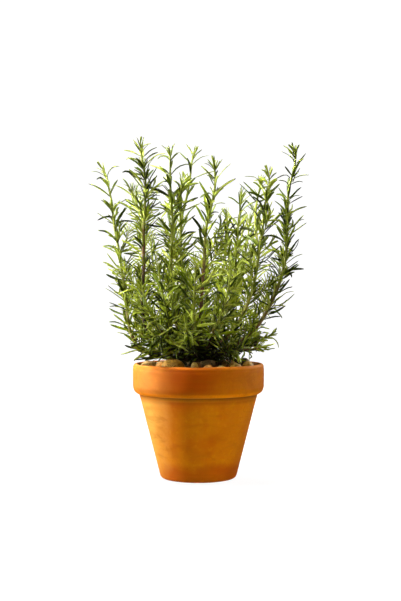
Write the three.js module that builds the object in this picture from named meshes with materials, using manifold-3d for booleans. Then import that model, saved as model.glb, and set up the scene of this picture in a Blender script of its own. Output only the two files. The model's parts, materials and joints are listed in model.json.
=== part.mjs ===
// Potted rosemary plant. Units are millimetres, +Z is up, the origin is the centre of the pot's underside.
// -Y is the side that the plant is usually looked at from.
import * as THREE from 'three';
import { mergeVertices } from 'three/addons/utils/BufferGeometryUtils.js';
import Module from 'manifold-3d';

// ---------------------------------------------------------------- driving dimensions
const POT_TOP = 149.0;          // height of the pot
const RIM_RADIUS = 85.0;        // outside radius of the rim band (the pot is 170 mm across)
const RIM_BOTTOM = 112.0;       // the band's lower edge
const BODY_R0 = 48.6;           // the body's outside radius, run down to the underside
const BODY_SLOPE = 0.2563;      // growth of that radius with height
const FOOT_RADIUS = 43.0;       // flat ring that the pot stands on
const HOLE_RADIUS = 12.5;       // drainage hole
const FLOOR = 9.0;              // thickness of the pot's floor
const POT_SEGMENTS = 48;
const GAP = 0.3;                // clearance between pieces that touch
const SOIL_TOP = 137.0;         // level of the potting soil
const CROWN = new THREE.Vector3(1.5, 0, 149);   // centre of the woody crown
const CROWN_RADIUS = 15.0;
const ROOT_DEPTH = 46.0;        // how far the main root reaches below the crown's centre
const LEAF_WIDTH = 2.7;
const LEAF_THICKNESS = 1.9;
const LEAF_LENGTH = 27.0;       // full-grown leaf
const TIP_LEAF_LENGTH = 15.0;   // young leaf at a growing tip
const PAIR_STEP = 21.0;         // distance between the leaf pairs that are modelled
const LEAF_CLEAR = 0.35;        // least distance between leaves of different sprigs

// Stems: radius at the base and at the tip, and the route from the tip down to the crown (or to the parent stem).
const SPRIGS = [
  { name: "sprig_far_left", base: 2.5, tip: 0.9,
    route: [[-132.4, 35.0, 414.0], [-125.9, 34.8, 403.5], [-119.2, 34.1, 385.9], [-117.4, 33.3, 369.3], [-113.0, 32.2, 350.5], [-112.4, 31.1, 335.1], [-108.4, 29.3, 313.0], [-105.0, 28.0, 298.2], [-102.9, 26.3, 280.4], [-97.7, 23.2, 250.8], [-94.5, 20.3, 225.6], [-92.1, 17.3, 202.0], [-87.9, 15.2, 186.3], [-81.8, 13.3, 173.3], [-69.9, 11.1, 163.0], [-52.8, 8.5, 158.5], [-21.6, 3.7, 154.3], [-12.9, 2.3, 152.3], [-3.3, 0.8, 150.1]] },
  { name: "sprig_left_tall", base: 2.9, tip: 1.0,
    route: [[-71.8, -45.0, 436.5], [-72.6, -44.8, 427.2], [-71.4, -44.1, 411.5], [-68.2, -43.1, 395.9], [-66.8, -42.2, 383.4], [-66.8, -41.1, 371.0], [-67.4, -39.3, 352.3], [-69.1, -36.3, 326.1], [-69.8, -34.4, 310.4], [-69.5, -30.1, 279.3], [-70.7, -26.1, 252.8], [-71.2, -21.2, 223.1], [-68.9, -18.0, 205.0], [-63.5, -15.0, 188.8], [-53.3, -11.9, 175.8], [-38.0, -8.4, 166.6], [-20.1, -3.7, 158.7], [-12.0, -2.3, 155.1], [-3.0, -0.8, 151.0]] },
  { name: "sprig_centre_left", base: 2.7, tip: 0.9,
    route: [[-35.9, -18.0, 428.1], [-35.4, -17.9, 417.5], [-36.5, -17.2, 390.0], [-34.9, -16.2, 364.5], [-33.9, -15.4, 348.5], [-33.1, -14.3, 327.2], [-34.0, -12.7, 300.6], [-35.1, -11.3, 280.2], [-35.4, -9.4, 252.9], [-34.1, -7.6, 229.9], [-30.3, -5.7, 207.9], [-22.6, -3.7, 187.1], [-11.3, -2.0, 169.2], [-6.5, -1.2, 161.6], [-1.2, -0.4, 153.2]] },
  { name: "sprig_centre_tall", base: 2.6, tip: 0.9,
    route: [[-1.1, 52.0, 435.2], [-6.2, 51.6, 424.0], [-9.1, 51.0, 413.9], [-11.0, 49.5, 396.1], [-15.4, 46.5, 369.2], [-19.9, 44.2, 352.3], [-22.5, 41.6, 335.6], [-23.9, 37.4, 310.4], [-22.5, 31.8, 281.1], [-18.4, 23.7, 244.0], [-11.1, 14.6, 207.3], [-3.4, 5.7, 171.8], [-1.6, 3.6, 163.2], [0.5, 1.2, 153.7]] },
  { name: "sprig_centre_right", base: 2.8, tip: 1.0,
    route: [[17.0, -62.0, 411.7], [20.3, -61.2, 397.3], [20.7, -59.1, 376.8], [19.6, -57.2, 363.4], [16.6, -55.1, 351.2], [11.6, -51.0, 330.6], [9.4, -48.3, 317.8], [8.3, -44.0, 299.6], [7.3, -38.9, 279.2], [5.1, -31.5, 252.8], [4.1, -24.4, 229.0], [2.3, -16.7, 204.8], [1.8, -6.9, 172.0], [1.7, -4.3, 163.4], [1.6, -1.4, 153.8]] },
  { name: "sprig_right_inner", base: 2.4, tip: 0.8,
    route: [[57.0, 28.0, 378.1], [55.7, 27.6, 362.2], [54.6, 26.7, 345.8], [52.6, 25.6, 329.2], [51.2, 23.7, 307.4], [49.2, 21.7, 288.2], [47.2, 18.9, 263.8], [43.6, 15.3, 237.5], [37.4, 11.4, 211.3], [26.8, 7.2, 187.9], [13.8, 4.3, 169.1], [9.2, 2.7, 161.6], [4.1, 0.9, 153.2]] },
  { name: "sprig_right_mid", base: 2.6, tip: 0.9,
    route: [[85.8, -12.0, 404.2], [91.0, -11.9, 394.7], [91.5, -11.8, 386.1], [88.5, -11.5, 370.1], [87.5, -11.2, 359.5], [85.3, -10.9, 346.2], [83.3, -10.3, 327.4], [80.4, -9.6, 308.9], [78.0, -8.9, 290.6], [74.0, -7.7, 263.6], [67.4, -6.3, 236.3], [57.7, -4.9, 213.0], [44.8, -3.5, 192.3], [29.3, -2.2, 175.3], [18.3, -2.5, 166.0], [12.0, -1.6, 159.6], [5.0, -0.5, 152.5]] },
  { name: "sprig_far_right", base: 2.8, tip: 0.9,
    route: [[122.9, 18.0, 436.7], [126.1, 17.9, 423.7], [127.4, 17.6, 410.5], [123.9, 17.3, 397.5], [119.5, 16.8, 380.0], [117.2, 16.2, 361.4], [117.2, 15.6, 345.1], [117.3, 15.0, 331.8], [115.5, 14.2, 313.5], [115.2, 13.3, 296.4], [111.4, 12.0, 271.9], [104.1, 10.6, 248.9], [96.3, 9.3, 229.9], [86.3, 7.9, 211.0], [75.5, 6.6, 195.7], [62.0, 5.2, 181.5], [45.0, 3.7, 171.2], [23.2, -0.2, 159.2], [15.1, -0.1, 155.4], [6.0, -0.0, 151.1]] },
  { name: "sprig_back_centre", base: 2.2, tip: 0.8,
    route: [[38.3, 86.0, 355.0], [39.4, 85.1, 343.6], [38.9, 80.4, 318.9], [36.0, 71.1, 287.3], [30.3, 56.5, 250.6], [22.0, 38.4, 214.7], [6.5, 10.2, 170.1], [4.6, 6.4, 162.2], [2.5, 2.1, 153.4]] },
  { name: "sprig_back_right", base: 2.3, tip: 0.8,
    route: [[70.7, 101.0, 351.5], [69.6, 98.1, 329.3], [65.2, 89.7, 298.7], [56.4, 74.1, 260.2], [43.7, 53.7, 222.4], [27.2, 31.7, 191.0], [13.3, 13.0, 165.4], [8.9, 8.1, 159.2], [4.0, 2.7, 152.4]] },
  { name: "sprig_low_right", base: 1.7, tip: 0.7,
    route: [[101.6, 22.0, 192.2], [94.4, 21.4, 184.0], [84.5, 20.2, 179.4], [73.0, 18.3, 174.1], [57.1, 15.2, 169.9], [40.0, 11.1, 165.6], [22.5, 8.3, 157.2], [14.6, 5.2, 154.2], [5.9, 1.7, 150.7]] },
  { name: "sprig_low_right_front", base: 1.8, tip: 0.8,
    route: [[83.2, -48.0, 174.4], [73.9, -46.2, 170.7], [61.5, -41.5, 168.9], [47.8, -34.5, 167.3], [32.7, -24.7, 163.6], [19.2, -14.0, 157.3], [12.5, -8.7, 154.2], [5.2, -2.9, 150.7]] },
  { name: "sprig_front_centre", base: 2.2, tip: 0.8,
    route: [[-2.7, -116.0, 278.0], [-4.0, -105.9, 254.0], [-5.3, -82.8, 225.9], [-4.2, -54.5, 199.1], [0.3, -16.5, 166.4], [0.8, -10.3, 159.9], [1.3, -3.4, 152.6]] },
  { name: "sprig_front_right", base: 2.2, tip: 0.8,
    route: [[39.9, -96.0, 278.4], [37.1, -85.7, 249.2], [30.7, -66.4, 220.6], [19.8, -40.6, 192.3], [9.0, -15.6, 165.7], [6.2, -9.7, 159.4], [3.1, -3.2, 152.5]] },
  { name: "sprig_front_left_pale", base: 2.3, tip: 0.8,
    route: [[-50.5, -74.0, 278.9], [-47.5, -69.5, 256.7], [-43.1, -59.6, 232.0], [-37.0, -45.7, 206.4], [-29.3, -30.3, 183.0], [-11.7, -11.5, 165.5], [-6.7, -7.2, 159.3], [-1.2, -2.4, 152.4]] },
  { name: "sprig_front_low_left", base: 2.1, tip: 0.8,
    route: [[-70.2, -88.0, 252.9], [-64.4, -80.4, 228.3], [-53.9, -65.4, 204.4], [-37.0, -44.3, 182.4], [-11.5, -17.5, 159.1], [-6.6, -10.9, 155.3], [-1.2, -3.6, 151.1]] },
  { name: "sprig_back_left", base: 2.3, tip: 0.8,
    route: [[-67.2, 104.0, 324.1], [-64.2, 97.9, 293.4], [-55.4, 82.0, 254.8], [-41.1, 59.1, 216.9], [-21.8, 32.8, 185.6], [-10.5, 13.0, 165.2], [-6.0, 8.1, 159.1], [-1.0, 2.7, 152.4]] },
  { name: "sprig_back_mid_left", base: 2.2, tip: 0.8,
    route: [[-30.0, 113.0, 318.9], [-28.5, 105.3, 288.1], [-22.6, 83.6, 246.5], [-14.1, 53.0, 206.3], [-2.3, 15.5, 166.9], [-0.9, 9.7, 160.2], [0.7, 3.2, 152.7]] },
  { name: "sprig_back_mid", base: 2.2, tip: 0.8,
    route: [[11.8, 119.0, 313.6], [11.7, 109.0, 279.9], [10.2, 85.7, 241.1], [7.4, 51.5, 201.0], [5.9, 17.6, 164.8], [4.3, 11.0, 158.9], [2.4, 3.7, 152.3]] },
  { name: "sprig_back_low_left", base: 2.1, tip: 0.8,
    route: [[-94.8, 78.0, 273.8], [-87.7, 72.9, 246.6], [-74.9, 61.4, 216.9], [-55.4, 45.3, 190.5], [-29.6, 25.2, 170.1], [-16.2, 13.0, 158.6], [-9.6, 8.1, 155.0], [-2.2, 2.7, 151.0]] },
  { name: "sprig_back_low_right", base: 2.1, tip: 0.8,
    route: [[96.4, 84.0, 246.5], [86.5, 77.7, 222.0], [69.6, 63.0, 196.6], [46.0, 42.3, 175.9], [17.5, 15.4, 158.1], [11.5, 9.6, 154.7], [4.8, 3.2, 150.9]] },
  { name: "sprig_low_left", base: 1.8, tip: 0.8,
    route: [[-76.3, -42.0, 194.9], [-65.0, -38.9, 182.8], [-50.1, -32.2, 172.3], [-33.7, -23.4, 165.5], [-17.8, -11.9, 156.9], [-10.6, -7.4, 153.9], [-2.5, -2.5, 150.6]] },
  { name: "sprig_low_back", base: 1.8, tip: 0.8,
    route: [[-17.5, 112.0, 227.0], [-11.7, 92.9, 202.5], [-3.3, 50.3, 176.9], [-0.7, 21.2, 160.1], [0.1, 13.2, 155.9], [1.0, 4.4, 151.3]] },
  { name: "sprig_low_front", base: 1.8, tip: 0.8,
    route: [[-17.6, -84.0, 209.9], [-14.1, -69.1, 192.1], [-8.1, -38.9, 173.3], [-3.4, -20.8, 159.8], [-1.6, -13.0, 155.8], [0.5, -4.3, 151.3]] },
  { name: "sprig_left_small", base: 1.7, tip: 0.8, parent: "sprig_left_tall",
    route: [[-88.6, -8.0, 381.1], [-86.0, -8.8, 373.6], [-82.0, -11.9, 361.3], [-76.5, -17.6, 347.4], [-71.6, -25.9, 332.2], [-69.6, -35.3, 317.6]] },
  { name: "sprig_centre_small", base: 1.6, tip: 0.8, parent: "sprig_centre_tall",
    route: [[-20.6, 22.0, 397.9], [-21.1, 22.7, 386.5], [-23.2, 25.5, 367.6], [-24.0, 29.4, 351.1], [-24.0, 33.3, 338.1], [-23.6, 39.2, 321.0]] },
  { name: "sprig_right_small", base: 1.7, tip: 0.8, parent: "sprig_right_mid",
    route: [[81.4, 26.0, 395.0], [81.3, 25.0, 382.5], [78.4, 22.1, 367.4], [75.4, 17.3, 350.6], [74.3, 10.6, 332.9], [75.6, 2.0, 314.2], [78.5, -9.1, 294.7]] },
];

// Leaves that reach the outline of the whole plant: sprig, foot of the leaf on the stem, tip of the leaf.
const EDGE_LEAVES = [
  ['sprig_far_left', [-117.8, 33.4, 367.9], [-146.2, 33.0, 384.8]],
  ['sprig_far_right', [120.0, 17.2, 382.5], [145.1, 17.0, 394.8]],
  ['sprig_left_tall', [-71.5, -44.5, 420.7], [-71.1, -45.0, 441.2]],
];

// Pebbles: name, x, y, half-length, half-width, height of the top, turn about the vertical in degrees.
const PEBBLES = [
  ["pebble_tan_left", -63.8, -3.0, 12.0, 9.5, 152.5, 4],
  ["pebble_golden_long", -31.6, -46.0, 16.6, 11.5, 157.3, -16],
  ["pebble_round_small", -4.6, -60.0, 5.2, 5.6, 154.2, 0],
  ["pebble_orange", 12.0, -59.0, 7.2, 7.0, 150.6, 10],
  ["pebble_flat", 29.0, -57.0, 8.6, 7.2, 149.2, 12],
  ["pebble_beige", 47.4, -44.5, 8.6, 8.2, 151.3, 40],
  ["pebble_yellow", 64.0, -17.0, 9.0, 8.6, 152.6, 60],
  ["pebble_brown", 45.5, -9.0, 9.0, 10.0, 156.2, 20],
  ["pebble_dark_right", 61.5, 9.0, 9.6, 11.0, 151.9, 0],
  ["pebble_01", -44.5, -17.5, 14.0, 11.3, 152.5, 106],
  ["pebble_02", 11.1, -28.2, 12.7, 9.0, 155.4, 174],
  ["pebble_03", -8.5, 47.3, 14.5, 13.3, 154.5, 127],
  ["pebble_04", -46.5, 40.2, 14.2, 12.6, 149.5, 38],
  ["pebble_05", -49.1, 16.8, 9.6, 8.3, 150.3, 116],
  ["pebble_06", -28.0, 15.2, 9.8, 7.4, 155.3, 145],
  ["pebble_07", 36.9, 18.3, 9.0, 7.5, 151.0, 108],
  ["pebble_08", 18.1, 60.9, 8.6, 6.5, 152.2, 11],
  ["pebble_09", -21.1, -15.6, 11.4, 8.5, 153.7, 90],
  ["pebble_10", 17.7, 32.1, 13.9, 11.8, 152.2, 161],
  ["pebble_11", 41.9, 42.5, 10.9, 9.3, 149.6, 36],
  ["pebble_12", -8.4, 23.7, 8.7, 6.6, 153.2, 66],
  ["pebble_13", 30.3, -2.3, 8.6, 6.1, 154.4, 50],
  ["pebble_14", 59.4, 28.6, 9.8, 7.3, 154.4, 166],
  ["pebble_15", 32.7, -21.7, 8.9, 7.1, 155.0, 103],
  ["pebble_16", -2.3, -43.0, 9.0, 7.0, 153.5, 70],
  ["pebble_17", -30.2, 57.8, 9.1, 7.1, 153.9, 124],
  ["pebble_18", -25.4, 31.4, 8.5, 7.6, 152.8, 2],
  ["pebble_19", -14.0, -33.9, 7.5, 5.9, 148.6, 86],
];

const PEBBLE_COLORS = [0xc9ab6e, 0xc08a2e, 0xd8c79a, 0xd58b55, 0xb9a58a, 0xcbb48a, 0xc9a63a, 0xa98257, 0x5b5a50,
  0xb89a68, 0xc7b694, 0x9f8566];

// ---------------------------------------------------------------- helpers
const wasm = await Module();
wasm.setup();

// A small repeatable number source.
function seeded(seed) {
  let a = seed >>> 0;
  return () => {
    a = (a + 0x6D2B79F5) >>> 0;
    let t = a;
    t = Math.imul(t ^ (t >>> 15), t | 1);
    t ^= t + Math.imul(t ^ (t >>> 7), t | 61);
    return ((t ^ (t >>> 14)) >>> 0) / 4294967296;
  };
}

// Merges shared corners, drops faces that have no area, and gives the closed solid.
function toSolid(geometry) {
  let g = geometry.clone();
  g.deleteAttribute('normal');
  g.deleteAttribute('uv');
  g = mergeVertices(g, 1e-3);
  const p = g.attributes.position.array;
  const index = g.index.array;
  const faces = [];
  for (let i = 0; i < index.length; i += 3) {
    const [a, b, c] = [index[i], index[i + 1], index[i + 2]];
    if (a !== b && b !== c && c !== a) faces.push(a, b, c);
  }
  let volume = 0;
  for (let i = 0; i < faces.length; i += 3) {
    const [a, b, c] = [faces[i] * 3, faces[i + 1] * 3, faces[i + 2] * 3];
    volume += p[a] * (p[b + 1] * p[c + 2] - p[b + 2] * p[c + 1])
      - p[a + 1] * (p[b] * p[c + 2] - p[b + 2] * p[c])
      + p[a + 2] * (p[b] * p[c + 1] - p[b + 1] * p[c]);
  }
  if (volume < 0) {
    for (let i = 0; i < faces.length; i += 3) [faces[i + 1], faces[i + 2]] = [faces[i + 2], faces[i + 1]];
  }
  return new wasm.Manifold(new wasm.Mesh({
    numProp: 3, vertProperties: new Float32Array(p), triVerts: new Uint32Array(faces),
  }));
}

function toGeometry(solid) {
  const mesh = solid.getMesh();
  const g = new THREE.BufferGeometry();
  const n = mesh.vertProperties.length / mesh.numProp;
  const p = new Float32Array(n * 3);
  for (let i = 0; i < n; i++) for (let k = 0; k < 3; k++) p[3 * i + k] = mesh.vertProperties[i * mesh.numProp + k];
  g.setAttribute('position', new THREE.BufferAttribute(p, 3));
  g.setIndex(Array.from(mesh.triVerts));
  const flat = g.toNonIndexed();
  flat.computeVertexNormals();
  return flat;
}

function biggest(solid) {
  const parts = solid.decompose();
  let best = parts[0];
  let size = -1;
  for (const part of parts) {
    const v = part.volume();
    if (v > size) { size = v; best = part; }
  }
  return best;
}

// A closed tapered tube along a curve: a cylinder whose rings are carried onto the curve's frames.
function taperedTube(curve, rings, sides, radiusAt) {
  const g = new THREE.CylinderGeometry(1, 1, 1, sides, rings);
  const frames = curve.computeFrenetFrames(rings, false);
  const pos = g.attributes.position;
  const at = new THREE.Vector3();
  for (let i = 0; i < pos.count; i++) {
    const t = THREE.MathUtils.clamp(0.5 - pos.getY(i), 0, 1);
    const ring = Math.round(t * rings);
    curve.getPointAt(ring / rings, at);
    const r = radiusAt(ring / rings);
    at.addScaledVector(frames.normals[ring], pos.getX(i) * r);
    at.addScaledVector(frames.binormals[ring], pos.getZ(i) * r);
    pos.setXYZ(i, at.x, at.y, at.z);
  }
  return g;
}

// One leaf: a slender spindle with three flat sides, from its foot to its tip.
function leafGeometry(foot, tip, width, thickness) {
  const length = foot.distanceTo(tip);
  const profile = [[0, 0], [0.62, 0.2], [1, 0.55], [0, 1]].map(([r, h]) => new THREE.Vector2(r, h * length));
  const g = new THREE.LatheGeometry([profile[0], profile[2], profile[3]], 3);
  g.scale(width / 2, 1, thickness / 2);
  const dir = tip.clone().sub(foot).normalize();
  g.applyQuaternion(new THREE.Quaternion().setFromUnitVectors(new THREE.Vector3(0, 1, 0), dir));
  g.translate(foot.x, foot.y, foot.z);
  return g;
}

// Least distance between two straight stretches.
function stretchDistance(p1, q1, p2, q2) {
  const d1 = q1.clone().sub(p1), d2 = q2.clone().sub(p2), r = p1.clone().sub(p2);
  const a = d1.lengthSq(), e = d2.lengthSq(), f = d2.dot(r), c = d1.dot(r), b = d1.dot(d2);
  const den = a * e - b * b;
  let s = den > 1e-9 ? THREE.MathUtils.clamp((b * f - c * e) / den, 0, 1) : 0;
  let t = (b * s + f) / e;
  if (t < 0) { t = 0; s = THREE.MathUtils.clamp(-c / a, 0, 1); }
  else if (t > 1) { t = 1; s = THREE.MathUtils.clamp((b - c) / a, 0, 1); }
  return p1.clone().addScaledVector(d1, s).distanceTo(p2.clone().addScaledVector(d2, t));
}

const plant = new THREE.Group();
const material = (color, roughness) => new THREE.MeshStandardMaterial({ color, roughness, metalness: 0 });

function place(name, solid, mat) {
  const mesh = new THREE.Mesh(toGeometry(solid), mat);
  mesh.name = name;
  plant.add(mesh);
}

// ---------------------------------------------------------------- pot
// The profile closes on itself: underside, outside, rim, inside, floor, drainage hole.
const bodyRadius = (z) => BODY_R0 + BODY_SLOPE * z;
const innerRadius = (z) => 41.3 + 0.2615 * z;    // inside wall below the band
const potProfile = [
  [HOLE_RADIUS, 0], [FOOT_RADIUS, 0], [46.6, 0.7], [49.1, 2.9], [bodyRadius(6.2), 6.2],
  [bodyRadius(RIM_BOTTOM - 4), RIM_BOTTOM - 4], [78.2, RIM_BOTTOM - 1.4], [82.6, RIM_BOTTOM + 2.4],
  [RIM_RADIUS, RIM_BOTTOM + 8], [RIM_RADIUS, POT_TOP - 4.0], [83.6, POT_TOP - 1.0],
  [81.4, POT_TOP], [79.2, POT_TOP - 0.4], [77.4, POT_TOP - 2.6], [innerRadius(108), 108],
  [innerRadius(14), 14], [42.2, FLOOR], [HOLE_RADIUS, FLOOR],
];
const potLathe = new THREE.LatheGeometry(
  [...potProfile, potProfile[0]].map(([r, z]) => new THREE.Vector2(r, z)), POT_SEGMENTS);
potLathe.rotateX(Math.PI / 2);
place('pot', toSolid(potLathe), material(0xd9823f, 0.82));

// ---------------------------------------------------------------- woody crown
// A knobby stump with its main root in the soil.
function crownSolid(grow) {
  const knob = new THREE.IcosahedronGeometry(1, 2);
  const pos = knob.attributes.position;
  const v = new THREE.Vector3();
  for (let i = 0; i < pos.count; i++) {
    v.fromBufferAttribute(pos, i);
    const bump = 1 + 0.045 * Math.sin(5 * v.x + 1.3) * Math.cos(4 * v.y) + 0.03 * Math.sin(7 * v.z);
    pos.setXYZ(i, v.x * bump * (CROWN_RADIUS + grow), v.y * bump * (CROWN_RADIUS + grow),
      v.z * bump * (CROWN_RADIUS * 0.92 + grow));
  }
  knob.translate(CROWN.x, CROWN.y, CROWN.z);
  const rootPath = new THREE.CatmullRomCurve3([
    CROWN.clone(), CROWN.clone().add(new THREE.Vector3(1.5, -1, -0.45 * ROOT_DEPTH)),
    CROWN.clone().add(new THREE.Vector3(-2, 1.5, -ROOT_DEPTH - grow)),
  ]);
  const root = taperedTube(rootPath, 5, 8, (t) => 9.5 - 6.5 * t + grow);
  return toSolid(knob).add(toSolid(root));
}
const crown = crownSolid(0);
const crownRoom = crownSolid(GAP);

// ---------------------------------------------------------------- potting soil
const soilInset = GAP * 1.03;
const soilProfile = [
  [0, FLOOR + GAP], [42.0 - GAP, FLOOR + GAP], [innerRadius(14) - soilInset, 14.2],
  [innerRadius(108) - soilInset, 108], [75.0, SOIL_TOP - 0.6], [73.2, SOIL_TOP], [0, SOIL_TOP],
];
const soilLathe = new THREE.LatheGeometry(soilProfile.map(([r, z]) => new THREE.Vector2(r, z)), POT_SEGMENTS);
soilLathe.rotateX(Math.PI / 2);
place('potting_soil', toSolid(soilLathe).subtract(crownRoom), material(0x2b1d14, 0.95));
place('woody_crown', crown, material(0x5b4330, 0.9));

// ---------------------------------------------------------------- sprigs
const byName = new Map();
const stretches = [];           // every stem and leaf already placed, for the clearance test
for (const sprig of SPRIGS) {
  sprig.curve = new THREE.CatmullRomCurve3(sprig.route.map((p) => new THREE.Vector3(...p)), false, 'centripetal');
  sprig.length = sprig.curve.getLength();
  sprig.rings = Math.max(5, Math.round(sprig.length / 24));
  sprig.radiusAt = (t) => sprig.tip + (sprig.base - sprig.tip) * Math.pow(t, 0.8);
  byName.set(sprig.name, sprig);
  for (let i = 0; i < sprig.rings; i++) {
    stretches.push({
      owner: sprig.name, a: sprig.curve.getPointAt(i / sprig.rings), b: sprig.curve.getPointAt((i + 1) / sprig.rings),
      r: sprig.radiusAt((i + 1) / sprig.rings),
    });
  }
}

function clear(owner, a, b, r) {
  for (const s of stretches) {
    if (s.owner === owner) continue;
    const reach = r + s.r + LEAF_CLEAR;
    if (Math.max(a.x, b.x) + reach < Math.min(s.a.x, s.b.x) || Math.min(a.x, b.x) - reach > Math.max(s.a.x, s.b.x)) continue;
    if (Math.max(a.y, b.y) + reach < Math.min(s.a.y, s.b.y) || Math.min(a.y, b.y) - reach > Math.max(s.a.y, s.b.y)) continue;
    if (Math.max(a.z, b.z) + reach < Math.min(s.a.z, s.b.z) || Math.min(a.z, b.z) - reach > Math.max(s.a.z, s.b.z)) continue;
    if (stretchDistance(a, b, s.a, s.b) < reach) return false;
  }
  return true;
}

SPRIGS.forEach((sprig, number) => {
  const rnd = seeded(97 + 31 * number);
  let solid = toSolid(taperedTube(sprig.curve, sprig.rings, 5, sprig.radiusAt));
  const leaves = [];
  const addLeaf = (foot, tip) => {
    const r = Math.max(LEAF_WIDTH, LEAF_THICKNESS) / 2;
    const start = foot.clone().lerp(tip, 0.12);
    if (!clear(sprig.name, start, tip, r)) return false;
    stretches.push({ owner: sprig.name, a: start, b: tip, r });
    leaves.push(leafGeometry(foot, tip, LEAF_WIDTH, LEAF_THICKNESS));
    return true;
  };
  for (const [owner, foot, tip] of EDGE_LEAVES) {
    if (owner === sprig.name) addLeaf(new THREE.Vector3(...foot), new THREE.Vector3(...tip));
  }
  // leaf pairs stand crosswise to the pair before, as they do on a square stem
  const bare = sprig.parent ? 14 : 34;          // the last stretch above the crown has none
  let along = 3;
  let turn = rnd() * Math.PI;
  while (along < sprig.length - bare) {
    const t = along / sprig.length;
    const at = sprig.curve.getPointAt(t);
    const up = sprig.curve.getTangentAt(t).negate();
    const side = new THREE.Vector3(0, 0, 1).cross(up);
    if (side.lengthSq() < 1e-4) side.set(1, 0, 0);
    side.normalize();
    const other = up.clone().cross(side);
    const grown = Math.min(1, along / 45);
    for (const half of [0, Math.PI]) {
      for (let attempt = 0; attempt < 7; attempt++) {
        const angle = turn + half + (rnd() - 0.5) * (0.5 + 0.35 * attempt);
        const out = side.clone().multiplyScalar(Math.cos(angle)).addScaledVector(other, Math.sin(angle));
        const lean = THREE.MathUtils.degToRad(24 + 36 * grown + (rnd() - 0.5) * 22);
        const length = (TIP_LEAF_LENGTH + (LEAF_LENGTH - TIP_LEAF_LENGTH) * grown) * (0.9 + 0.16 * rnd());
        const dir = up.clone().multiplyScalar(Math.cos(lean)).addScaledVector(out, Math.sin(lean));
        const tip = at.clone().addScaledVector(dir, length);
        if (tip.z < 163 || tip.z > sprig.route[0][2] + 4 || Math.abs(tip.x) > 141 || Math.abs(tip.y) > 128) continue;
        if (addLeaf(at, tip)) break;
      }
    }
    turn += Math.PI / 2 + (rnd() - 0.5) * 0.3;
    along += PAIR_STEP * (0.62 + 0.38 * grown) * (0.92 + 0.16 * rnd());
  }
  for (const leaf of leaves) solid = solid.add(toSolid(leaf));
  solid = solid.subtract(crownRoom);
  if (sprig.parent) {
    const parent = byName.get(sprig.parent);
    solid = solid.subtract(toSolid(taperedTube(parent.curve, parent.rings, 5, (t) => parent.radiusAt(t) + GAP)));
  }
  place(sprig.name, biggest(solid), material(number % 2 ? 0x5f7f2c : 0x6f8c33, 0.6));
});

// ---------------------------------------------------------------- pebbles
PEBBLES.forEach(([name, x, y, half, wide, top, turn], number) => {
  const rnd = seeded(501 + 17 * number);
  const g = new THREE.IcosahedronGeometry(1, 1);
  const bottom = SOIL_TOP + GAP;
  const tall = (top - bottom) / 2;
  const pos = g.attributes.position;
  const v = new THREE.Vector3();
  const [f1, f2] = [rnd() * 6, rnd() * 6];
  for (let i = 0; i < pos.count; i++) {
    v.fromBufferAttribute(pos, i);
    const bump = 1 - 0.05 * (1 + Math.sin(3 * v.x + f1) * Math.cos(3 * v.y + f2)) * (1 - v.z * v.z);
    pos.setXYZ(i, v.x * bump * half, v.y * bump * wide, v.z * tall);
  }
  g.rotateZ(THREE.MathUtils.degToRad(turn));
  g.computeBoundingBox();
  g.translate(x, y, bottom - g.boundingBox.min.z);
  place(name, toSolid(g), material(PEBBLE_COLORS[number % PEBBLE_COLORS.length], 0.7));
});

export default plant;
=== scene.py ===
import json
import math
import random

import bpy
import numpy as np
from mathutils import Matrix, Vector, noise


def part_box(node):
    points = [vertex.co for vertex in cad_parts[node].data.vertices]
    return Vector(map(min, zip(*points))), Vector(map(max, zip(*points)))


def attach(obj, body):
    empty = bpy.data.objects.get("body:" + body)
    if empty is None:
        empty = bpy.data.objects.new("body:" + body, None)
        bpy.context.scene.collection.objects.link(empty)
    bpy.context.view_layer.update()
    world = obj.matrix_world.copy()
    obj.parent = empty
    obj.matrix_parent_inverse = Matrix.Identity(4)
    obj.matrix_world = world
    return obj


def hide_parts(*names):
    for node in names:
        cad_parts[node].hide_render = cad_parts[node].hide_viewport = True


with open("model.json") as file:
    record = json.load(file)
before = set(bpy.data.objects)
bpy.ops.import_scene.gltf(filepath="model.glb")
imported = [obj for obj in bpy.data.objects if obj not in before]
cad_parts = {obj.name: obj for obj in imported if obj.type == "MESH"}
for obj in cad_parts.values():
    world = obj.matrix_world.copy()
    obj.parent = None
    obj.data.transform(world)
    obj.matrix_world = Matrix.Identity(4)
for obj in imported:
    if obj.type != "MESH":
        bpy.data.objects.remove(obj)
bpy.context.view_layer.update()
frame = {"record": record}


MM = 0.001

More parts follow.
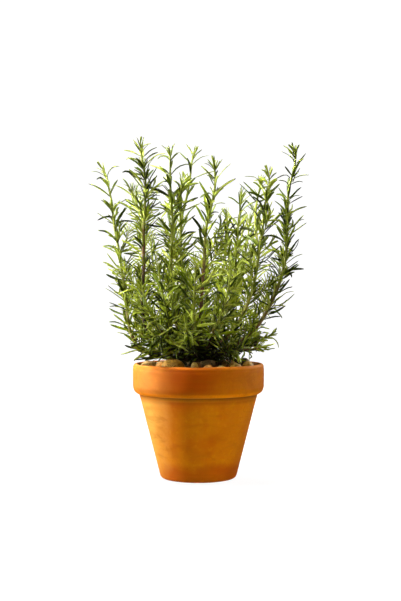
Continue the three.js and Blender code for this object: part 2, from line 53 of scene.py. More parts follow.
# Sprig stems: radius at the foot and at the tip in mm, the stem it leaves (or None), and the route from tip to foot as x, y, z in tenths of a millimetre.
# Leaves: width in tenths of a millimetre, distance from the sprig's tip in mm (negative for the young leaves of an axil tuft), then the midline from foot to tip as x, y, z in tenths of a millimetre.
# Twigs: the midline from tip to foot. Pebbles: name, x, y, half length, half width, top, turn.
SPRIGS = {
    "sprig_far_left": (2.5, 0.9, None, [
        -1324, 350, 4140, -1225, 345, 3957, -1181, 336, 3755, -1139, 325, 3551, -1123, 310, 3344, -1086, 294, 3139, -1044, 276, 2936, -1017, 255, 2730, -980, 234, 2526, -952, 210, 2320, -932, 185, 2114, -895, 159, 1910, -810, 131, 1723, -642, 102, 1608, -439, 72, 1572, -234, 40, 1545, -33, 8, 1501]),
    "sprig_left_tall": (2.9, 1.0, None, [
        -718, -450, 4365, -719, -444, 4162, -683, -432, 3962, -667, -416, 3760, -673, -397, 3558, -685, -374, 3356, -697, -350, 3154, -696, -323, 2952, -696, -295, 2751, -706, -264, 2550, -712, -232, 2349, -706, -198, 2148, -663, -163, 1953, -560, -126, 1783, -394, -88, 1673, -213, -40, 1592, -30, -8, 1510]),
    "sprig_centre_left": (2.7, 0.9, None, [
        -359, -180, 4281, -360, -176, 4045, -361, -169, 3809, -345, -159, 3573, -332, -147, 3338, -336, -133, 3102, -348, -118, 2866, -354, -101, 2630, -349, -83, 2394, -321, -64, 2161, -254, -44, 1935, -138, -24, 1731, -12, -4, 1532]),
    "sprig_centre_tall": (2.6, 0.9, None, [
        -11, 520, 4352, -62, 516, 4240, -91, 510, 4139, -110, 495, 3961, -154, 465, 3692, -199, 442, 3523, -225, 416, 3356, -239, 374, 3104, -225, 318, 2811, -184, 237, 2440, -111, 146, 2073, -34, 57, 1718, -16, 36, 1632, 5, 12, 1537]),
    "sprig_centre_right": (2.8, 1.0, None, [
        170, -620, 4117, 207, -605, 3898, 202, -578, 3677, 154, -542, 3463, 104, -499, 3250, 84, -449, 3034, 74, -395, 2818, 57, -337, 2603, 45, -275, 2390, 32, -208, 2177, 21, -142, 1965, 19, -78, 1751, 16, -14, 1538]),
    "sprig_right_inner": (2.4, 0.8, None, [
        570, 280, 3781, 557, 276, 3622, 546, 267, 3458, 526, 256, 3292, 512, 237, 3074, 492, 217, 2882, 472, 189, 2638, 436, 153, 2375, 374, 114, 2113, 268, 72, 1879, 138, 43, 1691, 92, 27, 1616, 41, 9, 1532]),
    "sprig_right_mid": (2.6, 0.9, None, [
        858, -120, 4042, 914, -118, 3858, 881, -114, 3663, 854, -109, 3466, 832, -103, 3269, 802, -96, 3073, 776, -88, 2877, 748, -79, 2680, 708, -69, 2486, 650, -59, 2297, 570, -49, 2116, 466, -37, 1947, 337, -24, 1797, 189, -25, 1665, 50, -5, 1525]),
    "sprig_far_right": (2.8, 0.9, None, [
        1229, 180, 4367, 1272, 178, 4174, 1241, 174, 3982, 1193, 168, 3790, 1171, 161, 3594, 1173, 153, 3396, 1161, 145, 3200, 1154, 135, 3003, 1131, 125, 2807, 1085, 114, 2615, 1019, 102, 2429, 939, 89, 2249, 843, 76, 2077, 724, 62, 1920, 580, 48, 1787, 410, 30, 1689, 239, -1, 1595, 60, 0, 1511]),
    "sprig_back_centre": (2.2, 0.8, None, [
        383, 860, 3550, 394, 851, 3436, 389, 804, 3189, 360, 711, 2873, 303, 565, 2506, 220, 384, 2147, 65, 102, 1701, 46, 64, 1622, 25, 21, 1534]),
    "sprig_back_right": (2.3, 0.8, None, [
        707, 1010, 3515, 696, 981, 3293, 652, 897, 2987, 564, 741, 2602, 437, 537, 2224, 272, 317, 1910, 133, 130, 1654, 89, 81, 1592, 40, 27, 1524]),
    "sprig_low_right": (1.7, 0.7, None, [
        1016, 220, 1922, 944, 214, 1840, 845, 202, 1794, 730, 183, 1741, 571, 152, 1699, 400, 111, 1656, 225, 83, 1572, 146, 52, 1542, 59, 17, 1507]),
    "sprig_low_right_front": (1.8, 0.8, None, [
        832, -480, 1744, 739, -462, 1707, 615, -415, 1689, 478, -345, 1673, 327, -247, 1636, 192, -140, 1573, 125, -87, 1542, 52, -29, 1507]),
    "sprig_front_centre": (2.2, 0.8, None, [
        -27, -1160, 2780, -40, -1059, 2540, -53, -828, 2259, -42, -545, 1991, 3, -165, 1664, 8, -103, 1599, 13, -34, 1526]),
    "sprig_front_right": (2.2, 0.8, None, [
        399, -960, 2784, 371, -857, 2492, 307, -664, 2206, 198, -406, 1923, 90, -156, 1657, 62, -97, 1594, 31, -32, 1525]),
    "sprig_front_left_pale": (2.3, 0.8, None, [
        -505, -740, 2789, -475, -695, 2567, -431, -596, 2320, -370, -457, 2064, -293, -303, 1830, -117, -115, 1655, -67, -72, 1593, -12, -24, 1524]),
    "sprig_front_low_left": (2.1, 0.8, None, [
        -702, -880, 2529, -644, -804, 2283, -539, -654, 2044, -370, -443, 1824, -115, -175, 1591, -66, -109, 1553, -12, -36, 1511]),
    "sprig_back_left": (2.3, 0.8, None, [
        -672, 1040, 3241, -642, 979, 2934, -554, 820, 2548, -411, 591, 2169, -218, 328, 1856, -105, 130, 1652, -60, 81, 1591, -10, 27, 1524]),
    "sprig_back_mid_left": (2.2, 0.8, None, [
        -300, 1130, 3189, -285, 1053, 2881, -226, 836, 2465, -141, 530, 2063, -23, 155, 1669, -9, 97, 1602, 7, 32, 1527]),
    "sprig_back_mid": (2.2, 0.8, None, [
        118, 1190, 3136, 117, 1090, 2799, 102, 857, 2411, 74, 515, 2010, 59, 176, 1648, 43, 110, 1589, 24, 37, 1523]),
    "sprig_back_low_left": (2.1, 0.8, None, [
        -948, 780, 2738, -877, 729, 2466, -749, 614, 2169, -554, 453, 1905, -296, 252, 1701, -162, 130, 1586, -96, 81, 1550, -22, 27, 1510]),
    "sprig_back_low_right": (2.1, 0.8, None, [
        964, 840, 2465, 865, 777, 2220, 696, 630, 1966, 460, 423, 1759, 175, 154, 1581, 115, 96, 1547, 48, 32, 1509]),
    "sprig_low_left": (1.8, 0.8, None, [
        -763, -420, 1949, -650, -389, 1828, -501, -322, 1723, -337, -234, 1655, -178, -119, 1569, -106, -74, 1539, -25, -25, 1506]),
    "sprig_low_back": (1.8, 0.8, None, [
        -175, 1120, 2270, -117, 929, 2025, -33, 503, 1769, -7, 212, 1601, 1, 132, 1559, 10, 44, 1513]),
    "sprig_low_front": (1.8, 0.8, None, [
        -176, -840, 2099, -141, -691, 1921, -81, -389, 1733, -34, -208, 1598, -16, -130, 1558, 5, -43, 1513]),
    "sprig_left_small": (1.7, 0.8, 'sprig_left_tall', [
        -886, -80, 3811, -860, -88, 3736, -820, -119, 3613, -765, -176, 3474, -716, -259, 3322, -696, -353, 3176]),
    "sprig_centre_small": (1.6, 0.8, 'sprig_centre_tall', [
        -206, 220, 3979, -211, 227, 3865, -232, 255, 3676, -240, 294, 3511, -240, 333, 3381, -236, 392, 3210]),
    "sprig_right_small": (1.7, 0.8, 'sprig_right_mid', [
        814, 260, 3950, 813, 250, 3825, 784, 221, 3674, 754, 173, 3506, 743, 106, 3329, 756, 20, 3142, 785, -91, 2947]),
}
LEAVES = {
    "sprig_far_left": [
        [18,1,-1273,354,4054,-1299,382,4078,-1344,459,4158],
        [20,12,-1225,353,3955,-1250,400,4005,-1276,455,4055],
        [23,14,-1225,343,3935,-1282,326,3975,-1347,310,4006,-1419,295,4006],
        [28,23,-1199,339,3850,-1212,335,3853,-1293,304,3926,-1347,287,3899],
        [24,15,-1207,341,3931,-1190,326,4000,-1129,305,4065,-1039,284,4076],
        [28,40,-1181,332,3681,-1262,333,3756,-1357,333,3813,-1462,333,3848],
        [23,28,-1187,346,3802,-1224,420,3858,-1265,502,3913],
        [27,36,-1171,330,3724,-1135,301,3782,-1106,271,3839,-1063,239,3890],
        [30,61,-1134,313,3478,-1163,292,3532,-1211,262,3580,-1259,228,3641],
        [26,57,-1129,331,3518,-1119,372,3559,-1105,422,3599],
        [22,59,-1125,330,3498,-1103,378,3533,-1077,434,3567],
        [34,67,-1119,309,3419,-1081,273,3439,-1073,214,3502,-1038,180,3529],
        [29,77,-1130,306,3318,-1195,285,3369,-1267,263,3411,-1336,242,3458],
        [30,75,-1112,310,3340,-1107,307,3393,-1225,305,3411,-1338,303,3360],
        [32,74,-1113,308,3350,-1045,288,3388,-962,245,3533],
        [35,99,-1088,285,3102,-1154,265,3169,-1234,240,3215,-1325,215,3222],
        [30,115,-1034,275,2950,-1084,252,2991,-1169,228,3023,-1259,205,3016],
        [28,118,-1054,277,2917,-1109,296,2946,-1186,322,2990,-1271,347,3021],
        [26,137,-1029,253,2729,-1067,243,2742,-1203,186,2925],
        [35,143,-1018,245,2671,-1096,216,2721,-1170,187,2775,-1256,159,2810],
        [31,151,-1004,244,2592,-1071,267,2632,-1131,289,2687,-1203,310,2724],
        [35,153,-1001,234,2573,-1076,212,2586,-1146,189,2613,-1214,167,2649],
        [27,115,-1036,283,2949,-1021,305,2961,-1049,375,2893,-1054,418,2847],
        [32,164,-984,223,2465,-987,217,2466,-1043,158,2536,-1096,112,2581],
        [26,163,-984,235,2474,-1022,257,2499,-1099,298,2518,-1172,336,2522],
        [28,176,-969,217,2346,-1040,240,2374,-1107,266,2429,-1202,300,2503],
        [28,182,-963,207,2287,-1046,208,2349,-1134,208,2412,-1227,209,2466],
        [30,174,-968,206,2368,-1024,152,2388,-1031,115,2430,-1020,82,2472],
        [30,193,-952,198,2179,-1022,220,2210,-1100,244,2246,-1181,269,2276],
        [32,198,-919,190,2132,-901,216,2186,-982,238,2221,-1065,259,2254],
        [35,193,-952,189,2180,-1035,167,2218,-1099,151,2232,-1166,136,2223],
        [30,202,-944,185,2090,-1022,205,2127,-1104,225,2157,-1180,244,2199],
        [32,212,-931,173,1990,-953,179,1996,-1037,203,2060,-1123,229,2125],
        [35,216,-922,160,1952,-1003,136,1989,-1084,111,2023,-1172,87,2023],
        [33,221,-908,162,1902,-930,169,1911,-1069,213,1954,-1165,241,1985],
        [34,229,-880,155,1826,-916,175,1836,-994,222,1868,-1073,264,1877],
        [34,255,-716,119,1622,-732,133,1611,-790,183,1669,-833,226,1722],
        [34,249,-768,114,1659,-875,80,1639,-944,56,1616,-1017,36,1602],
        [30,244,-803,116,1698,-874,59,1691,-959,-10,1724],
        [34,265,-613,98,1618,-626,92,1624,-783,48,1561,-842,31,1527],
        [17,0,-1279,347,4063,-1307,347,4107,-1335,352,4150],
        [17,1,-1272,343,4055,-1303,330,4099,-1336,313,4140],
        [17,2,-1269,353,4046,-1303,367,4090,-1340,388,4127],
        [17,3,-1265,344,4037,-1306,326,4085,-1344,299,4132],
        [21,4,-1258,342,4029,-1297,318,4086,-1340,286,4137],
        [21,5,-1250,352,4021,-1264,379,4083,-1273,414,4141],
        [21,6,-1248,353,4011,-1264,405,4065,-1269,471,4103],
        [21,7,-1248,351,4000,-1301,376,4039,-1360,402,4066],
        [21,9,-1235,352,3984,-1252,417,4043,-1264,497,4080],
        [21,10,-1235,351,3973,-1281,425,4008,-1316,511,4024],
        [33,19,-1204,351,3889,-1242,385,3974,-1282,452,4037],
        [31,27,-1184,348,3812,-1192,467,3881,-1217,601,3901],
        [31,27,-1187,331,3812,-1222,238,3876,-1272,133,3891],
        [32,39,-1181,339,3691,-1305,426,3783,-1443,502,3862],
        [24,-39,-1176,344,3706,-1182,388,3755,-1176,441,3794],
        [32,39,-1170,325,3694,-1120,223,3793,-1051,128,3887],
        [36,62,-1123,309,3469,-1085,200,3551,-1015,82,3583],
        [24,-62,-1122,311,3484,-1106,280,3535,-1101,246,3586],
        [24,-62,-1116,320,3483,-1081,323,3555,-1037,319,3623],
        [24,-62,-1119,315,3493,-1080,287,3563,-1038,240,3619],
        [36,62,-1136,324,3468,-1205,369,3581,-1302,452,3640],
        [24,-62,-1139,320,3485,-1204,323,3559,-1272,309,3627],
        [24,-62,-1136,329,3488,-1148,342,3540,-1158,355,3593],
        [24,-62,-1133,331,3490,-1165,396,3555,-1196,479,3595],
        [34,74,-1120,321,3348,-1102,435,3430,-1084,556,3502],
        [24,-74,-1123,323,3362,-1123,357,3409,-1117,404,3442],
        [24,-74,-1127,324,3372,-1140,390,3452,-1148,477,3509],
        [35,86,-1093,297,3233,-1050,285,3399,-942,269,3531],
        [24,-86,-1095,303,3248,-1062,306,3306,-1015,301,3353],
        [24,-86,-1104,292,3255,-1108,265,3339,-1118,236,3421],
        [24,-86,-1096,298,3248,-1060,284,3300,-1027,267,3353],
        [33,102,-1076,277,3075,-1143,192,3161,-1223,97,3223],
        [24,-102,-1071,278,3093,-1069,222,3165,-1072,150,3222],
        [24,-102,-1083,280,3087,-1119,262,3139,-1161,252,3189],
        [33,102,-1066,299,3075,-1030,423,3186,-968,536,3297],
        [24,-102,-1064,293,3099,-1066,304,3181,-1066,314,3264],
        [24,-102,-1074,303,3090,-1086,336,3139,-1099,381,3175],
        [24,-102,-1068,301,3094,-1059,347,3174,-1045,393,3253],
        [24,-102,-1063,291,3098,-1026,302,3163,-985,316,3225],
        [36,116,-1035,267,2940,-962,200,3044,-865,129,3122],
        [24,-116,-1033,275,2952,-983,270,3027,-923,254,3092],
        [24,-116,-1035,269,2954,-991,241,3042,-941,217,3127],
        [36,116,-1050,287,2937,-1106,401,2986,-1151,528,3009],
        [32,128,-1030,278,2818,-1037,377,2919,-1024,508,2969],
        [24,-128,-1038,280,2836,-1065,335,2911,-1108,405,2964],
        [24,-128,-1026,278,2838,-1023,318,2934,-1030,368,3026],
        [32,128,-1034,251,2820,-1070,150,2940,-1111,24,3031],
        [24,-128,-1033,253,2843,-1038,228,2896,-1049,199,2946],
        [24,-128,-1047,261,2839,-1082,263,2935,-1140,256,3019],
        [24,-128,-1040,254,2843,-1056,250,2905,-1086,243,2961],
        [30,141,-1018,262,2689,-1120,379,2733,-1231,489,2778],
        [24,-141,-1022,266,2713,-1051,303,2746,-1080,344,2773],
        [24,-141,-1014,267,2706,-1029,301,2764,-1047,341,2817],
        [30,141,-996,249,2695,-930,241,2820,-853,229,2939],
        [32,151,-997,228,2595,-1056,127,2672,-1121,10,2713],
        [32,151,-981,251,2595,-941,318,2746,-837,400,2852],
        [24,-151,-993,257,2605,-1001,309,2665,-1014,364,2722],
        [24,-151,-980,243,2616,-949,246,2664,-917,246,2710],
        [24,-151,-981,249,2615,-934,284,2680,-887,330,2737],
        [29,162,-968,216,2489,-932,129,2613,-861,9,2683],
        [29,162,-979,242,2484,-1040,354,2535,-1117,459,2577],
        [24,-162,-991,239,2509,-1042,271,2561,-1092,312,2608],
        [24,-162,-985,244,2501,-1010,275,2551,-1042,314,2592],
        [24,-162,-992,233,2506,-1049,250,2571,-1100,282,2634],
        [37,171,-960,234,2396,-956,364,2490,-911,515,2524],
        [24,-171,-949,226,2423,-920,239,2471,-888,252,2518],
        [24,-171,-958,236,2420,-953,274,2475,-953,318,2526],
        [24,-171,-964,238,2418,-975,285,2481,-994,348,2527],
        [24,-171,-957,235,2413,-945,295,2469,-945,360,2521],
        [37,171,-967,205,2399,-1018,84,2487,-1041,-40,2582],
        [24,-171,-977,212,2422,-1020,191,2475,-1076,167,2512],
        [24,-171,-970,207,2412,-993,177,2460,-1024,135,2493],
        [24,-171,-964,205,2413,-973,169,2494,-973,108,2560],
        [24,-171,-980,218,2420,-1040,220,2495,-1100,236,2568],
        [32,180,-961,221,2306,-1034,304,2384,-1126,395,2420],
        [24,-180,-969,209,2330,-998,211,2400,-1035,199,2465],
        [24,-180,-951,227,2328,-958,270,2400,-970,312,2473],
        [24,-180,-960,225,2321,-985,262,2378,-1023,302,2426],
        [24,-180,-967,221,2329,-995,246,2382,-1023,281,2428],
        [32,180,-946,195,2311,-919,79,2420,-901,-76,2458],
        [24,-180,-937,209,2327,-905,216,2418,-845,221,2493],
        [24,-180,-940,200,2323,-925,188,2397,-902,169,2468],
        [24,-180,-948,197,2334,-952,191,2413,-951,165,2487],
        [37,192,-940,179,2192,-957,48,2296,-947,-83,2401],
        [24,-192,-945,181,2209,-964,153,2291,-993,127,2370],
        [24,-192,-937,180,2208,-932,143,2268,-918,106,2327],
        [37,192,-933,209,2189,-924,283,2306,-912,386,2397],
        [24,-192,-926,206,2204,-907,228,2273,-867,250,2332],
        [24,-192,-924,199,2208,-885,217,2295,-847,232,2383],
        [32,202,-921,169,2094,-879,94,2200,-845,15,2307],
        [32,202,-935,197,2089,-981,310,2168,-1021,441,2213],
        [36,214,-907,183,1973,-891,316,2086,-844,449,2190],
        [36,214,-917,152,1975,-960,70,2084,-974,-30,2185],
        [24,-214,-924,154,1987,-952,147,2070,-984,117,2147],
        [24,-214,-931,161,1991,-977,146,2027,-1029,127,2050],
        [35,226,-885,167,1855,-949,256,1937,-996,367,2001],
        [24,-226,-890,171,1873,-910,192,1925,-920,214,1979],
        [24,-226,-886,173,1881,-911,247,1946,-934,334,1991],
        [24,-226,-898,161,1868,-944,183,1915,-987,212,1961],
        [35,226,-868,139,1865,-836,63,2000,-784,-45,2105],
        [37,239,-828,118,1743,-912,27,1833,-965,-109,1876],
        [37,239,-819,151,1744,-826,307,1829,-827,477,1879],
        [24,-239,-822,139,1771,-848,152,1846,-858,165,1924],
        [24,-239,-821,149,1760,-825,183,1817,-828,212,1876],
        [24,-239,-835,156,1763,-863,181,1811,-884,216,1857],
        [36,249,-747,117,1683,-740,98,1833,-715,48,1973],
        [36,249,-764,134,1660,-871,222,1675,-963,324,1693],
        [24,-249,-775,142,1679,-835,215,1704,-896,292,1706],
        [24,-249,-789,117,1673,-867,113,1692,-947,108,1701],
        [24,-249,-779,130,1665,-830,142,1695,-887,158,1709],
        [31,259,-671,125,1620,-719,259,1655,-713,403,1677],
        [24,-259,-688,125,1637,-745,160,1681,-797,199,1726],
        [24,-259,-685,118,1641,-736,145,1690,-768,190,1742],
        [31,259,-676,89,1619,-792,4,1673,-860,-116,1740],
        [24,-259,-694,91,1625,-743,56,1639,-782,8,1643],
        [24,-259,-695,92,1633,-761,32,1679,-808,-52,1706],
        [24,-259,-701,94,1619,-757,89,1635,-809,75,1656],
        [37,270,-569,76,1602,-726,42,1675,-854,0,1789],
        [24,-270,-580,99,1613,-658,114,1650,-735,115,1693],
        [24,-270,-590,77,1603,-663,69,1621,-736,54,1629],
        [33,279,-484,62,1569,-627,18,1558,-767,-36,1570],
        [24,-279,-500,78,1561,-596,87,1540,-692,92,1516],
        [24,-279,-505,62,1581,-564,34,1588,-610,-12,1592],
        [33,279,-477,94,1587,-548,194,1646,-622,296,1694],
        [24,-279,-494,88,1598,-560,115,1658,-617,138,1728],
        [24,-279,-493,99,1574,-565,157,1574,-618,233,1576],
        [24,-279,-499,91,1598,-555,104,1617,-600,120,1654],
        [36,289,-382,56,1582,-464,25,1722,-529,5,1873],
        [30,298,-291,60,1569,-362,145,1683,-362,244,1807],
        [24,-298,-312,72,1550,-396,118,1549,-472,175,1535],
        [24,-298,-313,63,1573,-383,108,1633,-425,169,1705],
        [24,-298,-305,71,1549,-370,137,1543,-424,213,1539],
        [24,-298,-306,71,1561,-364,131,1585,-420,193,1607],
        [30,298,-298,30,1551,-453,-12,1564,-572,-122,1571],
        [24,-298,-323,38,1544,-405,31,1543,-481,2,1540],
        [24,-298,-312,34,1545,-369,11,1533,-425,-17,1526],
        [24,-298,-314,41,1538,-403,30,1513,-485,4,1478],
        [26,5,-1149,163,3544,-1141,128,3591,-1140,85,3632],
        [26,5,-1157,167,3543,-1195,157,3594,-1250,149,3626],
        [22,8,-1143,177,3516,-1146,192,3594,-1159,219,3667],
        [22,8,-1147,168,3514,-1174,115,3564,-1205,51,3597],
        [25,13,-1139,188,3467,-1183,181,3548,-1250,204,3608],
        [25,13,-1131,182,3467,-1088,116,3535,-1020,56,3584],
        [26,18,-1125,195,3419,-1130,111,3474,-1140,25,3525],
        [26,18,-1126,205,3422,-1139,205,3525,-1131,214,3628],
        [28,25,-1111,221,3354,-1084,133,3422,-1035,34,3453],
        [22,2,-1029,228,3272,-1019,189,3322,-1001,151,3370],
        [22,2,-1027,235,3272,-1001,254,3323,-969,279,3367],
        [21,5,-1028,236,3243,-981,245,3300,-924,256,3346],
        [21,5,-1036,238,3244,-1063,256,3304,-1103,269,3359],
        [28,9,-1033,243,3205,-996,254,3266,-945,263,3316],
        [28,9,-1038,235,3204,-1038,182,3260,-1034,112,3293],
        [28,14,-1051,253,3149,-1076,233,3242,-1100,204,3333],
        [28,14,-1040,252,3147,-969,222,3201,-903,181,3253],
        [20,2,-923,343,3224,-908,357,3287,-889,367,3350],
        [20,2,-917,349,3222,-876,366,3270,-819,378,3302],
        [24,5,-921,342,3193,-871,348,3244,-805,358,3269],
        [24,5,-929,346,3193,-939,376,3265,-970,406,3330],
        [23,9,-930,340,3153,-878,375,3202,-806,405,3218],
        [23,9,-938,335,3155,-952,335,3230,-995,318,3291],
        [27,13,-948,332,3117,-992,364,3195,-1059,391,3257],
        [27,13,-938,329,3114,-859,333,3163,-775,326,3201],
        [25,18,-958,315,3070,-947,264,3179,-919,209,3284],
        [25,18,-954,324,3066,-874,407,3109,-791,486,3152],
        [28,25,-976,302,3003,-884,265,3037,-792,220,3019],
        [28,25,-984,310,3004,-1001,412,3090,-1031,537,3129],
        [20,2,-1025,94,2846,-1026,58,2892,-1027,7,2921],
        [20,2,-1022,102,2850,-1021,91,2914,-1026,97,2978],
        [24,5,-1021,110,2820,-1014,59,2858,-1016,2,2885],
        [24,5,-1026,117,2824,-1051,103,2890,-1080,83,2953],
        [23,9,-1021,141,2792,-1021,125,2879,-1006,117,2966],
        [23,9,-1022,132,2786,-1029,49,2806,-1032,-36,2796],
        [26,13,-1022,165,2761,-1045,123,2860,-1060,114,2968],
        [26,13,-1014,159,2756,-978,71,2796,-938,-24,2806],
        [28,19,-1018,201,2711,-1072,115,2709,-1126,39,2667],
        [28,19,-1013,208,2720,-1017,187,2847,-1038,188,2974],
        [23,9,-971,129,2803,-1009,92,2874,-1056,36,2924],
        [23,14,-969,151,2747,-997,159,2830,-1037,156,2908],
        [23,14,-961,145,2745,-896,89,2821,-815,49,2891],
        [28,20,-970,162,2688,-993,64,2739,-996,-38,2788],
        [28,20,-962,168,2691,-866,172,2765,-771,172,2842],
        [28,27,-968,185,2633,-911,86,2684,-844,-9,2731],
        [28,27,-972,195,2638,-974,230,2759,-969,301,2862],
        [20,2,-715,366,2569,-692,382,2628,-668,387,2688],
        [20,2,-709,367,2565,-652,374,2600,-599,375,2641],
        [27,5,-725,354,2543,-688,337,2601,-648,294,2641],
        [27,5,-729,362,2542,-720,412,2595,-712,471,2639],
        [25,10,-746,340,2498,-679,369,2541,-603,394,2572],
        [25,10,-754,339,2504,-748,349,2581,-771,337,2655],
        [26,15,-776,326,2459,-710,400,2524,-644,478,2583],
        [26,15,-773,317,2462,-707,335,2528,-631,350,2585],
        [28,22,-820,292,2414,-807,321,2515,-840,350,2611],
        [28,22,-812,293,2407,-680,326,2387,-548,350,2361],
        [28,32,-879,246,2347,-808,253,2446,-759,213,2551],
        [28,32,-883,256,2345,-869,361,2420,-863,475,2482],
        [21,2,-875,48,2406,-875,14,2446,-868,-27,2477],
        [21,2,-874,56,2408,-867,59,2470,-870,74,2530],
        [26,5,-874,57,2377,-845,37,2441,-816,19,2506],
        [26,5,-882,61,2380,-893,60,2446,-917,62,2509],
        [25,9,-883,73,2341,-863,73,2409,-845,74,2478],
        [25,9,-889,64,2340,-899,14,2402,-900,-39,2461],
        [28,13,-896,84,2305,-921,93,2384,-949,120,2458],
        [28,13,-888,79,2302,-818,28,2341,-754,-27,2382],
        [28,20,-905,102,2238,-896,-18,2272,-866,-137,2293],
        [28,20,-902,112,2242,-850,107,2367,-797,109,2491],
        [26,27,-911,139,2178,-830,74,2265,-736,31,2352],
        [26,27,-922,142,2183,-958,114,2300,-1017,109,2410],
        [23,2,-800,75,2196,-817,63,2243,-853,53,2278],
        [23,2,-792,79,2196,-768,82,2259,-724,103,2306],
        [21,5,-796,77,2165,-773,38,2215,-746,-10,2252],
        [21,5,-802,84,2167,-823,101,2236,-856,123,2299],
        [24,9,-799,89,2126,-750,94,2201,-701,104,2276],
        [24,9,-808,86,2127,-827,70,2195,-878,63,2246],
        [28,14,-815,101,2079,-816,116,2188,-838,170,2282],
        [28,14,-814,92,2077,-821,36,2143,-827,-25,2203],
        [28,22,-834,111,2011,-834,84,2143,-856,79,2275],
        [28,22,-823,112,2008,-714,84,2092,-598,54,2164],
        [28,30,-856,126,1935,-853,17,1983,-861,-101,1972],
        [28,30,-853,138,1937,-809,210,2026,-770,316,2074],
        [26,2,-834,326,1994,-848,347,2048,-875,358,2100],
        [26,2,-826,326,1997,-815,346,2043,-789,353,2086],
        [25,4,-821,315,1980,-822,325,2056,-802,329,2129],
        [25,4,-822,322,1977,-835,363,2029,-842,403,2084],
        [24,8,-807,300,1945,-803,327,2024,-770,329,2100],
        [24,8,-815,298,1944,-872,306,2009,-938,306,2066],
        [28,12,-799,287,1908,-801,356,1955,-803,423,2005],
        [28,12,-798,279,1912,-798,295,2013,-780,275,2112],
        [25,18,-794,255,1868,-852,269,1954,-927,256,2027],
        [25,18,-785,260,1867,-757,336,1949,-732,422,2021],
        [28,24,-776,222,1820,-740,224,1954,-680,196,2077],
        [28,24,-784,229,1814,-856,308,1852,-955,363,1859],
        [28,32,-763,174,1744,-688,233,1827,-586,285,1882],
        [28,32,-776,173,1745,-833,229,1841,-918,274,1922],
        [26,2,-714,131,1828,-757,131,1868,-797,118,1909],
        [26,2,-712,139,1828,-745,164,1861,-774,202,1884],
        [21,5,-689,128,1810,-714,137,1869,-707,149,1932],
        [21,5,-695,130,1804,-757,151,1836,-825,174,1837],
        [25,8,-670,127,1786,-688,182,1838,-690,249,1879],
        [25,8,-674,118,1785,-725,88,1828,-759,30,1856],
        [28,13,-644,117,1744,-706,151,1786,-770,191,1818],
        [28,13,-640,109,1749,-698,97,1835,-750,45,1908],
        [24,18,-612,101,1696,-703,69,1729,-787,27,1769],
        [24,18,-604,108,1700,-590,163,1782,-538,218,1845],
        [20,2,-636,-13,1657,-683,-33,1660,-726,-60,1658],
        [20,2,-634,-12,1665,-687,-30,1689,-740,-51,1711],
        [26,5,-608,-7,1651,-657,-61,1660,-685,-128,1673],
        [26,5,-610,1,1650,-682,6,1659,-749,29,1671],
        [26,8,-579,4,1648,-628,-31,1702,-646,-76,1767],
        [26,8,-583,4,1639,-659,-40,1616,-739,-72,1585],
        [28,12,-550,24,1627,-640,24,1643,-730,31,1657],
        [28,12,-545,15,1631,-591,-63,1686,-629,-137,1750],
        [25,18,-501,41,1599,-582,-15,1589,-649,-80,1553],
        [25,18,-496,43,1610,-550,-2,1717,-588,-15,1838],
        [31,119,-1031,267,2910,-987,239,2958,-929,209,2986],
        [29,116,-1033,275,2940,-933,268,2964,-848,260,3021],
        [31,269,-582,89,1578,-702,91,1543,-826,90,1526],
        [26,77,-1109,307,3321,-976,284,3355,-839,261,3340],
        [27,242,-814,117,1716,-854,99,1739,-895,72,1749],
        [27,281,-465,64,1562,-499,46,1541,-519,23,1509],
        [25,77,-1129,312,3318,-1172,328,3333,-1213,343,3353],
        [25,74,-1133,314,3348,-1159,325,3400,-1198,337,3442],
        [31,95,-1098,292,3141,-1148,283,3146,-1193,273,3167],
        [32,143,-1017,256,2670,-1084,300,2650,-1153,342,2667],
        [28,53,-1132,328,3559,-1045,362,3596,-963,395,3644],
        [29,107,-1071,285,3024,-1138,288,2996,-1210,293,2993],
        [29,254,-727,110,1628,-783,90,1568,-845,70,1513],
        [26,29,-1188,331,3792,-1214,301,3845,-1260,266,3880],
        [28,298,-292,54,1570,-312,76,1635,-317,90,1704],
        [26,288,-395,48,1570,-447,-52,1602,-454,-165,1629],
        [27,282,-449,74,1591,-531,83,1678,-573,62,1788],
        [22,302,-254,35,1564,-322,22,1622,-367,1,1697],
        [30,312,-153,33,1547,-212,70,1637,-266,106,1731],
        [27,320,-83,-2,1518,-189,-49,1562,-286,-116,1599],
        [23,310,-180,13,1537,-260,-6,1563,-321,-57,1596],
        [26,320,-84,-3,1514,-119,-58,1527,-157,-111,1542],
        [22,302,-258,25,1551,-304,-66,1567,-346,-160,1579],
        [29,296,-315,37,1565,-404,-5,1612,-478,-56,1673],
        [28,270,-570,97,1576,-637,115,1546,-708,115,1520],
        [25,288,-391,63,1583,-416,61,1663,-448,52,1740],
        [28,288,-395,47,1567,-482,-17,1589,-548,-91,1635],
        [27,290,-376,44,1563,-459,6,1571,-544,-26,1579],
        [24,308,-193,31,1557,-224,30,1665,-258,57,1769],
        [23,290,-373,52,1578,-395,0,1663,-382,-66,1739],
        [24,264,-625,89,1617,-614,47,1669,-591,5,1718],
        [23,290,-375,45,1570,-445,-5,1611,-514,-38,1670],
        [24,278,-490,68,1592,-530,31,1638,-576,-11,1673],
        [24,256,-696,101,1643,-671,54,1702,-633,10,1757],
        [31,294,-335,41,1569,-351,-11,1616,-374,-58,1667],
        [24,304,-236,26,1557,-299,0,1593,-349,-35,1640],
    ],
    "sprig_left_tall": [
        [21,1,-727,-455,4265,-729,-480,4294,-706,-554,4369],
        [21,7,-729,-450,4205,-746,-466,4208,-791,-533,4269],
        [26,14,-725,-444,4135,-747,-450,4138,-838,-474,4183,-937,-498,4197],
        [28,26,-703,-439,4016,-762,-460,4072,-853,-487,4101,-908,-503,4079],
        [32,45,-678,-421,3830,-813,-422,3882,-893,-422,3944,-966,-422,3923],
        [27,6,-716,-443,4216,-679,-431,4269,-595,-412,4291],
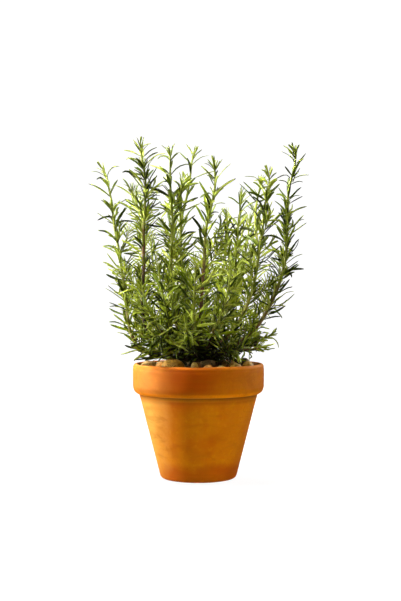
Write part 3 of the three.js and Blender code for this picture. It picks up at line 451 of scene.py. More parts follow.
        [22,16,-705,-444,4117,-670,-456,4137,-601,-484,4198,-512,-512,4235],
        [31,24,-690,-440,4039,-640,-467,4100,-577,-495,4144,-503,-522,4170],
        [32,28,-681,-434,4001,-606,-434,4082,-518,-433,4147,-410,-433,4164],
        [33,66,-679,-395,3623,-736,-347,3663,-779,-303,3707,-825,-269,3738],
        [26,56,-679,-409,3722,-744,-389,3772,-792,-368,3838,-845,-348,3901],
        [29,58,-658,-414,3701,-627,-428,3749,-578,-452,3820,-513,-476,3882],
        [34,63,-658,-403,3652,-580,-384,3710,-507,-364,3775,-429,-346,3833],
        [30,137,-710,-317,2919,-802,-316,2969,-884,-313,3035,-981,-310,3076],
        [34,165,-717,-278,2643,-805,-279,2710,-887,-279,2784,-983,-279,2837],
        [31,259,-549,-125,1747,-625,-157,1638,-717,-184,1580],
        [17,0,-726,-442,4275,-729,-439,4326,-734,-434,4376],
        [17,1,-726,-454,4265,-727,-472,4320,-723,-506,4367],
        [17,2,-731,-449,4255,-752,-454,4313,-778,-458,4368],
        [17,3,-719,-447,4245,-701,-446,4309,-685,-443,4373],
        [21,4,-728,-452,4235,-747,-476,4291,-763,-509,4343],
        [21,5,-724,-453,4225,-729,-487,4291,-730,-540,4344],
        [21,6,-730,-445,4215,-777,-442,4279,-825,-430,4341],
        [21,7,-727,-440,4205,-768,-395,4280,-818,-335,4337],
        [21,9,-727,-448,4185,-768,-469,4242,-811,-485,4299],
        [21,10,-716,-449,4176,-669,-510,4226,-618,-577,4265],
        [28,12,-726,-439,4155,-753,-431,4231,-784,-414,4304],
        [28,12,-710,-447,4156,-709,-456,4235,-698,-470,4312],
        [29,20,-705,-430,4078,-701,-343,4162,-707,-259,4248],
        [30,32,-675,-425,3961,-606,-356,4071,-536,-269,4165],
        [24,-32,-681,-423,3976,-675,-379,4058,-674,-310,4121],
        [24,-32,-677,-439,3982,-658,-456,4033,-638,-471,4084],
        [24,-32,-678,-426,3982,-678,-418,4048,-678,-395,4111],
        [30,32,-693,-432,3958,-783,-434,4055,-899,-411,4117],
        [24,-32,-696,-438,3977,-729,-455,4037,-770,-482,4089],
        [24,-32,-692,-443,3982,-729,-487,4052,-786,-541,4100],
        [24,-32,-693,-441,3975,-730,-484,4021,-764,-532,4064],
        [36,45,-664,-411,3832,-625,-301,3913,-574,-190,3985],
        [24,-45,-676,-414,3857,-704,-395,3930,-752,-364,3987],
        [24,-45,-662,-413,3849,-651,-405,3919,-621,-393,3982],
        [24,-45,-667,-412,3852,-661,-353,3916,-657,-282,3966],
        [24,-45,-677,-414,3844,-715,-393,3935,-782,-365,4006],
        [36,45,-672,-432,3830,-725,-554,3906,-799,-686,3935],
        [24,-45,-674,-434,3847,-700,-487,3903,-729,-536,3963],
        [24,-45,-659,-431,3852,-641,-450,3913,-609,-472,3967],
        [24,-45,-670,-435,3851,-679,-469,3921,-702,-513,3981],
        [24,-45,-663,-434,3852,-641,-479,3898,-624,-529,3941],
        [43,56,-679,-417,3721,-762,-475,3855,-870,-555,3955],
        [43,56,-656,-409,3722,-602,-406,3861,-526,-387,3989],
        [24,-56,-656,-410,3736,-591,-397,3800,-532,-380,3867],
        [24,-56,-656,-418,3737,-632,-433,3798,-597,-454,3852],
        [41,71,-673,-411,3571,-685,-544,3658,-715,-688,3721],
        [24,-71,-660,-407,3592,-623,-432,3628,-579,-453,3657],
        [24,-71,-666,-412,3588,-655,-446,3648,-649,-482,3708],
        [41,71,-669,-386,3574,-635,-308,3711,-582,-233,3845],
        [24,-71,-673,-386,3588,-678,-362,3661,-698,-329,3728],
        [24,-71,-666,-388,3594,-647,-366,3693,-627,-337,3789],
        [24,-71,-680,-389,3590,-685,-383,3660,-695,-356,3725],
        [39,87,-670,-373,3414,-576,-320,3502,-475,-251,3570],
        [24,-87,-666,-378,3430,-649,-381,3487,-621,-387,3540],
        [24,-87,-665,-385,3434,-625,-396,3487,-586,-408,3540],
        [24,-87,-669,-373,3439,-624,-343,3514,-566,-310,3579],
        [39,87,-693,-385,3414,-744,-423,3534,-805,-484,3639],
        [24,-87,-690,-373,3431,-712,-352,3510,-725,-317,3587],
        [24,-87,-694,-386,3429,-745,-405,3480,-795,-433,3526],
        [36,98,-685,-355,3306,-658,-298,3447,-631,-248,3590],
        [24,-98,-695,-357,3319,-702,-352,3397,-720,-347,3474],
        [24,-98,-682,-357,3323,-657,-306,3390,-637,-244,3448],
        [24,-98,-699,-362,3322,-737,-343,3372,-774,-329,3424],
        [24,-98,-687,-356,3330,-683,-301,3399,-673,-230,3451],
        [36,98,-679,-379,3303,-605,-490,3359,-547,-621,3374],
        [24,-98,-675,-379,3322,-624,-426,3386,-575,-483,3442],
        [24,-98,-698,-381,3321,-717,-415,3390,-741,-468,3442],
        [33,114,-711,-345,3147,-818,-316,3230,-924,-264,3301],
        [24,-114,-712,-356,3162,-770,-386,3241,-850,-425,3293],
        [24,-114,-709,-361,3159,-728,-390,3246,-748,-419,3332],
        [24,-114,-708,-340,3161,-752,-307,3247,-802,-275,3329],
        [33,114,-683,-347,3146,-590,-345,3261,-493,-323,3371],
        [24,-114,-687,-341,3172,-654,-307,3252,-633,-259,3328],
        [24,-114,-684,-361,3163,-650,-390,3237,-592,-417,3295],
        [24,-114,-682,-357,3158,-636,-385,3210,-584,-420,3250],
        [38,129,-704,-343,2996,-756,-467,3079,-810,-610,3119],
        [24,-129,-711,-342,3020,-742,-367,3099,-783,-382,3177],
        [24,-129,-706,-346,3014,-745,-419,3073,-788,-502,3111],
        [24,-129,-701,-347,3008,-707,-380,3088,-712,-430,3160],
        [38,129,-688,-317,3000,-646,-262,3132,-601,-166,3238],
        [24,-129,-700,-317,3025,-713,-271,3088,-738,-232,3151],
        [24,-129,-709,-320,3015,-755,-282,3091,-791,-234,3166],
        [24,-129,-693,-315,3012,-682,-260,3087,-683,-199,3158],
        [31,141,-681,-306,2880,-551,-260,2963,-402,-230,3018],
        [31,141,-708,-322,2878,-801,-404,2927,-884,-506,2946],
        [31,153,-690,-281,2763,-635,-154,2860,-576,0,2900],
        [24,-153,-708,-288,2785,-733,-271,2839,-767,-240,2880],
        [24,-153,-684,-286,2782,-661,-272,2857,-641,-257,2933],
        [31,153,-700,-312,2758,-739,-430,2812,-808,-543,2844],
        [24,-153,-700,-316,2780,-720,-395,2841,-753,-468,2906],
        [24,-153,-681,-309,2779,-647,-342,2847,-607,-378,2909],
        [24,-153,-693,-316,2775,-684,-382,2837,-681,-451,2897],
        [32,164,-718,-282,2653,-769,-313,2771,-859,-370,2851],
        [24,-164,-718,-282,2666,-769,-290,2722,-830,-289,2769],
        [24,-164,-715,-292,2669,-741,-322,2749,-778,-353,2824],
        [32,164,-684,-280,2651,-598,-296,2792,-457,-277,2878],
        [33,177,-712,-275,2511,-742,-380,2590,-798,-478,2662],
        [33,177,-699,-243,2516,-644,-144,2594,-614,-29,2663],
        [31,188,-694,-235,2406,-578,-210,2493,-450,-181,2560],
        [24,-188,-691,-244,2426,-641,-248,2472,-589,-244,2517],
        [24,-188,-698,-229,2426,-650,-192,2498,-585,-158,2556],
        [24,-188,-692,-251,2427,-651,-273,2498,-602,-290,2565],
        [31,188,-729,-240,2406,-843,-245,2478,-966,-261,2533],
        [24,-188,-724,-257,2418,-759,-312,2500,-780,-375,2581],
        [24,-188,-728,-237,2422,-774,-229,2489,-823,-210,2552],
        [32,199,-720,-208,2310,-777,-100,2389,-850,4,2460],
        [24,-199,-729,-217,2324,-757,-206,2381,-788,-182,2432],
        [24,-199,-699,-213,2323,-685,-206,2385,-663,-189,2443],
        [24,-199,-721,-210,2327,-727,-205,2397,-730,-201,2467],
        [24,-199,-725,-212,2325,-758,-177,2384,-790,-128,2433],
        [32,199,-701,-239,2304,-622,-338,2401,-501,-429,2451],
        [32,210,-724,-217,2186,-822,-305,2229,-915,-403,2255],
        [24,-210,-729,-219,2210,-801,-262,2269,-884,-292,2322],
        [24,-210,-726,-195,2207,-781,-162,2278,-834,-128,2350],
        [24,-210,-728,-220,2210,-744,-240,2264,-756,-267,2316],
        [24,-210,-731,-205,2203,-752,-215,2264,-776,-235,2322],
        [32,210,-691,-203,2190,-586,-211,2278,-471,-232,2349],
        [37,221,-701,-207,2087,-741,-367,2144,-767,-537,2175],
        [24,-221,-684,-203,2109,-635,-253,2175,-570,-295,2232],
        [24,-221,-685,-204,2117,-677,-231,2204,-645,-255,2287],
        [24,-221,-714,-207,2108,-753,-250,2173,-797,-296,2232],
        [24,-221,-710,-208,2101,-755,-280,2156,-799,-367,2184],
        [37,221,-711,-173,2091,-802,-85,2153,-874,21,2213],
        [24,-221,-710,-173,2116,-730,-170,2182,-752,-164,2247],
        [24,-221,-698,-171,2110,-703,-141,2201,-689,-92,2281],
        [36,234,-648,-166,1973,-542,-186,2081,-434,-221,2184],
        [36,234,-682,-176,1960,-774,-230,2063,-879,-262,2163],
        [24,-234,-692,-177,1979,-763,-211,2012,-839,-249,2020],
        [24,-234,-692,-160,1980,-768,-144,2030,-841,-116,2078],
        [38,244,-637,-129,1876,-732,-71,1961,-845,4,2000],
        [24,-244,-623,-137,1901,-638,-128,1984,-644,-104,2065],
        [24,-244,-653,-135,1892,-704,-132,1963,-759,-101,2025],
        [24,-244,-640,-129,1892,-688,-117,1973,-738,-108,2054],
        [24,-244,-634,-132,1902,-645,-99,1962,-644,-70,2024],
        [38,244,-617,-164,1880,-617,-254,1991,-614,-337,2108],
        [24,-244,-627,-169,1897,-653,-215,1987,-671,-253,2082],
        [24,-244,-647,-166,1880,-706,-217,1925,-754,-275,1975],
        [38,254,-588,-126,1783,-745,-126,1755,-893,-137,1695],
        [24,-254,-600,-117,1807,-654,-92,1830,-702,-53,1847],
        [24,-254,-601,-127,1797,-667,-128,1806,-733,-139,1813],
        [24,-254,-604,-136,1800,-691,-157,1822,-776,-181,1846],
        [38,254,-557,-131,1810,-496,-148,1972,-406,-127,2120],
        [36,264,-500,-130,1723,-584,-234,1731,-666,-338,1712],
        [36,264,-496,-92,1742,-567,-27,1855,-620,27,1984],
        [24,-264,-520,-95,1732,-579,-60,1738,-641,-29,1740],
        [24,-264,-509,-92,1747,-549,-49,1799,-581,-14,1861],
        [30,275,-395,-93,1697,-396,-121,1871,-393,-124,2047],
        [30,275,-414,-92,1659,-570,-135,1625,-687,-205,1531],
        [24,-275,-437,-82,1674,-506,-81,1684,-574,-78,1695],
        [24,-275,-433,-96,1667,-513,-111,1664,-590,-113,1636],
        [28,288,-290,-43,1638,-370,38,1737,-459,133,1811],
        [28,288,-288,-81,1618,-403,-212,1639,-494,-362,1644],
        [24,-288,-306,-80,1614,-356,-120,1606,-406,-160,1598],
        [24,-288,-295,-83,1643,-351,-130,1685,-398,-192,1717],
        [24,-288,-313,-84,1619,-382,-121,1637,-440,-177,1644],
        [24,-288,-293,-85,1635,-341,-161,1678,-365,-246,1724],
        [20,2,-566,-469,3769,-547,-485,3813,-538,-515,3853],
        [22,5,-572,-460,3741,-544,-514,3783,-530,-579,3814],
        [22,5,-574,-452,3745,-548,-454,3820,-528,-439,3896],
        [25,9,-585,-443,3707,-513,-462,3741,-439,-492,3760],
        [25,9,-595,-444,3712,-607,-470,3789,-637,-502,3859],
        [22,14,-614,-423,3672,-569,-424,3749,-542,-421,3833],
        [22,14,-613,-433,3667,-552,-514,3687,-506,-603,3662],
        [26,2,-828,-385,3571,-841,-383,3623,-847,-390,3676],
        [20,5,-815,-389,3545,-826,-424,3607,-823,-473,3661],
        [20,5,-820,-382,3542,-878,-364,3580,-941,-336,3596],
        [26,9,-794,-378,3512,-834,-356,3595,-859,-296,3663],
        [26,9,-800,-385,3508,-863,-412,3540,-920,-452,3569],
        [24,14,-769,-375,3470,-833,-322,3504,-874,-242,3512],
        [24,14,-762,-383,3475,-771,-409,3580,-739,-430,3681],
        [28,20,-723,-383,3418,-818,-450,3415,-883,-544,3389],
        [28,20,-715,-376,3426,-741,-349,3541,-736,-303,3652],
        [26,2,-666,-507,3371,-652,-537,3425,-644,-589,3461],
        [26,2,-662,-500,3374,-627,-507,3426,-582,-501,3469],
        [23,6,-667,-488,3346,-620,-522,3392,-561,-558,3419],
        [23,6,-676,-488,3348,-681,-522,3416,-704,-538,3487],
        [27,9,-676,-461,3317,-640,-466,3402,-589,-432,3472],
        [27,9,-680,-469,3312,-677,-543,3349,-672,-626,3356],
        [26,15,-692,-425,3271,-756,-465,3351,-836,-497,3420],
        [26,15,-681,-426,3268,-618,-478,3316,-532,-511,3340],
        [23,2,-733,-222,3257,-763,-222,3307,-789,-231,3358],
        [23,2,-730,-215,3255,-741,-188,3305,-760,-148,3342],
        [23,5,-721,-231,3231,-696,-210,3293,-662,-191,3351],
        [23,5,-730,-230,3229,-782,-202,3280,-841,-188,3330],
        [21,9,-716,-245,3194,-700,-182,3239,-679,-112,3270],
        [21,9,-721,-253,3198,-754,-269,3276,-796,-286,3349],
        [25,14,-718,-275,3153,-798,-225,3189,-891,-187,3204],
        [25,14,-707,-275,3156,-667,-217,3240,-585,-162,3290],
        [26,2,-674,-84,3195,-671,-56,3256,-686,-25,3313],
        [26,2,-666,-81,3194,-649,-56,3236,-632,-32,3279],
        [26,5,-674,-99,3169,-689,-103,3236,-717,-128,3293],
        [26,5,-672,-91,3165,-670,-52,3216,-662,-3,3258],
        [28,9,-670,-110,3129,-618,-55,3184,-550,-13,3233],
        [28,9,-679,-111,3130,-717,-74,3187,-766,-47,3240],
        [23,13,-679,-127,3093,-701,-46,3157,-739,38,3207],
        [23,13,-675,-135,3097,-659,-143,3197,-656,-149,3299],
        [26,18,-684,-159,3053,-755,-147,3159,-815,-159,3271],
        [26,18,-674,-156,3050,-578,-107,3098,-475,-62,3135],
        [28,27,-683,-213,2980,-633,-243,3095,-570,-299,3192],
        [28,27,-684,-204,2973,-664,-99,2981,-638,5,2969],
        [28,37,-684,-267,2907,-616,-191,2972,-547,-108,3026],
        [28,37,-697,-269,2909,-757,-204,3014,-863,-155,3086],
        [24,2,-513,-257,2837,-479,-260,2895,-450,-274,2953],
        [24,2,-510,-249,2835,-467,-222,2872,-423,-179,2884],
        [26,5,-525,-257,2809,-465,-269,2839,-400,-288,2840],
        [26,5,-532,-256,2814,-529,-251,2889,-551,-237,2960],
        [25,10,-554,-256,2768,-472,-214,2791,-394,-163,2780],
        [25,10,-560,-262,2774,-544,-285,2852,-564,-324,2923],
        [27,15,-592,-261,2737,-587,-230,2821,-619,-205,2901],
        [27,15,-584,-264,2730,-483,-260,2739,-383,-250,2722],
        [25,21,-632,-274,2695,-614,-331,2784,-628,-385,2876],
        [25,21,-627,-265,2688,-513,-181,2675,-408,-89,2653],
        [25,2,-927,-317,2683,-954,-326,2734,-973,-360,2779],
        [25,2,-926,-309,2684,-940,-285,2746,-945,-264,2811],
        [22,5,-909,-311,2659,-913,-327,2720,-903,-335,2782],
        [22,5,-915,-305,2657,-961,-284,2706,-1012,-264,2750],
        [25,9,-890,-301,2625,-893,-282,2700,-871,-242,2763],
        [25,9,-896,-307,2621,-955,-342,2659,-1025,-375,2673],
        [26,14,-869,-292,2580,-955,-263,2626,-1042,-221,2655],
        [26,14,-861,-296,2585,-850,-313,2687,-828,-331,2788],
        [26,20,-832,-289,2533,-892,-372,2545,-920,-471,2531],
        [26,20,-827,-281,2539,-824,-240,2658,-768,-181,2754],
        [28,29,-767,-268,2474,-759,-350,2576,-727,-433,2673],
        [28,29,-776,-263,2466,-908,-260,2437,-1031,-251,2383],
        [20,2,-747,-383,2472,-778,-419,2503,-808,-463,2523],
        [20,2,-740,-379,2475,-738,-393,2542,-730,-392,2609],
        [24,5,-734,-371,2446,-729,-420,2502,-732,-478,2550],
        [24,5,-738,-364,2449,-747,-354,2513,-744,-315,2566],
        [24,9,-727,-348,2414,-697,-375,2495,-631,-383,2557],
        [24,9,-735,-352,2410,-769,-403,2455,-810,-456,2491],
        [24,15,-729,-314,2363,-785,-347,2437,-872,-365,2479],
        [24,15,-719,-319,2361,-669,-382,2397,-605,-438,2420],
        [26,22,-723,-273,2307,-800,-339,2354,-897,-380,2393],
        [26,22,-712,-270,2310,-650,-313,2401,-568,-347,2478],
        [24,2,-797,-79,2277,-839,-72,2324,-891,-79,2360],
        [24,2,-789,-77,2280,-819,-64,2337,-839,-43,2396],
        [21,5,-779,-88,2254,-787,-92,2320,-784,-86,2386],
        [21,5,-785,-82,2250,-830,-57,2288,-884,-41,2318],
        [22,8,-766,-89,2227,-768,-45,2286,-771,-3,2346],
        [22,8,-773,-96,2226,-834,-100,2279,-907,-106,2314],
        [24,13,-752,-104,2181,-798,-34,2198,-834,42,2213],
        [24,13,-750,-114,2186,-768,-144,2263,-760,-201,2326],
        [26,20,-729,-141,2126,-819,-127,2214,-903,-140,2308],
        [26,20,-718,-134,2127,-665,-39,2187,-588,50,2224],
        [22,2,-797,-320,1944,-828,-355,1969,-870,-387,1976],
        [22,2,-792,-320,1950,-831,-352,1996,-867,-363,2053],
        [22,5,-771,-307,1932,-789,-364,1953,-801,-421,1978],
        [22,5,-774,-300,1936,-810,-315,1994,-835,-336,2057],
        [23,9,-745,-278,1919,-781,-341,1976,-796,-400,2044],
        [23,9,-751,-278,1911,-814,-326,1910,-886,-360,1909],
        [25,14,-718,-240,1901,-813,-241,1958,-915,-226,2001],
        [25,14,-714,-247,1893,-746,-345,1853,-746,-447,1809],
        [28,20,-678,-200,1876,-779,-277,1851,-874,-322,1776],
        [28,20,-674,-200,1888,-715,-233,1989,-758,-239,2094],
        [20,2,-690,-9,1974,-725,-19,2030,-746,-42,2090],
        [20,2,-688,-1,1974,-722,5,2019,-748,5,2069],
        [22,5,-670,-13,1952,-698,-17,2019,-732,-24,2082],
        [22,5,-675,-7,1947,-725,26,1983,-769,70,2014],
        [22,8,-654,-13,1925,-692,49,1968,-730,120,1992],
        [22,8,-657,-22,1926,-713,-30,1978,-776,-64,2006],
        [25,13,-630,-31,1885,-723,8,1907,-817,45,1889],
        [25,13,-623,-35,1892,-646,-20,1999,-624,-15,2108],
        [28,20,-589,-64,1839,-656,-68,1944,-688,-128,2049],
        [28,20,-587,-53,1834,-602,74,1852,-609,200,1880],
        [22,2,-618,61,1756,-679,53,1766,-736,43,1787],
        [22,2,-613,67,1760,-647,108,1797,-675,145,1842],
        [22,5,-589,52,1752,-639,77,1804,-694,87,1858],
        [22,5,-591,54,1743,-658,96,1735,-718,139,1707],
        [22,9,-555,37,1738,-602,99,1789,-649,160,1842],
        [22,9,-560,31,1732,-650,29,1734,-730,-9,1718],
        [27,13,-528,13,1717,-604,42,1697,-672,46,1647],
        [27,13,-523,15,1727,-553,61,1822,-555,74,1931],
        [24,18,-491,-18,1707,-614,-20,1715,-729,-63,1710],
        [24,18,-483,-11,1711,-481,72,1771,-477,147,1840],
        [25,101,-677,-364,3274,-567,-358,3256,-456,-351,3238],
        [27,89,-670,-380,3393,-536,-396,3380,-417,-410,3443],
        [25,86,-671,-373,3424,-620,-340,3503,-553,-302,3566],
        [27,38,-683,-423,3900,-743,-404,3959,-815,-382,3999],
        [31,86,-668,-378,3423,-578,-363,3515,-524,-346,3631],
        [31,134,-710,-319,2949,-831,-285,2909,-959,-251,2908],
        [25,65,-659,-406,3632,-565,-423,3638,-471,-439,3627],
        [30,68,-659,-401,3602,-565,-405,3653,-491,-409,3730],
        [25,104,-679,-358,3245,-612,-343,3281,-558,-326,3335],
        [26,83,-666,-388,3452,-577,-406,3451,-489,-426,3457],
        [30,68,-660,-397,3602,-581,-370,3598,-503,-343,3589],
        [26,53,-675,-422,3751,-698,-452,3828,-743,-486,3892],
        [25,26,-699,-427,4018,-733,-390,4075,-752,-348,4136],
        [25,68,-682,-403,3602,-728,-413,3607,-768,-423,3632],
        [28,38,-684,-425,3899,-758,-410,3903,-829,-395,3924],
        [25,38,-667,-434,3901,-637,-477,3963,-615,-522,4027],
        [26,92,-696,-380,3364,-809,-426,3364,-913,-473,3410],
        [27,62,-658,-408,3662,-567,-415,3671,-476,-423,3667],
        [28,101,-677,-364,3274,-571,-369,3346,-479,-374,3436],
        [30,107,-681,-362,3214,-620,-382,3229,-558,-402,3218],
        [23,276,-396,-107,1666,-417,-173,1653,-436,-239,1637],
        [27,262,-522,-127,1730,-576,-197,1680,-596,-263,1605],
        [26,276,-398,-104,1662,-461,-172,1649,-535,-229,1646],
        [22,260,-543,-116,1741,-623,-110,1681,-713,-118,1637],
        [27,310,-86,-37,1547,-68,-107,1574,-26,-171,1573],
        [25,272,-431,-115,1684,-475,-163,1696,-503,-221,1713],
        [29,306,-121,-38,1569,-123,-96,1633,-146,-164,1682],
        [30,272,-424,-114,1699,-474,-182,1755,-486,-270,1805],
        [26,246,-604,-137,1870,-552,-116,1934,-487,-107,1987],
        [24,282,-338,-95,1649,-397,-165,1685,-445,-242,1723],
        [30,268,-468,-120,1700,-489,-175,1670,-517,-223,1636],
        [29,274,-418,-105,1668,-437,-153,1611,-465,-201,1558],
        [23,272,-424,-114,1698,-432,-218,1746,-434,-332,1764],
        [27,272,-422,-110,1704,-441,-163,1768,-469,-203,1838],
        [30,280,-359,-99,1650,-416,-197,1649,-472,-293,1633],
        [24,272,-438,-104,1675,-490,-145,1617,-550,-189,1570],
        [28,254,-577,-146,1788,-636,-229,1802,-692,-313,1821],
        [26,264,-489,-125,1742,-522,-175,1809,-549,-232,1873],
        [28,282,-334,-80,1666,-364,-114,1739,-365,-160,1811],
        [26,288,-282,-78,1632,-332,-134,1681,-382,-176,1742],
        [28,276,-387,-102,1686,-369,-148,1736,-340,-183,1789],
        [28,270,-439,-97,1719,-406,-84,1817,-337,-56,1890],
    ],
    "sprig_centre_left": [
        [26,1,-361,-176,4182,-381,-167,4202,-393,-155,4233,-477,-117,4307],
        [18,7,-356,-170,4122,-356,-124,4186,-356,-71,4250],
        [22,4,-353,-171,4152,-334,-118,4273,-297,-102,4333],
        [25,8,-352,-183,4111,-311,-230,4159,-269,-273,4195],
        [24,9,-364,-174,4102,-409,-156,4156,-477,-136,4165,-531,-115,4121],
        [33,28,-356,-172,3912,-282,-174,4000,-180,-177,4050,-65,-179,4049],
        [24,27,-369,-165,3922,-421,-78,3986,-469,-9,4026],
        [31,58,-356,-154,3613,-376,-132,3619,-461,-10,3715],
        [29,54,-344,-154,3654,-296,-83,3707,-242,-3,3761],
        [27,56,-342,-153,3634,-291,-92,3680,-234,-23,3727],
        [30,76,-347,-156,3433,-382,-187,3472,-435,-220,3502,-490,-253,3532],
        [31,70,-350,-150,3493,-371,-139,3508,-434,-91,3428,-484,-59,3377],
        [35,72,-331,-162,3474,-309,-185,3488,-246,-258,3528,-212,-302,3562],
        [17,0,-359,-181,4192,-369,-187,4243,-384,-197,4293],
        [17,1,-351,-184,4182,-341,-200,4238,-328,-216,4293],
        [17,2,-360,-177,4172,-376,-174,4230,-411,-169,4280],
        [17,3,-359,-175,4162,-372,-160,4217,-391,-135,4267],
        [21,4,-358,-174,4152,-375,-142,4218,-393,-100,4278],
        [21,5,-361,-180,4142,-393,-194,4207,-425,-212,4272],
        [21,6,-358,-173,4132,-378,-132,4196,-411,-87,4252],
        [21,7,-357,-184,4122,-365,-230,4189,-380,-277,4255],
        [21,9,-351,-176,4102,-307,-171,4161,-249,-161,4207],
        [21,10,-359,-171,4092,-373,-97,4146,-394,-11,4174],
        [29,18,-361,-184,4012,-353,-274,4082,-347,-386,4107],
        [34,29,-374,-170,3902,-491,-147,4001,-629,-103,4054],
        [24,-29,-374,-176,3924,-415,-187,3965,-461,-194,4002],
        [42,43,-360,-156,3763,-390,-41,3872,-445,103,3920],
        [42,43,-359,-177,3762,-380,-285,3852,-402,-415,3903],
        [24,-43,-359,-179,3784,-363,-211,3835,-372,-247,3882],
        [24,-43,-353,-177,3777,-351,-191,3842,-342,-216,3904],
        [24,-43,-366,-177,3783,-404,-224,3839,-453,-270,3887],
        [41,56,-359,-165,3632,-498,-205,3711,-654,-218,3761],
        [24,-56,-355,-173,3647,-368,-200,3694,-378,-238,3733],
        [24,-56,-359,-155,3652,-390,-140,3733,-443,-115,3799],
        [24,-56,-361,-168,3656,-410,-198,3732,-469,-242,3792],
        [41,56,-338,-165,3634,-225,-204,3732,-90,-238,3801],
        [24,-56,-338,-163,3652,-284,-166,3717,-218,-166,3770],
        [24,-56,-339,-167,3647,-288,-196,3701,-237,-229,3754],
        [36,68,-342,-168,3513,-356,-286,3615,-363,-411,3710],
        [24,-68,-333,-166,3527,-318,-190,3613,-282,-232,3685],
        [24,-68,-340,-169,3526,-334,-235,3585,-334,-310,3633],
        [24,-68,-345,-169,3528,-364,-211,3616,-395,-265,3693],
        [36,68,-339,-144,3514,-343,-88,3657,-365,-4,3784],
        [38,80,-322,-152,3395,-211,-189,3507,-94,-255,3598],
        [24,-80,-324,-145,3415,-289,-128,3455,-254,-113,3494],
        [24,-80,-323,-157,3415,-282,-182,3468,-231,-215,3507],
        [38,80,-345,-157,3393,-449,-222,3482,-588,-279,3500],
        [24,-80,-343,-162,3413,-373,-198,3455,-414,-230,3493],
        [24,-80,-348,-151,3410,-398,-155,3486,-469,-153,3543],
        [24,-80,-347,-145,3411,-379,-133,3463,-407,-117,3515],
        [42,91,-336,-132,3285,-381,-10,3384,-397,137,3453],
        [24,-91,-327,-131,3297,-311,-81,3384,-283,-14,3455],
        [24,-91,-323,-133,3305,-306,-112,3353,-277,-91,3395],
        [42,91,-324,-155,3284,-278,-252,3378,-232,-383,3408],
        [43,102,-346,-141,3175,-434,-170,3279,-527,-194,3380],
        [24,-102,-346,-139,3199,-367,-143,3278,-388,-138,3358],
        [24,-102,-347,-139,3188,-405,-140,3258,-471,-124,3317],
        [24,-102,-342,-149,3192,-360,-173,3247,-382,-193,3301],
        [43,102,-320,-132,3175,-241,-112,3289,-136,-97,3381],
        [24,-102,-323,-127,3197,-312,-113,3269,-300,-75,3332],
        [24,-102,-317,-138,3195,-298,-138,3266,-272,-127,3333],
        [24,-102,-326,-126,3198,-298,-74,3274,-273,-22,3350],
        [33,113,-335,-145,3064,-314,-295,3138,-295,-444,3215],
        [33,113,-347,-120,3066,-424,-38,3138,-494,47,3215],
        [24,-113,-344,-119,3090,-374,-78,3164,-418,-43,3234],
        [24,-113,-331,-118,3083,-302,-64,3165,-267,-12,3246],
        [31,124,-331,-115,2945,-239,-62,3068,-124,15,3155],
        [31,124,-358,-126,2946,-455,-146,3053,-586,-157,3117],
        [24,-124,-356,-118,2968,-398,-104,3040,-456,-91,3100],
        [24,-124,-358,-127,2962,-402,-137,3022,-449,-142,3081],
        [24,-124,-354,-135,2959,-383,-176,3013,-412,-230,3053],
        [34,135,-359,-105,2847,-435,-10,2921,-489,104,2986],
        [34,135,-337,-127,2845,-257,-193,2936,-157,-240,3019],
        [24,-135,-355,-132,2868,-359,-153,2938,-361,-182,3006],
        [24,-135,-336,-129,2870,-312,-159,2963,-285,-215,3042],
        [24,-135,-358,-131,2858,-377,-163,2907,-407,-205,2943],
        [24,-135,-333,-124,2865,-297,-141,2910,-256,-160,2950],
        [34,147,-368,-112,2727,-460,-153,2862,-586,-223,2948],
        [34,147,-337,-109,2726,-245,-122,2834,-132,-139,2919],
        [31,156,-356,-118,2636,-376,-239,2762,-430,-358,2881],
        [31,156,-365,-90,2638,-432,-35,2793,-541,48,2906],
        [38,167,-337,-92,2528,-202,-81,2629,-60,-54,2717],
        [24,-167,-337,-90,2544,-313,-86,2596,-294,-76,2650],
        [24,-167,-346,-79,2553,-329,-43,2639,-312,21,2707],
        [24,-167,-339,-86,2549,-317,-76,2608,-283,-60,2660],
        [38,167,-369,-101,2526,-475,-172,2614,-582,-272,2663],
        [24,-167,-370,-86,2550,-396,-80,2634,-423,-83,2717],
        [24,-167,-361,-111,2544,-385,-164,2599,-414,-226,2641],
        [24,-167,-369,-104,2546,-415,-131,2599,-462,-146,2654],
        [24,-167,-372,-97,2540,-403,-105,2616,-450,-105,2684],
        [38,180,-361,-70,2398,-436,12,2507,-491,111,2613],
        [24,-180,-367,-77,2411,-434,-50,2484,-504,-7,2547],
        [24,-180,-338,-71,2413,-320,-56,2514,-292,-44,2614],
        [38,180,-354,-100,2396,-394,-221,2455,-458,-347,2455],
        [24,-180,-334,-93,2411,-312,-110,2489,-270,-122,2559],
        [24,-180,-358,-102,2421,-384,-162,2473,-400,-225,2525],
        [32,192,-354,-84,2276,-479,-162,2366,-629,-240,2403],
        [32,192,-325,-63,2281,-240,-1,2365,-140,72,2418],
        [24,-192,-327,-64,2305,-310,-49,2364,-281,-26,2414],
        [24,-192,-322,-71,2296,-292,-63,2385,-248,-34,2463],
        [24,-192,-322,-78,2293,-280,-92,2357,-233,-116,2414],
        [28,202,-329,-84,2178,-372,-218,2245,-426,-346,2317],
        [24,-202,-334,-85,2190,-368,-142,2264,-409,-206,2329],
        [24,-202,-313,-81,2196,-297,-109,2254,-265,-143,2301],
        [24,-202,-335,-86,2202,-363,-145,2276,-394,-215,2339],
        [24,-202,-326,-87,2198,-343,-133,2287,-376,-178,2372],
        [28,202,-331,-48,2181,-385,43,2310,-417,165,2419],
        [24,-202,-344,-57,2193,-375,-44,2243,-411,-17,2283],
        [24,-202,-331,-48,2206,-346,-13,2272,-362,41,2322],
        [24,-202,-328,-47,2194,-343,-6,2266,-354,42,2334],
        [24,-202,-316,-51,2196,-302,-26,2282,-268,-4,2364],
        [33,214,-282,-47,2069,-240,-25,2225,-181,-19,2376],
        [24,-214,-297,-39,2089,-288,21,2173,-268,100,2238],
        [24,-214,-286,-60,2092,-270,-77,2193,-249,-110,2290],
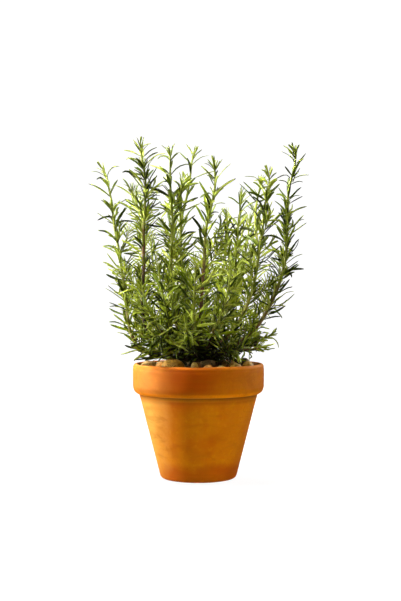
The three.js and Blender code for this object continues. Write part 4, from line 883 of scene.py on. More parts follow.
        [24,-214,-292,-42,2088,-297,-24,2166,-302,9,2238],
        [33,214,-316,-62,2058,-456,-116,2125,-597,-192,2163],
        [24,-214,-316,-72,2077,-341,-90,2138,-370,-129,2186],
        [24,-214,-325,-53,2083,-383,-45,2121,-443,-27,2151],
        [24,-214,-323,-62,2077,-410,-88,2121,-495,-113,2168],
        [34,224,-283,-35,1965,-425,46,2025,-551,156,2075],
        [24,-224,-293,-39,1986,-364,-25,2048,-439,-23,2107],
        [24,-224,-267,-31,1998,-258,27,2080,-248,92,2156],
        [24,-224,-283,-31,1978,-331,3,2045,-373,62,2096],
        [24,-224,-272,-28,1985,-290,17,2040,-318,61,2091],
        [34,224,-257,-63,1972,-215,-169,2047,-182,-285,2112],
        [35,234,-245,-46,1869,-373,-91,1943,-517,-137,1971],
        [24,-234,-255,-36,1883,-304,-34,1912,-358,-23,1929],
        [24,-234,-253,-45,1882,-314,-57,1934,-382,-56,1977],
        [35,234,-214,-28,1886,-181,22,2029,-153,86,2167],
        [24,-234,-223,-31,1909,-232,-29,1968,-238,-34,2027],
        [24,-234,-218,-43,1904,-232,-54,1990,-238,-63,2078],
        [30,244,-177,-48,1779,-232,-181,1805,-274,-320,1827],
        [30,244,-168,-10,1788,-174,131,1887,-172,297,1933],
        [24,-244,-195,-14,1789,-251,16,1826,-301,54,1866],
        [24,-244,-202,-17,1796,-243,-11,1838,-288,9,1869],
        [24,2,-214,-237,3747,-200,-241,3797,-194,-251,3847],
        [24,2,-209,-230,3747,-183,-226,3809,-144,-195,3855],
        [26,5,-218,-234,3717,-191,-256,3774,-152,-292,3814],
        [26,5,-221,-225,3719,-201,-209,3791,-170,-180,3854],
        [21,10,-230,-221,3670,-159,-219,3728,-77,-187,3755],
        [21,10,-239,-225,3672,-244,-257,3759,-287,-285,3836],
        [25,15,-253,-207,3627,-228,-174,3734,-227,-98,3819],
        [25,15,-249,-215,3623,-185,-259,3711,-111,-304,3789],
        [27,23,-289,-195,3557,-326,-267,3633,-383,-337,3699],
        [27,23,-279,-189,3554,-163,-165,3577,-54,-116,3592],
        [20,2,-382,42,3555,-373,91,3596,-355,142,3633],
        [22,4,-377,27,3541,-379,46,3601,-374,52,3663],
        [22,4,-381,34,3536,-406,96,3570,-435,166,3574],
        [22,8,-367,11,3505,-356,71,3572,-322,140,3618],
        [22,8,-376,8,3504,-412,44,3562,-453,83,3614],
        [26,13,-366,-18,3462,-420,50,3528,-507,108,3562],
        [26,13,-358,-23,3468,-358,6,3546,-352,8,3629],
        [25,20,-355,-61,3420,-437,-25,3507,-516,-10,3603],
        [25,20,-344,-56,3418,-279,24,3450,-193,89,3450],
        [21,2,-462,-49,3276,-508,-46,3326,-554,-35,3374],
        [21,2,-456,-44,3278,-461,-15,3333,-452,26,3380],
        [25,5,-445,-56,3252,-467,-67,3323,-482,-113,3379],
        [25,5,-451,-52,3249,-505,-42,3283,-566,-36,3302],
        [28,8,-433,-54,3224,-444,-10,3285,-424,45,3332],
        [28,8,-438,-63,3224,-492,-90,3276,-550,-124,3317],
        [28,13,-418,-72,3180,-504,-49,3227,-596,-39,3267],
        [28,13,-409,-74,3185,-438,-55,3279,-473,-50,3373],
        [28,18,-390,-96,3133,-484,-102,3182,-573,-119,3239],
        [28,18,-382,-87,3134,-423,-20,3224,-442,54,3315],
        [23,2,-336,24,3181,-348,33,3246,-371,26,3309],
        [23,2,-328,26,3179,-311,48,3240,-288,80,3293],
        [21,5,-335,13,3153,-321,-7,3213,-310,-38,3269],
        [21,5,-337,21,3150,-340,69,3195,-351,128,3221],
        [24,8,-335,4,3124,-285,1,3181,-229,6,3232],
        [24,8,-344,7,3124,-391,33,3199,-445,66,3266],
        [28,13,-343,-8,3075,-336,68,3104,-344,150,3106],
        [28,13,-343,-17,3080,-337,-11,3183,-327,-44,3280],
        [23,18,-351,-42,3026,-441,-37,3120,-548,-22,3193],
        [23,18,-341,-40,3024,-244,-2,3100,-144,43,3167],
        [26,26,-347,-82,2969,-348,-73,3083,-360,-111,3190],
        [26,26,-349,-72,2961,-386,48,2968,-429,162,2938],
        [25,2,-263,-214,2868,-245,-261,2895,-238,-315,2913],
        [25,2,-262,-206,2871,-238,-225,2919,-203,-235,2963],
        [21,5,-271,-198,2842,-216,-241,2870,-151,-274,2885],
        [21,5,-279,-196,2847,-297,-224,2919,-337,-249,2984],
        [24,9,-290,-172,2815,-251,-190,2901,-214,-190,2989],
        [24,9,-292,-182,2810,-276,-268,2842,-267,-360,2860],
        [23,14,-312,-154,2786,-318,-170,2891,-315,-185,2996],
        [23,14,-303,-155,2779,-232,-195,2831,-159,-219,2891],
        [22,2,-521,-129,2731,-558,-137,2784,-607,-137,2828],
        [22,2,-515,-125,2734,-522,-119,2800,-516,-110,2865],
        [22,5,-501,-126,2707,-491,-145,2779,-463,-178,2840],
        [22,5,-507,-120,2706,-539,-107,2768,-570,-84,2827],
        [25,9,-484,-119,2673,-476,-120,2763,-432,-124,2841],
        [25,9,-491,-124,2668,-546,-156,2714,-614,-195,2722],
        [23,14,-467,-113,2625,-555,-115,2655,-647,-130,2656],
        [23,14,-460,-119,2630,-489,-157,2711,-495,-212,2788],
        [28,19,-440,-108,2584,-540,-117,2587,-641,-122,2592],
        [28,19,-434,-102,2590,-452,-34,2670,-440,45,2740],
        [28,25,-393,-103,2546,-441,-134,2646,-466,-184,2746],
        [28,25,-402,-98,2539,-517,-82,2546,-634,-85,2539],
        [21,2,-437,152,2696,-450,182,2743,-477,206,2788],
        [21,2,-431,158,2694,-439,187,2740,-443,213,2789],
        [23,5,-426,137,2672,-435,155,2743,-438,173,2814],
        [23,5,-427,145,2667,-443,204,2703,-470,264,2730],
        [28,9,-415,125,2634,-418,195,2690,-409,279,2717],
        [28,9,-420,118,2637,-461,116,2710,-499,77,2773],
        [28,14,-409,96,2592,-473,167,2610,-534,241,2606],
        [28,14,-402,92,2598,-384,109,2709,-375,117,2822],
        [26,20,-397,56,2549,-472,87,2621,-572,88,2660],
        [26,20,-387,61,2548,-354,141,2611,-320,221,2673],
        [28,27,-375,17,2508,-351,38,2645,-329,17,2782],
        [28,27,-384,21,2501,-491,105,2499,-609,159,2459],
        [26,2,-248,-126,2388,-234,-133,2437,-227,-130,2487],
        [26,2,-239,-124,2387,-204,-121,2444,-172,-106,2501],
        [22,5,-250,-125,2358,-244,-162,2405,-238,-208,2443],
        [22,5,-251,-116,2360,-245,-107,2437,-239,-87,2511],
        [24,9,-254,-112,2320,-195,-128,2377,-118,-142,2408],
        [24,9,-262,-116,2322,-264,-155,2384,-292,-203,2431],
        [24,13,-270,-97,2286,-240,-51,2360,-210,6,2427],
        [24,13,-268,-107,2283,-219,-175,2325,-179,-257,2346],
        [26,18,-294,-93,2242,-266,-153,2343,-254,-242,2423],
        [26,18,-285,-85,2240,-192,-76,2331,-103,-53,2425],
        [21,2,-342,-284,2228,-338,-335,2265,-332,-390,2296],
        [21,2,-347,-277,2231,-353,-314,2279,-363,-328,2337],
        [27,5,-335,-265,2205,-314,-310,2252,-283,-345,2302],
        [27,5,-344,-263,2205,-389,-301,2242,-450,-333,2252],
        [23,10,-330,-230,2171,-343,-260,2253,-368,-281,2335],
        [23,10,-333,-237,2164,-361,-316,2194,-387,-401,2181],
        [27,14,-327,-199,2132,-417,-228,2195,-513,-226,2254],
        [27,14,-316,-201,2133,-260,-267,2204,-181,-325,2256],
        [28,22,-308,-154,2082,-314,-266,2061,-330,-360,1999],
        [28,22,-312,-147,2089,-373,-166,2184,-413,-180,2290],
        [22,2,-299,-227,2115,-315,-261,2162,-327,-311,2194],
        [22,2,-300,-219,2118,-316,-219,2169,-339,-215,2217],
        [21,5,-287,-214,2090,-293,-258,2155,-281,-316,2207],
        [21,5,-295,-210,2089,-347,-219,2129,-410,-208,2145],
        [27,10,-275,-187,2049,-297,-193,2121,-330,-200,2189],
        [27,10,-273,-195,2045,-279,-268,2100,-268,-356,2119],
        [28,16,-266,-167,2003,-364,-199,2059,-476,-188,2090],
        [28,16,-256,-166,2007,-249,-208,2105,-204,-226,2200],
        [26,23,-239,-129,1937,-269,-238,1982,-293,-350,2021],
        [26,23,-235,-121,1944,-208,-123,2072,-166,-79,2188],
        [27,35,-371,-165,3842,-409,-140,3838,-448,-117,3840],
        [30,107,-348,-132,3126,-468,-115,3149,-590,-98,3150],
        [30,20,-359,-167,3992,-346,-149,4053,-331,-124,4112],
        [26,26,-373,-171,3932,-443,-153,3985,-508,-135,4043],
        [29,248,-170,-36,1748,-234,-77,1748,-289,-130,1756],
        [22,254,-138,-29,1698,-204,-65,1673,-266,-114,1666],
        [28,240,-192,-49,1829,-131,-149,1843,-74,-242,1885],
        [25,258,-116,-28,1665,-181,-71,1611,-254,-106,1564],
        [22,238,-217,-51,1837,-265,-134,1827,-319,-205,1790],
        [27,262,-97,-19,1631,-204,-40,1689,-305,-58,1758],
        [27,246,-184,-22,1765,-291,12,1718,-394,29,1655],
        [31,246,-179,-41,1766,-268,-92,1817,-360,-160,1824],
        [25,268,-32,-15,1601,50,-42,1647,125,-84,1694],
        [27,250,-145,-44,1740,-165,-118,1777,-165,-193,1816],
    ],
    "sprig_centre_tall": [
        [18,0,-49,524,4271,-23,571,4328,3,625,4386],
        [22,2,-63,519,4255,-83,528,4279,-165,571,4401],
        [23,17,-87,505,4108,-25,479,4170,52,453,4217,140,427,4231],
        [23,15,-100,511,4129,-151,529,4185,-206,548,4239,-260,566,4293],
        [32,67,-164,449,3617,-138,431,3617,-75,381,3643,-2,325,3666],
        [34,53,-152,470,3756,-163,447,3810,-83,425,3851,6,404,3862],
        [32,62,-158,472,3665,-139,487,3732,-98,511,3785,-50,541,3856],
        [17,0,-53,520,4273,-42,526,4321,-29,533,4369],
        [17,1,-51,512,4261,-27,505,4309,0,496,4355],
        [17,2,-61,520,4254,-52,535,4320,-44,546,4386],
        [17,3,-59,511,4243,-34,493,4299,-12,468,4354],
        [21,4,-59,515,4232,-5,511,4279,50,497,4321],
        [21,5,-68,510,4225,-44,476,4294,-17,441,4361],
        [21,6,-76,512,4217,-96,490,4286,-124,468,4352],
        [21,7,-75,520,4206,-67,577,4261,-65,636,4314],
        [21,9,-78,519,4186,-45,580,4232,-21,645,4279],
        [21,10,-83,519,4177,-83,603,4219,-87,691,4251],
        [29,29,-107,489,3991,-113,393,4093,-149,297,4187],
        [40,44,-134,490,3842,-179,579,3952,-216,683,4051],
        [35,71,-192,457,3582,-247,554,3702,-315,687,3771],
        [41,84,-212,444,3454,-191,562,3556,-180,703,3626],
        [41,84,-221,424,3458,-290,353,3556,-343,264,3649],
        [24,-84,-216,424,3477,-223,407,3536,-230,393,3596],
        [24,-84,-221,429,3475,-235,428,3562,-270,414,3641],
        [37,99,-237,419,3308,-291,524,3417,-327,635,3528],
        [37,99,-217,405,3308,-135,408,3466,-6,371,3582],
        [24,-99,-219,400,3321,-185,379,3384,-140,353,3438],
        [24,-99,-225,398,3328,-213,372,3417,-217,341,3505],
        [39,112,-246,377,3183,-325,277,3281,-388,150,3356],
        [39,112,-230,398,3179,-189,462,3312,-102,542,3410],
        [36,127,-226,351,3025,-145,297,3121,-69,205,3187],
        [36,127,-251,364,3022,-374,412,3091,-518,431,3124],
        [24,-127,-243,376,3034,-262,430,3119,-300,494,3188],
        [24,-127,-252,369,3042,-303,400,3118,-370,417,3184],
        [29,136,-222,351,2934,-111,455,3017,4,548,3106],
        [24,-136,-223,356,2949,-191,400,3004,-156,445,3057],
        [24,-136,-240,362,2958,-255,415,2994,-262,475,3019],
        [24,-136,-220,350,2960,-167,375,3027,-118,407,3093],
        [24,-136,-229,361,2957,-207,440,3009,-198,531,3042],
        [29,136,-245,333,2937,-334,272,3026,-428,210,3110],
        [24,-136,-248,337,2953,-288,328,3027,-347,312,3085],
        [24,-136,-250,344,2949,-284,355,3008,-329,364,3060],
        [24,-136,-229,332,2958,-225,313,3044,-228,274,3124],
        [24,-136,-241,331,2952,-262,307,2997,-288,285,3040],
        [32,148,-239,329,2825,-347,412,2868,-444,506,2912],
        [32,148,-214,312,2831,-133,268,2932,-40,225,3022],
        [24,-148,-211,321,2843,-184,328,2913,-142,328,2975],
        [24,-148,-217,313,2849,-193,295,2933,-154,255,3003],
        [24,-148,-213,321,2853,-205,328,2927,-181,317,2996],
        [36,158,-229,290,2731,-325,225,2808,-427,156,2872],
        [24,-158,-224,290,2754,-240,255,2810,-256,215,2861],
        [24,-158,-215,290,2755,-216,290,2818,-211,288,2880],
        [24,-158,-235,300,2742,-269,320,2839,-313,350,2929],
        [36,158,-206,311,2729,-136,400,2816,-66,509,2878],
        [24,-158,-206,315,2753,-166,361,2815,-130,421,2865],
        [24,-158,-210,318,2743,-184,377,2803,-147,445,2844],
        [24,-158,-203,309,2746,-194,324,2805,-168,334,2860],
        [34,170,-195,265,2617,-133,203,2715,-67,99,2762],
        [34,170,-222,275,2612,-357,287,2680,-500,302,2730],
        [24,-170,-224,273,2629,-286,262,2693,-349,235,2751],
        [24,-170,-218,292,2622,-261,355,2690,-298,437,2740],
        [24,-170,-225,286,2632,-277,313,2680,-336,338,2721],
        [24,-170,-225,279,2624,-296,293,2674,-370,311,2720],
        [30,182,-187,266,2495,-162,384,2558,-124,504,2611],
        [30,182,-207,243,2497,-320,212,2603,-449,147,2664],
        [24,-182,-210,245,2519,-251,241,2586,-301,244,2647],
        [24,-182,-189,237,2516,-182,205,2582,-178,173,2649],
        [24,-182,-200,238,2521,-231,202,2611,-274,161,2693],
        [29,193,-193,228,2388,-325,267,2492,-480,293,2561],
        [29,193,-165,213,2397,-104,134,2493,-55,26,2563],
        [24,-193,-160,229,2409,-123,238,2459,-85,251,2508],
        [24,-193,-162,229,2419,-160,242,2479,-145,259,2537],
        [24,-193,-172,215,2419,-174,216,2516,-162,210,2612],
        [24,-193,-175,212,2409,-170,175,2465,-152,138,2517],
        [33,203,-166,187,2298,-246,91,2390,-324,-32,2444],
        [33,203,-143,212,2297,-56,299,2364,45,397,2366],
        [35,214,-130,160,2197,-115,93,2341,-89,17,2478],
        [35,214,-151,185,2186,-260,254,2236,-375,308,2291],
        [31,226,-101,163,2076,-96,238,2185,-76,334,2275],
        [31,226,-125,134,2079,-227,63,2176,-317,-34,2264],
        [24,-226,-135,147,2100,-177,159,2171,-236,175,2227],
        [24,-226,-131,140,2091,-170,136,2143,-211,133,2193],
        [29,236,-108,131,1978,-202,183,2087,-324,211,2176],
        [24,-236,-114,122,1995,-163,138,2076,-233,160,2139],
        [24,-236,-106,142,1988,-140,184,2061,-185,240,2116],
        [24,-236,-116,123,2005,-184,114,2054,-247,91,2104],
        [29,236,-76,114,1989,-32,94,2147,0,45,2302],
        [34,248,-83,85,1868,-209,33,1933,-341,-38,1943],
        [24,-248,-85,85,1885,-121,74,1937,-156,65,1990],
        [24,-248,-91,97,1883,-126,106,1931,-176,107,1965],
        [24,-248,-76,79,1887,-96,74,1950,-122,62,2010],
        [24,-248,-64,81,1893,-57,40,1967,-58,-3,2040],
        [34,248,-51,107,1870,53,218,1940,151,346,1985],
        [24,-248,-52,109,1884,-32,142,1939,-18,180,1993],
        [24,-248,-54,111,1895,-34,155,1986,-11,205,2074],
        [24,-248,-74,119,1880,-102,180,1945,-141,254,1986],
        [21,9,-256,464,3728,-245,485,3811,-215,514,3887],
        [28,14,-247,462,3678,-338,491,3743,-445,507,3783],
        [28,14,-238,458,3682,-207,438,3775,-143,391,3836],
        [28,21,-217,453,3614,-321,438,3636,-420,399,3631],
        [28,21,-206,457,3620,-239,486,3723,-249,540,3821],
        [22,2,-326,477,3608,-346,485,3672,-391,492,3721],
        [22,2,-319,481,3609,-330,493,3671,-344,506,3732],
        [26,5,-314,469,3581,-328,462,3640,-346,454,3697],
        [26,5,-317,478,3579,-359,513,3630,-418,556,3646],
        [26,8,-301,471,3553,-283,493,3616,-260,502,3681],
        [26,8,-309,465,3552,-354,451,3631,-392,417,3707],
        [24,14,-287,462,3495,-342,513,3558,-402,584,3589],
        [24,14,-285,452,3499,-324,417,3588,-337,358,3671],
        [25,20,-259,440,3435,-352,472,3517,-453,495,3594],
        [25,20,-248,442,3440,-233,495,3548,-215,562,3648],
        [24,2,-172,630,3418,-167,683,3445,-171,741,3459],
        [24,5,-171,608,3397,-152,631,3447,-119,634,3496],
        [24,5,-179,611,3396,-204,647,3434,-247,682,3453],
        [22,9,-179,590,3360,-162,666,3399,-144,749,3421],
        [22,9,-178,582,3366,-155,582,3442,-118,556,3508],
        [24,14,-191,562,3333,-225,612,3394,-275,646,3456],
        [24,14,-180,560,3333,-113,586,3395,-37,586,3450],
        [27,19,-198,526,3299,-215,578,3417,-250,599,3540],
        [27,19,-194,532,3291,-175,621,3343,-156,709,3395],
        [28,27,-217,468,3232,-282,587,3256,-370,686,3290],
        [23,2,-343,288,3210,-388,274,3249,-443,251,3264],
        [23,2,-335,288,3212,-364,282,3272,-373,274,3337],
        [24,6,-323,292,3174,-316,251,3223,-314,203,3264],
        [24,6,-327,300,3174,-360,303,3243,-405,312,3304],
        [25,9,-311,303,3149,-307,295,3237,-303,280,3324],
        [25,9,-319,299,3145,-395,265,3188,-473,233,3227],
        [26,14,-299,317,3102,-383,331,3155,-481,349,3171],
        [26,14,-292,309,3103,-277,229,3167,-255,144,3221],
        [28,19,-278,329,3058,-363,288,3137,-461,253,3203],
        [28,19,-267,328,3065,-224,295,3152,-167,252,3226],
        [23,2,-347,235,2981,-379,214,3025,-415,199,3068],
        [23,2,-345,243,2983,-360,257,3029,-380,284,3067],
        [26,4,-331,242,2956,-321,232,3025,-308,209,3090],
        [26,4,-339,244,2953,-396,255,2993,-456,254,3028],
        [21,8,-320,248,2929,-304,267,3014,-297,299,3096],
        [21,8,-327,242,2925,-382,196,2962,-440,151,2994],
        [22,12,-313,254,2889,-390,260,2951,-466,284,3010],
        [22,12,-304,250,2893,-297,225,2968,-291,203,3045],
        [28,19,-282,265,2827,-361,220,2901,-446,163,2959],
        [28,19,-277,274,2832,-324,327,2942,-364,386,3051],
        [24,2,-230,494,2766,-258,527,2813,-308,556,2842],
        [24,2,-221,497,2765,-212,535,2803,-206,578,2834],
        [23,5,-219,475,2743,-197,505,2810,-157,511,2874],
        [23,5,-226,479,2739,-256,528,2770,-300,575,2777],
        [24,10,-214,447,2702,-176,507,2728,-133,567,2744],
        [24,10,-223,445,2703,-293,488,2757,-370,528,2802],
        [26,16,-216,406,2657,-278,505,2662,-346,591,2620],
        [26,16,-207,402,2662,-163,448,2740,-120,475,2827],
        [25,22,-213,355,2623,-307,371,2722,-409,333,2807],
        [25,22,-202,360,2619,-128,450,2630,-58,542,2614],
        [21,2,-112,187,2612,-99,186,2666,-97,193,2722],
        [21,2,-104,190,2611,-69,195,2654,-24,195,2687],
        [25,5,-110,187,2581,-70,151,2632,-17,116,2672],
        [25,5,-115,194,2583,-127,222,2651,-143,245,2721],
        [24,9,-116,197,2541,-52,204,2591,17,226,2629],
        [24,9,-126,194,2544,-149,179,2625,-172,176,2707],
        [28,14,-135,209,2496,-105,218,2578,-78,268,2645],
        [28,14,-132,200,2493,-75,157,2549,-3,110,2577],
        [26,2,-382,193,2536,-410,201,2594,-446,215,2646],
        [26,2,-376,199,2538,-396,212,2602,-392,241,2663],
        [25,5,-364,189,2511,-380,170,2565,-394,133,2610],
        [25,5,-367,198,2509,-407,224,2570,-452,268,2616],
        [28,10,-344,193,2475,-331,221,2545,-304,255,2608],
        [28,10,-352,190,2471,-422,192,2505,-492,191,2538],
        [28,14,-325,191,2428,-401,232,2478,-482,289,2488],
        [28,14,-319,185,2432,-321,160,2525,-285,133,2609],
        [28,21,-293,185,2376,-387,190,2419,-491,183,2425],
        [28,21,-284,185,2383,-275,191,2511,-252,221,2634],
        [28,28,-242,178,2326,-247,115,2424,-248,44,2516],
        [28,28,-247,189,2322,-305,272,2346,-338,371,2339],
        [21,2,-42,266,2316,-40,280,2365,-27,281,2415],
        [21,2,-41,273,2312,-37,322,2357,-36,385,2381],
        [23,5,-38,254,2288,-6,265,2342,34,275,2390],
        [23,5,-45,259,2286,-76,315,2330,-115,362,2378],
        [28,9,-41,243,2249,-19,306,2297,16,374,2327],
        [28,9,-41,234,2253,-27,246,2342,-4,237,2430],
        [28,14,-53,216,2208,-81,240,2290,-120,242,2370],
        [28,14,-43,216,2207,4,246,2278,69,279,2330],
        [27,19,-61,193,2165,-108,174,2275,-141,142,2388],
        [27,19,-52,199,2160,35,273,2193,141,325,2185],
        [20,2,-36,271,2058,-23,294,2110,6,296,2161],
        [20,2,-34,276,2052,-19,331,2076,-6,390,2091],
        [26,5,-34,250,2035,-8,295,2086,15,336,2142],
        [26,5,-44,251,2035,-76,289,2074,-117,324,2106],
        [25,9,-44,224,2004,-22,306,2001,9,372,1959],
        [25,9,-46,218,2013,-48,262,2078,-65,301,2145],
        [27,15,-63,175,1974,-67,269,2023,-93,368,2052],
        [27,15,-52,172,1973,26,237,2013,124,279,2037],
        [31,116,-226,384,3140,-147,423,3201,-48,461,3219],
        [25,125,-225,364,3053,-167,363,3064,-111,361,3046],
        [29,134,-224,356,2964,-167,412,3035,-79,469,3059],
        [32,38,-126,484,3903,-136,480,3951,-155,472,3996],
        [28,131,-225,346,2996,-135,293,3072,-72,236,3170],
        [26,44,-122,475,3842,-81,435,3898,-32,392,3943],
        [30,134,-222,346,2966,-98,338,3019,-18,329,3129],
        [25,122,-227,364,3084,-132,329,3162,-23,292,3216],
        [27,80,-195,443,3492,-87,503,3551,24,565,3604],
        [29,59,-144,460,3694,-101,453,3769,-82,441,3854],
        [31,272,-22,20,1645,-48,-23,1698,-80,-84,1722],
        [26,262,-55,53,1735,-105,51,1803,-165,39,1861],
    ],
    "sprig_centre_right": [
        [25,2,196,-607,4010,181,-577,4068,165,-539,4127],
        [25,10,210,-601,3932,228,-576,4019,244,-558,4068],
        [22,6,210,-608,3971,252,-577,4010,304,-532,4084],
        [21,9,198,-606,3940,124,-583,4009,72,-570,4023],
        [23,21,217,-599,3821,235,-606,3832,311,-643,3932,404,-680,4012],
        [26,23,198,-592,3802,183,-587,3817,125,-556,3909,28,-520,4005],
        [27,28,197,-592,3751,188,-604,3758,127,-714,3875],
        [31,48,167,-559,3559,158,-558,3569,72,-553,3694,8,-549,3806],
        [24,11,198,-610,3920,88,-639,3893,-55,-680,3829],
        [30,35,212,-578,3681,263,-578,3704,367,-576,3780,471,-574,3837],
        [26,39,205,-566,3643,245,-538,3662,297,-487,3719,342,-447,3766],
        [22,35,207,-570,3683,266,-481,3719,311,-418,3756],
        [34,42,182,-572,3615,134,-598,3653,72,-623,3631,21,-649,3590],
        [26,55,169,-540,3488,213,-518,3515,270,-488,3537,342,-453,3532],
        [34,55,149,-547,3492,120,-555,3580,82,-564,3667,45,-572,3755],
        [32,66,141,-516,3385,193,-453,3424,263,-380,3425],
        [31,85,108,-482,3202,121,-468,3210,222,-356,3325],
        [32,77,99,-500,3282,47,-475,3357,10,-449,3441,-41,-424,3517],
        [17,0,190,-611,4029,178,-610,4079,169,-608,4130],
        [17,1,195,-622,4019,184,-636,4073,168,-653,4124],
        [17,3,199,-608,4001,193,-586,4060,195,-562,4119],
        [21,4,200,-620,3990,185,-656,4054,170,-700,4113],
        [21,5,203,-619,3980,199,-662,4047,192,-707,4113],
        [21,6,197,-615,3970,153,-637,4020,112,-663,4072],
        [21,7,205,-605,3961,208,-567,4021,215,-523,4077],
        [21,9,201,-615,3940,157,-669,3996,109,-737,4029],
        [21,10,210,-614,3930,242,-669,3986,270,-727,4041],
        [23,12,207,-616,3910,204,-676,3982,184,-761,4017],
        [32,19,199,-603,3840,133,-645,3894,75,-698,3946],
        [34,29,207,-598,3740,219,-731,3804,240,-872,3845],
        [36,44,197,-571,3591,302,-622,3726,450,-660,3818],
        [24,-44,200,-578,3611,245,-625,3660,287,-676,3709],
        [24,-44,204,-567,3610,257,-571,3670,322,-569,3716],
        [43,56,158,-533,3482,181,-437,3577,206,-319,3644],
        [24,-56,154,-539,3503,130,-508,3565,109,-468,3623],
        [24,-56,155,-541,3508,149,-531,3564,141,-518,3619],
        [24,-56,161,-534,3495,177,-523,3567,187,-505,3638],
        [38,68,120,-515,3369,97,-495,3514,70,-435,3647],
        [24,-68,129,-516,3394,132,-510,3496,107,-492,3594],
        [24,-68,121,-531,3381,110,-549,3438,85,-561,3492],
        [24,-68,123,-522,3392,120,-529,3484,121,-529,3577],
        [24,-68,123,-517,3383,110,-510,3442,98,-508,3502],
        [35,79,111,-488,3261,162,-452,3409,221,-354,3522],
        [24,-79,101,-493,3281,92,-478,3343,82,-461,3404],
        [24,-79,120,-494,3277,150,-483,3325,177,-465,3373],
        [24,-79,105,-493,3285,112,-493,3352,112,-477,3418],
        [35,79,101,-513,3258,73,-650,3319,48,-794,3364],
        [41,94,76,-476,3113,8,-558,3249,-81,-661,3356],
        [24,-94,79,-461,3133,74,-464,3203,63,-450,3271],
        [24,-94,75,-476,3136,35,-494,3178,-10,-514,3212],
        [24,-94,75,-476,3139,59,-492,3203,35,-504,3266],
        [24,-94,80,-484,3130,59,-527,3171,46,-577,3208],
        [41,94,101,-476,3112,165,-553,3238,232,-664,3334],
        [34,110,71,-443,2956,33,-547,3093,11,-675,3213],
        [24,-110,87,-450,2973,105,-506,3038,120,-569,3098],
        [24,-110,67,-442,2974,22,-483,3029,-27,-532,3072],
        [34,110,76,-417,2962,33,-317,3062,-30,-193,3111],
        [24,-110,92,-422,2975,121,-405,3034,151,-388,3093],
        [24,-110,74,-423,2983,57,-413,3057,32,-409,3130],
        [24,-110,73,-421,2976,46,-392,3041,13,-364,3103],
        [35,124,90,-393,2823,187,-393,2924,280,-382,3028],
        [35,124,59,-400,2823,-75,-452,2890,-216,-512,2929],
        [31,135,77,-355,2719,159,-280,2835,232,-151,2896],
        [24,-135,62,-359,2745,43,-314,2834,30,-244,2907],
        [24,-135,83,-364,2734,116,-364,2807,160,-339,2870],
        [24,-135,69,-358,2745,72,-348,2835,59,-323,2921],
        [24,-135,77,-358,2737,100,-332,2782,117,-297,2823],
        [31,135,55,-380,2714,-5,-487,2814,-93,-610,2861],
        [34,148,40,-339,2602,-18,-384,2762,-130,-392,2898],
        [34,148,73,-340,2599,185,-385,2664,314,-425,2685],
        [38,157,40,-325,2511,9,-418,2606,-18,-538,2664],
        [24,-157,62,-330,2526,86,-369,2572,122,-413,2602],
        [24,-157,36,-328,2537,22,-352,2591,5,-373,2645],
        [38,157,61,-298,2518,122,-277,2654,204,-269,2779],
        [29,166,64,-279,2419,185,-279,2552,292,-259,2694],
        [24,-166,62,-275,2434,77,-280,2494,88,-274,2554],
        [24,-166,66,-285,2443,105,-292,2505,155,-293,2560],
        [29,166,28,-284,2419,-70,-314,2502,-188,-335,2558],
        [28,178,53,-237,2317,142,-147,2414,244,-43,2476],
        [24,-178,56,-242,2334,98,-220,2405,145,-207,2476],
        [24,-178,38,-237,2333,25,-202,2418,2,-166,2501],
        [28,178,48,-268,2308,93,-398,2358,152,-530,2382],
        [31,188,18,-216,2221,-69,-231,2375,-175,-245,2516],
        [24,-188,20,-217,2241,5,-230,2327,-11,-242,2412],
        [24,-188,18,-233,2236,-11,-275,2319,-38,-327,2397],
        [24,-188,20,-217,2239,-25,-206,2313,-71,-192,2387],
        [31,188,53,-227,2214,145,-294,2339,262,-350,2446],
        [34,197,34,-212,2126,70,-363,2176,82,-524,2153],
        [34,197,41,-179,2136,134,-108,2263,228,-35,2389],
        [30,208,42,-157,2017,129,-188,2155,255,-185,2263],
        [24,-208,42,-172,2031,82,-204,2073,133,-241,2095],
        [24,-208,40,-152,2041,91,-136,2099,145,-123,2154],
        [30,208,4,-165,2016,-67,-229,2143,-195,-275,2223],
        [31,220,33,-108,1907,105,-42,2021,176,36,2126],
        [24,-220,7,-112,1927,-8,-114,2008,-28,-117,2088],
        [24,-220,15,-107,1923,1,-77,2011,-21,-44,2096],
        [24,-220,38,-118,1931,52,-125,1998,81,-116,2059],
        [31,220,11,-141,1897,-44,-277,1972,-118,-421,2005],
        [21,2,191,-750,3618,174,-775,3668,137,-784,3713],
        [21,2,200,-749,3617,224,-772,3657,260,-795,3687],
        [27,5,190,-738,3589,216,-796,3632,239,-866,3653],
        [27,5,185,-733,3594,173,-744,3661,147,-742,3725],
        [26,8,185,-717,3567,221,-742,3637,278,-745,3697],
        [26,8,180,-724,3564,180,-803,3596,183,-888,3604],
        [25,13,166,-691,3528,128,-708,3602,75,-702,3668],
        [25,13,171,-696,3522,191,-774,3544,199,-855,3525],
        [26,18,157,-666,3484,108,-772,3503,54,-873,3533],
        [26,18,163,-658,3489,205,-697,3606,245,-688,3730],
        [28,24,148,-628,3438,153,-744,3425,154,-857,3398],
        [28,24,144,-622,3444,129,-681,3537,74,-706,3631],
        [28,32,129,-566,3388,94,-648,3468,19,-716,3534],
        [21,2,131,-684,3347,135,-724,3381,135,-775,3396],
        [21,2,135,-679,3353,142,-716,3393,141,-748,3438],
        [24,6,133,-653,3323,155,-706,3354,194,-750,3383],
        [24,6,124,-653,3325,113,-703,3356,105,-757,3383],
        [23,10,125,-617,3308,129,-636,3383,120,-652,3459],
        [23,10,125,-623,3298,142,-714,3307,161,-798,3271],
        [24,14,114,-576,3283,88,-643,3364,29,-687,3443],
        [24,14,123,-579,3275,160,-657,3294,183,-743,3300],
        [24,2,309,-576,3290,340,-591,3332,353,-624,3373],
        [24,2,316,-571,3289,359,-568,3335,400,-543,3376],
        [26,5,302,-566,3262,353,-611,3286,406,-661,3293],
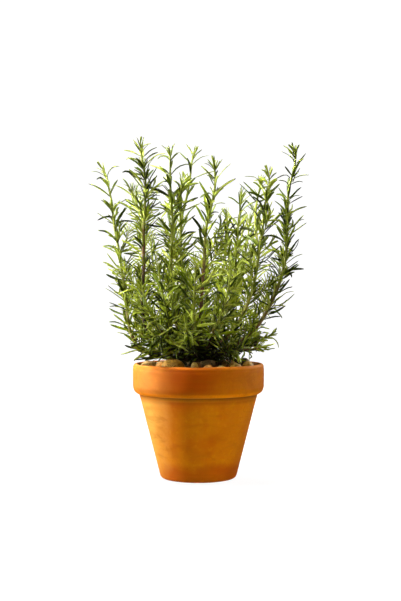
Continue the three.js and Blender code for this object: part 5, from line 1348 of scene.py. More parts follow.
        [26,5,300,-560,3266,332,-549,3323,367,-515,3369],
        [26,9,285,-547,3231,355,-535,3271,434,-527,3293],
        [26,9,277,-552,3234,282,-591,3311,247,-636,3376],
        [22,14,255,-530,3196,277,-513,3291,277,-498,3389],
        [22,14,260,-535,3190,364,-581,3196,471,-620,3196],
        [28,20,220,-519,3148,233,-608,3200,219,-711,3209],
        [28,20,228,-512,3145,347,-521,3157,465,-540,3163],
        [28,27,183,-495,3095,265,-590,3100,341,-691,3110],
        [28,27,182,-485,3101,252,-465,3184,332,-438,3256],
        [25,2,232,-367,3087,252,-365,3143,265,-369,3200],
        [25,2,236,-361,3085,271,-350,3123,308,-338,3159],
        [27,5,224,-369,3058,266,-387,3094,317,-413,3105],
        [27,5,217,-363,3060,208,-347,3117,194,-334,3173],
        [28,9,209,-369,3020,279,-357,3047,349,-339,3068],
        [28,9,201,-372,3024,214,-376,3102,204,-378,3181],
        [27,14,177,-370,2980,173,-316,3051,137,-263,3113],
        [27,14,185,-378,2977,274,-406,3018,365,-450,3028],
        [28,19,150,-384,2940,151,-401,3042,115,-421,3137],
        [28,19,157,-378,2934,250,-324,2960,352,-280,2960],
        [24,2,288,-448,2979,291,-462,3037,266,-472,3091],
        [24,2,295,-449,2975,348,-466,3002,404,-481,3023],
        [26,4,285,-446,2958,328,-487,2993,372,-540,2997],
        [26,4,280,-440,2963,300,-443,3025,309,-421,3086],
        [26,8,268,-431,2925,340,-452,2955,411,-486,2972],
        [26,8,261,-435,2928,276,-480,2986,296,-530,3037],
        [28,13,235,-414,2890,241,-404,2985,213,-396,3076],
        [28,13,241,-421,2884,295,-480,2905,334,-553,2917],
        [26,18,207,-409,2849,208,-488,2929,215,-576,2999],
        [26,18,214,-402,2845,334,-388,2875,456,-361,2872],
        [28,25,169,-393,2792,255,-481,2820,313,-593,2818],
        [28,25,164,-385,2799,160,-339,2904,112,-273,2985],
        [25,2,82,-243,2742,88,-232,2799,106,-234,2854],
        [25,2,84,-236,2741,100,-214,2793,125,-190,2841],
        [26,5,84,-242,2711,128,-228,2767,187,-227,2810],
        [26,5,76,-240,2712,53,-212,2765,21,-191,2817],
        [28,8,80,-246,2681,117,-193,2739,167,-130,2768],
        [28,8,76,-255,2684,81,-284,2753,100,-315,2818],
        [28,12,67,-260,2645,34,-241,2717,-12,-229,2783],
        [28,12,78,-262,2644,156,-253,2710,239,-228,2764],
        [24,17,62,-285,2592,34,-328,2707,9,-375,2820],
        [24,17,68,-276,2587,128,-182,2610,167,-77,2633],
        [24,2,-59,-246,2788,-60,-241,2856,-66,-233,2924],
        [24,2,-51,-243,2789,-38,-236,2855,-29,-217,2920],
        [20,5,-48,-246,2760,-19,-262,2831,8,-291,2898],
        [20,5,-56,-242,2759,-87,-227,2808,-126,-199,2845],
        [23,9,-45,-242,2720,-21,-203,2777,13,-161,2825],
        [23,9,-52,-248,2719,-95,-265,2781,-153,-297,2819],
        [26,14,-44,-247,2670,-102,-229,2734,-172,-207,2783],
        [26,14,-35,-250,2672,-4,-270,2775,67,-309,2848],
        [24,19,-31,-254,2613,-127,-260,2653,-231,-274,2657],
        [24,19,-23,-248,2614,0,-170,2715,51,-98,2811],
        [26,28,-2,-269,2540,-28,-350,2644,-47,-464,2712],
        [26,28,-5,-257,2537,-75,-158,2584,-143,-46,2588],
        [23,2,-135,-317,2575,-159,-335,2627,-187,-353,2678],
        [23,2,-131,-310,2578,-136,-304,2628,-138,-286,2676],
        [25,5,-121,-310,2549,-129,-357,2601,-133,-410,2647],
        [25,5,-125,-302,2550,-168,-298,2610,-218,-301,2664],
        [24,9,-104,-297,2516,-106,-323,2593,-103,-350,2670],
        [24,9,-113,-296,2512,-166,-308,2566,-226,-304,2612],
        [25,14,-90,-281,2470,-176,-260,2529,-270,-246,2578],
        [25,14,-85,-290,2471,-96,-348,2531,-99,-404,2593],
        [28,20,-57,-269,2410,-158,-273,2467,-259,-268,2523],
        [28,20,-48,-269,2416,-21,-250,2516,30,-200,2592],
        [28,27,-10,-263,2359,-11,-329,2447,36,-394,2522],
        [28,27,-14,-252,2358,-82,-231,2447,-142,-198,2538],
        [23,2,243,-260,2346,283,-275,2396,325,-288,2445],
        [23,2,250,-258,2343,303,-254,2380,356,-233,2411],
        [27,5,234,-254,2318,288,-280,2338,339,-317,2331],
        [27,5,228,-251,2323,238,-251,2388,238,-242,2453],
        [25,9,212,-243,2286,288,-253,2305,365,-250,2322],
        [25,9,204,-243,2292,205,-262,2368,181,-282,2440],
        [26,13,182,-230,2263,221,-220,2362,241,-211,2466],
        [26,13,187,-237,2256,255,-282,2264,323,-327,2262],
        [28,19,142,-225,2219,150,-306,2296,112,-389,2362],
        [28,19,149,-220,2214,270,-236,2219,388,-266,2222],
        [28,27,90,-207,2161,193,-250,2131,302,-271,2097],
        [28,27,87,-198,2168,171,-154,2249,224,-71,2325],
        [24,2,-175,-160,2266,-205,-190,2302,-236,-219,2338],
        [24,2,-172,-152,2268,-198,-157,2328,-203,-151,2393],
        [22,5,-156,-155,2242,-148,-171,2306,-134,-199,2364],
        [22,5,-164,-153,2238,-218,-153,2263,-273,-151,2287],
        [27,8,-145,-147,2215,-167,-97,2288,-164,-23,2340],
        [27,8,-149,-154,2212,-208,-182,2255,-259,-222,2297],
        [28,13,-123,-146,2169,-197,-118,2205,-266,-76,2236],
        [28,13,-115,-148,2175,-126,-142,2259,-123,-118,2340],
        [26,18,-89,-154,2131,-145,-193,2214,-199,-231,2299],
        [26,18,-87,-143,2133,-118,-85,2245,-150,-32,2360],
        [28,26,-35,-153,2073,-77,-173,2170,-83,-212,2270],
        [28,26,-43,-151,2065,-173,-163,2062,-303,-181,2062],
        [28,110,68,-438,2957,-8,-488,2974,-71,-538,3023],
        [32,116,64,-415,2901,-3,-415,2929,-75,-413,2916],
        [26,17,214,-608,3860,225,-623,3899,243,-642,3932],
        [26,95,75,-462,3106,-15,-428,3100,-104,-395,3119],
        [32,20,199,-595,3831,148,-582,3857,97,-569,3883],
        [27,77,121,-498,3278,189,-461,3286,256,-423,3300],
        [25,244,29,-71,1667,78,-157,1665,111,-249,1651],
        [26,250,24,-56,1609,53,-151,1602,72,-245,1577],
        [28,238,31,-87,1725,78,-151,1717,118,-208,1678],
        [25,230,0,-89,1808,-79,-63,1813,-157,-38,1828],
        [27,226,38,-101,1846,133,-96,1916,213,-116,2001],
        [25,232,10,-106,1782,-11,-165,1813,-26,-224,1846],
        [29,252,33,-43,1592,70,-93,1650,97,-150,1706],
        [22,242,37,-68,1689,112,-103,1675,174,-151,1645],
        [29,230,39,-94,1807,107,-103,1828,170,-129,1851],
        [27,238,37,-80,1727,105,-136,1787,149,-199,1860],
        [23,244,32,-68,1668,83,-120,1690,149,-156,1683],
        [24,218,16,-147,1916,-9,-249,1902,-41,-337,1851],
        [28,254,11,-45,1571,-3,-113,1573,-14,-179,1592],
        [29,232,38,-95,1785,128,-142,1844,238,-177,1871],
    ],
    "sprig_right_inner": [
        [23,1,568,279,3681,578,287,3676,555,349,3800],
        [23,13,549,279,3562,546,297,3657,533,318,3742],
        [24,12,547,275,3572,520,284,3587,461,307,3644,386,329,3675],
        [34,22,544,261,3473,537,229,3614,528,196,3736],
        [24,12,547,272,3572,499,257,3612,446,241,3649,385,226,3667],
        [23,13,558,268,3562,600,236,3614,666,201,3595],
        [26,25,550,272,3441,595,315,3510,634,349,3555,686,385,3586],
        [23,21,554,264,3482,596,233,3495,648,182,3434],
        [17,0,562,273,3692,566,271,3754,568,250,3813],
        [17,1,565,274,3681,582,265,3746,606,247,3806],
        [17,2,560,272,3672,565,254,3736,569,227,3797],
        [17,3,559,282,3662,557,307,3716,546,341,3763],
        [21,4,563,274,3651,595,258,3710,638,236,3759],
        [21,5,563,274,3641,606,252,3701,662,223,3746],
        [21,6,561,280,3631,589,313,3688,628,357,3730],
        [21,7,559,281,3621,592,346,3682,616,421,3733],
        [21,9,561,274,3601,642,257,3658,720,237,3717],
        [21,10,554,280,3592,552,349,3663,548,431,3718],
        [25,12,559,279,3571,589,315,3661,633,383,3722],
        [29,21,554,263,3482,595,227,3566,643,159,3622],
        [30,32,539,270,3372,600,383,3431,665,508,3437],
        [24,-32,540,273,3397,554,332,3439,580,388,3478],
        [24,-32,542,271,3386,559,293,3449,573,338,3499],
        [24,-32,548,262,3393,595,257,3430,641,247,3469],
        [24,-32,547,265,3387,594,283,3423,639,312,3454],
        [37,43,521,263,3263,494,403,3362,475,574,3381],
        [24,-43,529,265,3283,545,302,3354,560,360,3411],
        [24,-43,519,264,3288,503,297,3329,484,337,3363],
        [24,-43,518,262,3277,479,318,3344,439,373,3413],
        [37,43,527,244,3264,576,140,3345,645,48,3425],
        [24,-43,532,247,3289,571,204,3351,604,141,3399],
        [24,-43,523,245,3289,520,205,3364,526,150,3430],
        [24,-43,535,252,3277,573,249,3323,615,252,3367],
        [40,57,506,236,3125,467,216,3264,401,155,3378],
        [24,-57,505,241,3138,469,239,3182,435,240,3227],
        [24,-57,513,232,3142,506,215,3212,489,194,3280],
        [24,-57,512,233,3143,497,186,3197,492,139,3253],
        [24,-57,506,244,3147,445,258,3215,379,284,3272],
        [40,57,521,250,3123,567,320,3246,624,408,3352],
        [24,-57,528,243,3141,564,251,3196,607,267,3243],
        [24,-57,526,249,3143,544,268,3222,575,309,3288],
        [24,-57,527,239,3146,580,222,3203,633,198,3258],
        [24,-57,521,253,3137,533,279,3187,548,308,3234],
        [43,70,510,220,2995,575,136,3082,635,16,3115],
        [24,-70,501,220,3015,493,197,3064,479,163,3106],
        [24,-70,510,219,3011,534,193,3087,569,160,3156],
        [43,70,497,238,2995,428,350,3103,348,486,3165],
        [24,-70,498,240,3015,477,276,3099,448,303,3184],
        [24,-70,495,234,3019,463,248,3097,422,251,3171],
        [24,-70,506,243,3011,509,267,3068,503,295,3122],
        [24,-70,494,232,3010,448,241,3064,387,240,3101],
        [42,85,498,221,2845,570,300,2982,643,420,3083],
        [24,-85,502,219,2862,545,235,2928,597,242,2989],
        [24,-85,495,228,2869,519,279,2949,556,326,3026],
        [24,-85,502,211,2858,554,204,2903,614,190,2933],
        [24,-85,497,225,2858,534,268,2925,586,305,2986],
        [42,85,481,204,2848,449,157,2990,411,69,3108],
        [24,-85,478,211,2864,421,197,2930,353,182,2984],
        [24,-85,484,205,2873,478,193,2963,468,180,3052],
        [36,100,470,207,2707,441,273,2826,417,373,2919],
        [24,-100,487,212,2730,505,253,2778,515,300,2824],
        [24,-100,476,213,2727,465,279,2788,467,352,2842],
        [24,-100,474,212,2730,463,256,2823,447,300,2915],
        [36,100,487,187,2708,566,108,2812,632,-9,2885],
        [24,-100,490,189,2730,515,181,2804,558,173,2870],
        [24,-100,493,195,2729,543,188,2809,603,178,2881],
        [24,-100,483,186,2725,493,170,2803,495,154,2882],
        [39,112,454,176,2581,334,123,2699,191,33,2748],
        [39,112,473,193,2577,531,302,2672,561,427,2760],
        [24,-112,482,179,2600,507,180,2657,532,177,2714],
        [24,-112,469,198,2597,482,253,2666,503,322,2719],
        [30,125,464,160,2460,598,132,2566,739,128,2666],
        [24,-125,457,153,2475,490,93,2550,516,15,2610],
        [24,-125,449,153,2479,450,139,2544,438,127,2609],
        [24,-125,467,165,2472,526,170,2550,606,175,2606],
        [30,125,442,177,2461,386,268,2541,315,345,2625],
        [24,-125,443,179,2484,418,219,2555,384,246,2629],
        [24,-125,439,169,2486,402,183,2572,363,198,2656],
        [31,134,447,158,2360,544,214,2436,643,283,2495],
        [31,134,419,152,2366,336,161,2496,210,135,2581],
        [24,-134,422,159,2379,416,172,2433,391,187,2481],
        [24,-134,422,150,2381,386,150,2476,350,158,2570],
        [24,-134,430,141,2382,440,137,2478,445,116,2573],
        [24,-134,423,152,2389,404,152,2467,375,137,2541],
        [29,144,405,150,2266,364,241,2390,297,320,2511],
        [29,144,422,124,2267,486,25,2336,531,-99,2373],
        [24,-144,433,134,2280,490,132,2364,569,119,2426],
        [24,-144,420,124,2282,448,71,2354,488,1,2400],
        [24,-144,425,126,2283,452,103,2338,478,68,2387],
        [24,-144,416,125,2287,428,98,2372,444,53,2448],
        [37,154,376,121,2175,359,126,2309,321,99,2436],
        [24,-154,380,118,2187,345,102,2251,303,77,2307],
        [24,-154,386,117,2199,365,91,2279,333,46,2346],
        [24,-154,382,131,2198,375,155,2296,345,187,2387],
        [37,154,405,128,2165,501,171,2258,619,222,2313],
        [33,165,366,93,2066,479,3,2137,610,-77,2187],
        [24,-165,375,99,2075,433,97,2154,508,78,2213],
        [24,-165,368,93,2091,408,42,2171,459,-27,2227],
        [33,165,347,119,2068,304,221,2139,239,336,2149],
        [24,-165,355,123,2090,354,172,2152,346,240,2193],
        [24,-165,349,112,2095,344,123,2151,326,138,2204],
        [24,-165,370,126,2085,397,163,2116,428,205,2133],
        [24,-165,349,116,2090,331,146,2168,304,168,2246],
        [32,175,324,104,1970,404,199,2052,460,331,2094],
        [32,175,304,84,1984,298,85,2117,232,87,2232],
        [24,-175,308,99,1992,284,133,2074,248,154,2155],
        [24,-175,310,85,1997,320,81,2081,315,52,2160],
        [37,186,258,86,1883,232,190,1972,216,310,2042],
        [24,-186,264,86,1902,250,137,1989,225,194,2070],
        [24,-186,264,84,1907,275,101,1961,288,122,2014],
        [24,-186,275,93,1893,307,164,1961,321,247,2023],
        [37,186,267,56,1883,336,22,2002,412,-63,2088],
        [24,-186,286,59,1895,345,34,1960,411,-8,2006],
        [24,-186,272,61,1907,272,18,1984,267,-27,2060],
        [24,-186,294,70,1889,367,59,1919,437,40,1953],
        [24,-186,289,62,1890,348,30,1917,407,-6,1940],
        [32,198,191,49,1790,183,24,1926,168,27,2063],
        [24,-198,201,64,1809,223,86,1899,247,121,1985],
        [24,-198,201,49,1804,205,23,1887,198,-27,1957],
        [24,-198,211,40,1795,239,-13,1850,258,-70,1903],
        [24,-198,197,54,1803,174,45,1905,145,55,2005],
        [32,198,214,66,1770,346,135,1796,472,217,1784],
        [24,-198,228,56,1783,312,63,1827,401,78,1856],
        [24,-198,220,76,1789,289,150,1816,363,221,1840],
        [24,-198,227,65,1783,272,78,1818,322,101,1839],
        [20,2,618,440,3281,638,462,3331,652,470,3386],
        [20,2,621,447,3277,641,482,3327,655,537,3358],
        [22,5,615,432,3251,668,461,3290,728,496,3308],
        [22,5,607,431,3254,595,443,3325,578,449,3395],
        [23,8,601,425,3225,626,480,3288,643,558,3324],
        [23,8,599,417,3229,604,420,3298,601,414,3367],
        [24,12,585,404,3194,575,442,3272,550,482,3345],
        [27,18,570,372,3146,586,364,3246,612,329,3337],
        [27,18,572,381,3140,599,472,3155,598,564,3126],
        [28,25,556,338,3086,661,359,3147,775,358,3195],
        [28,25,545,341,3088,479,402,3148,409,445,3219],
        [28,35,519,284,3010,478,414,3005,428,541,2993],
        [28,35,525,274,3016,588,286,3112,673,257,3185],
        [20,2,291,286,3201,252,277,3243,210,274,3283],
        [20,2,298,289,3204,297,296,3255,299,299,3307],
        [26,5,308,282,3176,311,274,3243,326,263,3307],
        [26,5,301,287,3173,247,318,3218,189,360,3244],
        [24,9,323,282,3139,330,302,3212,348,318,3284],
        [24,9,315,277,3137,260,258,3179,197,228,3196],
        [28,15,343,276,3084,307,348,3141,265,434,3163],
        [28,15,347,268,3087,361,242,3169,411,211,3232],
        [26,20,362,259,3040,290,257,3132,218,223,3219],
        [26,20,370,266,3043,398,330,3117,459,390,3171],
        [28,29,415,240,2971,393,194,3081,373,136,3186],
        [28,29,409,249,2964,307,314,3032,217,388,3107],
        [24,2,343,-22,3000,315,-55,3038,287,-94,3070],
        [24,2,348,-17,3004,329,-39,3050,313,-56,3100],
        [25,4,358,-10,2976,378,-49,3037,423,-86,3083],
        [25,4,350,-5,2976,298,-1,3030,245,20,3079],
        [24,9,367,11,2943,348,0,3020,325,16,3096],
        [24,9,362,5,2938,311,-43,2966,262,-99,2966],
        [28,13,375,29,2908,335,27,2988,305,55,3067],
        [28,13,380,20,2905,387,-55,2941,388,-133,2972],
        [28,18,390,44,2862,332,-56,2866,273,-155,2850],
        [28,18,397,50,2868,405,14,2990,434,-11,3112],
        [25,25,420,81,2810,458,-10,2854,515,-101,2852],
        [25,25,410,86,2809,303,70,2841,191,61,2854],
        [27,35,450,147,2741,428,152,2872,409,200,2994],
        [27,35,445,141,2733,357,53,2760,252,-16,2782],
        [25,2,557,42,2661,592,24,2712,602,-12,2765],
        [25,2,565,43,2658,615,24,2689,672,7,2707],
        [26,4,550,45,2642,560,-6,2698,553,-57,2753],
        [26,4,552,53,2644,578,62,2705,594,67,2770],
        [23,8,538,62,2606,594,40,2655,661,27,2691],
        [23,8,529,61,2610,518,33,2686,470,14,2750],
        [25,13,509,85,2570,532,76,2662,537,107,2752],
        [25,13,513,77,2564,552,0,2587,581,-82,2609],
        [24,20,480,109,2522,459,55,2618,435,18,2721],
        [24,20,491,114,2519,599,125,2562,713,147,2574],
        [23,2,493,334,2552,504,352,2609,504,364,2669],
        [23,2,498,339,2548,520,364,2587,556,385,2617],
        [21,5,491,322,2524,537,331,2582,591,308,2628],
        [21,5,484,327,2524,470,380,2568,441,434,2602],
        [24,9,480,308,2488,517,362,2549,550,431,2593],
        [24,9,473,303,2493,450,307,2584,425,320,2673],
        [24,14,458,282,2451,420,343,2529,344,379,2595],
        [24,14,468,280,2449,540,322,2506,634,353,2526],
        [25,20,446,243,2407,433,267,2526,385,279,2638],
        [25,20,452,250,2400,513,348,2439,587,437,2481],
        [28,28,436,190,2348,478,226,2438,541,230,2523],
        [28,28,429,199,2342,407,316,2375,366,431,2357],
        [23,2,447,38,2350,459,10,2409,475,-28,2461],
        [23,2,451,46,2350,461,35,2401,481,35,2451],
        [22,5,446,46,2320,488,30,2379,529,6,2437],
        [22,5,437,47,2322,419,41,2385,392,25,2442],
        [25,9,426,52,2274,412,3,2328,400,-46,2382],
        [24,14,415,71,2240,397,100,2322,371,151,2391],
        [24,14,424,68,2236,482,53,2303,544,47,2369],
        [27,21,393,87,2175,350,-29,2230,293,-131,2299],
        [27,21,401,97,2177,471,120,2259,554,143,2327],
        [20,2,501,163,2042,527,172,2094,554,171,2147],
        [20,2,503,168,2036,549,211,2048,598,252,2050],
        [20,6,482,150,2021,558,167,2045,640,167,2051],
        [20,6,476,155,2026,502,201,2084,492,246,2147],
        [28,10,447,139,2001,516,173,1999,583,210,1993],
        [28,10,443,138,2011,475,157,2091,504,156,2175],
        [27,15,390,122,1987,457,184,2015,495,269,2038],
        [27,15,395,112,1982,508,129,1989,621,142,1978],
        [24,2,346,239,1992,373,261,2034,389,264,2086],
        [24,2,346,246,1987,374,295,2013,393,355,2012],
        [25,5,336,223,1969,395,236,1999,450,238,2037],
        [25,5,327,226,1973,324,275,2027,290,320,2074],
        [21,9,310,204,1944,332,271,1981,322,349,1997],
        [21,9,313,196,1950,340,200,2026,378,196,2097],
        [28,13,288,165,1921,264,222,1997,196,264,2054],
        [28,13,298,164,1916,355,213,1953,430,249,1966],
        [28,19,271,117,1891,293,164,1979,297,208,2070],
        [28,19,269,124,1881,268,226,1878,230,314,1842],
        [27,216,109,15,1632,153,-37,1650,204,-83,1663],
        [25,204,175,35,1728,213,-20,1722,261,-65,1711],
        [30,192,238,48,1830,273,-13,1873,322,-68,1910],
        [29,210,144,30,1678,206,-24,1660,275,-63,1630],
        [26,202,170,41,1756,138,-16,1825,102,-88,1874],
        [27,184,292,72,1890,360,59,1888,426,42,1901],
        [28,206,168,53,1706,244,89,1653,287,119,1570],
        [25,202,180,35,1750,190,-62,1772,208,-154,1809],
        [28,202,176,36,1752,202,-3,1821,205,-55,1885],
        [24,200,195,38,1763,242,9,1809,289,-8,1859],
    ],
    "sprig_right_mid": [
        [22,14,902,-120,3828,835,-142,3854,751,-168,3851,710,-182,3838],
        [30,38,865,-109,3591,852,-103,3607,740,-58,3676,654,-28,3711],
        [18,0,902,-113,3964,880,-64,4014,858,-8,4064],
        [27,4,908,-116,3924,897,-110,3926,859,-75,3980,810,-48,3994],
        [35,38,865,-116,3591,794,-144,3642,714,-173,3681,627,-202,3698],
        [27,40,877,-120,3569,904,-148,3620,943,-189,3675,978,-224,3721],
        [32,54,857,-101,3431,909,-60,3487,936,-25,3539,959,10,3594],
        [32,64,849,-100,3332,904,-75,3375,938,-50,3429,977,-24,3484],
        [35,65,847,-98,3322,896,-60,3338,936,-16,3382,993,30,3413],
        [28,78,832,-100,3192,922,-102,3276,1009,-105,3366,1091,-107,3460],
        [33,101,800,-88,2966,903,-59,3009,992,-20,3138],
        [33,121,775,-83,2767,885,-88,2834,971,-93,2930,1067,-98,3018],
        [17,0,901,-114,3964,885,-110,4011,865,-103,4057],
        [17,1,900,-121,3953,873,-128,4000,843,-142,4044],
        [17,2,907,-125,3945,888,-139,4001,871,-160,4056],
        [17,3,908,-115,3935,878,-99,3994,846,-76,4050],
        [21,4,917,-124,3927,917,-149,3983,922,-186,4031],
        [21,5,920,-115,3917,934,-94,3983,954,-62,4043],
        [21,6,921,-114,3907,940,-83,3966,962,-48,4022],
        [21,7,914,-114,3896,877,-59,3948,849,1,3999],
        [21,9,912,-122,3877,872,-156,3931,833,-189,3987],
        [21,10,919,-123,3866,960,-173,3915,1000,-238,3942],
        [23,12,905,-119,3848,897,-123,3931,853,-133,4001],
        [27,18,905,-125,3787,947,-190,3838,1005,-256,3869],
        [27,18,895,-111,3789,855,-72,3867,781,-29,3910],
        [34,27,893,-109,3698,942,-86,3805,1025,-35,3875],
        [34,27,876,-118,3701,813,-149,3795,745,-201,3877],
        [42,39,867,-104,3581,842,-45,3712,797,49,3813],
        [24,-39,877,-102,3593,897,-45,3643,901,12,3698],
        [24,-39,879,-102,3601,896,-76,3658,918,-40,3708],
        [24,-39,873,-102,3604,872,-84,3665,856,-56,3719],
        [42,39,876,-122,3579,923,-238,3661,958,-382,3684],
        [24,-39,874,-123,3604,877,-166,3690,880,-209,3776],
        [24,-39,884,-117,3592,909,-131,3656,932,-157,3718],
        [24,-39,873,-123,3594,867,-177,3643,846,-237,3679],
        [36,53,842,-114,3443,791,-162,3565,696,-234,3640],
        [24,-53,841,-110,3459,804,-116,3510,754,-128,3548],
        [24,-53,849,-119,3459,851,-134,3518,852,-155,3576],
        [24,-53,842,-106,3457,829,-104,3513,803,-105,3564],
        [40,68,838,-115,3292,867,-175,3428,889,-253,3557],
        [24,-68,836,-117,3318,844,-142,3400,854,-177,3478],
        [24,-68,850,-109,3316,874,-119,3372,902,-140,3424],
        [40,68,826,-97,3294,746,-31,3436,635,59,3537],
        [24,-68,825,-103,3313,789,-97,3361,749,-82,3404],
        [24,-68,833,-93,3310,835,-79,3398,824,-44,3479],
        [33,84,823,-97,3133,929,-101,3253,1054,-130,3349],
        [33,84,807,-110,3135,779,-245,3225,752,-401,3269],
        [41,98,781,-84,2998,698,-17,3089,600,56,3158],
        [24,-98,788,-80,3012,788,-57,3083,790,-14,3144],
        [24,-98,798,-80,3013,820,-37,3057,849,13,3089],
        [24,-98,780,-93,3018,738,-91,3080,687,-77,3132],
        [24,-98,786,-82,3013,762,-41,3077,737,-3,3142],
        [41,98,794,-106,2996,839,-259,3073,886,-425,3115],
        [43,113,764,-98,2849,711,-194,2932,663,-313,2983],
        [24,-113,770,-101,2869,755,-165,2930,723,-230,2983],
        [24,-113,762,-95,2872,727,-120,2960,683,-140,3045],
        [24,-113,759,-84,2863,723,-81,2957,672,-77,3043],
        [24,-113,766,-99,2870,765,-123,2957,769,-155,3042],
        [43,113,784,-79,2847,890,-10,2928,987,94,2977],
        [30,129,758,-92,2688,847,-214,2740,937,-342,2776],
        [30,129,742,-67,2692,723,-2,2820,726,79,2941],
        [24,-129,737,-78,2711,721,-75,2780,689,-57,2841],
        [24,-129,752,-65,2716,753,-26,2786,740,18,2851],
        [32,142,735,-62,2561,836,23,2663,935,141,2728],
        [32,142,711,-78,2565,686,-99,2695,600,-120,2795],
        [24,-142,714,-73,2588,676,-77,2683,622,-96,2768],
        [24,-142,712,-78,2578,658,-99,2664,581,-107,2735],
        [24,-142,725,-90,2588,727,-144,2669,729,-202,2746],
        [29,154,686,-57,2450,653,4,2599,593,111,2709],
        [24,-154,688,-65,2473,683,-67,2544,669,-77,2613],
        [24,-154,709,-53,2470,731,-41,2543,746,-19,2616],
        [24,-154,688,-59,2467,652,-29,2533,612,2,2597],
        [29,154,700,-83,2445,748,-203,2519,812,-324,2577],
        [24,-154,708,-84,2462,729,-102,2512,760,-124,2554],
        [24,-154,715,-77,2455,760,-101,2481,803,-127,2509],
        [24,-154,715,-77,2457,764,-105,2534,805,-149,2608],
        [33,164,658,-74,2353,614,-171,2490,552,-281,2609],
        [24,-164,660,-64,2379,618,-68,2465,556,-68,2539],
        [24,-164,658,-69,2368,658,-83,2438,662,-109,2505],
        [24,-164,658,-58,2371,623,-48,2438,578,-48,2500],
        [33,164,684,-58,2346,789,-40,2462,886,11,2575],
        [24,-164,693,-60,2366,744,-64,2454,805,-76,2535],
        [24,-164,692,-68,2367,744,-79,2430,814,-87,2472],
        [24,-164,692,-65,2363,762,-77,2400,834,-98,2426],
        [24,-164,677,-46,2364,711,-14,2438,756,26,2502],
        [34,174,638,-71,2244,726,-174,2325,803,-296,2389],
        [34,174,617,-49,2254,546,11,2356,456,105,2406],
        [24,-174,624,-55,2276,594,-50,2343,550,-45,2401],
        [24,-174,626,-47,2273,636,-31,2355,639,-7,2436],
        [36,185,594,-34,2156,664,79,2218,746,200,2238],
        [24,-185,615,-44,2170,675,-28,2201,736,-15,2231],
        [24,-185,612,-49,2160,689,-46,2183,769,-43,2184],
        [36,185,580,-64,2161,548,-154,2267,467,-254,2327],
        [32,195,539,-29,2072,560,69,2173,548,202,2220],
        [24,-195,556,-28,2077,617,38,2127,686,108,2156],
        [24,-195,545,-32,2093,563,4,2180,573,53,2262],
        [24,-195,556,-28,2092,590,41,2160,620,118,2222],
        [32,195,551,-61,2063,644,-150,2114,737,-252,2123],
        [24,-195,564,-63,2084,627,-104,2147,698,-146,2201],
        [24,-195,566,-53,2073,618,-61,2122,677,-63,2162],
        [24,-195,553,-66,2088,582,-133,2144,608,-210,2187],
        [29,206,473,-50,1983,455,-117,2099,426,-202,2201],
        [24,-206,479,-41,2000,495,-46,2057,506,-57,2115],
        [24,-206,481,-52,1996,501,-76,2075,513,-104,2154],
        [29,206,496,-26,1969,619,87,1979,712,226,1975],
        [33,215,439,-50,1896,553,-150,1944,658,-270,1948],
        [24,-215,449,-55,1917,506,-115,1974,544,-193,2026],
        [24,-215,445,-55,1921,479,-122,1972,502,-200,2014],
        [33,215,426,-18,1909,419,109,2027,380,230,2144],
        [24,-215,442,-18,1929,461,6,1975,476,30,2023],
        [24,-215,428,-27,1926,448,-16,2010,454,-1,2096],
        [24,-215,447,-16,1916,479,24,1948,498,76,1972],
        [37,228,352,-8,1801,461,98,1825,561,210,1794],
        [24,-228,371,-26,1803,461,-30,1847,556,-32,1880],
        [24,-228,361,-6,1821,407,43,1869,439,94,1925],
        [24,-228,367,-15,1804,427,4,1815,490,17,1824],
        [37,228,340,-43,1811,337,-189,1900,332,-330,1998],
        [24,-228,345,-30,1835,373,-48,1932,388,-84,2027],
        [24,-228,343,-40,1825,376,-69,1895,390,-105,1968],
        [24,-228,349,-37,1835,385,-48,1897,404,-61,1966],
        [36,240,251,-6,1732,300,67,1849,331,138,1973],
        [24,-240,265,-12,1753,268,8,1812,269,27,1872],
        [24,-240,258,-22,1749,260,-23,1840,240,-26,1928],
        [36,240,263,-41,1721,373,-163,1791,437,-314,1861],
        [24,-240,285,-23,1717,364,-28,1711,442,-43,1700],
        [24,-240,288,-25,1721,351,-29,1733,415,-34,1728],
        [24,-240,276,-42,1739,311,-84,1769,348,-126,1795],
        [24,10,925,-184,3417,912,-229,3482,889,-284,3537],
        [27,15,896,-155,3373,905,-177,3484,878,-183,3594],
        [27,15,900,-162,3366,941,-256,3379,946,-358,3361],
        [24,21,861,-133,3329,827,-236,3407,751,-320,3477],
        [24,21,871,-127,3325,987,-150,3342,1101,-159,3307],
        [26,2,875,-316,3343,883,-354,3389,893,-410,3410],
        [26,2,879,-310,3345,893,-336,3398,920,-354,3448],
        [21,4,877,-303,3326,910,-339,3370,962,-373,3393],
        [21,4,870,-299,3329,865,-305,3396,857,-286,3460],
        [28,8,868,-279,3295,900,-280,3377,951,-265,3447],
        [28,8,864,-287,3291,855,-348,3321,847,-416,3332],
        [24,13,853,-256,3252,846,-303,3321,827,-352,3386],
        [24,13,862,-258,3249,917,-322,3278,980,-384,3267],
        [28,20,842,-224,3202,811,-323,3249,773,-421,3293],
        [28,20,847,-216,3207,888,-227,3337,931,-240,3466],
        [28,28,830,-163,3134,930,-256,3135,1043,-319,3088],
        [28,28,820,-161,3140,783,-244,3243,737,-315,3350],
        [20,2,934,-231,3055,962,-265,3104,963,-311,3151],
        [20,2,938,-224,3056,974,-228,3104,1005,-218,3155],
        [26,5,921,-220,3030,968,-270,3049,1006,-330,3054],
        [26,5,919,-213,3036,944,-214,3095,966,-220,3155],
        [25,10,899,-196,3005,961,-207,3042,1029,-204,3067],
        [25,10,892,-203,3006,928,-260,3066,948,-331,3118],
        [28,14,861,-175,2977,851,-230,3057,837,-293,3131],
        [28,14,867,-177,2970,922,-241,2960,989,-291,2946],
        [28,20,827,-145,2937,839,-253,2927,808,-354,2902],
        [28,20,831,-135,2942,916,-141,3012,993,-93,3075],
        [19,2,658,-63,2968,658,-59,3019,637,-65,3066],
        [19,2,665,-59,2968,672,-44,3023,681,-19,3074],
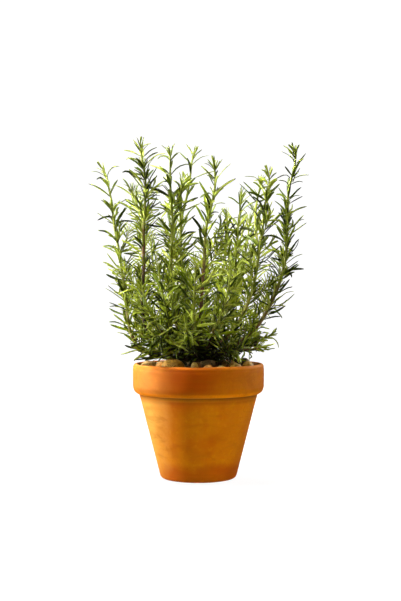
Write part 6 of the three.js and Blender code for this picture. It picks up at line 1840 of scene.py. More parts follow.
        [21,6,668,-67,2929,684,-86,2993,696,-111,3055],
        [21,6,661,-61,2928,632,-45,3002,578,-29,3060],
        [22,9,673,-66,2900,702,-63,2967,756,-59,3017],
        [22,9,664,-68,2898,606,-84,2953,535,-96,2992],
        [28,13,671,-64,2859,608,-12,2925,530,32,2980],
        [28,13,678,-72,2861,703,-122,2937,721,-176,3013],
        [26,20,688,-72,2781,589,-83,2858,498,-115,2938],
        [26,20,699,-70,2784,771,-37,2879,853,14,2956],
        [28,27,712,-81,2726,667,-178,2787,645,-289,2835],
        [28,27,710,-69,2725,642,-23,2791,560,35,2826],
        [23,2,691,-165,2684,701,-205,2721,714,-243,2759],
        [23,2,691,-157,2686,696,-146,2744,690,-112,2791],
        [24,5,690,-155,2656,735,-200,2702,796,-240,2731],
        [24,5,682,-154,2657,654,-183,2708,602,-209,2737],
        [25,9,685,-134,2622,704,-120,2713,727,-105,2803],
        [25,9,681,-143,2619,666,-190,2670,648,-252,2699],
        [27,14,679,-118,2575,617,-114,2649,539,-76,2694],
        [27,14,690,-121,2574,762,-147,2652,857,-156,2706],
        [24,20,686,-101,2517,629,-188,2550,584,-286,2560],
        [24,20,687,-92,2522,646,-83,2647,598,-27,2755],
        [26,2,964,4,2559,980,-1,2611,986,-12,2665],
        [26,2,969,9,2554,1021,25,2595,1073,39,2636],
        [22,5,950,2,2532,1007,-8,2553,1064,-29,2555],
        [22,5,944,5,2537,961,31,2611,949,78,2676],
        [25,9,923,3,2502,989,22,2551,1065,39,2584],
        [25,9,918,-4,2508,953,-16,2569,974,-48,2630],
        [26,13,891,0,2479,918,72,2561,941,142,2646],
        [26,13,895,-9,2476,973,-39,2532,1037,-99,2583],
        [24,20,839,-17,2435,885,-33,2551,891,-54,2675],
        [24,20,843,-9,2428,915,80,2445,966,184,2446],
        [25,27,791,-29,2385,928,-40,2416,1068,-57,2403],
        [25,27,784,-23,2392,847,16,2477,890,78,2562],
        [28,35,726,-39,2339,831,13,2284,941,55,2233],
        [28,35,722,-45,2349,797,-64,2445,849,-111,2546],
        [26,2,640,45,2511,646,43,2562,634,26,2609],
        [26,2,643,52,2509,663,72,2563,683,106,2609],
        [20,4,638,42,2481,686,29,2542,731,12,2603],
        [20,4,630,46,2482,611,61,2544,591,88,2602],
        [24,8,630,45,2451,670,93,2502,709,153,2541],
        [24,8,623,39,2454,596,28,2524,564,16,2591],
        [23,12,614,35,2414,565,77,2495,490,130,2540],
        [23,12,623,30,2414,685,6,2475,759,-6,2527],
        [24,17,606,20,2367,559,-5,2459,506,-44,2541],
        [24,17,611,28,2364,635,137,2424,636,264,2424],
        [27,24,606,2,2309,673,-32,2404,755,-99,2462],
        [27,24,596,7,2309,538,46,2420,437,62,2504],
        [26,2,682,-180,2111,707,-208,2148,721,-247,2180],
        [26,2,688,-177,2106,739,-186,2112,790,-179,2103],
        [24,5,664,-170,2089,709,-210,2088,756,-247,2083],
        [24,5,661,-164,2096,688,-165,2155,706,-175,2216],
        [22,9,636,-150,2068,710,-183,2084,783,-221,2075],
        [22,9,630,-155,2073,663,-201,2116,662,-252,2167],
        [28,14,598,-122,2050,679,-142,2116,751,-159,2192],
        [28,14,596,-131,2044,642,-228,2041,677,-329,2050],
        [26,19,557,-104,2029,546,-209,2109,490,-302,2187],
        [26,19,564,-100,2021,675,-160,1975,767,-234,1913],
        [26,2,571,-270,1957,594,-294,1998,607,-303,2049],
        [26,2,576,-271,1949,625,-303,1952,679,-326,1958],
        [21,4,558,-263,1942,586,-321,1949,605,-383,1939],
        [21,4,561,-256,1946,609,-280,1978,662,-301,2003],
        [23,9,527,-231,1918,582,-281,1904,625,-341,1883],
        [23,9,524,-229,1927,559,-261,1979,577,-266,2048],
        [28,14,497,-194,1902,571,-232,1934,643,-272,1968],
        [28,14,492,-201,1898,532,-286,1888,568,-368,1858],
        [28,21,447,-150,1881,438,-220,1994,408,-260,2118],
        [28,21,454,-148,1872,562,-219,1863,682,-256,1833],
        [28,31,393,-75,1839,382,-190,1782,344,-301,1727],
        [28,31,397,-69,1850,478,-149,1934,565,-230,2012],
        [29,29,891,-110,3679,977,-65,3744,1054,-20,3819],
        [32,122,773,-86,2757,883,-115,2759,989,-144,2729],
        [26,125,765,-71,2729,832,-16,2820,883,45,2918],
        [26,116,781,-83,2817,896,-71,2873,984,-58,2967],
        [26,104,795,-95,2935,814,-104,2980,846,-116,3017],
        [31,119,777,-81,2787,836,-70,2808,897,-58,2790],
        [30,89,812,-88,3085,837,-66,3111,857,-42,3140],
        [31,101,800,-91,2965,840,-93,3019,898,-95,3052],
        [30,240,271,-21,1709,371,-19,1692,467,-28,1659],
        [23,242,252,-38,1703,277,-100,1673,300,-169,1661],
        [27,246,225,-28,1671,299,-35,1666,366,-33,1635],
        [23,260,116,-33,1583,170,-84,1621,213,-142,1662],
        [26,238,265,-32,1748,249,-80,1827,238,-138,1901],
        [22,242,253,-35,1701,307,-81,1681,368,-120,1675],
        [30,236,293,-39,1745,325,-126,1724,350,-201,1671],
        [24,218,426,-34,1868,501,-46,1863,566,-64,1826],
        [24,230,344,-27,1780,453,-44,1809,553,-67,1859],
        [30,234,308,-39,1758,333,-102,1744,366,-164,1744],
        [25,232,315,-41,1779,356,-108,1833,372,-196,1864],
        [28,264,93,-25,1551,170,-83,1574,227,-161,1592],
        [25,234,314,-33,1753,403,-75,1753,491,-105,1718],
        [25,256,138,-38,1617,173,-126,1665,213,-203,1725],
        [23,232,331,-22,1765,409,-23,1760,482,-34,1733],
        [28,232,308,-36,1786,326,-72,1842,354,-115,1890],
        [29,250,188,-41,1653,257,-118,1663,298,-214,1659],
        [28,244,223,-39,1705,213,-96,1739,216,-152,1776],
        [24,246,225,-19,1671,293,-8,1673,361,-1,1669],
        [24,244,240,-31,1685,280,-60,1642,323,-95,1606],
    ],
    "sprig_far_right": [
        [24,11,1266,173,4171,1241,159,4233,1235,138,4305,1225,120,4370],
        [26,5,1259,185,4230,1232,204,4301,1188,229,4358],
        [27,5,1255,180,4230,1238,185,4240,1169,206,4305,1112,221,4340],
        [22,21,1277,175,4070,1250,157,4149,1170,138,4211,1079,119,4253],
        [23,4,1265,184,4242,1298,241,4309,1334,282,4347],
        [21,18,1281,178,4101,1294,181,4108,1354,198,4166,1413,217,4239],
        [29,35,1223,166,3940,1197,130,3967,1123,19,4047],
        [28,43,1218,172,3859,1243,178,3862,1269,196,3940,1339,224,4047],
        [34,42,1220,168,3869,1281,141,3916,1360,114,3940,1444,87,3940],
        [31,47,1207,162,3821,1260,123,3846,1318,81,3858,1361,50,3843],
        [35,49,1189,176,3804,1158,219,3858,1115,258,3882,1058,304,3890],
        [30,39,1210,174,3902,1154,194,3952,1086,216,3938,1019,236,3902],
        [26,73,1181,155,3564,1239,127,3600,1298,98,3633,1359,72,3664],
        [32,65,1185,160,3643,1240,144,3686,1293,126,3744,1346,110,3784],
        [28,67,1181,169,3623,1203,185,3636,1255,233,3676,1345,297,3694],
        [27,68,1163,167,3615,1142,181,3626,1095,228,3693,1018,274,3705],
        [26,72,1164,152,3575,1137,112,3584,1071,-5,3633],
        [29,85,1161,151,3445,1122,138,3502,1058,118,3559,990,99,3608],
        [29,87,1184,158,3425,1258,185,3478,1340,212,3517,1428,238,3542],
        [24,82,1178,166,3474,1226,237,3505,1245,328,3578],
        [31,106,1177,150,3234,1256,176,3286,1320,204,3357,1385,229,3428],
        [27,105,1178,143,3244,1250,121,3278,1319,93,3349,1384,77,3361],
        [33,114,1170,142,3155,1256,140,3206,1336,138,3266,1419,135,3323],
        [28,106,1175,139,3234,1198,117,3238,1228,50,3309,1221,6,3361],
        [35,85,1160,156,3444,1073,160,3433,998,165,3353,916,169,3279],
        [30,107,1155,154,3226,1111,208,3314,1051,261,3380],
        [28,114,1144,139,3157,1099,127,3194,1044,106,3264,980,89,3318],
        [30,120,1142,134,3096,1098,111,3131,1058,75,3200,1015,46,3261],
        [28,130,1142,129,2997,1130,121,3008,1095,82,3072,1016,28,3140],
        [33,124,1141,137,3056,1056,138,3117,963,139,3158,865,139,3129],
        [33,139,1132,130,2908,936,130,3020,989,130,3063,1044,130,3096],
        [26,135,1163,128,2945,1210,111,2970,1258,83,3045,1314,57,3109],
        [31,144,1153,131,2855,1217,153,2927,1282,177,3002,1321,200,3094],
        [31,152,1140,127,2776,1209,157,2832,1284,186,2884,1371,215,2914],
        [27,160,1124,122,2697,1158,130,2715,1236,150,2770,1313,169,2825],
        [28,164,1113,120,2658,1181,144,2695,1241,167,2745,1308,190,2787],
        [34,166,1108,114,2639,1187,112,2700,1284,109,2716,1384,105,2715],
        [35,172,1088,104,2582,1117,88,2597,1199,31,2660,1252,5,2676],
        [30,167,1101,125,2630,1208,224,2657,1234,269,2602],
        [28,186,1043,108,2449,1087,122,2455,1137,147,2510,1200,178,2586],
        [28,182,1053,117,2487,1078,147,2493,1145,258,2564],
        [28,192,1021,103,2392,1092,121,2425,1160,140,2464,1236,158,2482],
        [28,193,1018,95,2383,1083,75,2420,1148,54,2460,1220,35,2485],
        [28,207,960,90,2255,1047,91,2322,1136,91,2402,1252,92,2425],
        [26,210,947,88,2228,1066,91,2244,1168,93,2310,1258,96,2392],
        [30,222,889,85,2121,978,114,2141,1062,143,2184,1144,170,2234],
        [31,219,905,86,2148,1021,112,2159,1076,130,2105,1098,136,2067],
        [27,230,847,70,2053,919,54,2076,992,36,2095,1068,18,2096],
        [24,237,800,85,1998,849,161,1984,892,248,2020],
        [29,240,785,80,1973,814,102,1970,871,153,1946,936,205,1928],
        [17,0,1248,176,4279,1233,172,4330,1217,161,4379],
        [17,1,1253,174,4270,1240,165,4322,1232,150,4374],
        [17,2,1256,173,4260,1243,152,4312,1224,130,4362],
        [17,3,1257,184,4250,1239,212,4314,1221,256,4368],
        [21,4,1255,178,4240,1220,175,4299,1173,166,4347],
        [21,5,1266,183,4231,1273,212,4296,1288,250,4355],
        [21,6,1269,182,4222,1298,211,4286,1334,240,4347],
        [21,7,1269,173,4212,1288,128,4280,1313,76,4342],
        [21,9,1269,172,4192,1259,111,4256,1255,42,4311],
        [21,10,1268,183,4181,1233,237,4230,1190,289,4273],
        [23,12,1265,175,4161,1226,171,4229,1171,175,4286],
        [23,12,1282,177,4163,1288,174,4248,1305,159,4331],
        [34,18,1266,183,4093,1237,230,4171,1199,304,4220],
        [32,27,1258,180,4013,1321,213,4113,1390,288,4181],
        [39,40,1216,181,3890,1243,294,3966,1261,430,3985],
        [39,40,1217,161,3890,1266,96,4024,1334,11,4136],
        [24,-40,1229,164,3913,1272,126,3954,1307,76,3988],
        [24,-40,1220,161,3912,1237,144,3979,1263,124,4042],
        [43,63,1176,152,3664,1185,44,3764,1184,-97,3806],
        [43,63,1176,175,3664,1187,254,3809,1199,365,3931],
        [24,-63,1178,176,3680,1185,204,3735,1197,237,3786],
        [24,-63,1172,175,3690,1171,193,3761,1165,231,3824],
        [33,90,1173,166,3394,1180,223,3534,1215,331,3634],
        [24,-90,1179,166,3419,1197,209,3469,1213,267,3502],
        [24,-90,1160,159,3408,1126,175,3464,1079,196,3508],
        [24,-90,1169,167,3406,1157,206,3444,1139,244,3479],
        [24,-90,1167,166,3413,1154,196,3458,1137,227,3501],
        [33,90,1172,141,3395,1159,14,3498,1144,-129,3576],
        [33,101,1160,140,3286,1117,96,3404,1067,28,3507],
        [24,-101,1160,158,3300,1127,197,3390,1099,242,3479],
        [24,-101,1166,137,3307,1153,96,3401,1127,42,3486],
        [24,-101,1159,153,3310,1153,160,3369,1132,179,3422],
        [38,112,1158,130,3176,1174,33,3307,1210,-105,3388],
        [38,112,1150,154,3176,1108,224,3284,1052,302,3379],
        [24,-112,1166,158,3192,1183,182,3249,1214,213,3296],
        [24,-112,1146,149,3197,1132,159,3297,1115,168,3396],
        [32,123,1166,146,3066,1220,195,3181,1278,258,3287],
        [32,123,1141,141,3066,1080,154,3185,1017,157,3304],
        [30,133,1158,147,2965,1197,249,3068,1211,374,3150],
        [24,-133,1162,147,2984,1184,174,3043,1223,204,3090],
        [24,-133,1149,149,2992,1145,170,3067,1126,195,3138],
        [24,-133,1143,145,2986,1125,169,3037,1094,199,3076],
        [30,133,1156,119,2967,1191,47,3082,1247,-47,3171],
        [24,-133,1147,120,2987,1133,86,3062,1102,43,3126],
        [24,-133,1159,120,2990,1171,95,3068,1170,57,3141],
        [24,-133,1167,127,2983,1197,122,3079,1256,109,3160],
        [24,-133,1154,119,2982,1161,72,3063,1159,25,3144],
        [30,145,1123,130,2849,1024,147,2940,892,140,2973],
        [30,145,1148,138,2845,1210,185,2962,1287,227,3071],
        [24,-145,1147,142,2865,1182,198,2940,1213,273,2997],
        [24,-145,1150,141,2867,1172,160,2942,1210,193,3004],
        [24,-145,1156,129,2865,1178,131,2921,1203,129,2976],
        [31,157,1113,105,2731,1092,-28,2819,1046,-158,2902],
        [31,157,1106,131,2731,1035,229,2809,963,351,2832],
        [24,-157,1108,132,2754,1079,164,2833,1036,186,2910],
        [24,-157,1105,127,2750,1051,152,2824,995,171,2898],
        [24,-157,1121,138,2746,1142,182,2836,1165,230,2923],
        [37,168,1102,119,2619,1219,158,2699,1328,216,2778],
        [24,-168,1099,130,2633,1128,154,2687,1163,181,2735],
        [24,-168,1106,125,2635,1143,143,2694,1185,172,2744],
        [37,168,1072,116,2628,999,128,2750,889,116,2841],
        [30,178,1047,122,2531,1021,222,2661,952,335,2761],
        [24,-178,1073,122,2543,1112,146,2592,1155,170,2636],
        [24,-178,1049,122,2545,1049,163,2636,1054,202,2728],
        [24,-178,1055,126,2542,1070,182,2628,1084,235,2715],
        [30,178,1055,92,2530,1098,-4,2656,1149,-126,2754],
        [36,190,998,101,2423,967,104,2599,920,78,2770],
        [24,-190,1007,100,2447,1015,102,2530,996,102,2611],
        [24,-190,1007,111,2441,1000,137,2519,979,176,2588],
        [29,200,980,78,2324,1048,-24,2413,1096,-158,2465],
        [24,-200,976,81,2352,986,51,2437,981,16,2521],
        [24,-200,993,80,2343,1031,69,2396,1080,55,2438],
        [29,200,965,109,2329,960,191,2472,898,291,2588],
        [24,-200,970,103,2355,948,122,2407,922,152,2451],
        [24,-200,990,114,2344,1037,164,2408,1089,233,2445],
        [28,210,943,101,2229,1063,220,2238,1166,354,2225],
        [24,-210,956,102,2251,994,116,2292,1040,131,2323],
        [24,-210,954,81,2240,1020,76,2316,1102,57,2371],
        [28,210,917,84,2243,828,47,2385,725,-17,2506],
        [24,-210,925,82,2260,923,71,2329,920,55,2397],
        [24,-210,932,73,2254,946,44,2326,958,21,2400],
        [24,-210,924,95,2259,925,115,2341,926,145,2420],
        [24,-210,927,89,2267,911,89,2326,890,88,2383],
        [31,220,876,97,2151,852,216,2265,822,329,2383],
        [31,220,890,64,2146,969,-56,2235,1011,-192,2325],
        [24,-220,909,70,2161,963,43,2197,1012,2,2224],
        [24,-220,888,64,2165,913,31,2235,939,-7,2302],
        [34,233,801,71,2048,783,58,2194,710,6,2311],
        [30,246,727,45,1932,742,-60,2011,714,-180,2059],
        [24,-246,758,55,1932,810,43,1949,862,26,1960],
        [24,-246,734,47,1948,773,16,2031,789,-31,2113],
        [30,246,720,78,1935,696,179,2049,631,264,2161],
        [34,257,674,68,1842,799,161,1820,903,280,1810],
        [24,-257,688,75,1862,739,121,1874,785,171,1886],
        [24,-257,695,50,1858,774,38,1869,855,38,1870],
        [24,-257,693,68,1857,763,91,1889,830,131,1906],
        [24,-257,689,60,1850,790,74,1843,888,88,1814],
        [34,257,649,56,1868,641,67,2017,569,95,2146],
        [24,-257,665,66,1883,693,83,1940,723,107,1994],
        [24,-257,661,47,1878,680,30,1961,677,12,2045],
        [24,-257,667,38,1871,711,0,1950,730,-52,2030],
        [32,270,564,66,1768,659,178,1780,725,309,1777],
        [24,-270,565,66,1790,602,126,1851,627,202,1900],
        [24,-270,566,59,1800,601,79,1853,633,105,1905],
        [32,270,566,28,1769,692,-48,1806,794,-161,1803],
        [29,283,442,24,1726,516,-27,1878,569,-76,2040],
        [24,-283,451,45,1736,518,61,1792,567,84,1863],
        [24,-283,456,48,1738,485,83,1826,483,113,1920],
        [29,283,459,38,1693,635,60,1684,806,69,1636],
        [28,292,377,3,1663,482,-119,1667,552,-262,1637],
        [24,-292,395,18,1656,469,9,1637,532,-11,1599],
        [24,-292,403,16,1663,499,-7,1655,592,-39,1650],
        [24,-292,389,6,1687,432,-6,1719,469,-34,1749],
        [24,-292,396,5,1674,471,-4,1706,548,-16,1729],
        [28,292,362,39,1677,432,150,1798,480,272,1919],
        [24,-292,394,45,1666,456,111,1662,507,186,1655],
        [24,-292,376,47,1676,412,111,1713,441,173,1759],
        [24,-292,383,43,1691,436,95,1762,469,154,1838],
        [25,2,1127,-24,3515,1124,-42,3581,1118,-57,3647],
        [25,2,1134,-21,3516,1142,-30,3577,1155,-25,3637],
        [20,5,1134,-18,3486,1153,-62,3525,1176,-108,3561],
        [20,5,1130,-10,3488,1117,1,3565,1107,20,3641],
        [24,9,1135,2,3450,1145,16,3522,1157,49,3588],
        [24,9,1133,-7,3447,1128,-85,3499,1131,-162,3552],
        [28,14,1133,20,3404,1106,9,3486,1053,19,3555],
        [28,14,1140,12,3401,1183,-62,3445,1243,-136,3461],
        [27,21,1139,41,3336,1100,-86,3366,1079,-218,3343],
        [27,21,1147,47,3340,1193,16,3431,1282,-5,3486],
        [28,28,1149,75,3275,1171,-30,3287,1196,-134,3300],
        [28,28,1142,82,3279,1101,38,3370,1038,0,3450],
        [21,2,1130,-103,3207,1115,-145,3236,1089,-191,3248],
        [21,2,1134,-96,3210,1139,-108,3261,1143,-119,3313],
        [24,5,1135,-88,3181,1144,-139,3226,1160,-203,3247],
        [24,5,1128,-83,3183,1103,-105,3233,1062,-118,3274],
        [27,8,1137,-67,3159,1170,-73,3218,1204,-68,3277],
        [27,8,1130,-72,3156,1103,-127,3193,1067,-172,3234],
        [28,13,1130,-39,3118,1085,-52,3187,1042,-42,3258],
        [28,13,1139,-43,3116,1166,-111,3176,1193,-188,3223],
        [26,20,1134,-1,3060,1090,-102,3061,1063,-207,3039],
        [26,20,1137,7,3067,1132,-32,3190,1135,-51,3317],
        [26,28,1143,52,3001,1160,-84,2980,1184,-210,2929],
        [26,28,1140,61,3010,1118,14,3133,1097,15,3264],
        [24,2,1132,294,2948,1126,305,3008,1106,310,3066],
        [24,2,1133,301,2944,1129,343,2984,1116,383,3024],
        [25,5,1136,284,2919,1159,307,2979,1196,314,3035],
        [25,5,1129,288,2917,1112,340,2957,1099,398,2988],
        [27,10,1127,271,2881,1124,339,2920,1117,415,2937],
        [27,10,1126,262,2885,1113,268,2962,1081,266,3033],
        [28,14,1119,239,2841,1068,276,2904,1003,315,2951],
        [28,14,1129,238,2841,1183,259,2916,1255,240,2974],
        [27,21,1117,200,2795,1099,185,2911,1069,157,3021],
        [27,21,1120,209,2788,1152,344,2781,1189,466,2724],
        [22,2,1077,287,2870,1062,293,2931,1036,299,2989],
        [22,2,1080,293,2867,1090,323,2913,1101,369,2942],
        [22,5,1072,280,2841,1046,314,2887,1000,344,2917],
        [26,9,1074,265,2803,1109,329,2846,1149,404,2853],
        [26,9,1069,257,2807,1060,264,2877,1028,250,2938],
        [27,15,1061,236,2751,1024,300,2821,962,368,2863],
        [27,15,1071,234,2752,1117,279,2826,1170,322,2896],
        [26,22,1060,194,2694,991,194,2808,899,183,2902],
        [26,22,1066,202,2689,1091,314,2723,1095,431,2747],
        [28,30,1073,151,2627,1162,194,2693,1267,222,2740],
        [28,30,1060,150,2627,948,168,2694,819,177,2718],
        [25,2,1026,260,2516,1025,286,2571,1003,298,2627],
        [25,2,1031,264,2511,1063,310,2524,1103,349,2536],
        [26,5,1024,241,2493,1066,271,2537,1122,296,2564],
        [26,5,1015,244,2494,1000,287,2547,971,318,2602],
        [24,8,1015,226,2469,1050,303,2486,1090,377,2464],
        [24,8,1011,220,2476,1012,229,2555,994,223,2632],
        [28,13,998,189,2439,958,264,2482,904,334,2518],
        [28,13,1009,187,2438,1078,244,2477,1150,285,2529],
        [28,18,996,138,2408,965,170,2530,901,164,2644],
        [28,18,996,145,2398,976,246,2396,946,339,2365],
        [22,2,886,193,2544,878,202,2600,859,205,2654],
        [22,2,894,195,2543,905,212,2602,919,225,2662],
        [25,5,886,182,2516,878,168,2593,862,143,2665],
        [25,5,885,189,2514,860,230,2561,828,261,2613],
        [25,8,891,178,2485,918,208,2543,952,249,2589],
        [25,8,881,177,2485,827,199,2551,758,221,2601],
        [25,12,884,172,2455,851,242,2505,792,313,2515],
        [25,12,889,163,2458,914,145,2546,952,127,2629],
        [23,16,883,152,2408,820,169,2478,739,163,2528],
        [23,16,892,156,2407,932,242,2475,996,315,2539],
        [28,23,900,125,2344,915,93,2466,936,14,2563],
        [28,23,894,134,2339,840,215,2429,769,292,2508],
        [22,2,855,150,2273,855,130,2333,850,92,2384],
        [22,2,858,158,2270,884,202,2314,915,245,2354],
        [25,5,857,147,2243,887,156,2294,934,152,2331],
        [25,5,848,150,2243,828,184,2288,796,230,2312],
        [28,9,851,139,2204,884,189,2241,912,249,2265],
        [28,9,843,133,2207,817,135,2283,786,129,2356],
        [28,14,839,114,2151,806,159,2240,736,193,2309],
        [28,14,850,110,2153,907,99,2236,988,61,2282],
        [24,2,760,120,2205,768,113,2272,777,92,2336],
        [24,2,758,128,2203,752,173,2247,728,225,2274],
        [20,6,761,111,2166,795,118,2218,837,109,2264],
        [20,6,752,110,2167,720,115,2231,686,128,2293],
        [25,10,755,106,2126,739,171,2182,716,251,2204],
        [25,10,754,97,2129,737,89,2220,715,40,2295],
        [27,15,755,86,2080,699,84,2153,628,91,2211],
        [27,15,766,92,2080,798,140,2148,830,192,2213],
        [24,2,707,-74,2008,709,-94,2061,688,-108,2112],
        [24,2,714,-74,2003,744,-92,2043,780,-103,2081],
        [26,5,696,-67,1980,738,-117,2017,779,-178,2036],
        [26,5,694,-59,1985,722,-64,2050,734,-45,2118],
        [22,9,679,-44,1951,741,-63,2013,816,-52,2061],
        [22,9,671,-49,1953,668,-87,2014,648,-120,2075],
        [25,15,650,-14,1908,682,-21,2017,682,4,2128],
        [25,15,651,-23,1901,707,-120,1929,764,-218,1914],
        [24,2,835,118,1707,886,127,1711,934,141,1727],
        [24,2,835,122,1699,886,133,1696,929,158,1678],
        [23,5,806,114,1698,861,103,1683,905,87,1647],
        [23,5,805,121,1700,873,152,1694,940,183,1681],
        [25,8,775,115,1695,855,129,1679,932,137,1649],
        [25,8,776,111,1703,847,86,1754,897,49,1820],
        [28,13,725,110,1703,779,168,1740,796,245,1778],
        [28,13,727,101,1696,799,64,1667,852,1,1640],
        [28,20,658,89,1708,742,64,1767,815,12,1823],
        [28,27,592,69,1713,691,6,1723,786,-64,1723],
        [28,27,589,78,1716,665,149,1752,717,228,1807],
        [26,65,1166,170,3645,1103,231,3715,1055,293,3795],
        [29,98,1183,144,3314,1197,140,3366,1211,131,3417],
        [24,215,924,84,2183,1056,86,2219,1154,86,2315],
        [28,149,1143,116,2807,1181,100,2876,1240,76,2926],
        [30,140,1157,134,2895,1203,151,2883,1249,168,2895],
        [26,302,292,14,1603,384,66,1521,498,118,1474],
        [30,170,1068,119,2609,964,165,2624,886,211,2695],
        [29,92,1184,158,3375,1208,173,3411,1239,191,3440],
        [28,35,1222,178,3940,1240,177,3996,1239,182,4054],
        [24,146,1122,129,2840,1033,146,2841,950,163,2873],
        [27,282,454,21,1726,435,-59,1781,377,-123,1830],
        [26,312,188,-12,1591,191,-43,1675,168,-76,1755],
        [28,310,220,-19,1573,316,-53,1586,412,-88,1584],
        [23,274,531,27,1749,596,-29,1764,629,-109,1772],
        [27,302,295,0,1604,372,-3,1608,448,-17,1600],
        [30,274,526,26,1758,530,-58,1780,511,-138,1809],
        [24,310,217,-23,1579,255,-76,1584,291,-129,1598],
        [23,294,345,14,1675,374,4,1768,368,-17,1864],
        [22,286,424,13,1699,450,-94,1725,481,-202,1736],
        [22,310,206,-8,1601,215,-33,1688,226,-77,1767],
        [27,292,374,4,1669,386,-69,1675,389,-143,1676],
        [27,302,293,11,1602,368,27,1600,443,22,1613],
        [24,262,633,36,1814,680,-14,1806,710,-65,1772],
        [31,256,675,39,1859,717,-53,1862,746,-147,1837],
    ],
    "sprig_back_centre": [
        [23,5,393,840,3413,368,799,3557,254,755,3412],
        [28,18,386,823,3285,325,811,3311,243,794,3366],
        [26,16,401,830,3303,491,858,3357,436,889,3459,384,909,3534],
        [17,0,398,856,3461,406,867,3523,419,879,3584],
        [17,1,388,853,3451,367,865,3514,343,884,3574],
        [17,2,392,846,3442,387,832,3512,385,797,3574],
        [17,3,389,850,3432,356,858,3499,325,863,3568],
        [21,4,389,847,3422,351,848,3491,308,851,3558],
        [21,5,390,850,3411,360,889,3469,336,934,3525],
        [21,6,396,850,3401,411,902,3456,419,958,3509],
        [21,7,390,847,3392,351,890,3451,302,945,3486],
        [21,9,399,843,3372,466,885,3417,547,919,3438],
        [21,10,393,844,3362,376,920,3392,367,999,3414],
        [28,12,391,829,3344,369,791,3419,354,738,3485],
        [28,12,397,842,3342,425,917,3399,439,995,3458],
        [32,19,395,815,3276,416,774,3357,448,723,3429],
        [32,19,389,830,3273,360,912,3339,311,1008,3359],
        [38,30,395,802,3166,447,865,3285,526,960,3361],
        [38,30,381,792,3169,366,789,3288,348,747,3399],
        [41,44,374,771,3030,359,912,3122,346,1078,3145],
        [24,-44,379,777,3048,388,840,3086,407,906,3115],
        [24,-44,369,770,3052,339,801,3116,303,839,3172],
        [24,-44,383,774,3042,393,804,3098,403,844,3147],
        [24,-44,374,775,3045,355,841,3095,334,904,3148],
        [41,44,382,754,3034,435,744,3174,527,718,3289],
        [24,-44,380,757,3052,396,731,3139,414,692,3221],
        [24,-44,376,757,3053,371,726,3103,371,696,3154],
        [24,-44,386,761,3057,401,766,3111,426,762,3160],
        [35,58,356,713,2903,281,661,3017,170,602,3092],
        [24,-58,354,729,2914,330,762,2980,286,790,3038],
        [24,-58,355,721,2918,341,737,3021,339,745,3125],
        [24,-58,362,716,2920,360,690,3001,361,660,3080],
        [24,-58,357,719,2919,329,706,2973,305,693,3029],
        [35,58,373,722,2898,488,775,3007,648,784,3054],
        [24,-58,370,733,2909,409,811,2960,445,904,2982],
        [24,-58,376,727,2915,409,746,2964,443,763,3014],
        [40,73,355,665,2760,424,691,2884,521,702,2989],
        [40,73,336,676,2759,254,778,2814,159,884,2816],
        [33,87,330,628,2626,390,770,2666,423,926,2664],
        [24,-87,341,627,2653,374,659,2731,416,686,2806],
        [24,-87,339,621,2647,417,627,2715,497,630,2782],
        [24,-87,338,632,2646,376,679,2707,422,735,2753],
        [24,-87,330,639,2649,343,711,2713,341,800,2753],
        [33,87,313,619,2633,203,655,2740,70,651,2826],
        [24,-87,317,621,2653,287,625,2727,246,620,2795],
        [24,-87,315,625,2647,282,656,2721,238,685,2790],
        [24,-87,323,612,2648,321,602,2723,313,581,2795],
        [34,99,303,583,2518,283,757,2553,223,919,2511],
        [24,-99,299,588,2542,290,634,2612,269,683,2678],
        [24,-99,314,587,2529,341,638,2599,379,696,2658],
        [34,99,314,563,2525,406,518,2634,510,467,2729],
        [41,111,272,524,2417,210,579,2520,132,652,2599],
        [24,-111,274,530,2430,254,568,2505,213,610,2569],
        [24,-111,276,537,2436,220,590,2497,162,648,2551],
        [24,-111,288,519,2440,293,495,2499,294,473,2560],
        [24,-111,278,527,2440,278,556,2523,252,571,2606],
        [41,111,291,533,2409,355,643,2509,441,741,2606],
        [24,-111,303,531,2435,348,548,2473,400,563,2501],
        [24,-111,299,538,2427,331,576,2472,373,616,2505],
        [24,-111,303,536,2433,389,579,2474,477,623,2507],
        [30,124,269,457,2304,360,396,2392,459,319,2457],
        [24,-124,276,467,2313,322,465,2349,368,460,2385],
        [24,-124,261,461,2321,264,461,2384,255,457,2446],
        [24,-124,276,467,2322,306,469,2371,327,467,2425],
        [30,124,253,478,2297,211,598,2345,154,711,2394],
        [34,136,242,421,2190,314,539,2282,386,680,2330],
        [24,-136,253,418,2214,310,447,2278,377,478,2329],
        [24,-136,249,428,2205,308,484,2237,373,535,2264],
        [24,-136,252,423,2207,311,468,2259,369,522,2303],
        [24,-136,241,435,2208,266,511,2243,291,592,2261],
        [34,136,221,412,2201,195,478,2357,153,507,2520],
        [24,-136,226,430,2219,222,484,2289,200,551,2344],
        [24,-136,225,415,2216,196,428,2274,162,443,2328],
        [24,-136,226,416,2220,228,440,2287,230,458,2356],
        [28,146,200,371,2100,189,507,2161,164,654,2177],
        [28,146,218,350,2107,300,380,2234,395,369,2356],
        [24,-146,222,356,2120,275,349,2176,334,324,2220],
        [24,-146,208,358,2132,210,359,2214,206,360,2296],
        [30,159,159,299,2011,112,377,2157,65,439,2310],
        [30,159,188,299,2002,300,348,2058,423,364,2108],
        [24,-159,186,321,2015,223,386,2060,272,454,2085],
        [24,-159,193,313,2016,248,348,2032,306,377,2051],
        [35,172,136,218,1911,152,163,2065,126,72,2200],
        [24,-172,137,225,1922,142,222,2007,123,203,2088],
        [24,-172,160,239,1920,212,250,1957,271,248,1985],
        [24,-172,154,230,1921,197,246,1980,254,248,2027],
        [35,172,125,242,1899,83,376,1977,13,513,2020],
        [24,-172,139,255,1910,154,336,1948,174,418,1982],
        [24,-172,133,252,1908,126,312,1929,119,376,1933],
        [34,182,120,186,1813,204,283,1871,280,400,1896],
        [34,182,94,175,1830,77,220,1959,16,231,2083],
        [21,2,306,920,2993,310,963,3036,293,1008,3074],
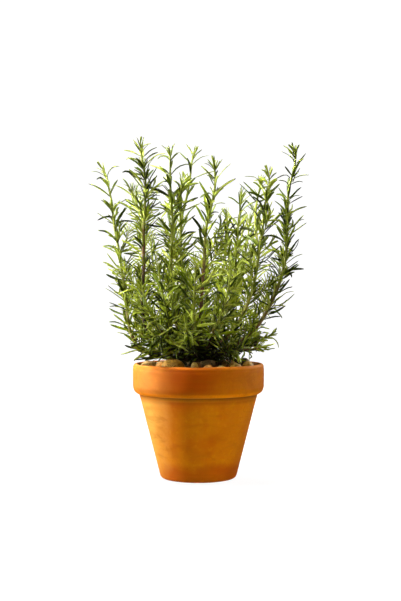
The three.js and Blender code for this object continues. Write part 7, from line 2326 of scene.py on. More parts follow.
        [21,2,312,924,2989,326,986,3015,342,1052,3022],
        [27,5,310,898,2972,309,927,3047,312,941,3127],
        [27,5,307,905,2967,291,964,2991,278,1026,3010],
        [25,10,315,870,2932,347,931,2967,392,994,2976],
        [25,10,306,868,2933,251,912,2990,185,936,3047],
        [28,14,312,843,2902,288,951,2912,265,1052,2871],
        [28,14,318,838,2908,349,884,2986,373,922,3070],
        [28,21,316,785,2863,238,822,2956,145,866,3030],
        [28,21,323,792,2856,343,914,2871,388,1030,2872],
        [20,2,613,615,2807,651,629,2845,697,634,2874],
        [20,2,611,623,2807,642,646,2843,668,671,2882],
        [23,5,593,616,2784,657,636,2800,722,654,2811],
        [23,5,588,613,2790,615,611,2864,616,594,2940],
        [25,8,570,614,2765,634,657,2811,704,698,2850],
        [25,8,571,605,2766,625,573,2807,666,531,2855],
        [26,13,529,606,2737,566,632,2835,601,659,2933],
        [26,13,535,601,2730,611,594,2769,690,564,2787],
        [28,19,484,594,2698,542,554,2784,554,495,2878],
        [28,19,487,604,2694,594,642,2753,700,711,2778],
        [27,27,424,594,2645,536,563,2666,637,510,2694],
        [27,27,417,596,2655,443,583,2776,448,579,2901],
        [24,2,273,450,2641,271,447,2693,271,440,2745],
        [24,2,278,457,2641,295,485,2688,325,510,2730],
        [23,5,279,450,2611,301,433,2665,331,403,2709],
        [23,5,271,455,2611,241,476,2668,194,510,2703],
        [21,9,279,456,2571,312,467,2639,344,479,2708],
        [21,9,270,451,2571,232,414,2633,187,356,2667],
        [23,15,269,463,2511,209,495,2580,164,543,2650],
        [23,15,276,455,2510,303,399,2575,340,341,2634],
        [28,22,270,469,2441,190,378,2494,83,303,2513],
        [28,22,279,477,2443,360,512,2553,457,586,2625],
        [22,2,276,357,2557,276,327,2608,274,283,2648],
        [22,2,280,364,2556,294,359,2616,313,362,2674],
        [22,5,273,360,2526,295,338,2584,331,315,2634],
        [22,5,267,366,2528,245,370,2591,220,375,2652],
        [28,10,267,373,2478,327,363,2548,400,346,2604],
        [28,10,257,371,2479,217,347,2565,171,331,2651],
        [26,15,253,388,2431,225,430,2525,197,484,2613],
        [26,15,257,378,2429,276,294,2476,293,209,2524],
        [26,22,247,399,2362,204,312,2452,125,213,2490],
        [26,22,256,405,2363,330,386,2451,433,371,2501],
        [21,2,473,545,2255,515,583,2294,553,607,2345],
        [21,2,475,549,2248,519,597,2250,559,647,2235],
        [23,5,457,525,2238,515,543,2273,568,559,2314],
        [23,5,451,533,2237,472,593,2261,460,657,2281],
        [26,9,427,508,2215,474,565,2212,513,627,2205],
        [26,9,424,505,2223,471,559,2283,503,620,2345],
        [28,14,395,486,2202,406,592,2224,395,700,2235],
        [28,14,402,478,2202,481,516,2235,571,535,2251],
        [24,20,343,443,2181,414,486,2257,465,543,2339],
        [24,20,347,444,2170,470,501,2159,586,531,2095],
        [28,29,272,397,2145,411,395,2136,544,380,2095],
        [28,29,266,407,2149,301,518,2199,292,628,2263],
        [22,2,267,577,2103,264,605,2149,255,623,2199],
        [22,2,272,580,2097,301,635,2111,340,682,2128],
        [26,5,266,554,2083,304,599,2112,352,640,2128],
        [26,5,257,557,2083,254,609,2116,239,656,2151],
        [27,8,255,534,2063,285,601,2083,322,664,2105],
        [27,8,255,529,2070,284,575,2130,314,596,2203],
        [25,12,237,503,2044,239,588,2072,222,675,2082],
        [25,12,246,499,2045,296,553,2078,350,605,2110],
        [28,17,227,456,2027,261,514,2098,282,556,2184],
        [28,17,224,462,2019,250,565,2032,274,660,1989],
        [28,25,206,389,1989,302,480,2015,424,535,2008],
        [28,25,195,393,1991,107,488,2026,6,569,2060],
        [28,204,33,65,1646,-35,56,1704,-108,32,1751],
        [24,202,58,64,1665,95,38,1749,117,-6,1831],
    ],
    "sprig_back_right": [
        [17,0,708,1004,3425,720,1019,3485,730,1034,3546],
        [17,1,701,996,3416,700,996,3477,690,978,3534],
        [17,2,708,997,3405,735,997,3472,769,988,3534],
        [17,3,699,1000,3395,678,1024,3454,658,1050,3513],
        [21,4,698,996,3386,663,1003,3445,623,1015,3501],
        [21,5,707,996,3375,738,1016,3443,779,1044,3503],
        [21,6,698,996,3365,659,1037,3427,617,1090,3475],
        [21,7,696,992,3356,639,999,3412,578,1012,3462],
        [21,9,705,990,3335,768,1007,3378,833,1014,3420],
        [21,10,705,986,3326,780,983,3370,862,965,3396],
        [28,12,692,979,3308,645,948,3396,586,905,3471],
        [28,12,703,988,3305,722,1018,3398,746,1068,3480],
        [27,19,696,963,3239,759,928,3326,833,893,3404],
        [27,19,686,976,3237,674,1044,3336,657,1131,3418],
        [35,30,684,946,3130,785,1016,3190,895,1066,3255],
        [24,-30,685,952,3145,714,980,3201,759,1006,3246],
        [24,-30,687,942,3149,715,953,3219,759,965,3281],
        [24,-30,686,951,3144,748,1003,3186,808,1069,3206],
        [24,-30,687,942,3149,757,922,3216,830,897,3278],
        [35,30,668,945,3133,557,1022,3222,426,1106,3269],
        [34,43,655,914,3007,669,1013,3099,662,1139,3151],
        [24,-43,661,918,3019,680,964,3047,699,1016,3062],
        [24,-43,652,918,3030,654,946,3086,644,986,3133],
        [35,58,619,852,2874,587,891,3024,505,930,3153],
        [35,58,639,852,2870,739,864,2970,856,831,3044],
        [24,-58,635,869,2879,662,921,2920,702,974,2947],
        [24,-58,644,866,2891,673,887,2933,707,903,2973],
        [24,-58,639,865,2878,676,911,2949,725,966,3003],
        [24,-58,641,855,2888,688,851,2944,735,829,2996],
        [41,70,610,802,2764,691,730,2870,791,659,2959],
        [24,-70,601,807,2777,603,814,2848,603,807,2918],
        [24,-70,618,811,2775,675,807,2832,740,787,2876],
        [24,-70,620,814,2784,644,829,2843,678,823,2899],
        [41,70,598,820,2759,557,951,2832,530,1085,2904],
        [39,85,581,757,2623,674,836,2707,776,925,2767],
        [24,-85,587,762,2637,616,792,2689,659,826,2727],
        [24,-85,585,753,2643,657,737,2717,724,698,2787],
        [24,-85,581,774,2644,609,839,2694,631,917,2724],
        [24,-85,587,755,2640,639,781,2712,689,809,2785],
        [39,85,560,755,2629,508,811,2736,410,861,2808],
        [38,98,539,709,2508,562,870,2510,585,1028,2476],
        [24,-98,541,720,2528,549,798,2586,539,884,2631],
        [24,-98,536,718,2532,520,785,2589,491,842,2653],
        [24,-98,545,715,2519,573,783,2593,590,864,2655],
        [24,-98,544,718,2524,562,817,2549,569,921,2556],
        [38,98,536,687,2520,531,614,2663,487,502,2771],
        [42,112,488,637,2398,388,690,2525,265,698,2643],
        [42,112,512,637,2389,658,700,2404,801,746,2349],
        [24,-112,518,642,2403,565,661,2427,613,682,2447],
        [24,-112,513,653,2402,554,706,2437,606,750,2471],
        [24,-112,521,642,2414,598,657,2468,684,673,2508],
        [30,127,467,559,2281,570,569,2421,698,563,2539],
        [30,127,459,581,2271,506,722,2323,569,863,2348],
        [24,-127,459,594,2295,456,662,2328,448,735,2344],
        [24,-127,450,583,2289,437,651,2362,403,731,2412],
        [24,-127,465,594,2291,477,647,2308,496,700,2317],
        [24,-127,471,590,2286,518,665,2331,571,736,2376],
        [32,139,426,509,2166,559,575,2162,700,623,2160],
        [24,-139,433,513,2178,493,552,2219,556,589,2259],
        [24,-139,434,506,2190,485,510,2232,544,512,2264],
        [24,-139,438,513,2190,505,542,2243,578,565,2291],
        [32,139,401,510,2177,337,611,2303,273,695,2441],
        [24,-139,413,507,2199,402,504,2280,388,492,2360],
        [24,-139,410,515,2201,407,539,2262,404,561,2324],
        [29,151,368,455,2074,413,589,2107,432,732,2084],
        [24,-151,380,467,2091,417,541,2120,456,618,2139],
        [24,-151,372,466,2088,391,524,2128,393,592,2154],
        [24,-151,366,464,2089,355,555,2113,339,644,2141],
        [29,151,370,430,2091,428,409,2219,490,381,2344],
        [24,-151,383,440,2104,433,458,2188,476,459,2278],
        [24,-151,371,443,2110,378,441,2171,380,423,2230],
        [24,-151,390,445,2100,446,456,2146,507,459,2186],
        [33,164,301,374,1994,251,443,2121,137,489,2212],
        [24,-164,307,377,2006,317,419,2084,304,462,2161],
        [24,-164,309,391,2008,321,427,2054,324,469,2097],
        [24,-164,317,375,2014,321,383,2118,309,392,2221],
        [33,164,328,374,1979,460,442,2020,610,476,2006],
        [24,-164,329,391,1988,374,445,2035,422,498,2079],
        [24,-164,336,378,1991,409,401,2006,484,422,1995],
        [24,-164,336,374,2003,367,395,2045,399,406,2090],
        [24,-164,336,385,1992,407,430,2017,485,470,2021],
        [31,175,267,301,1915,294,294,2063,291,298,2214],
        [31,175,261,327,1901,246,457,1953,179,581,1962],
        [24,-175,280,332,1903,323,408,1920,356,490,1928],
        [24,-175,266,337,1924,284,398,1987,293,472,2037],
        [24,-175,277,342,1915,300,386,1955,321,438,1984],
        [31,184,249,258,1836,361,288,1916,474,301,2000],
        [31,184,220,263,1847,190,319,1984,132,382,2108],
        [24,-184,225,276,1859,226,324,1933,218,381,2000],
        [24,-184,227,285,1846,238,362,1912,246,441,1976],
        [38,196,191,219,1746,235,388,1751,226,557,1709],
        [24,-196,185,229,1767,170,314,1811,132,397,1843],
        [24,-196,184,228,1773,188,275,1825,170,320,1876],
        [24,-196,195,227,1756,227,312,1788,258,399,1814],
        [24,-196,189,232,1766,199,285,1804,196,344,1833],
        [38,196,201,193,1760,312,227,1880,460,214,1954],
        [25,2,727,730,2996,742,714,3045,755,701,3096],
        [25,2,734,735,2995,760,728,3039,801,733,3070],
        [24,5,722,736,2967,758,702,3014,802,676,3059],
        [24,5,718,744,2971,728,763,3047,740,789,3120],
        [26,9,709,751,2932,781,733,2967,859,724,2992],
        [26,9,700,750,2937,703,725,3008,709,694,3076],
        [28,14,682,772,2896,727,788,2990,777,828,3074],
        [28,14,686,764,2890,770,699,2931,867,641,2941],
        [27,19,649,789,2851,643,748,2965,622,734,3083],
        [27,19,657,795,2849,748,834,2922,853,865,2979],
        [24,2,698,666,2813,704,656,2877,712,649,2942],
        [24,2,704,671,2810,735,676,2858,777,695,2892],
        [26,5,688,664,2785,720,633,2849,751,590,2906],
        [26,5,689,673,2784,717,699,2835,735,735,2883],
        [22,9,675,671,2747,754,669,2792,839,685,2817],
        [22,9,666,670,2751,661,654,2832,626,629,2902],
        [28,15,642,683,2698,672,745,2785,683,825,2860],
        [28,15,644,673,2695,695,638,2757,756,601,2809],
        [26,20,612,688,2658,578,673,2782,530,651,2901],
        [26,20,622,685,2651,722,640,2730,841,581,2757],
        [24,2,594,628,2657,607,610,2705,617,573,2742],
        [24,2,596,636,2656,610,634,2705,638,642,2748],
        [24,5,590,633,2627,623,635,2684,666,625,2734],
        [24,5,581,631,2630,572,632,2695,541,644,2752],
        [23,9,572,637,2592,588,680,2658,598,747,2700],
        [23,9,575,627,2590,616,591,2658,673,542,2701],
        [24,14,551,638,2548,521,639,2630,496,643,2714],
        [24,14,561,635,2543,645,592,2589,734,559,2632],
        [21,2,411,749,2566,425,762,2629,449,759,2690],
        [21,2,409,755,2562,413,800,2603,417,859,2619],
        [23,5,412,734,2540,441,765,2600,491,793,2647],
        [23,5,403,736,2539,375,781,2599,333,821,2655],
        [21,10,408,711,2495,418,797,2521,420,887,2513],
        [21,10,408,704,2500,427,702,2589,460,682,2672],
        [23,14,403,684,2465,344,705,2541,280,717,2615],
        [23,14,413,685,2464,442,733,2556,478,764,2652],
        [24,20,417,649,2416,438,671,2542,474,687,2666],
        [24,20,412,657,2410,384,756,2486,366,880,2511],
        [27,29,436,604,2341,456,645,2456,513,668,2564],
        [27,29,425,604,2337,320,616,2390,208,595,2419],
        [26,2,259,688,2387,225,716,2427,192,741,2469],
        [26,2,267,691,2388,264,727,2429,259,765,2466],
        [21,5,273,662,2360,262,685,2430,261,696,2503],
        [21,5,273,670,2355,257,728,2377,232,786,2383],
        [26,9,285,651,2335,290,704,2394,304,749,2458],
        [26,9,276,646,2335,214,665,2400,135,652,2444],
        [24,15,297,617,2287,232,715,2283,169,813,2270],
        [24,15,301,610,2294,294,613,2390,311,582,2480],
        [28,21,322,570,2242,208,577,2314,90,532,2359],
        [28,21,332,576,2243,366,674,2319,402,782,2380],
        [28,28,362,531,2201,342,578,2322,339,616,2447],
        [28,28,359,538,2192,311,639,2202,262,737,2182],
        [21,2,552,312,2174,571,300,2230,597,278,2280],
        [21,2,557,315,2168,606,324,2198,659,333,2221],
        [21,5,536,306,2149,585,285,2205,622,253,2265],
        [21,5,532,313,2151,558,332,2204,557,362,2258],
        [25,10,506,303,2108,598,298,2122,690,296,2129],
        [25,10,499,303,2115,500,306,2203,489,319,2290],
        [27,15,468,306,2075,526,337,2138,569,388,2199],
        [27,15,471,296,2073,559,256,2103,643,207,2129],
        [28,22,415,299,2031,435,303,2143,421,292,2256],
        [28,22,421,303,2024,528,388,2039,595,504,2014],
        [27,29,366,295,1981,436,202,2052,466,93,2129],
        [27,29,367,307,1981,418,390,2019,445,485,2056],
        [25,208,131,125,1672,118,108,1740,84,87,1798],
        [30,208,149,140,1651,214,184,1652,283,210,1624],
        [26,206,159,136,1676,247,92,1691,337,50,1680],
        [30,214,104,93,1631,86,67,1715,43,44,1791],
        [26,222,84,52,1560,193,75,1591,307,96,1581],
        [23,218,102,69,1592,172,12,1597,243,-43,1592],
        [30,222,81,47,1565,132,3,1576,168,-54,1586],
    ],
    "sprig_low_right": [
        [22,13,873,199,1805,927,185,1830,975,162,1876,1027,133,1941],
        [26,21,796,196,1778,804,225,1879,876,245,1881,943,261,1866],
        [21,7,930,210,1824,995,193,1798,1038,174,1746,1053,157,1678],
        [17,0,976,219,1878,1006,224,1914,1034,231,1951],
        [17,1,973,212,1867,1005,209,1900,1034,195,1932],
        [17,2,965,211,1861,1001,192,1900,1031,168,1941],
        [17,3,957,219,1854,985,240,1895,1016,262,1933],
        [21,4,952,219,1845,993,247,1874,1033,280,1899],
        [21,5,945,210,1838,996,187,1859,1044,154,1872],
        [21,6,936,217,1832,992,265,1841,1044,316,1846],
        [28,12,880,200,1813,954,184,1864,1013,158,1929],
        [28,12,882,212,1806,958,280,1806,999,374,1796],
        [33,24,773,198,1757,855,264,1775,926,345,1769],
        [33,24,774,182,1760,868,115,1823,905,9,1892],
        [32,34,677,176,1734,763,213,1814,811,257,1917],
        [24,-34,691,180,1738,762,207,1775,824,251,1811],
        [24,-34,698,172,1740,762,169,1782,820,154,1830],
        [24,-34,688,179,1738,719,206,1788,730,244,1839],
        [32,34,682,172,1718,792,179,1710,892,158,1670],
        [32,45,577,143,1700,698,108,1721,814,53,1726],
        [32,45,575,160,1694,649,252,1650,706,354,1601],
        [32,54,492,125,1674,605,103,1648,717,96,1609],
        [32,54,486,139,1688,547,200,1749,601,269,1810],
        [32,67,378,116,1639,464,177,1622,553,227,1590],
        [32,67,377,97,1651,430,19,1714,446,-76,1773],
        [26,2,798,300,1690,843,340,1678,896,369,1664],
        [26,2,793,305,1685,822,346,1662,839,386,1629],
        [20,5,771,283,1687,826,316,1660,880,330,1617],
        [20,5,769,288,1695,808,350,1701,822,421,1710],
        [24,8,745,268,1692,760,335,1645,773,408,1609],
        [24,8,752,262,1698,824,296,1692,899,322,1684],
        [26,12,719,240,1708,774,314,1728,820,388,1765],
        [23,2,744,389,1801,776,423,1843,801,460,1887],
        [23,2,746,390,1793,799,431,1797,845,479,1803],
        [23,5,724,368,1790,783,375,1807,841,360,1825],
        [23,5,719,375,1792,758,427,1828,800,474,1868],
        [22,9,691,350,1774,758,410,1772,816,479,1769],
        [22,9,692,345,1781,763,367,1821,834,354,1864],
        [25,14,650,321,1766,684,408,1810,710,492,1864],
        [25,14,657,314,1763,769,325,1768,879,323,1748],
        [28,20,613,274,1750,678,295,1830,726,323,1918],
        [28,20,612,280,1741,664,394,1683,699,517,1632],
        [28,28,566,216,1720,666,246,1752,766,245,1797],
        [28,28,557,224,1718,537,347,1704,508,459,1658],
        [23,2,531,291,1741,568,315,1780,593,344,1825],
        [23,2,535,292,1734,584,322,1751,633,357,1755],
        [26,5,512,274,1724,566,266,1760,616,251,1800],
        [26,5,507,282,1724,531,341,1765,555,393,1816],
        [23,10,478,252,1696,546,276,1688,612,304,1680],
        [23,10,471,254,1703,494,303,1765,493,347,1834],
        [28,14,443,233,1685,444,305,1733,428,366,1794],
        [28,14,450,225,1684,537,206,1730,624,177,1771],
        [25,19,403,193,1665,420,272,1754,403,356,1838],
        [25,19,409,193,1655,502,263,1653,601,315,1620],
        [28,74,310,93,1603,380,73,1555,428,51,1485],
        [30,74,308,86,1610,372,66,1632,431,30,1646],
        [30,74,307,86,1610,328,-15,1595,312,-117,1583],
        [30,68,363,101,1629,396,78,1566,419,70,1495],
        [29,84,214,74,1578,237,43,1644,242,-3,1705],
        [29,68,362,107,1629,435,134,1600,507,176,1595],
        [28,64,392,107,1663,368,77,1737,359,43,1813],
        [23,96,111,30,1537,116,-9,1595,104,-41,1655],
        [30,76,292,89,1595,353,65,1571,402,26,1541],
        [29,62,417,115,1651,486,127,1621,561,126,1606],
        [25,66,381,108,1636,447,114,1611,509,105,1576],
        [28,78,274,84,1587,362,70,1598,445,38,1583],
        [26,46,568,143,1694,608,80,1667,652,15,1655],
        [28,50,530,133,1687,568,37,1670,616,-56,1667],
        [23,80,250,79,1591,293,-3,1658,337,-100,1702],
        [24,66,381,109,1636,463,126,1632,543,149,1623],
        [23,56,470,120,1683,513,45,1772,580,-20,1853],
    ],
    "sprig_low_right_front": [
        [24,3,748,-470,1713,829,-487,1736,901,-507,1749,965,-517,1773],
        [24,3,752,-464,1705,815,-445,1685,895,-426,1695,975,-406,1706],
        [25,17,621,-419,1681,655,-443,1630,675,-456,1601,638,-470,1574],
        [28,23,565,-396,1676,584,-430,1640,538,-489,1575],
        [25,33,484,-339,1668,499,-304,1637,501,-247,1578],
        [17,0,780,-468,1717,833,-475,1724,886,-477,1723],
        [17,1,770,-471,1713,819,-488,1716,868,-507,1711],
        [17,2,758,-466,1719,805,-476,1750,844,-484,1791],
        [17,3,748,-465,1716,789,-482,1754,822,-497,1799],
        [21,4,739,-463,1714,782,-481,1758,807,-503,1813],
        [21,5,730,-459,1711,764,-469,1756,799,-482,1800],
        [21,6,724,-454,1699,777,-448,1680,828,-446,1656],
        [24,12,663,-444,1698,721,-509,1720,742,-593,1746],
        [24,12,669,-431,1691,749,-426,1680,828,-415,1670],
        [26,18,610,-416,1696,666,-470,1781,671,-529,1880],
        [25,25,553,-376,1681,666,-315,1671,774,-246,1683],
        [25,25,545,-392,1681,573,-499,1670,580,-607,1641],
        [32,35,460,-335,1681,558,-389,1737,639,-406,1830],
        [24,-35,488,-340,1680,569,-321,1729,638,-294,1791],
        [24,-35,473,-338,1683,538,-360,1738,594,-358,1806],
        [32,35,460,-341,1663,509,-435,1603,539,-523,1526],
        [32,45,374,-292,1650,386,-405,1642,378,-514,1610],
        [24,-45,387,-300,1650,411,-353,1641,429,-404,1618],
        [24,-45,393,-302,1665,417,-344,1692,431,-390,1720],
        [24,-45,397,-305,1650,438,-369,1638,482,-430,1618],
        [32,45,386,-274,1649,519,-283,1657,652,-273,1664],
        [32,53,322,-236,1622,432,-266,1559,537,-303,1493],
        [32,53,310,-241,1642,372,-315,1707,402,-402,1778],
        [24,-53,338,-242,1645,400,-230,1694,456,-216,1748],
        [24,-53,321,-249,1647,366,-290,1684,404,-322,1736],
        [24,-53,322,-247,1648,348,-281,1703,374,-316,1757],
        [23,2,698,-313,1884,746,-320,1920,774,-333,1971],
        [23,2,702,-310,1877,757,-308,1902,813,-286,1908],
        [25,4,683,-315,1869,723,-356,1898,755,-408,1915],
        [25,4,683,-306,1870,728,-277,1913,769,-244,1958],
        [27,7,661,-305,1849,724,-296,1874,787,-272,1885],
        [27,7,656,-309,1856,700,-316,1919,718,-315,1994],
        [24,12,626,-301,1828,685,-277,1874,733,-230,1914],
        [24,12,627,-311,1827,687,-359,1847,752,-402,1862],
        [28,18,567,-304,1788,640,-291,1890,684,-287,2008],
        [28,18,575,-307,1780,680,-306,1806,789,-306,1803],
        [27,24,525,-317,1746,600,-368,1849,652,-431,1960],
        [27,24,524,-305,1746,530,-204,1811,524,-114,1890],
        [26,2,416,-557,1813,435,-613,1833,449,-672,1823],
        [26,2,419,-552,1820,445,-602,1857,478,-650,1892],
        [26,5,411,-531,1798,453,-583,1802,496,-634,1792],
        [26,5,404,-530,1804,406,-585,1852,387,-636,1900],
        [26,8,401,-503,1789,441,-540,1836,492,-564,1881],
        [26,8,397,-509,1782,420,-583,1802,446,-656,1784],
        [23,13,381,-464,1762,337,-536,1831,264,-565,1906],
        [23,13,389,-466,1757,431,-562,1779,484,-654,1765],
        [24,19,370,-415,1728,308,-505,1739,236,-584,1715],
        [24,19,379,-410,1732,430,-491,1819,472,-551,1925],
        [28,26,372,-354,1690,441,-469,1675,514,-571,1628],
        [28,26,364,-350,1698,309,-385,1804,259,-369,1916],
        [27,71,193,-126,1565,275,-111,1556,346,-91,1515],
        [29,56,294,-226,1613,335,-291,1544,400,-355,1495],
        [24,35,463,-337,1661,486,-356,1594,518,-375,1532],
        [25,14,648,-433,1686,640,-463,1615,640,-495,1544],
        [25,68,214,-147,1572,257,-141,1546,298,-133,1518],
        [25,62,257,-182,1594,361,-187,1556,473,-188,1560],
        [28,44,389,-289,1644,434,-318,1582,501,-345,1542],
        [27,41,415,-302,1651,501,-317,1572,613,-329,1537],
        [26,32,485,-353,1683,515,-399,1737,530,-454,1787],
        [29,44,382,-294,1661,398,-356,1703,401,-426,1734],
        [30,70,184,-149,1574,213,-225,1604,234,-304,1634],
        [28,52,320,-252,1629,342,-346,1608,352,-440,1579],
        [29,74,155,-126,1557,186,-204,1579,188,-289,1600],
        [25,14,645,-435,1696,683,-529,1743,688,-634,1782],
        [25,36,450,-333,1678,452,-389,1783,447,-428,1896],
        [26,36,452,-335,1661,447,-378,1599,444,-410,1531],
        [25,30,500,-368,1680,523,-477,1712,525,-589,1740],
        [27,76,155,-101,1542,218,-131,1543,282,-145,1518],
        [26,34,467,-345,1679,443,-417,1766,391,-487,1841],
        [30,66,215,-172,1582,248,-261,1582,258,-346,1540],
        [28,40,419,-314,1653,405,-358,1579,400,-422,1520],
        [26,68,199,-155,1589,165,-197,1658,105,-229,1713],
        [29,74,155,-119,1569,154,-155,1625,129,-176,1684],
        [28,32,486,-355,1667,495,-412,1592,507,-476,1522],
        [27,56,286,-230,1624,296,-344,1671,320,-441,1744],
        [22,50,333,-261,1646,278,-306,1695,229,-354,1747],
        [25,30,501,-367,1682,552,-469,1728,554,-581,1778],
        [28,76,140,-108,1562,76,-138,1631,17,-191,1689],
        [25,50,334,-264,1637,328,-364,1624,321,-464,1640],
        [24,22,572,-405,1683,549,-476,1671,541,-549,1656],
        [24,56,287,-224,1631,316,-286,1704,347,-343,1780],
        [28,12,664,-441,1701,634,-486,1764,615,-541,1823],
        [23,34,466,-346,1678,518,-439,1739,563,-525,1814],
        [24,66,213,-172,1587,233,-276,1629,219,-374,1686],
        [22,50,333,-264,1641,294,-341,1650,239,-408,1647],
        [27,48,353,-265,1656,386,-294,1746,417,-351,1822],
        [23,40,415,-318,1661,379,-395,1661,341,-470,1677],
        [30,34,466,-348,1674,448,-421,1694,418,-492,1708],
        [22,32,484,-354,1683,486,-397,1739,494,-453,1782],
        [28,36,453,-329,1679,471,-339,1742,492,-363,1801],
        [30,38,435,-320,1675,446,-336,1758,428,-347,1841],
        [31,24,555,-392,1690,573,-466,1778,602,-530,1870],
        [22,46,372,-281,1640,419,-325,1602,478,-357,1567],
        [26,62,242,-195,1603,268,-272,1637,273,-347,1681],
        [25,52,318,-253,1635,265,-343,1632,200,-421,1609],
        [24,52,317,-251,1639,270,-312,1670,198,-349,1689],
        [28,34,466,-349,1671,486,-452,1670,502,-556,1665],
        [28,24,554,-396,1683,536,-486,1686,539,-578,1691],
        [23,48,350,-271,1653,343,-357,1743,356,-447,1829],
        [31,4,739,-468,1711,740,-535,1744,750,-596,1785],
        [28,12,663,-444,1697,634,-535,1717,578,-614,1729],
        [30,84,82,-60,1536,57,-84,1596,27,-121,1647],
    ],
    "sprig_front_centre": [
        [17,0,-35,-1138,2725,-36,-1154,2777,-43,-1164,2831],
        [17,1,-26,-1133,2716,-11,-1141,2768,3,-1141,2821],
        [17,2,-36,-1133,2705,-54,-1153,2756,-77,-1168,2806],
        [17,3,-27,-1131,2695,-1,-1154,2738,24,-1175,2782],
        [21,4,-36,-1129,2686,-62,-1162,2730,-96,-1190,2772],
        [21,5,-28,-1125,2676,3,-1161,2721,40,-1202,2758],
        [21,6,-38,-1117,2669,-79,-1121,2727,-128,-1116,2777],
        [24,12,-37,-1104,2609,-40,-1176,2643,-51,-1255,2651],
        [24,12,-35,-1090,2615,-28,-1110,2690,-9,-1110,2765],
        [30,18,-32,-1074,2556,13,-1139,2608,81,-1192,2648],
        [30,18,-45,-1065,2562,-89,-1064,2650,-138,-1040,2732],
        [25,24,-41,-1024,2505,-29,-984,2629,-10,-920,2741],
        [25,24,-42,-1039,2495,-46,-1145,2510,-71,-1249,2502],
        [30,34,-55,-975,2431,-146,-1030,2547,-228,-1066,2676],
        [24,-34,-52,-982,2447,-84,-989,2507,-123,-994,2564],
        [24,-34,-53,-989,2453,-89,-1029,2538,-149,-1065,2611],
        [30,34,-38,-981,2425,59,-1080,2436,138,-1195,2437],
        [24,-34,-35,-987,2442,31,-1028,2501,97,-1065,2562],
        [24,-34,-36,-992,2442,1,-1055,2499,51,-1119,2545],
        [24,-34,-37,-981,2443,-11,-1020,2519,27,-1051,2593],
        [30,42,-55,-932,2362,-119,-1065,2351,-174,-1196,2311],
        [30,42,-52,-918,2374,-73,-879,2537,-87,-773,2669],
        [36,52,-42,-858,2294,70,-903,2374,193,-918,2447],
        [24,-52,-42,-877,2305,8,-938,2338,73,-992,2349],
        [24,-52,-40,-876,2311,-1,-940,2380,60,-998,2437],
        [24,-52,-41,-867,2304,25,-899,2349,89,-941,2389],
        [24,-52,-46,-878,2299,-26,-941,2314,-16,-1006,2329],
        [36,52,-62,-856,2296,-156,-878,2394,-240,-886,2502],
        [24,-52,-63,-876,2307,-97,-914,2336,-136,-952,2358],
        [24,-52,-57,-864,2313,-74,-867,2369,-104,-864,2419],
        [24,-52,-62,-867,2308,-102,-885,2359,-147,-897,2406],
        [30,63,-53,-776,2221,-46,-830,2364,-8,-815,2511],
        [24,-63,-42,-792,2228,0,-827,2285,58,-857,2328],
        [24,-63,-58,-786,2231,-75,-821,2320,-94,-824,2416],
        [30,63,-56,-792,2205,-80,-955,2171,-76,-1091,2073],
        [32,75,-63,-697,2129,-125,-794,2225,-230,-858,2309],
        [24,-75,-63,-702,2142,-96,-762,2217,-155,-807,2285],
        [24,-75,-64,-720,2142,-90,-786,2188,-124,-853,2228],
        [24,-75,-60,-704,2150,-98,-736,2234,-154,-769,2308],
        [24,-75,-58,-708,2155,-76,-762,2234,-112,-813,2310],
        [32,75,-39,-697,2130,74,-766,2201,212,-813,2239],
        [24,-75,-41,-702,2145,-24,-727,2193,-1,-743,2242],
        [24,-75,-40,-717,2139,-23,-781,2189,20,-839,2228],
        [24,-75,-41,-719,2139,6,-804,2168,59,-883,2202],
        [33,86,-54,-623,2047,-125,-741,2023,-218,-827,1965],
        [33,86,-38,-611,2062,34,-652,2194,139,-649,2309],
        [24,-86,-40,-628,2081,-32,-655,2132,-24,-671,2188],
        [24,-86,-48,-620,2077,-48,-645,2137,-40,-657,2201],
        [38,96,-29,-546,1985,79,-638,2009,211,-694,2025],
        [38,96,-50,-534,1996,-119,-553,2130,-186,-502,2257],
        [24,-96,-57,-551,2000,-92,-600,2045,-126,-656,2082],
        [24,-96,-57,-559,2001,-105,-600,2027,-156,-639,2050],
        [24,-96,-54,-545,2004,-97,-578,2081,-142,-591,2163],
        [35,105,-24,-470,1937,25,-537,2063,90,-568,2196],
        [24,-105,-22,-482,1942,0,-517,1986,28,-543,2034],
        [24,-105,-36,-478,1953,-40,-501,2013,-43,-514,2076],
        [35,105,-46,-479,1922,-141,-599,1935,-244,-709,1908],
        [24,-105,-31,-502,1934,-15,-581,1935,7,-658,1925],
        [24,-105,-29,-497,1932,-26,-578,1973,-26,-667,1995],
        [31,115,-40,-401,1860,-186,-482,1875,-336,-553,1899],
        [31,115,-13,-404,1861,95,-539,1889,189,-687,1887],
        [24,-115,-14,-411,1884,13,-442,1926,53,-468,1961],
        [24,-115,-16,-423,1872,-4,-482,1897,3,-544,1913],
        [24,-115,-13,-419,1876,25,-469,1904,71,-516,1923],
        [24,-115,-17,-410,1889,-4,-458,1951,36,-492,2011],
        [33,126,-27,-313,1779,-131,-440,1786,-213,-581,1784],
        [24,-126,-9,-334,1790,14,-416,1794,52,-492,1801],
        [24,-126,-31,-323,1792,-87,-390,1817,-149,-456,1825],
        [24,-126,-24,-330,1787,-54,-411,1787,-73,-496,1788],
        [33,126,-14,-298,1799,-10,-290,1944,23,-249,2079],
        [34,139,9,-225,1702,112,-362,1680,216,-499,1668],
        [24,-139,12,-234,1726,20,-275,1763,38,-311,1802],
        [24,-139,6,-236,1708,35,-313,1712,54,-393,1708],
        [24,-139,0,-245,1712,15,-339,1718,41,-430,1716],
        [24,-139,12,-235,1718,41,-284,1747,68,-332,1779],
        [34,139,-15,-209,1717,-117,-196,1818,-233,-177,1901],
        [24,-139,-22,-230,1725,-63,-269,1762,-103,-315,1791],
        [24,-139,-21,-226,1715,-45,-281,1759,-66,-339,1802],
        [24,-139,-17,-224,1731,-47,-257,1788,-86,-287,1842],
        [24,-139,-20,-222,1722,-58,-249,1759,-104,-275,1787],
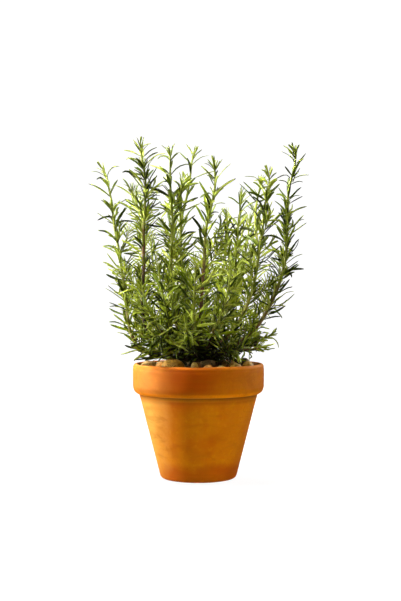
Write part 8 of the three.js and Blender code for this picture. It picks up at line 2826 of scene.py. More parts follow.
        [24,2,181,-1183,2643,207,-1214,2677,217,-1253,2711],
        [24,2,188,-1178,2643,227,-1195,2680,269,-1186,2716],
        [23,5,174,-1163,2620,215,-1210,2639,259,-1257,2634],
        [23,5,171,-1158,2627,195,-1184,2684,213,-1205,2746],
        [23,9,157,-1134,2597,226,-1151,2625,301,-1158,2632],
        [23,9,149,-1138,2599,140,-1204,2663,110,-1271,2720],
        [26,14,127,-1103,2571,171,-1128,2647,212,-1109,2727],
        [26,14,129,-1110,2563,180,-1185,2578,219,-1268,2573],
        [26,19,96,-1082,2536,145,-1177,2614,191,-1266,2701],
        [26,19,103,-1073,2537,187,-1103,2611,262,-1105,2698],
        [28,28,45,-1032,2479,139,-1122,2515,234,-1213,2547],
        [28,28,40,-1029,2489,15,-1073,2603,-10,-1117,2718],
        [22,2,-172,-933,2667,-182,-942,2721,-210,-953,2768],
        [22,2,-165,-930,2669,-146,-944,2730,-111,-952,2784],
        [22,5,-159,-925,2640,-151,-955,2700,-121,-987,2751],
        [22,5,-166,-919,2640,-217,-910,2699,-279,-884,2738],
        [23,9,-149,-912,2604,-116,-918,2674,-55,-909,2723],
        [23,9,-156,-916,2601,-201,-957,2649,-259,-991,2686],
        [28,14,-139,-898,2557,-166,-882,2646,-207,-855,2726],
        [28,14,-140,-908,2555,-162,-977,2618,-190,-1058,2660],
        [26,21,-124,-894,2488,-218,-919,2567,-335,-949,2598],
        [26,21,-113,-892,2492,-58,-886,2600,18,-891,2694],
        [28,29,-86,-892,2417,-100,-918,2539,-58,-971,2645],
        [28,29,-92,-882,2415,-150,-818,2524,-210,-744,2625],
        [20,2,-56,-909,2180,-60,-957,2203,-71,-1008,2208],
        [20,2,-54,-906,2187,-61,-945,2221,-68,-979,2259],
        [25,4,-48,-890,2176,-19,-936,2200,11,-981,2225],
        [25,4,-57,-889,2176,-81,-937,2196,-118,-981,2204],
        [24,8,-51,-851,2167,-60,-924,2219,-60,-984,2286],
        [24,8,-53,-854,2158,-82,-929,2149,-135,-980,2116],
        [28,13,-54,-805,2151,-108,-872,2182,-165,-924,2231],
        [28,13,-43,-806,2146,-26,-889,2145,2,-963,2113],
        [25,2,94,-709,2113,132,-748,2142,169,-787,2172],
        [25,2,101,-706,2108,145,-737,2120,192,-765,2122],
        [22,4,87,-696,2097,132,-755,2109,170,-819,2105],
        [22,4,88,-690,2104,131,-709,2142,178,-729,2176],
        [22,8,63,-668,2078,134,-714,2071,207,-731,2031],
        [22,8,57,-669,2086,73,-717,2140,77,-751,2205],
        [28,13,27,-633,2066,88,-652,2120,136,-660,2188],
        [28,13,26,-641,2057,86,-709,2072,127,-792,2078],
        [19,2,-160,-524,2031,-197,-572,2052,-228,-624,2071],
        [19,2,-156,-520,2038,-179,-549,2083,-191,-582,2131],
        [22,4,-141,-511,2014,-154,-562,2054,-161,-615,2094],
        [22,4,-148,-504,2013,-198,-519,2043,-257,-525,2050],
        [22,9,-118,-487,1991,-150,-512,2070,-169,-550,2147],
        [22,9,-125,-490,1983,-183,-526,2026,-241,-562,2068],
        [28,14,-92,-465,1956,-171,-471,2030,-248,-425,2092],
        [28,14,-88,-476,1954,-143,-546,2018,-150,-643,2069],
        [25,2,0,-451,2015,-1,-484,2072,-25,-532,2109],
        [25,2,1,-444,2019,-11,-453,2077,-29,-434,2130],
        [26,5,8,-438,1999,27,-480,2047,42,-533,2084],
        [26,5,-2,-436,2000,-20,-465,2047,-43,-498,2089],
        [27,8,1,-411,1968,0,-421,2052,-4,-430,2136],
        [27,8,-1,-420,1963,-10,-473,2016,-31,-538,2049],
        [24,13,-7,-390,1922,-26,-415,2010,-52,-456,2089],
        [24,13,3,-393,1919,76,-432,1978,146,-479,2034],
        [31,120,-9,-366,1829,41,-424,1845,92,-482,1855],
        [23,152,20,-129,1616,73,-178,1610,135,-207,1584],
        [31,102,-40,-505,1939,-48,-583,1960,-42,-663,1970],
        [29,132,3,-266,1761,74,-286,1828,159,-295,1879],
        [26,134,-15,-263,1731,-39,-328,1726,-45,-396,1733],
        [28,128,-12,-310,1770,-15,-377,1773,-25,-443,1781],
        [28,148,0,-160,1639,-27,-259,1637,-56,-358,1639],
        [29,130,2,-284,1772,30,-327,1818,60,-378,1852],
        [28,132,-20,-277,1746,-48,-341,1766,-82,-405,1768],
        [29,146,2,-175,1653,-16,-291,1658,-36,-402,1688],
        [31,152,-8,-117,1625,-100,-153,1695,-214,-175,1729],
        [23,110,-21,-443,1891,42,-513,1876,103,-585,1883],
        [26,152,0,-131,1612,-42,-204,1577,-92,-277,1556],
        [23,128,-28,-297,1783,-88,-310,1814,-149,-326,1843],
        [24,118,-20,-385,1835,-9,-489,1828,6,-593,1838],
        [30,142,13,-191,1696,115,-170,1736,222,-140,1729],
        [25,110,-37,-444,1887,-63,-511,1900,-108,-568,1900],
        [24,134,7,-258,1740,42,-330,1795,97,-382,1857],
        [25,122,-15,-355,1809,8,-442,1801,50,-522,1796],
    ],
    "sprig_front_right": [
        [17,0,389,-941,2728,385,-952,2769,374,-962,2809],
        [17,1,398,-937,2718,411,-948,2764,421,-955,2811],
        [17,2,388,-939,2708,376,-962,2749,357,-984,2789],
        [17,3,397,-933,2698,420,-949,2746,445,-971,2791],
        [21,4,386,-931,2689,359,-957,2739,327,-986,2783],
        [21,5,395,-930,2679,432,-961,2721,473,-988,2763],
        [21,6,384,-924,2671,353,-935,2716,315,-947,2756],
        [23,12,378,-910,2612,350,-953,2680,303,-998,2735],
        [23,12,390,-901,2614,414,-900,2696,437,-878,2776],
        [24,19,385,-886,2545,457,-948,2598,526,-1012,2653],
        [24,19,376,-875,2551,376,-851,2657,394,-803,2754],
        [27,26,374,-846,2487,450,-791,2599,524,-684,2664],
        [27,26,365,-860,2481,328,-1000,2508,284,-1134,2464],
        [36,35,354,-800,2412,369,-814,2551,403,-817,2687],
        [36,35,359,-816,2402,422,-959,2406,499,-1089,2367],
        [24,-35,361,-826,2416,378,-897,2473,381,-975,2522],
        [24,-35,369,-818,2421,434,-854,2465,497,-902,2502],
        [24,-35,367,-819,2415,388,-850,2456,424,-878,2486],
        [34,44,334,-767,2330,294,-911,2397,222,-1056,2419],
        [34,44,344,-751,2338,401,-803,2493,498,-778,2634],
        [38,54,328,-707,2248,415,-826,2266,494,-950,2249],
        [38,54,316,-694,2261,279,-682,2427,205,-652,2578],
        [24,-54,321,-700,2273,326,-714,2341,319,-709,2410],
        [24,-54,316,-706,2274,306,-730,2340,282,-744,2406],
        [24,-54,313,-710,2272,274,-745,2346,223,-789,2407],
        [35,62,312,-646,2195,424,-640,2285,541,-586,2348],
        [24,-62,314,-652,2206,377,-658,2281,454,-641,2338],
        [24,-62,316,-659,2215,362,-693,2296,421,-708,2373],
        [24,-62,320,-665,2207,389,-711,2251,467,-757,2273],
        [24,-62,317,-655,2203,350,-693,2258,396,-720,2310],
        [35,62,291,-655,2194,230,-743,2292,155,-812,2394],
        [24,-62,305,-678,2205,314,-740,2251,304,-807,2289],
        [24,-62,302,-672,2199,300,-729,2216,285,-786,2226],
        [24,-62,297,-672,2207,272,-743,2256,246,-815,2303],
        [29,74,271,-575,2121,291,-628,2257,290,-652,2402],
        [24,-74,270,-596,2136,244,-613,2182,207,-628,2220],
        [24,-74,284,-586,2135,308,-586,2191,325,-582,2249],
        [24,-74,268,-601,2134,266,-643,2187,264,-675,2247],
        [29,74,280,-590,2104,353,-699,2124,448,-790,2135],
        [34,85,231,-513,2024,218,-668,2103,188,-834,2144],
        [34,85,252,-498,2030,363,-545,2137,477,-576,2246],
        [24,-85,251,-506,2048,282,-519,2102,324,-518,2151],
        [24,-85,261,-520,2040,316,-578,2101,395,-610,2153],
        [32,97,207,-435,1935,236,-591,1890,258,-738,1818],
        [24,-97,224,-439,1950,263,-479,1974,299,-523,1997],
        [24,-97,224,-446,1953,260,-509,1997,300,-580,2017],
        [24,-97,208,-449,1949,228,-534,1996,247,-626,2030],
        [24,-97,224,-433,1948,285,-466,1964,350,-496,1958],
        [32,97,208,-415,1953,267,-453,2103,355,-436,2242],
        [38,109,187,-343,1858,347,-352,1897,506,-313,1913],
        [38,109,160,-354,1858,105,-462,1916,27,-550,1979],
        [31,119,133,-276,1799,126,-361,1937,59,-430,2068],
        [31,119,146,-292,1779,190,-438,1749,265,-570,1714],
        [34,129,107,-226,1713,94,-360,1762,45,-495,1770],
        [34,129,124,-203,1727,211,-195,1865,286,-117,1987],
        [26,2,484,-966,2484,518,-1004,2514,542,-1040,2555],
        [26,2,490,-961,2482,528,-992,2507,576,-1011,2528],
        [23,5,466,-948,2466,491,-1004,2472,514,-1061,2467],
        [23,5,468,-942,2473,507,-967,2521,538,-981,2579],
        [24,9,447,-913,2454,518,-944,2481,592,-939,2516],
        [24,9,439,-918,2458,464,-988,2511,467,-1062,2565],
        [28,14,411,-878,2445,470,-915,2504,526,-954,2563],
        [28,14,410,-882,2434,468,-955,2431,511,-1023,2383],
        [22,2,452,-684,2573,480,-679,2631,496,-693,2692],
        [22,2,453,-675,2573,475,-641,2626,498,-599,2674],
        [21,6,445,-681,2543,502,-704,2581,567,-730,2598],
        [21,6,440,-674,2546,449,-637,2613,453,-577,2662],
        [26,10,422,-672,2498,454,-644,2564,487,-612,2628],
        [26,10,421,-683,2499,448,-709,2575,461,-744,2651],
        [24,15,403,-675,2462,420,-635,2548,414,-572,2621],
        [24,15,409,-684,2460,473,-722,2530,523,-774,2602],
        [28,21,373,-692,2399,315,-739,2514,245,-767,2629],
        [28,21,382,-686,2394,484,-616,2449,587,-530,2464],
        [23,2,468,-662,2280,504,-696,2324,541,-729,2367],
        [23,2,472,-655,2279,525,-664,2316,578,-669,2353],
        [27,5,448,-654,2258,506,-699,2278,561,-749,2291],
        [27,5,445,-648,2265,469,-644,2325,484,-635,2387],
        [25,10,418,-640,2233,502,-645,2256,587,-628,2245],
        [25,10,413,-646,2239,468,-694,2292,483,-765,2344],
        [23,15,363,-628,2208,427,-591,2286,477,-558,2375],
        [23,15,367,-634,2200,457,-657,2172,540,-687,2133],
        [26,2,435,-659,2123,448,-703,2157,436,-751,2186],
        [26,2,442,-655,2119,484,-693,2153,542,-711,2180],
        [26,5,422,-641,2102,476,-691,2122,527,-746,2129],
        [26,5,417,-639,2111,444,-666,2160,478,-689,2208],
        [26,10,390,-607,2084,472,-622,2107,556,-601,2117],
        [26,10,383,-614,2085,411,-675,2117,417,-742,2149],
        [23,16,343,-574,2068,410,-605,2139,479,-615,2214],
        [23,16,347,-576,2057,454,-620,2022,559,-632,1964],
        [28,22,287,-543,2043,350,-630,2072,406,-724,2092],
        [28,22,294,-533,2042,409,-501,2046,518,-457,2030],
        [23,2,216,-361,2156,220,-374,2208,224,-384,2261],
        [23,2,224,-357,2155,239,-374,2216,265,-399,2269],
        [23,5,213,-358,2126,218,-407,2179,231,-469,2215],
        [23,5,213,-349,2128,219,-338,2209,217,-303,2282],
        [27,9,211,-344,2088,248,-340,2155,294,-326,2215],
        [27,9,202,-345,2090,169,-347,2158,116,-352,2212],
        [25,14,196,-336,2041,203,-311,2146,217,-267,2243],
        [25,14,201,-345,2039,233,-372,2138,278,-402,2230],
        [27,20,183,-338,1982,106,-334,2056,19,-325,2118],
        [27,20,192,-334,1981,260,-257,2063,306,-165,2146],
        [27,144,83,-122,1605,169,-193,1599,260,-239,1554],
        [26,140,83,-154,1633,102,-262,1637,130,-367,1654],
        [27,144,75,-127,1604,107,-193,1605,150,-251,1609],
        [31,140,74,-153,1638,55,-230,1657,42,-310,1667],
        [26,118,141,-298,1789,122,-407,1784,105,-503,1732],
        [28,126,139,-231,1739,217,-252,1768,282,-294,1805],
        [26,132,122,-194,1694,222,-248,1727,302,-329,1763],
        [29,144,57,-118,1620,12,-178,1712,-66,-198,1800],
        [24,108,176,-363,1857,196,-434,1850,224,-490,1811],
        [26,100,200,-415,1914,240,-519,1886,295,-603,1830],
        [24,110,157,-346,1853,96,-423,1907,25,-480,1971],
        [26,126,112,-242,1739,42,-282,1730,-27,-309,1698],
        [28,134,91,-177,1694,48,-171,1744,-11,-158,1773],
        [26,124,140,-253,1746,229,-327,1716,315,-402,1680],
        [30,116,163,-305,1802,242,-382,1791,302,-470,1761],
        [23,116,159,-308,1801,204,-401,1826,232,-502,1815],
        [29,102,187,-402,1902,156,-469,1862,123,-535,1823],
        [31,132,93,-195,1704,49,-232,1766,-22,-248,1809],
        [28,102,201,-398,1901,250,-428,1850,292,-477,1808],
        [25,142,63,-134,1632,-31,-166,1658,-116,-211,1694],
        [29,132,94,-193,1706,17,-186,1756,-73,-173,1774],
        [26,128,133,-216,1726,240,-198,1741,333,-142,1724],
        [29,116,165,-302,1804,241,-311,1761,296,-314,1693],
        [28,130,126,-211,1705,195,-254,1700,265,-290,1675],
        [23,142,91,-131,1621,174,-159,1590,237,-173,1523],
        [31,116,149,-311,1802,163,-418,1836,169,-531,1822],
        [27,128,105,-223,1731,54,-272,1792,17,-343,1840],
        [22,142,89,-135,1619,142,-188,1623,184,-249,1636],
        [23,106,185,-375,1871,221,-455,1802,263,-550,1759],
        [26,118,160,-287,1791,249,-284,1759,330,-256,1721],
        [31,96,214,-439,1942,260,-522,1930,309,-604,1938],
        [27,148,68,-98,1576,101,-133,1530,117,-166,1474],
        [23,138,80,-166,1651,78,-266,1694,87,-370,1723],
        [26,122,150,-258,1766,243,-233,1738,343,-221,1727],
    ],
    "sprig_front_left_pale": [
        [17,0,-502,-727,2730,-515,-732,2780,-537,-727,2827],
        [17,1,-491,-729,2721,-483,-741,2770,-476,-757,2819],
        [17,2,-498,-729,2710,-518,-751,2754,-547,-777,2791],
        [17,3,-489,-726,2701,-470,-741,2756,-444,-761,2805],
        [21,4,-498,-723,2691,-534,-732,2739,-581,-733,2779],
        [21,5,-487,-724,2681,-461,-752,2731,-421,-778,2771],
        [21,6,-485,-720,2672,-444,-738,2721,-403,-747,2771],
        [28,12,-490,-706,2613,-552,-717,2683,-628,-725,2738],
        [28,12,-475,-704,2615,-479,-715,2704,-459,-692,2788],
        [28,18,-471,-699,2554,-458,-790,2612,-424,-886,2652],
        [28,18,-480,-685,2557,-536,-662,2625,-609,-638,2673],
        [29,24,-457,-668,2503,-434,-686,2640,-420,-680,2780],
        [29,24,-471,-678,2497,-554,-765,2519,-639,-854,2519],
        [34,34,-453,-627,2411,-506,-605,2541,-578,-533,2639],
        [34,34,-448,-645,2405,-472,-741,2496,-507,-867,2532],
        [24,-34,-442,-647,2424,-423,-701,2498,-413,-762,2567],
        [24,-34,-454,-651,2418,-478,-718,2441,-505,-783,2464],
        [32,46,-436,-592,2297,-497,-675,2380,-563,-782,2425],
        [32,46,-418,-582,2305,-349,-579,2417,-242,-563,2493],
        [37,54,-415,-561,2225,-467,-686,2261,-535,-808,2276],
        [24,-54,-423,-566,2240,-447,-605,2275,-471,-652,2298],
        [24,-54,-415,-572,2245,-425,-637,2294,-433,-703,2342],
        [24,-54,-407,-568,2246,-372,-640,2281,-345,-718,2310],
        [24,-54,-421,-572,2246,-459,-664,2271,-481,-760,2302],
        [37,54,-414,-541,2236,-450,-545,2376,-484,-529,2516],
        [24,-54,-426,-552,2245,-456,-581,2321,-500,-588,2396],
        [24,-54,-408,-550,2251,-412,-567,2328,-420,-565,2407],
        [29,64,-380,-507,2147,-297,-571,2231,-178,-620,2271],
        [24,-64,-384,-520,2165,-372,-570,2228,-343,-630,2274],
        [24,-64,-386,-510,2171,-368,-523,2225,-334,-533,2272],
        [29,64,-403,-504,2142,-525,-575,2250,-647,-622,2370],
        [30,73,-377,-449,2074,-437,-446,2202,-515,-399,2311],
        [24,-73,-367,-459,2089,-356,-463,2149,-331,-456,2204],
        [24,-73,-370,-461,2094,-377,-488,2159,-363,-504,2226],
        [30,73,-363,-469,2066,-292,-621,2107,-199,-765,2122],
        [24,-73,-383,-479,2078,-427,-562,2111,-456,-656,2129],
        [24,-73,-378,-482,2080,-403,-563,2120,-428,-644,2159],
        [24,-73,-367,-477,2075,-352,-531,2095,-329,-585,2110],
        [24,-73,-372,-484,2085,-382,-528,2135,-389,-582,2176],
        [34,83,-363,-412,1981,-508,-490,2046,-673,-546,2076],
        [24,-83,-367,-414,2007,-393,-437,2060,-425,-456,2112],
        [24,-83,-367,-421,1996,-412,-458,2046,-473,-478,2086],
        [34,83,-341,-402,1993,-319,-416,2132,-276,-402,2266],
        [24,-83,-339,-421,2001,-295,-467,2054,-246,-521,2094],
        [24,-83,-340,-411,2002,-332,-442,2085,-326,-472,2168],
        [24,-83,-349,-412,2014,-351,-420,2080,-350,-411,2145],
        [29,92,-326,-375,1904,-328,-518,1896,-338,-648,1837],
        [29,92,-333,-351,1918,-405,-292,2055,-493,-175,2132],
        [24,-92,-332,-360,1934,-356,-370,2035,-386,-360,2134],
        [24,-92,-346,-365,1933,-402,-372,1997,-471,-374,2046],
        [36,101,-287,-311,1851,-239,-357,1979,-137,-369,2080],
        [24,-101,-299,-316,1868,-308,-331,1925,-324,-339,1981],
        [24,-101,-291,-329,1854,-294,-403,1927,-266,-478,1993],
        [24,-101,-294,-330,1866,-267,-370,1923,-222,-398,1974],
        [36,101,-313,-308,1839,-435,-341,1891,-557,-378,1940],
        [24,-101,-317,-327,1844,-370,-383,1883,-427,-438,1916],
        [24,-101,-323,-322,1854,-385,-363,1906,-457,-391,1953],
        [29,112,-254,-235,1778,-358,-278,1880,-460,-260,1991],
        [24,-112,-261,-250,1798,-310,-261,1882,-349,-266,1971],
        [24,-112,-268,-248,1781,-344,-259,1817,-419,-267,1854],
        [24,-112,-254,-252,1799,-285,-281,1858,-301,-298,1926],
        [24,-112,-265,-245,1787,-324,-239,1830,-387,-218,1860],
        [29,112,-247,-258,1761,-308,-395,1760,-333,-541,1741],
        [24,-112,-258,-264,1766,-309,-324,1792,-360,-383,1820],
        [24,-112,-256,-275,1776,-284,-373,1782,-281,-475,1770],
        [24,-112,-248,-274,1784,-278,-360,1832,-311,-448,1874],
        [31,123,-195,-175,1705,-348,-208,1720,-502,-219,1748],
        [24,-123,-206,-181,1719,-277,-182,1736,-347,-184,1756],
        [24,-123,-197,-206,1712,-235,-250,1731,-281,-291,1738],
        [31,123,-170,-184,1724,-136,-251,1842,-91,-293,1967],
        [24,-123,-183,-190,1737,-188,-222,1830,-183,-229,1928],
        [24,-123,-185,-180,1734,-212,-198,1811,-226,-203,1893],
        [24,-123,-178,-197,1730,-204,-240,1768,-213,-287,1808],
        [20,2,-350,-758,2573,-359,-783,2627,-377,-793,2684],
        [20,2,-342,-758,2570,-325,-790,2615,-310,-827,2656],
        [21,5,-356,-746,2545,-357,-807,2582,-382,-870,2604],
        [21,5,-356,-738,2550,-355,-746,2611,-370,-737,2671],
        [27,9,-361,-720,2513,-296,-749,2545,-221,-765,2561],
        [27,9,-371,-720,2517,-382,-754,2583,-420,-782,2642],
        [28,14,-380,-694,2487,-343,-672,2570,-316,-638,2654],
        [28,14,-381,-703,2480,-341,-800,2513,-301,-898,2542],
        [28,20,-419,-664,2434,-448,-748,2500,-480,-837,2558],
        [28,20,-409,-658,2431,-326,-693,2480,-238,-737,2507],
        [20,2,-302,-492,2590,-293,-487,2653,-282,-470,2714],
        [20,2,-294,-490,2589,-274,-487,2653,-234,-490,2708],
        [26,5,-299,-496,2560,-276,-508,2622,-236,-535,2669],
        [26,5,-303,-489,2560,-310,-455,2623,-324,-425,2686],
        [22,9,-303,-493,2520,-280,-482,2590,-260,-466,2659],
        [22,9,-312,-496,2522,-331,-497,2599,-360,-489,2672],
        [28,13,-319,-494,2483,-323,-469,2585,-354,-436,2679],
        [28,13,-315,-503,2483,-299,-533,2573,-292,-567,2663],
        [26,18,-331,-503,2436,-340,-496,2548,-367,-481,2657],
        [26,18,-321,-504,2433,-237,-517,2494,-143,-526,2539],
        [28,27,-348,-519,2349,-260,-546,2438,-146,-585,2479],
        [28,27,-356,-510,2351,-391,-430,2416,-438,-337,2450],
        [21,2,-331,-703,2312,-337,-748,2360,-344,-803,2397],
        [21,2,-323,-701,2314,-321,-735,2362,-318,-759,2415],
        [22,5,-327,-687,2287,-333,-754,2312,-335,-825,2318],
        [22,5,-324,-680,2293,-310,-695,2358,-293,-698,2425],
        [25,9,-322,-655,2262,-289,-684,2340,-251,-703,2419],
        [25,9,-330,-659,2259,-377,-716,2292,-417,-780,2321],
        [23,14,-328,-620,2227,-311,-623,2335,-276,-617,2439],
        [23,14,-328,-628,2220,-309,-721,2274,-279,-823,2303],
        [25,20,-341,-585,2180,-391,-690,2230,-474,-774,2276],
        [25,20,-330,-583,2180,-280,-653,2234,-217,-726,2269],
        [28,29,-354,-523,2117,-333,-655,2148,-338,-790,2121],
        [28,29,-352,-514,2126,-304,-496,2249,-273,-482,2378],
        [24,2,-620,-673,2020,-642,-723,2021,-662,-773,2016],
        [24,2,-621,-669,2027,-649,-711,2039,-670,-755,2054],
        [22,5,-602,-648,2017,-617,-689,2070,-620,-718,2132],
        [22,5,-607,-647,2012,-661,-684,2024,-721,-711,2030],
        [22,9,-582,-616,2004,-633,-642,2059,-669,-659,2127],
        [22,9,-577,-622,1999,-594,-705,2005,-589,-790,2011],
        [26,14,-552,-581,1983,-651,-627,1963,-757,-640,1934],
        [26,14,-545,-585,1989,-568,-670,2036,-581,-753,2092],
        [26,21,-499,-536,1969,-555,-653,1971,-567,-775,1927],
        [26,21,-504,-530,1976,-578,-536,2062,-649,-524,2150],
        [28,28,-457,-494,1963,-446,-590,2013,-394,-659,2079],
        [28,28,-463,-490,1955,-563,-551,1918,-661,-607,1871],
        [28,37,-389,-421,1955,-503,-431,2021,-581,-400,2123],
        [28,37,-386,-427,1944,-452,-520,1875,-477,-615,1785],
        [20,2,-237,-380,1916,-249,-418,1960,-267,-456,2003],
        [20,2,-229,-378,1920,-233,-415,1970,-220,-436,2027],
        [21,6,-228,-362,1893,-235,-421,1931,-229,-479,1969],
        [21,6,-227,-355,1900,-234,-380,1972,-239,-376,2049],
        [23,9,-218,-333,1867,-180,-391,1925,-116,-445,1960],
        [23,9,-228,-334,1865,-255,-396,1915,-292,-458,1959],
        [25,13,-223,-301,1841,-216,-316,1927,-197,-314,2013],
        [25,13,-219,-309,1834,-173,-399,1843,-145,-497,1846],
        [26,122,-190,-195,1706,-244,-281,1708,-278,-375,1725],
        [30,98,-309,-341,1857,-318,-448,1860,-298,-553,1843],
        [30,126,-161,-174,1688,-175,-292,1663,-168,-412,1647],
        [24,138,-100,-102,1617,-169,-176,1621,-245,-238,1598],
        [23,144,-62,-80,1578,-105,-140,1611,-162,-185,1644],
        [24,100,-294,-329,1847,-244,-377,1831,-188,-416,1812],
        [28,108,-256,-281,1797,-207,-323,1807,-157,-358,1832],
    ],
    "sprig_front_low_left": [
        [17,0,-694,-866,2471,-712,-881,2515,-736,-895,2557],
        [17,1,-692,-860,2462,-719,-868,2511,-746,-873,2560],
        [17,2,-686,-854,2454,-697,-850,2514,-700,-849,2575],
        [17,3,-689,-858,2442,-715,-877,2482,-746,-899,2517],
        [21,4,-687,-855,2433,-726,-871,2479,-775,-887,2514],
        [21,5,-675,-853,2425,-652,-881,2484,-629,-917,2538],
        [21,6,-673,-848,2417,-638,-850,2474,-593,-852,2523],
        [25,12,-673,-835,2356,-743,-873,2397,-807,-920,2436],
        [25,12,-658,-832,2361,-615,-845,2447,-568,-866,2528],
        [31,18,-643,-817,2304,-606,-871,2371,-562,-909,2444],
        [31,18,-655,-806,2305,-703,-793,2387,-750,-742,2453],
        [28,27,-617,-772,2231,-570,-785,2348,-483,-777,2440],
        [28,27,-633,-776,2223,-733,-814,2266,-848,-824,2263],
        [30,38,-595,-718,2149,-662,-686,2269,-697,-601,2376],
        [24,-38,-606,-733,2152,-678,-760,2178,-747,-792,2204],
        [24,-38,-597,-724,2160,-632,-707,2255,-659,-672,2348],
        [24,-38,-607,-731,2162,-643,-750,2209,-689,-763,2250],
        [24,-38,-608,-736,2158,-664,-769,2205,-730,-799,2240],
        [30,38,-582,-730,2147,-588,-807,2239,-587,-902,2312],
        [24,-38,-599,-748,2159,-623,-841,2183,-660,-930,2206],
        [24,-38,-591,-742,2151,-586,-804,2167,-575,-865,2187],
        [37,48,-550,-676,2056,-592,-785,2040,-633,-874,1975],
        [24,-48,-565,-687,2072,-600,-729,2083,-634,-773,2077],
        [24,-48,-566,-675,2070,-622,-695,2095,-679,-709,2120],
        [24,-48,-557,-682,2064,-607,-766,2098,-660,-855,2102],
        [37,48,-540,-666,2068,-495,-696,2175,-453,-728,2282],
        [24,-48,-552,-676,2087,-564,-700,2149,-581,-712,2214],
        [24,-48,-558,-668,2081,-593,-670,2166,-614,-656,2255],
        [30,57,-509,-625,1992,-553,-739,2034,-573,-866,2029],
        [30,57,-518,-608,2001,-609,-594,2059,-705,-565,2103],
        [32,66,-467,-555,1949,-478,-542,2062,-470,-531,2176],
        [32,66,-470,-570,1932,-521,-672,1925,-570,-759,1868],
        [35,78,-420,-481,1865,-549,-475,1900,-676,-441,1924],
        [24,-78,-418,-490,1887,-448,-503,1965,-456,-496,2048],
        [24,-78,-429,-491,1879,-479,-486,1906,-525,-478,1939],
        [35,78,-401,-497,1864,-364,-615,1875,-324,-730,1852],
        [35,90,-348,-421,1786,-425,-510,1818,-506,-596,1790],
        [35,90,-335,-415,1807,-365,-488,1923,-404,-542,2046],
        [24,-90,-348,-423,1819,-352,-444,1888,-352,-463,1957],
        [24,-90,-352,-417,1818,-374,-421,1872,-396,-420,1926],
        [24,-90,-357,-419,1821,-397,-443,1875,-443,-461,1927],
        [24,-90,-341,-431,1808,-332,-491,1849,-310,-555,1878],
        [38,99,-283,-370,1747,-254,-491,1779,-209,-607,1815],
        [24,-99,-296,-382,1751,-309,-444,1768,-308,-507,1787],
        [24,-99,-292,-380,1762,-301,-438,1803,-294,-503,1833],
        [38,99,-298,-349,1754,-405,-363,1846,-528,-381,1913],
        [29,110,-216,-296,1698,-232,-381,1790,-224,-479,1870],
        [24,-110,-225,-300,1708,-240,-345,1801,-262,-372,1899],
        [24,-110,-224,-308,1705,-253,-354,1745,-263,-409,1784],
        [24,-110,-225,-310,1705,-229,-390,1772,-234,-474,1834],
        [29,110,-235,-295,1677,-343,-368,1663,-455,-411,1609],
        [24,-110,-247,-292,1692,-318,-306,1711,-390,-318,1727],
        [24,-110,-251,-305,1689,-313,-344,1701,-384,-367,1701],
        [29,121,-172,-214,1633,-280,-249,1703,-387,-251,1782],
        [24,-121,-185,-227,1637,-262,-247,1663,-344,-258,1679],
        [24,-121,-179,-222,1647,-251,-223,1707,-330,-206,1754],
        [24,-121,-174,-227,1655,-227,-269,1719,-275,-292,1796],
        [29,121,-152,-236,1630,-168,-368,1678,-167,-503,1722],
        [24,10,-877,-789,2235,-921,-785,2320,-948,-753,2406],
        [24,10,-881,-790,2226,-954,-804,2231,-1028,-808,2236],
        [22,15,-835,-774,2210,-916,-726,2245,-999,-679,2273],
        [22,15,-833,-784,2210,-887,-859,2236,-916,-951,2238],
        [28,22,-771,-767,2180,-872,-817,2188,-963,-883,2202],
        [28,22,-769,-761,2190,-835,-764,2276,-876,-760,2376],
        [26,30,-703,-754,2162,-780,-853,2158,-802,-974,2133],
        [26,30,-705,-742,2163,-787,-667,2154,-855,-580,2142],
        [23,2,-541,-862,2097,-548,-917,2109,-555,-971,2123],
        [23,2,-545,-858,2103,-584,-896,2143,-638,-920,2176],
        [25,6,-531,-835,2088,-527,-911,2117,-513,-988,2139],
        [25,6,-540,-833,2087,-597,-890,2099,-664,-935,2097],
        [28,10,-530,-786,2073,-571,-822,2124,-622,-860,2163],
        [28,10,-527,-790,2064,-536,-877,2073,-539,-962,2054],
        [27,15,-528,-741,2051,-574,-835,2079,-659,-898,2100],
        [27,15,-517,-741,2054,-475,-835,2100,-418,-917,2154],
        [28,20,-518,-694,2033,-455,-794,1991,-376,-867,1928],
        [28,20,-523,-692,2043,-535,-739,2138,-540,-771,2239],
        [23,2,-578,-894,1879,-603,-940,1880,-627,-986,1873],
        [23,2,-578,-893,1887,-606,-942,1903,-624,-991,1928],
        [23,5,-559,-870,1882,-574,-945,1894,-555,-1018,1912],
        [23,5,-567,-866,1879,-630,-898,1870,-692,-932,1860],
        [21,8,-547,-842,1883,-576,-917,1924,-616,-984,1970],
        [21,8,-547,-842,1874,-565,-917,1835,-554,-977,1775],
        [23,12,-534,-804,1879,-587,-862,1900,-640,-906,1943],
        [23,12,-526,-808,1876,-546,-885,1873,-556,-963,1857],
        [28,17,-508,-761,1871,-527,-872,1826,-544,-985,1784],
        [28,17,-510,-760,1881,-547,-852,1905,-576,-938,1954],
        [28,23,-483,-705,1879,-412,-817,1923,-316,-889,1995],
        [28,23,-493,-702,1875,-611,-749,1822,-725,-770,1747],
        [27,32,-461,-618,1891,-497,-739,1942,-533,-831,2034],
        [27,32,-459,-617,1878,-463,-702,1778,-441,-758,1662],
        [25,2,-447,-515,2058,-473,-550,2092,-505,-584,2124],
        [25,2,-447,-507,2062,-468,-494,2123,-493,-479,2182],
        [22,5,-430,-502,2037,-435,-538,2099,-421,-573,2160],
        [22,5,-436,-495,2036,-470,-505,2084,-515,-505,2125],
        [21,9,-414,-482,2004,-429,-486,2081,-446,-481,2158],
        [21,9,-416,-490,2000,-437,-556,2048,-427,-638,2067],
        [27,13,-407,-473,1965,-481,-498,2009,-565,-516,2033],
        [27,13,-398,-476,1967,-386,-529,2030,-362,-598,2070],
        [24,20,-383,-458,1901,-426,-551,1944,-463,-653,1965],
        [24,20,-377,-448,1905,-345,-394,2007,-297,-308,2076],
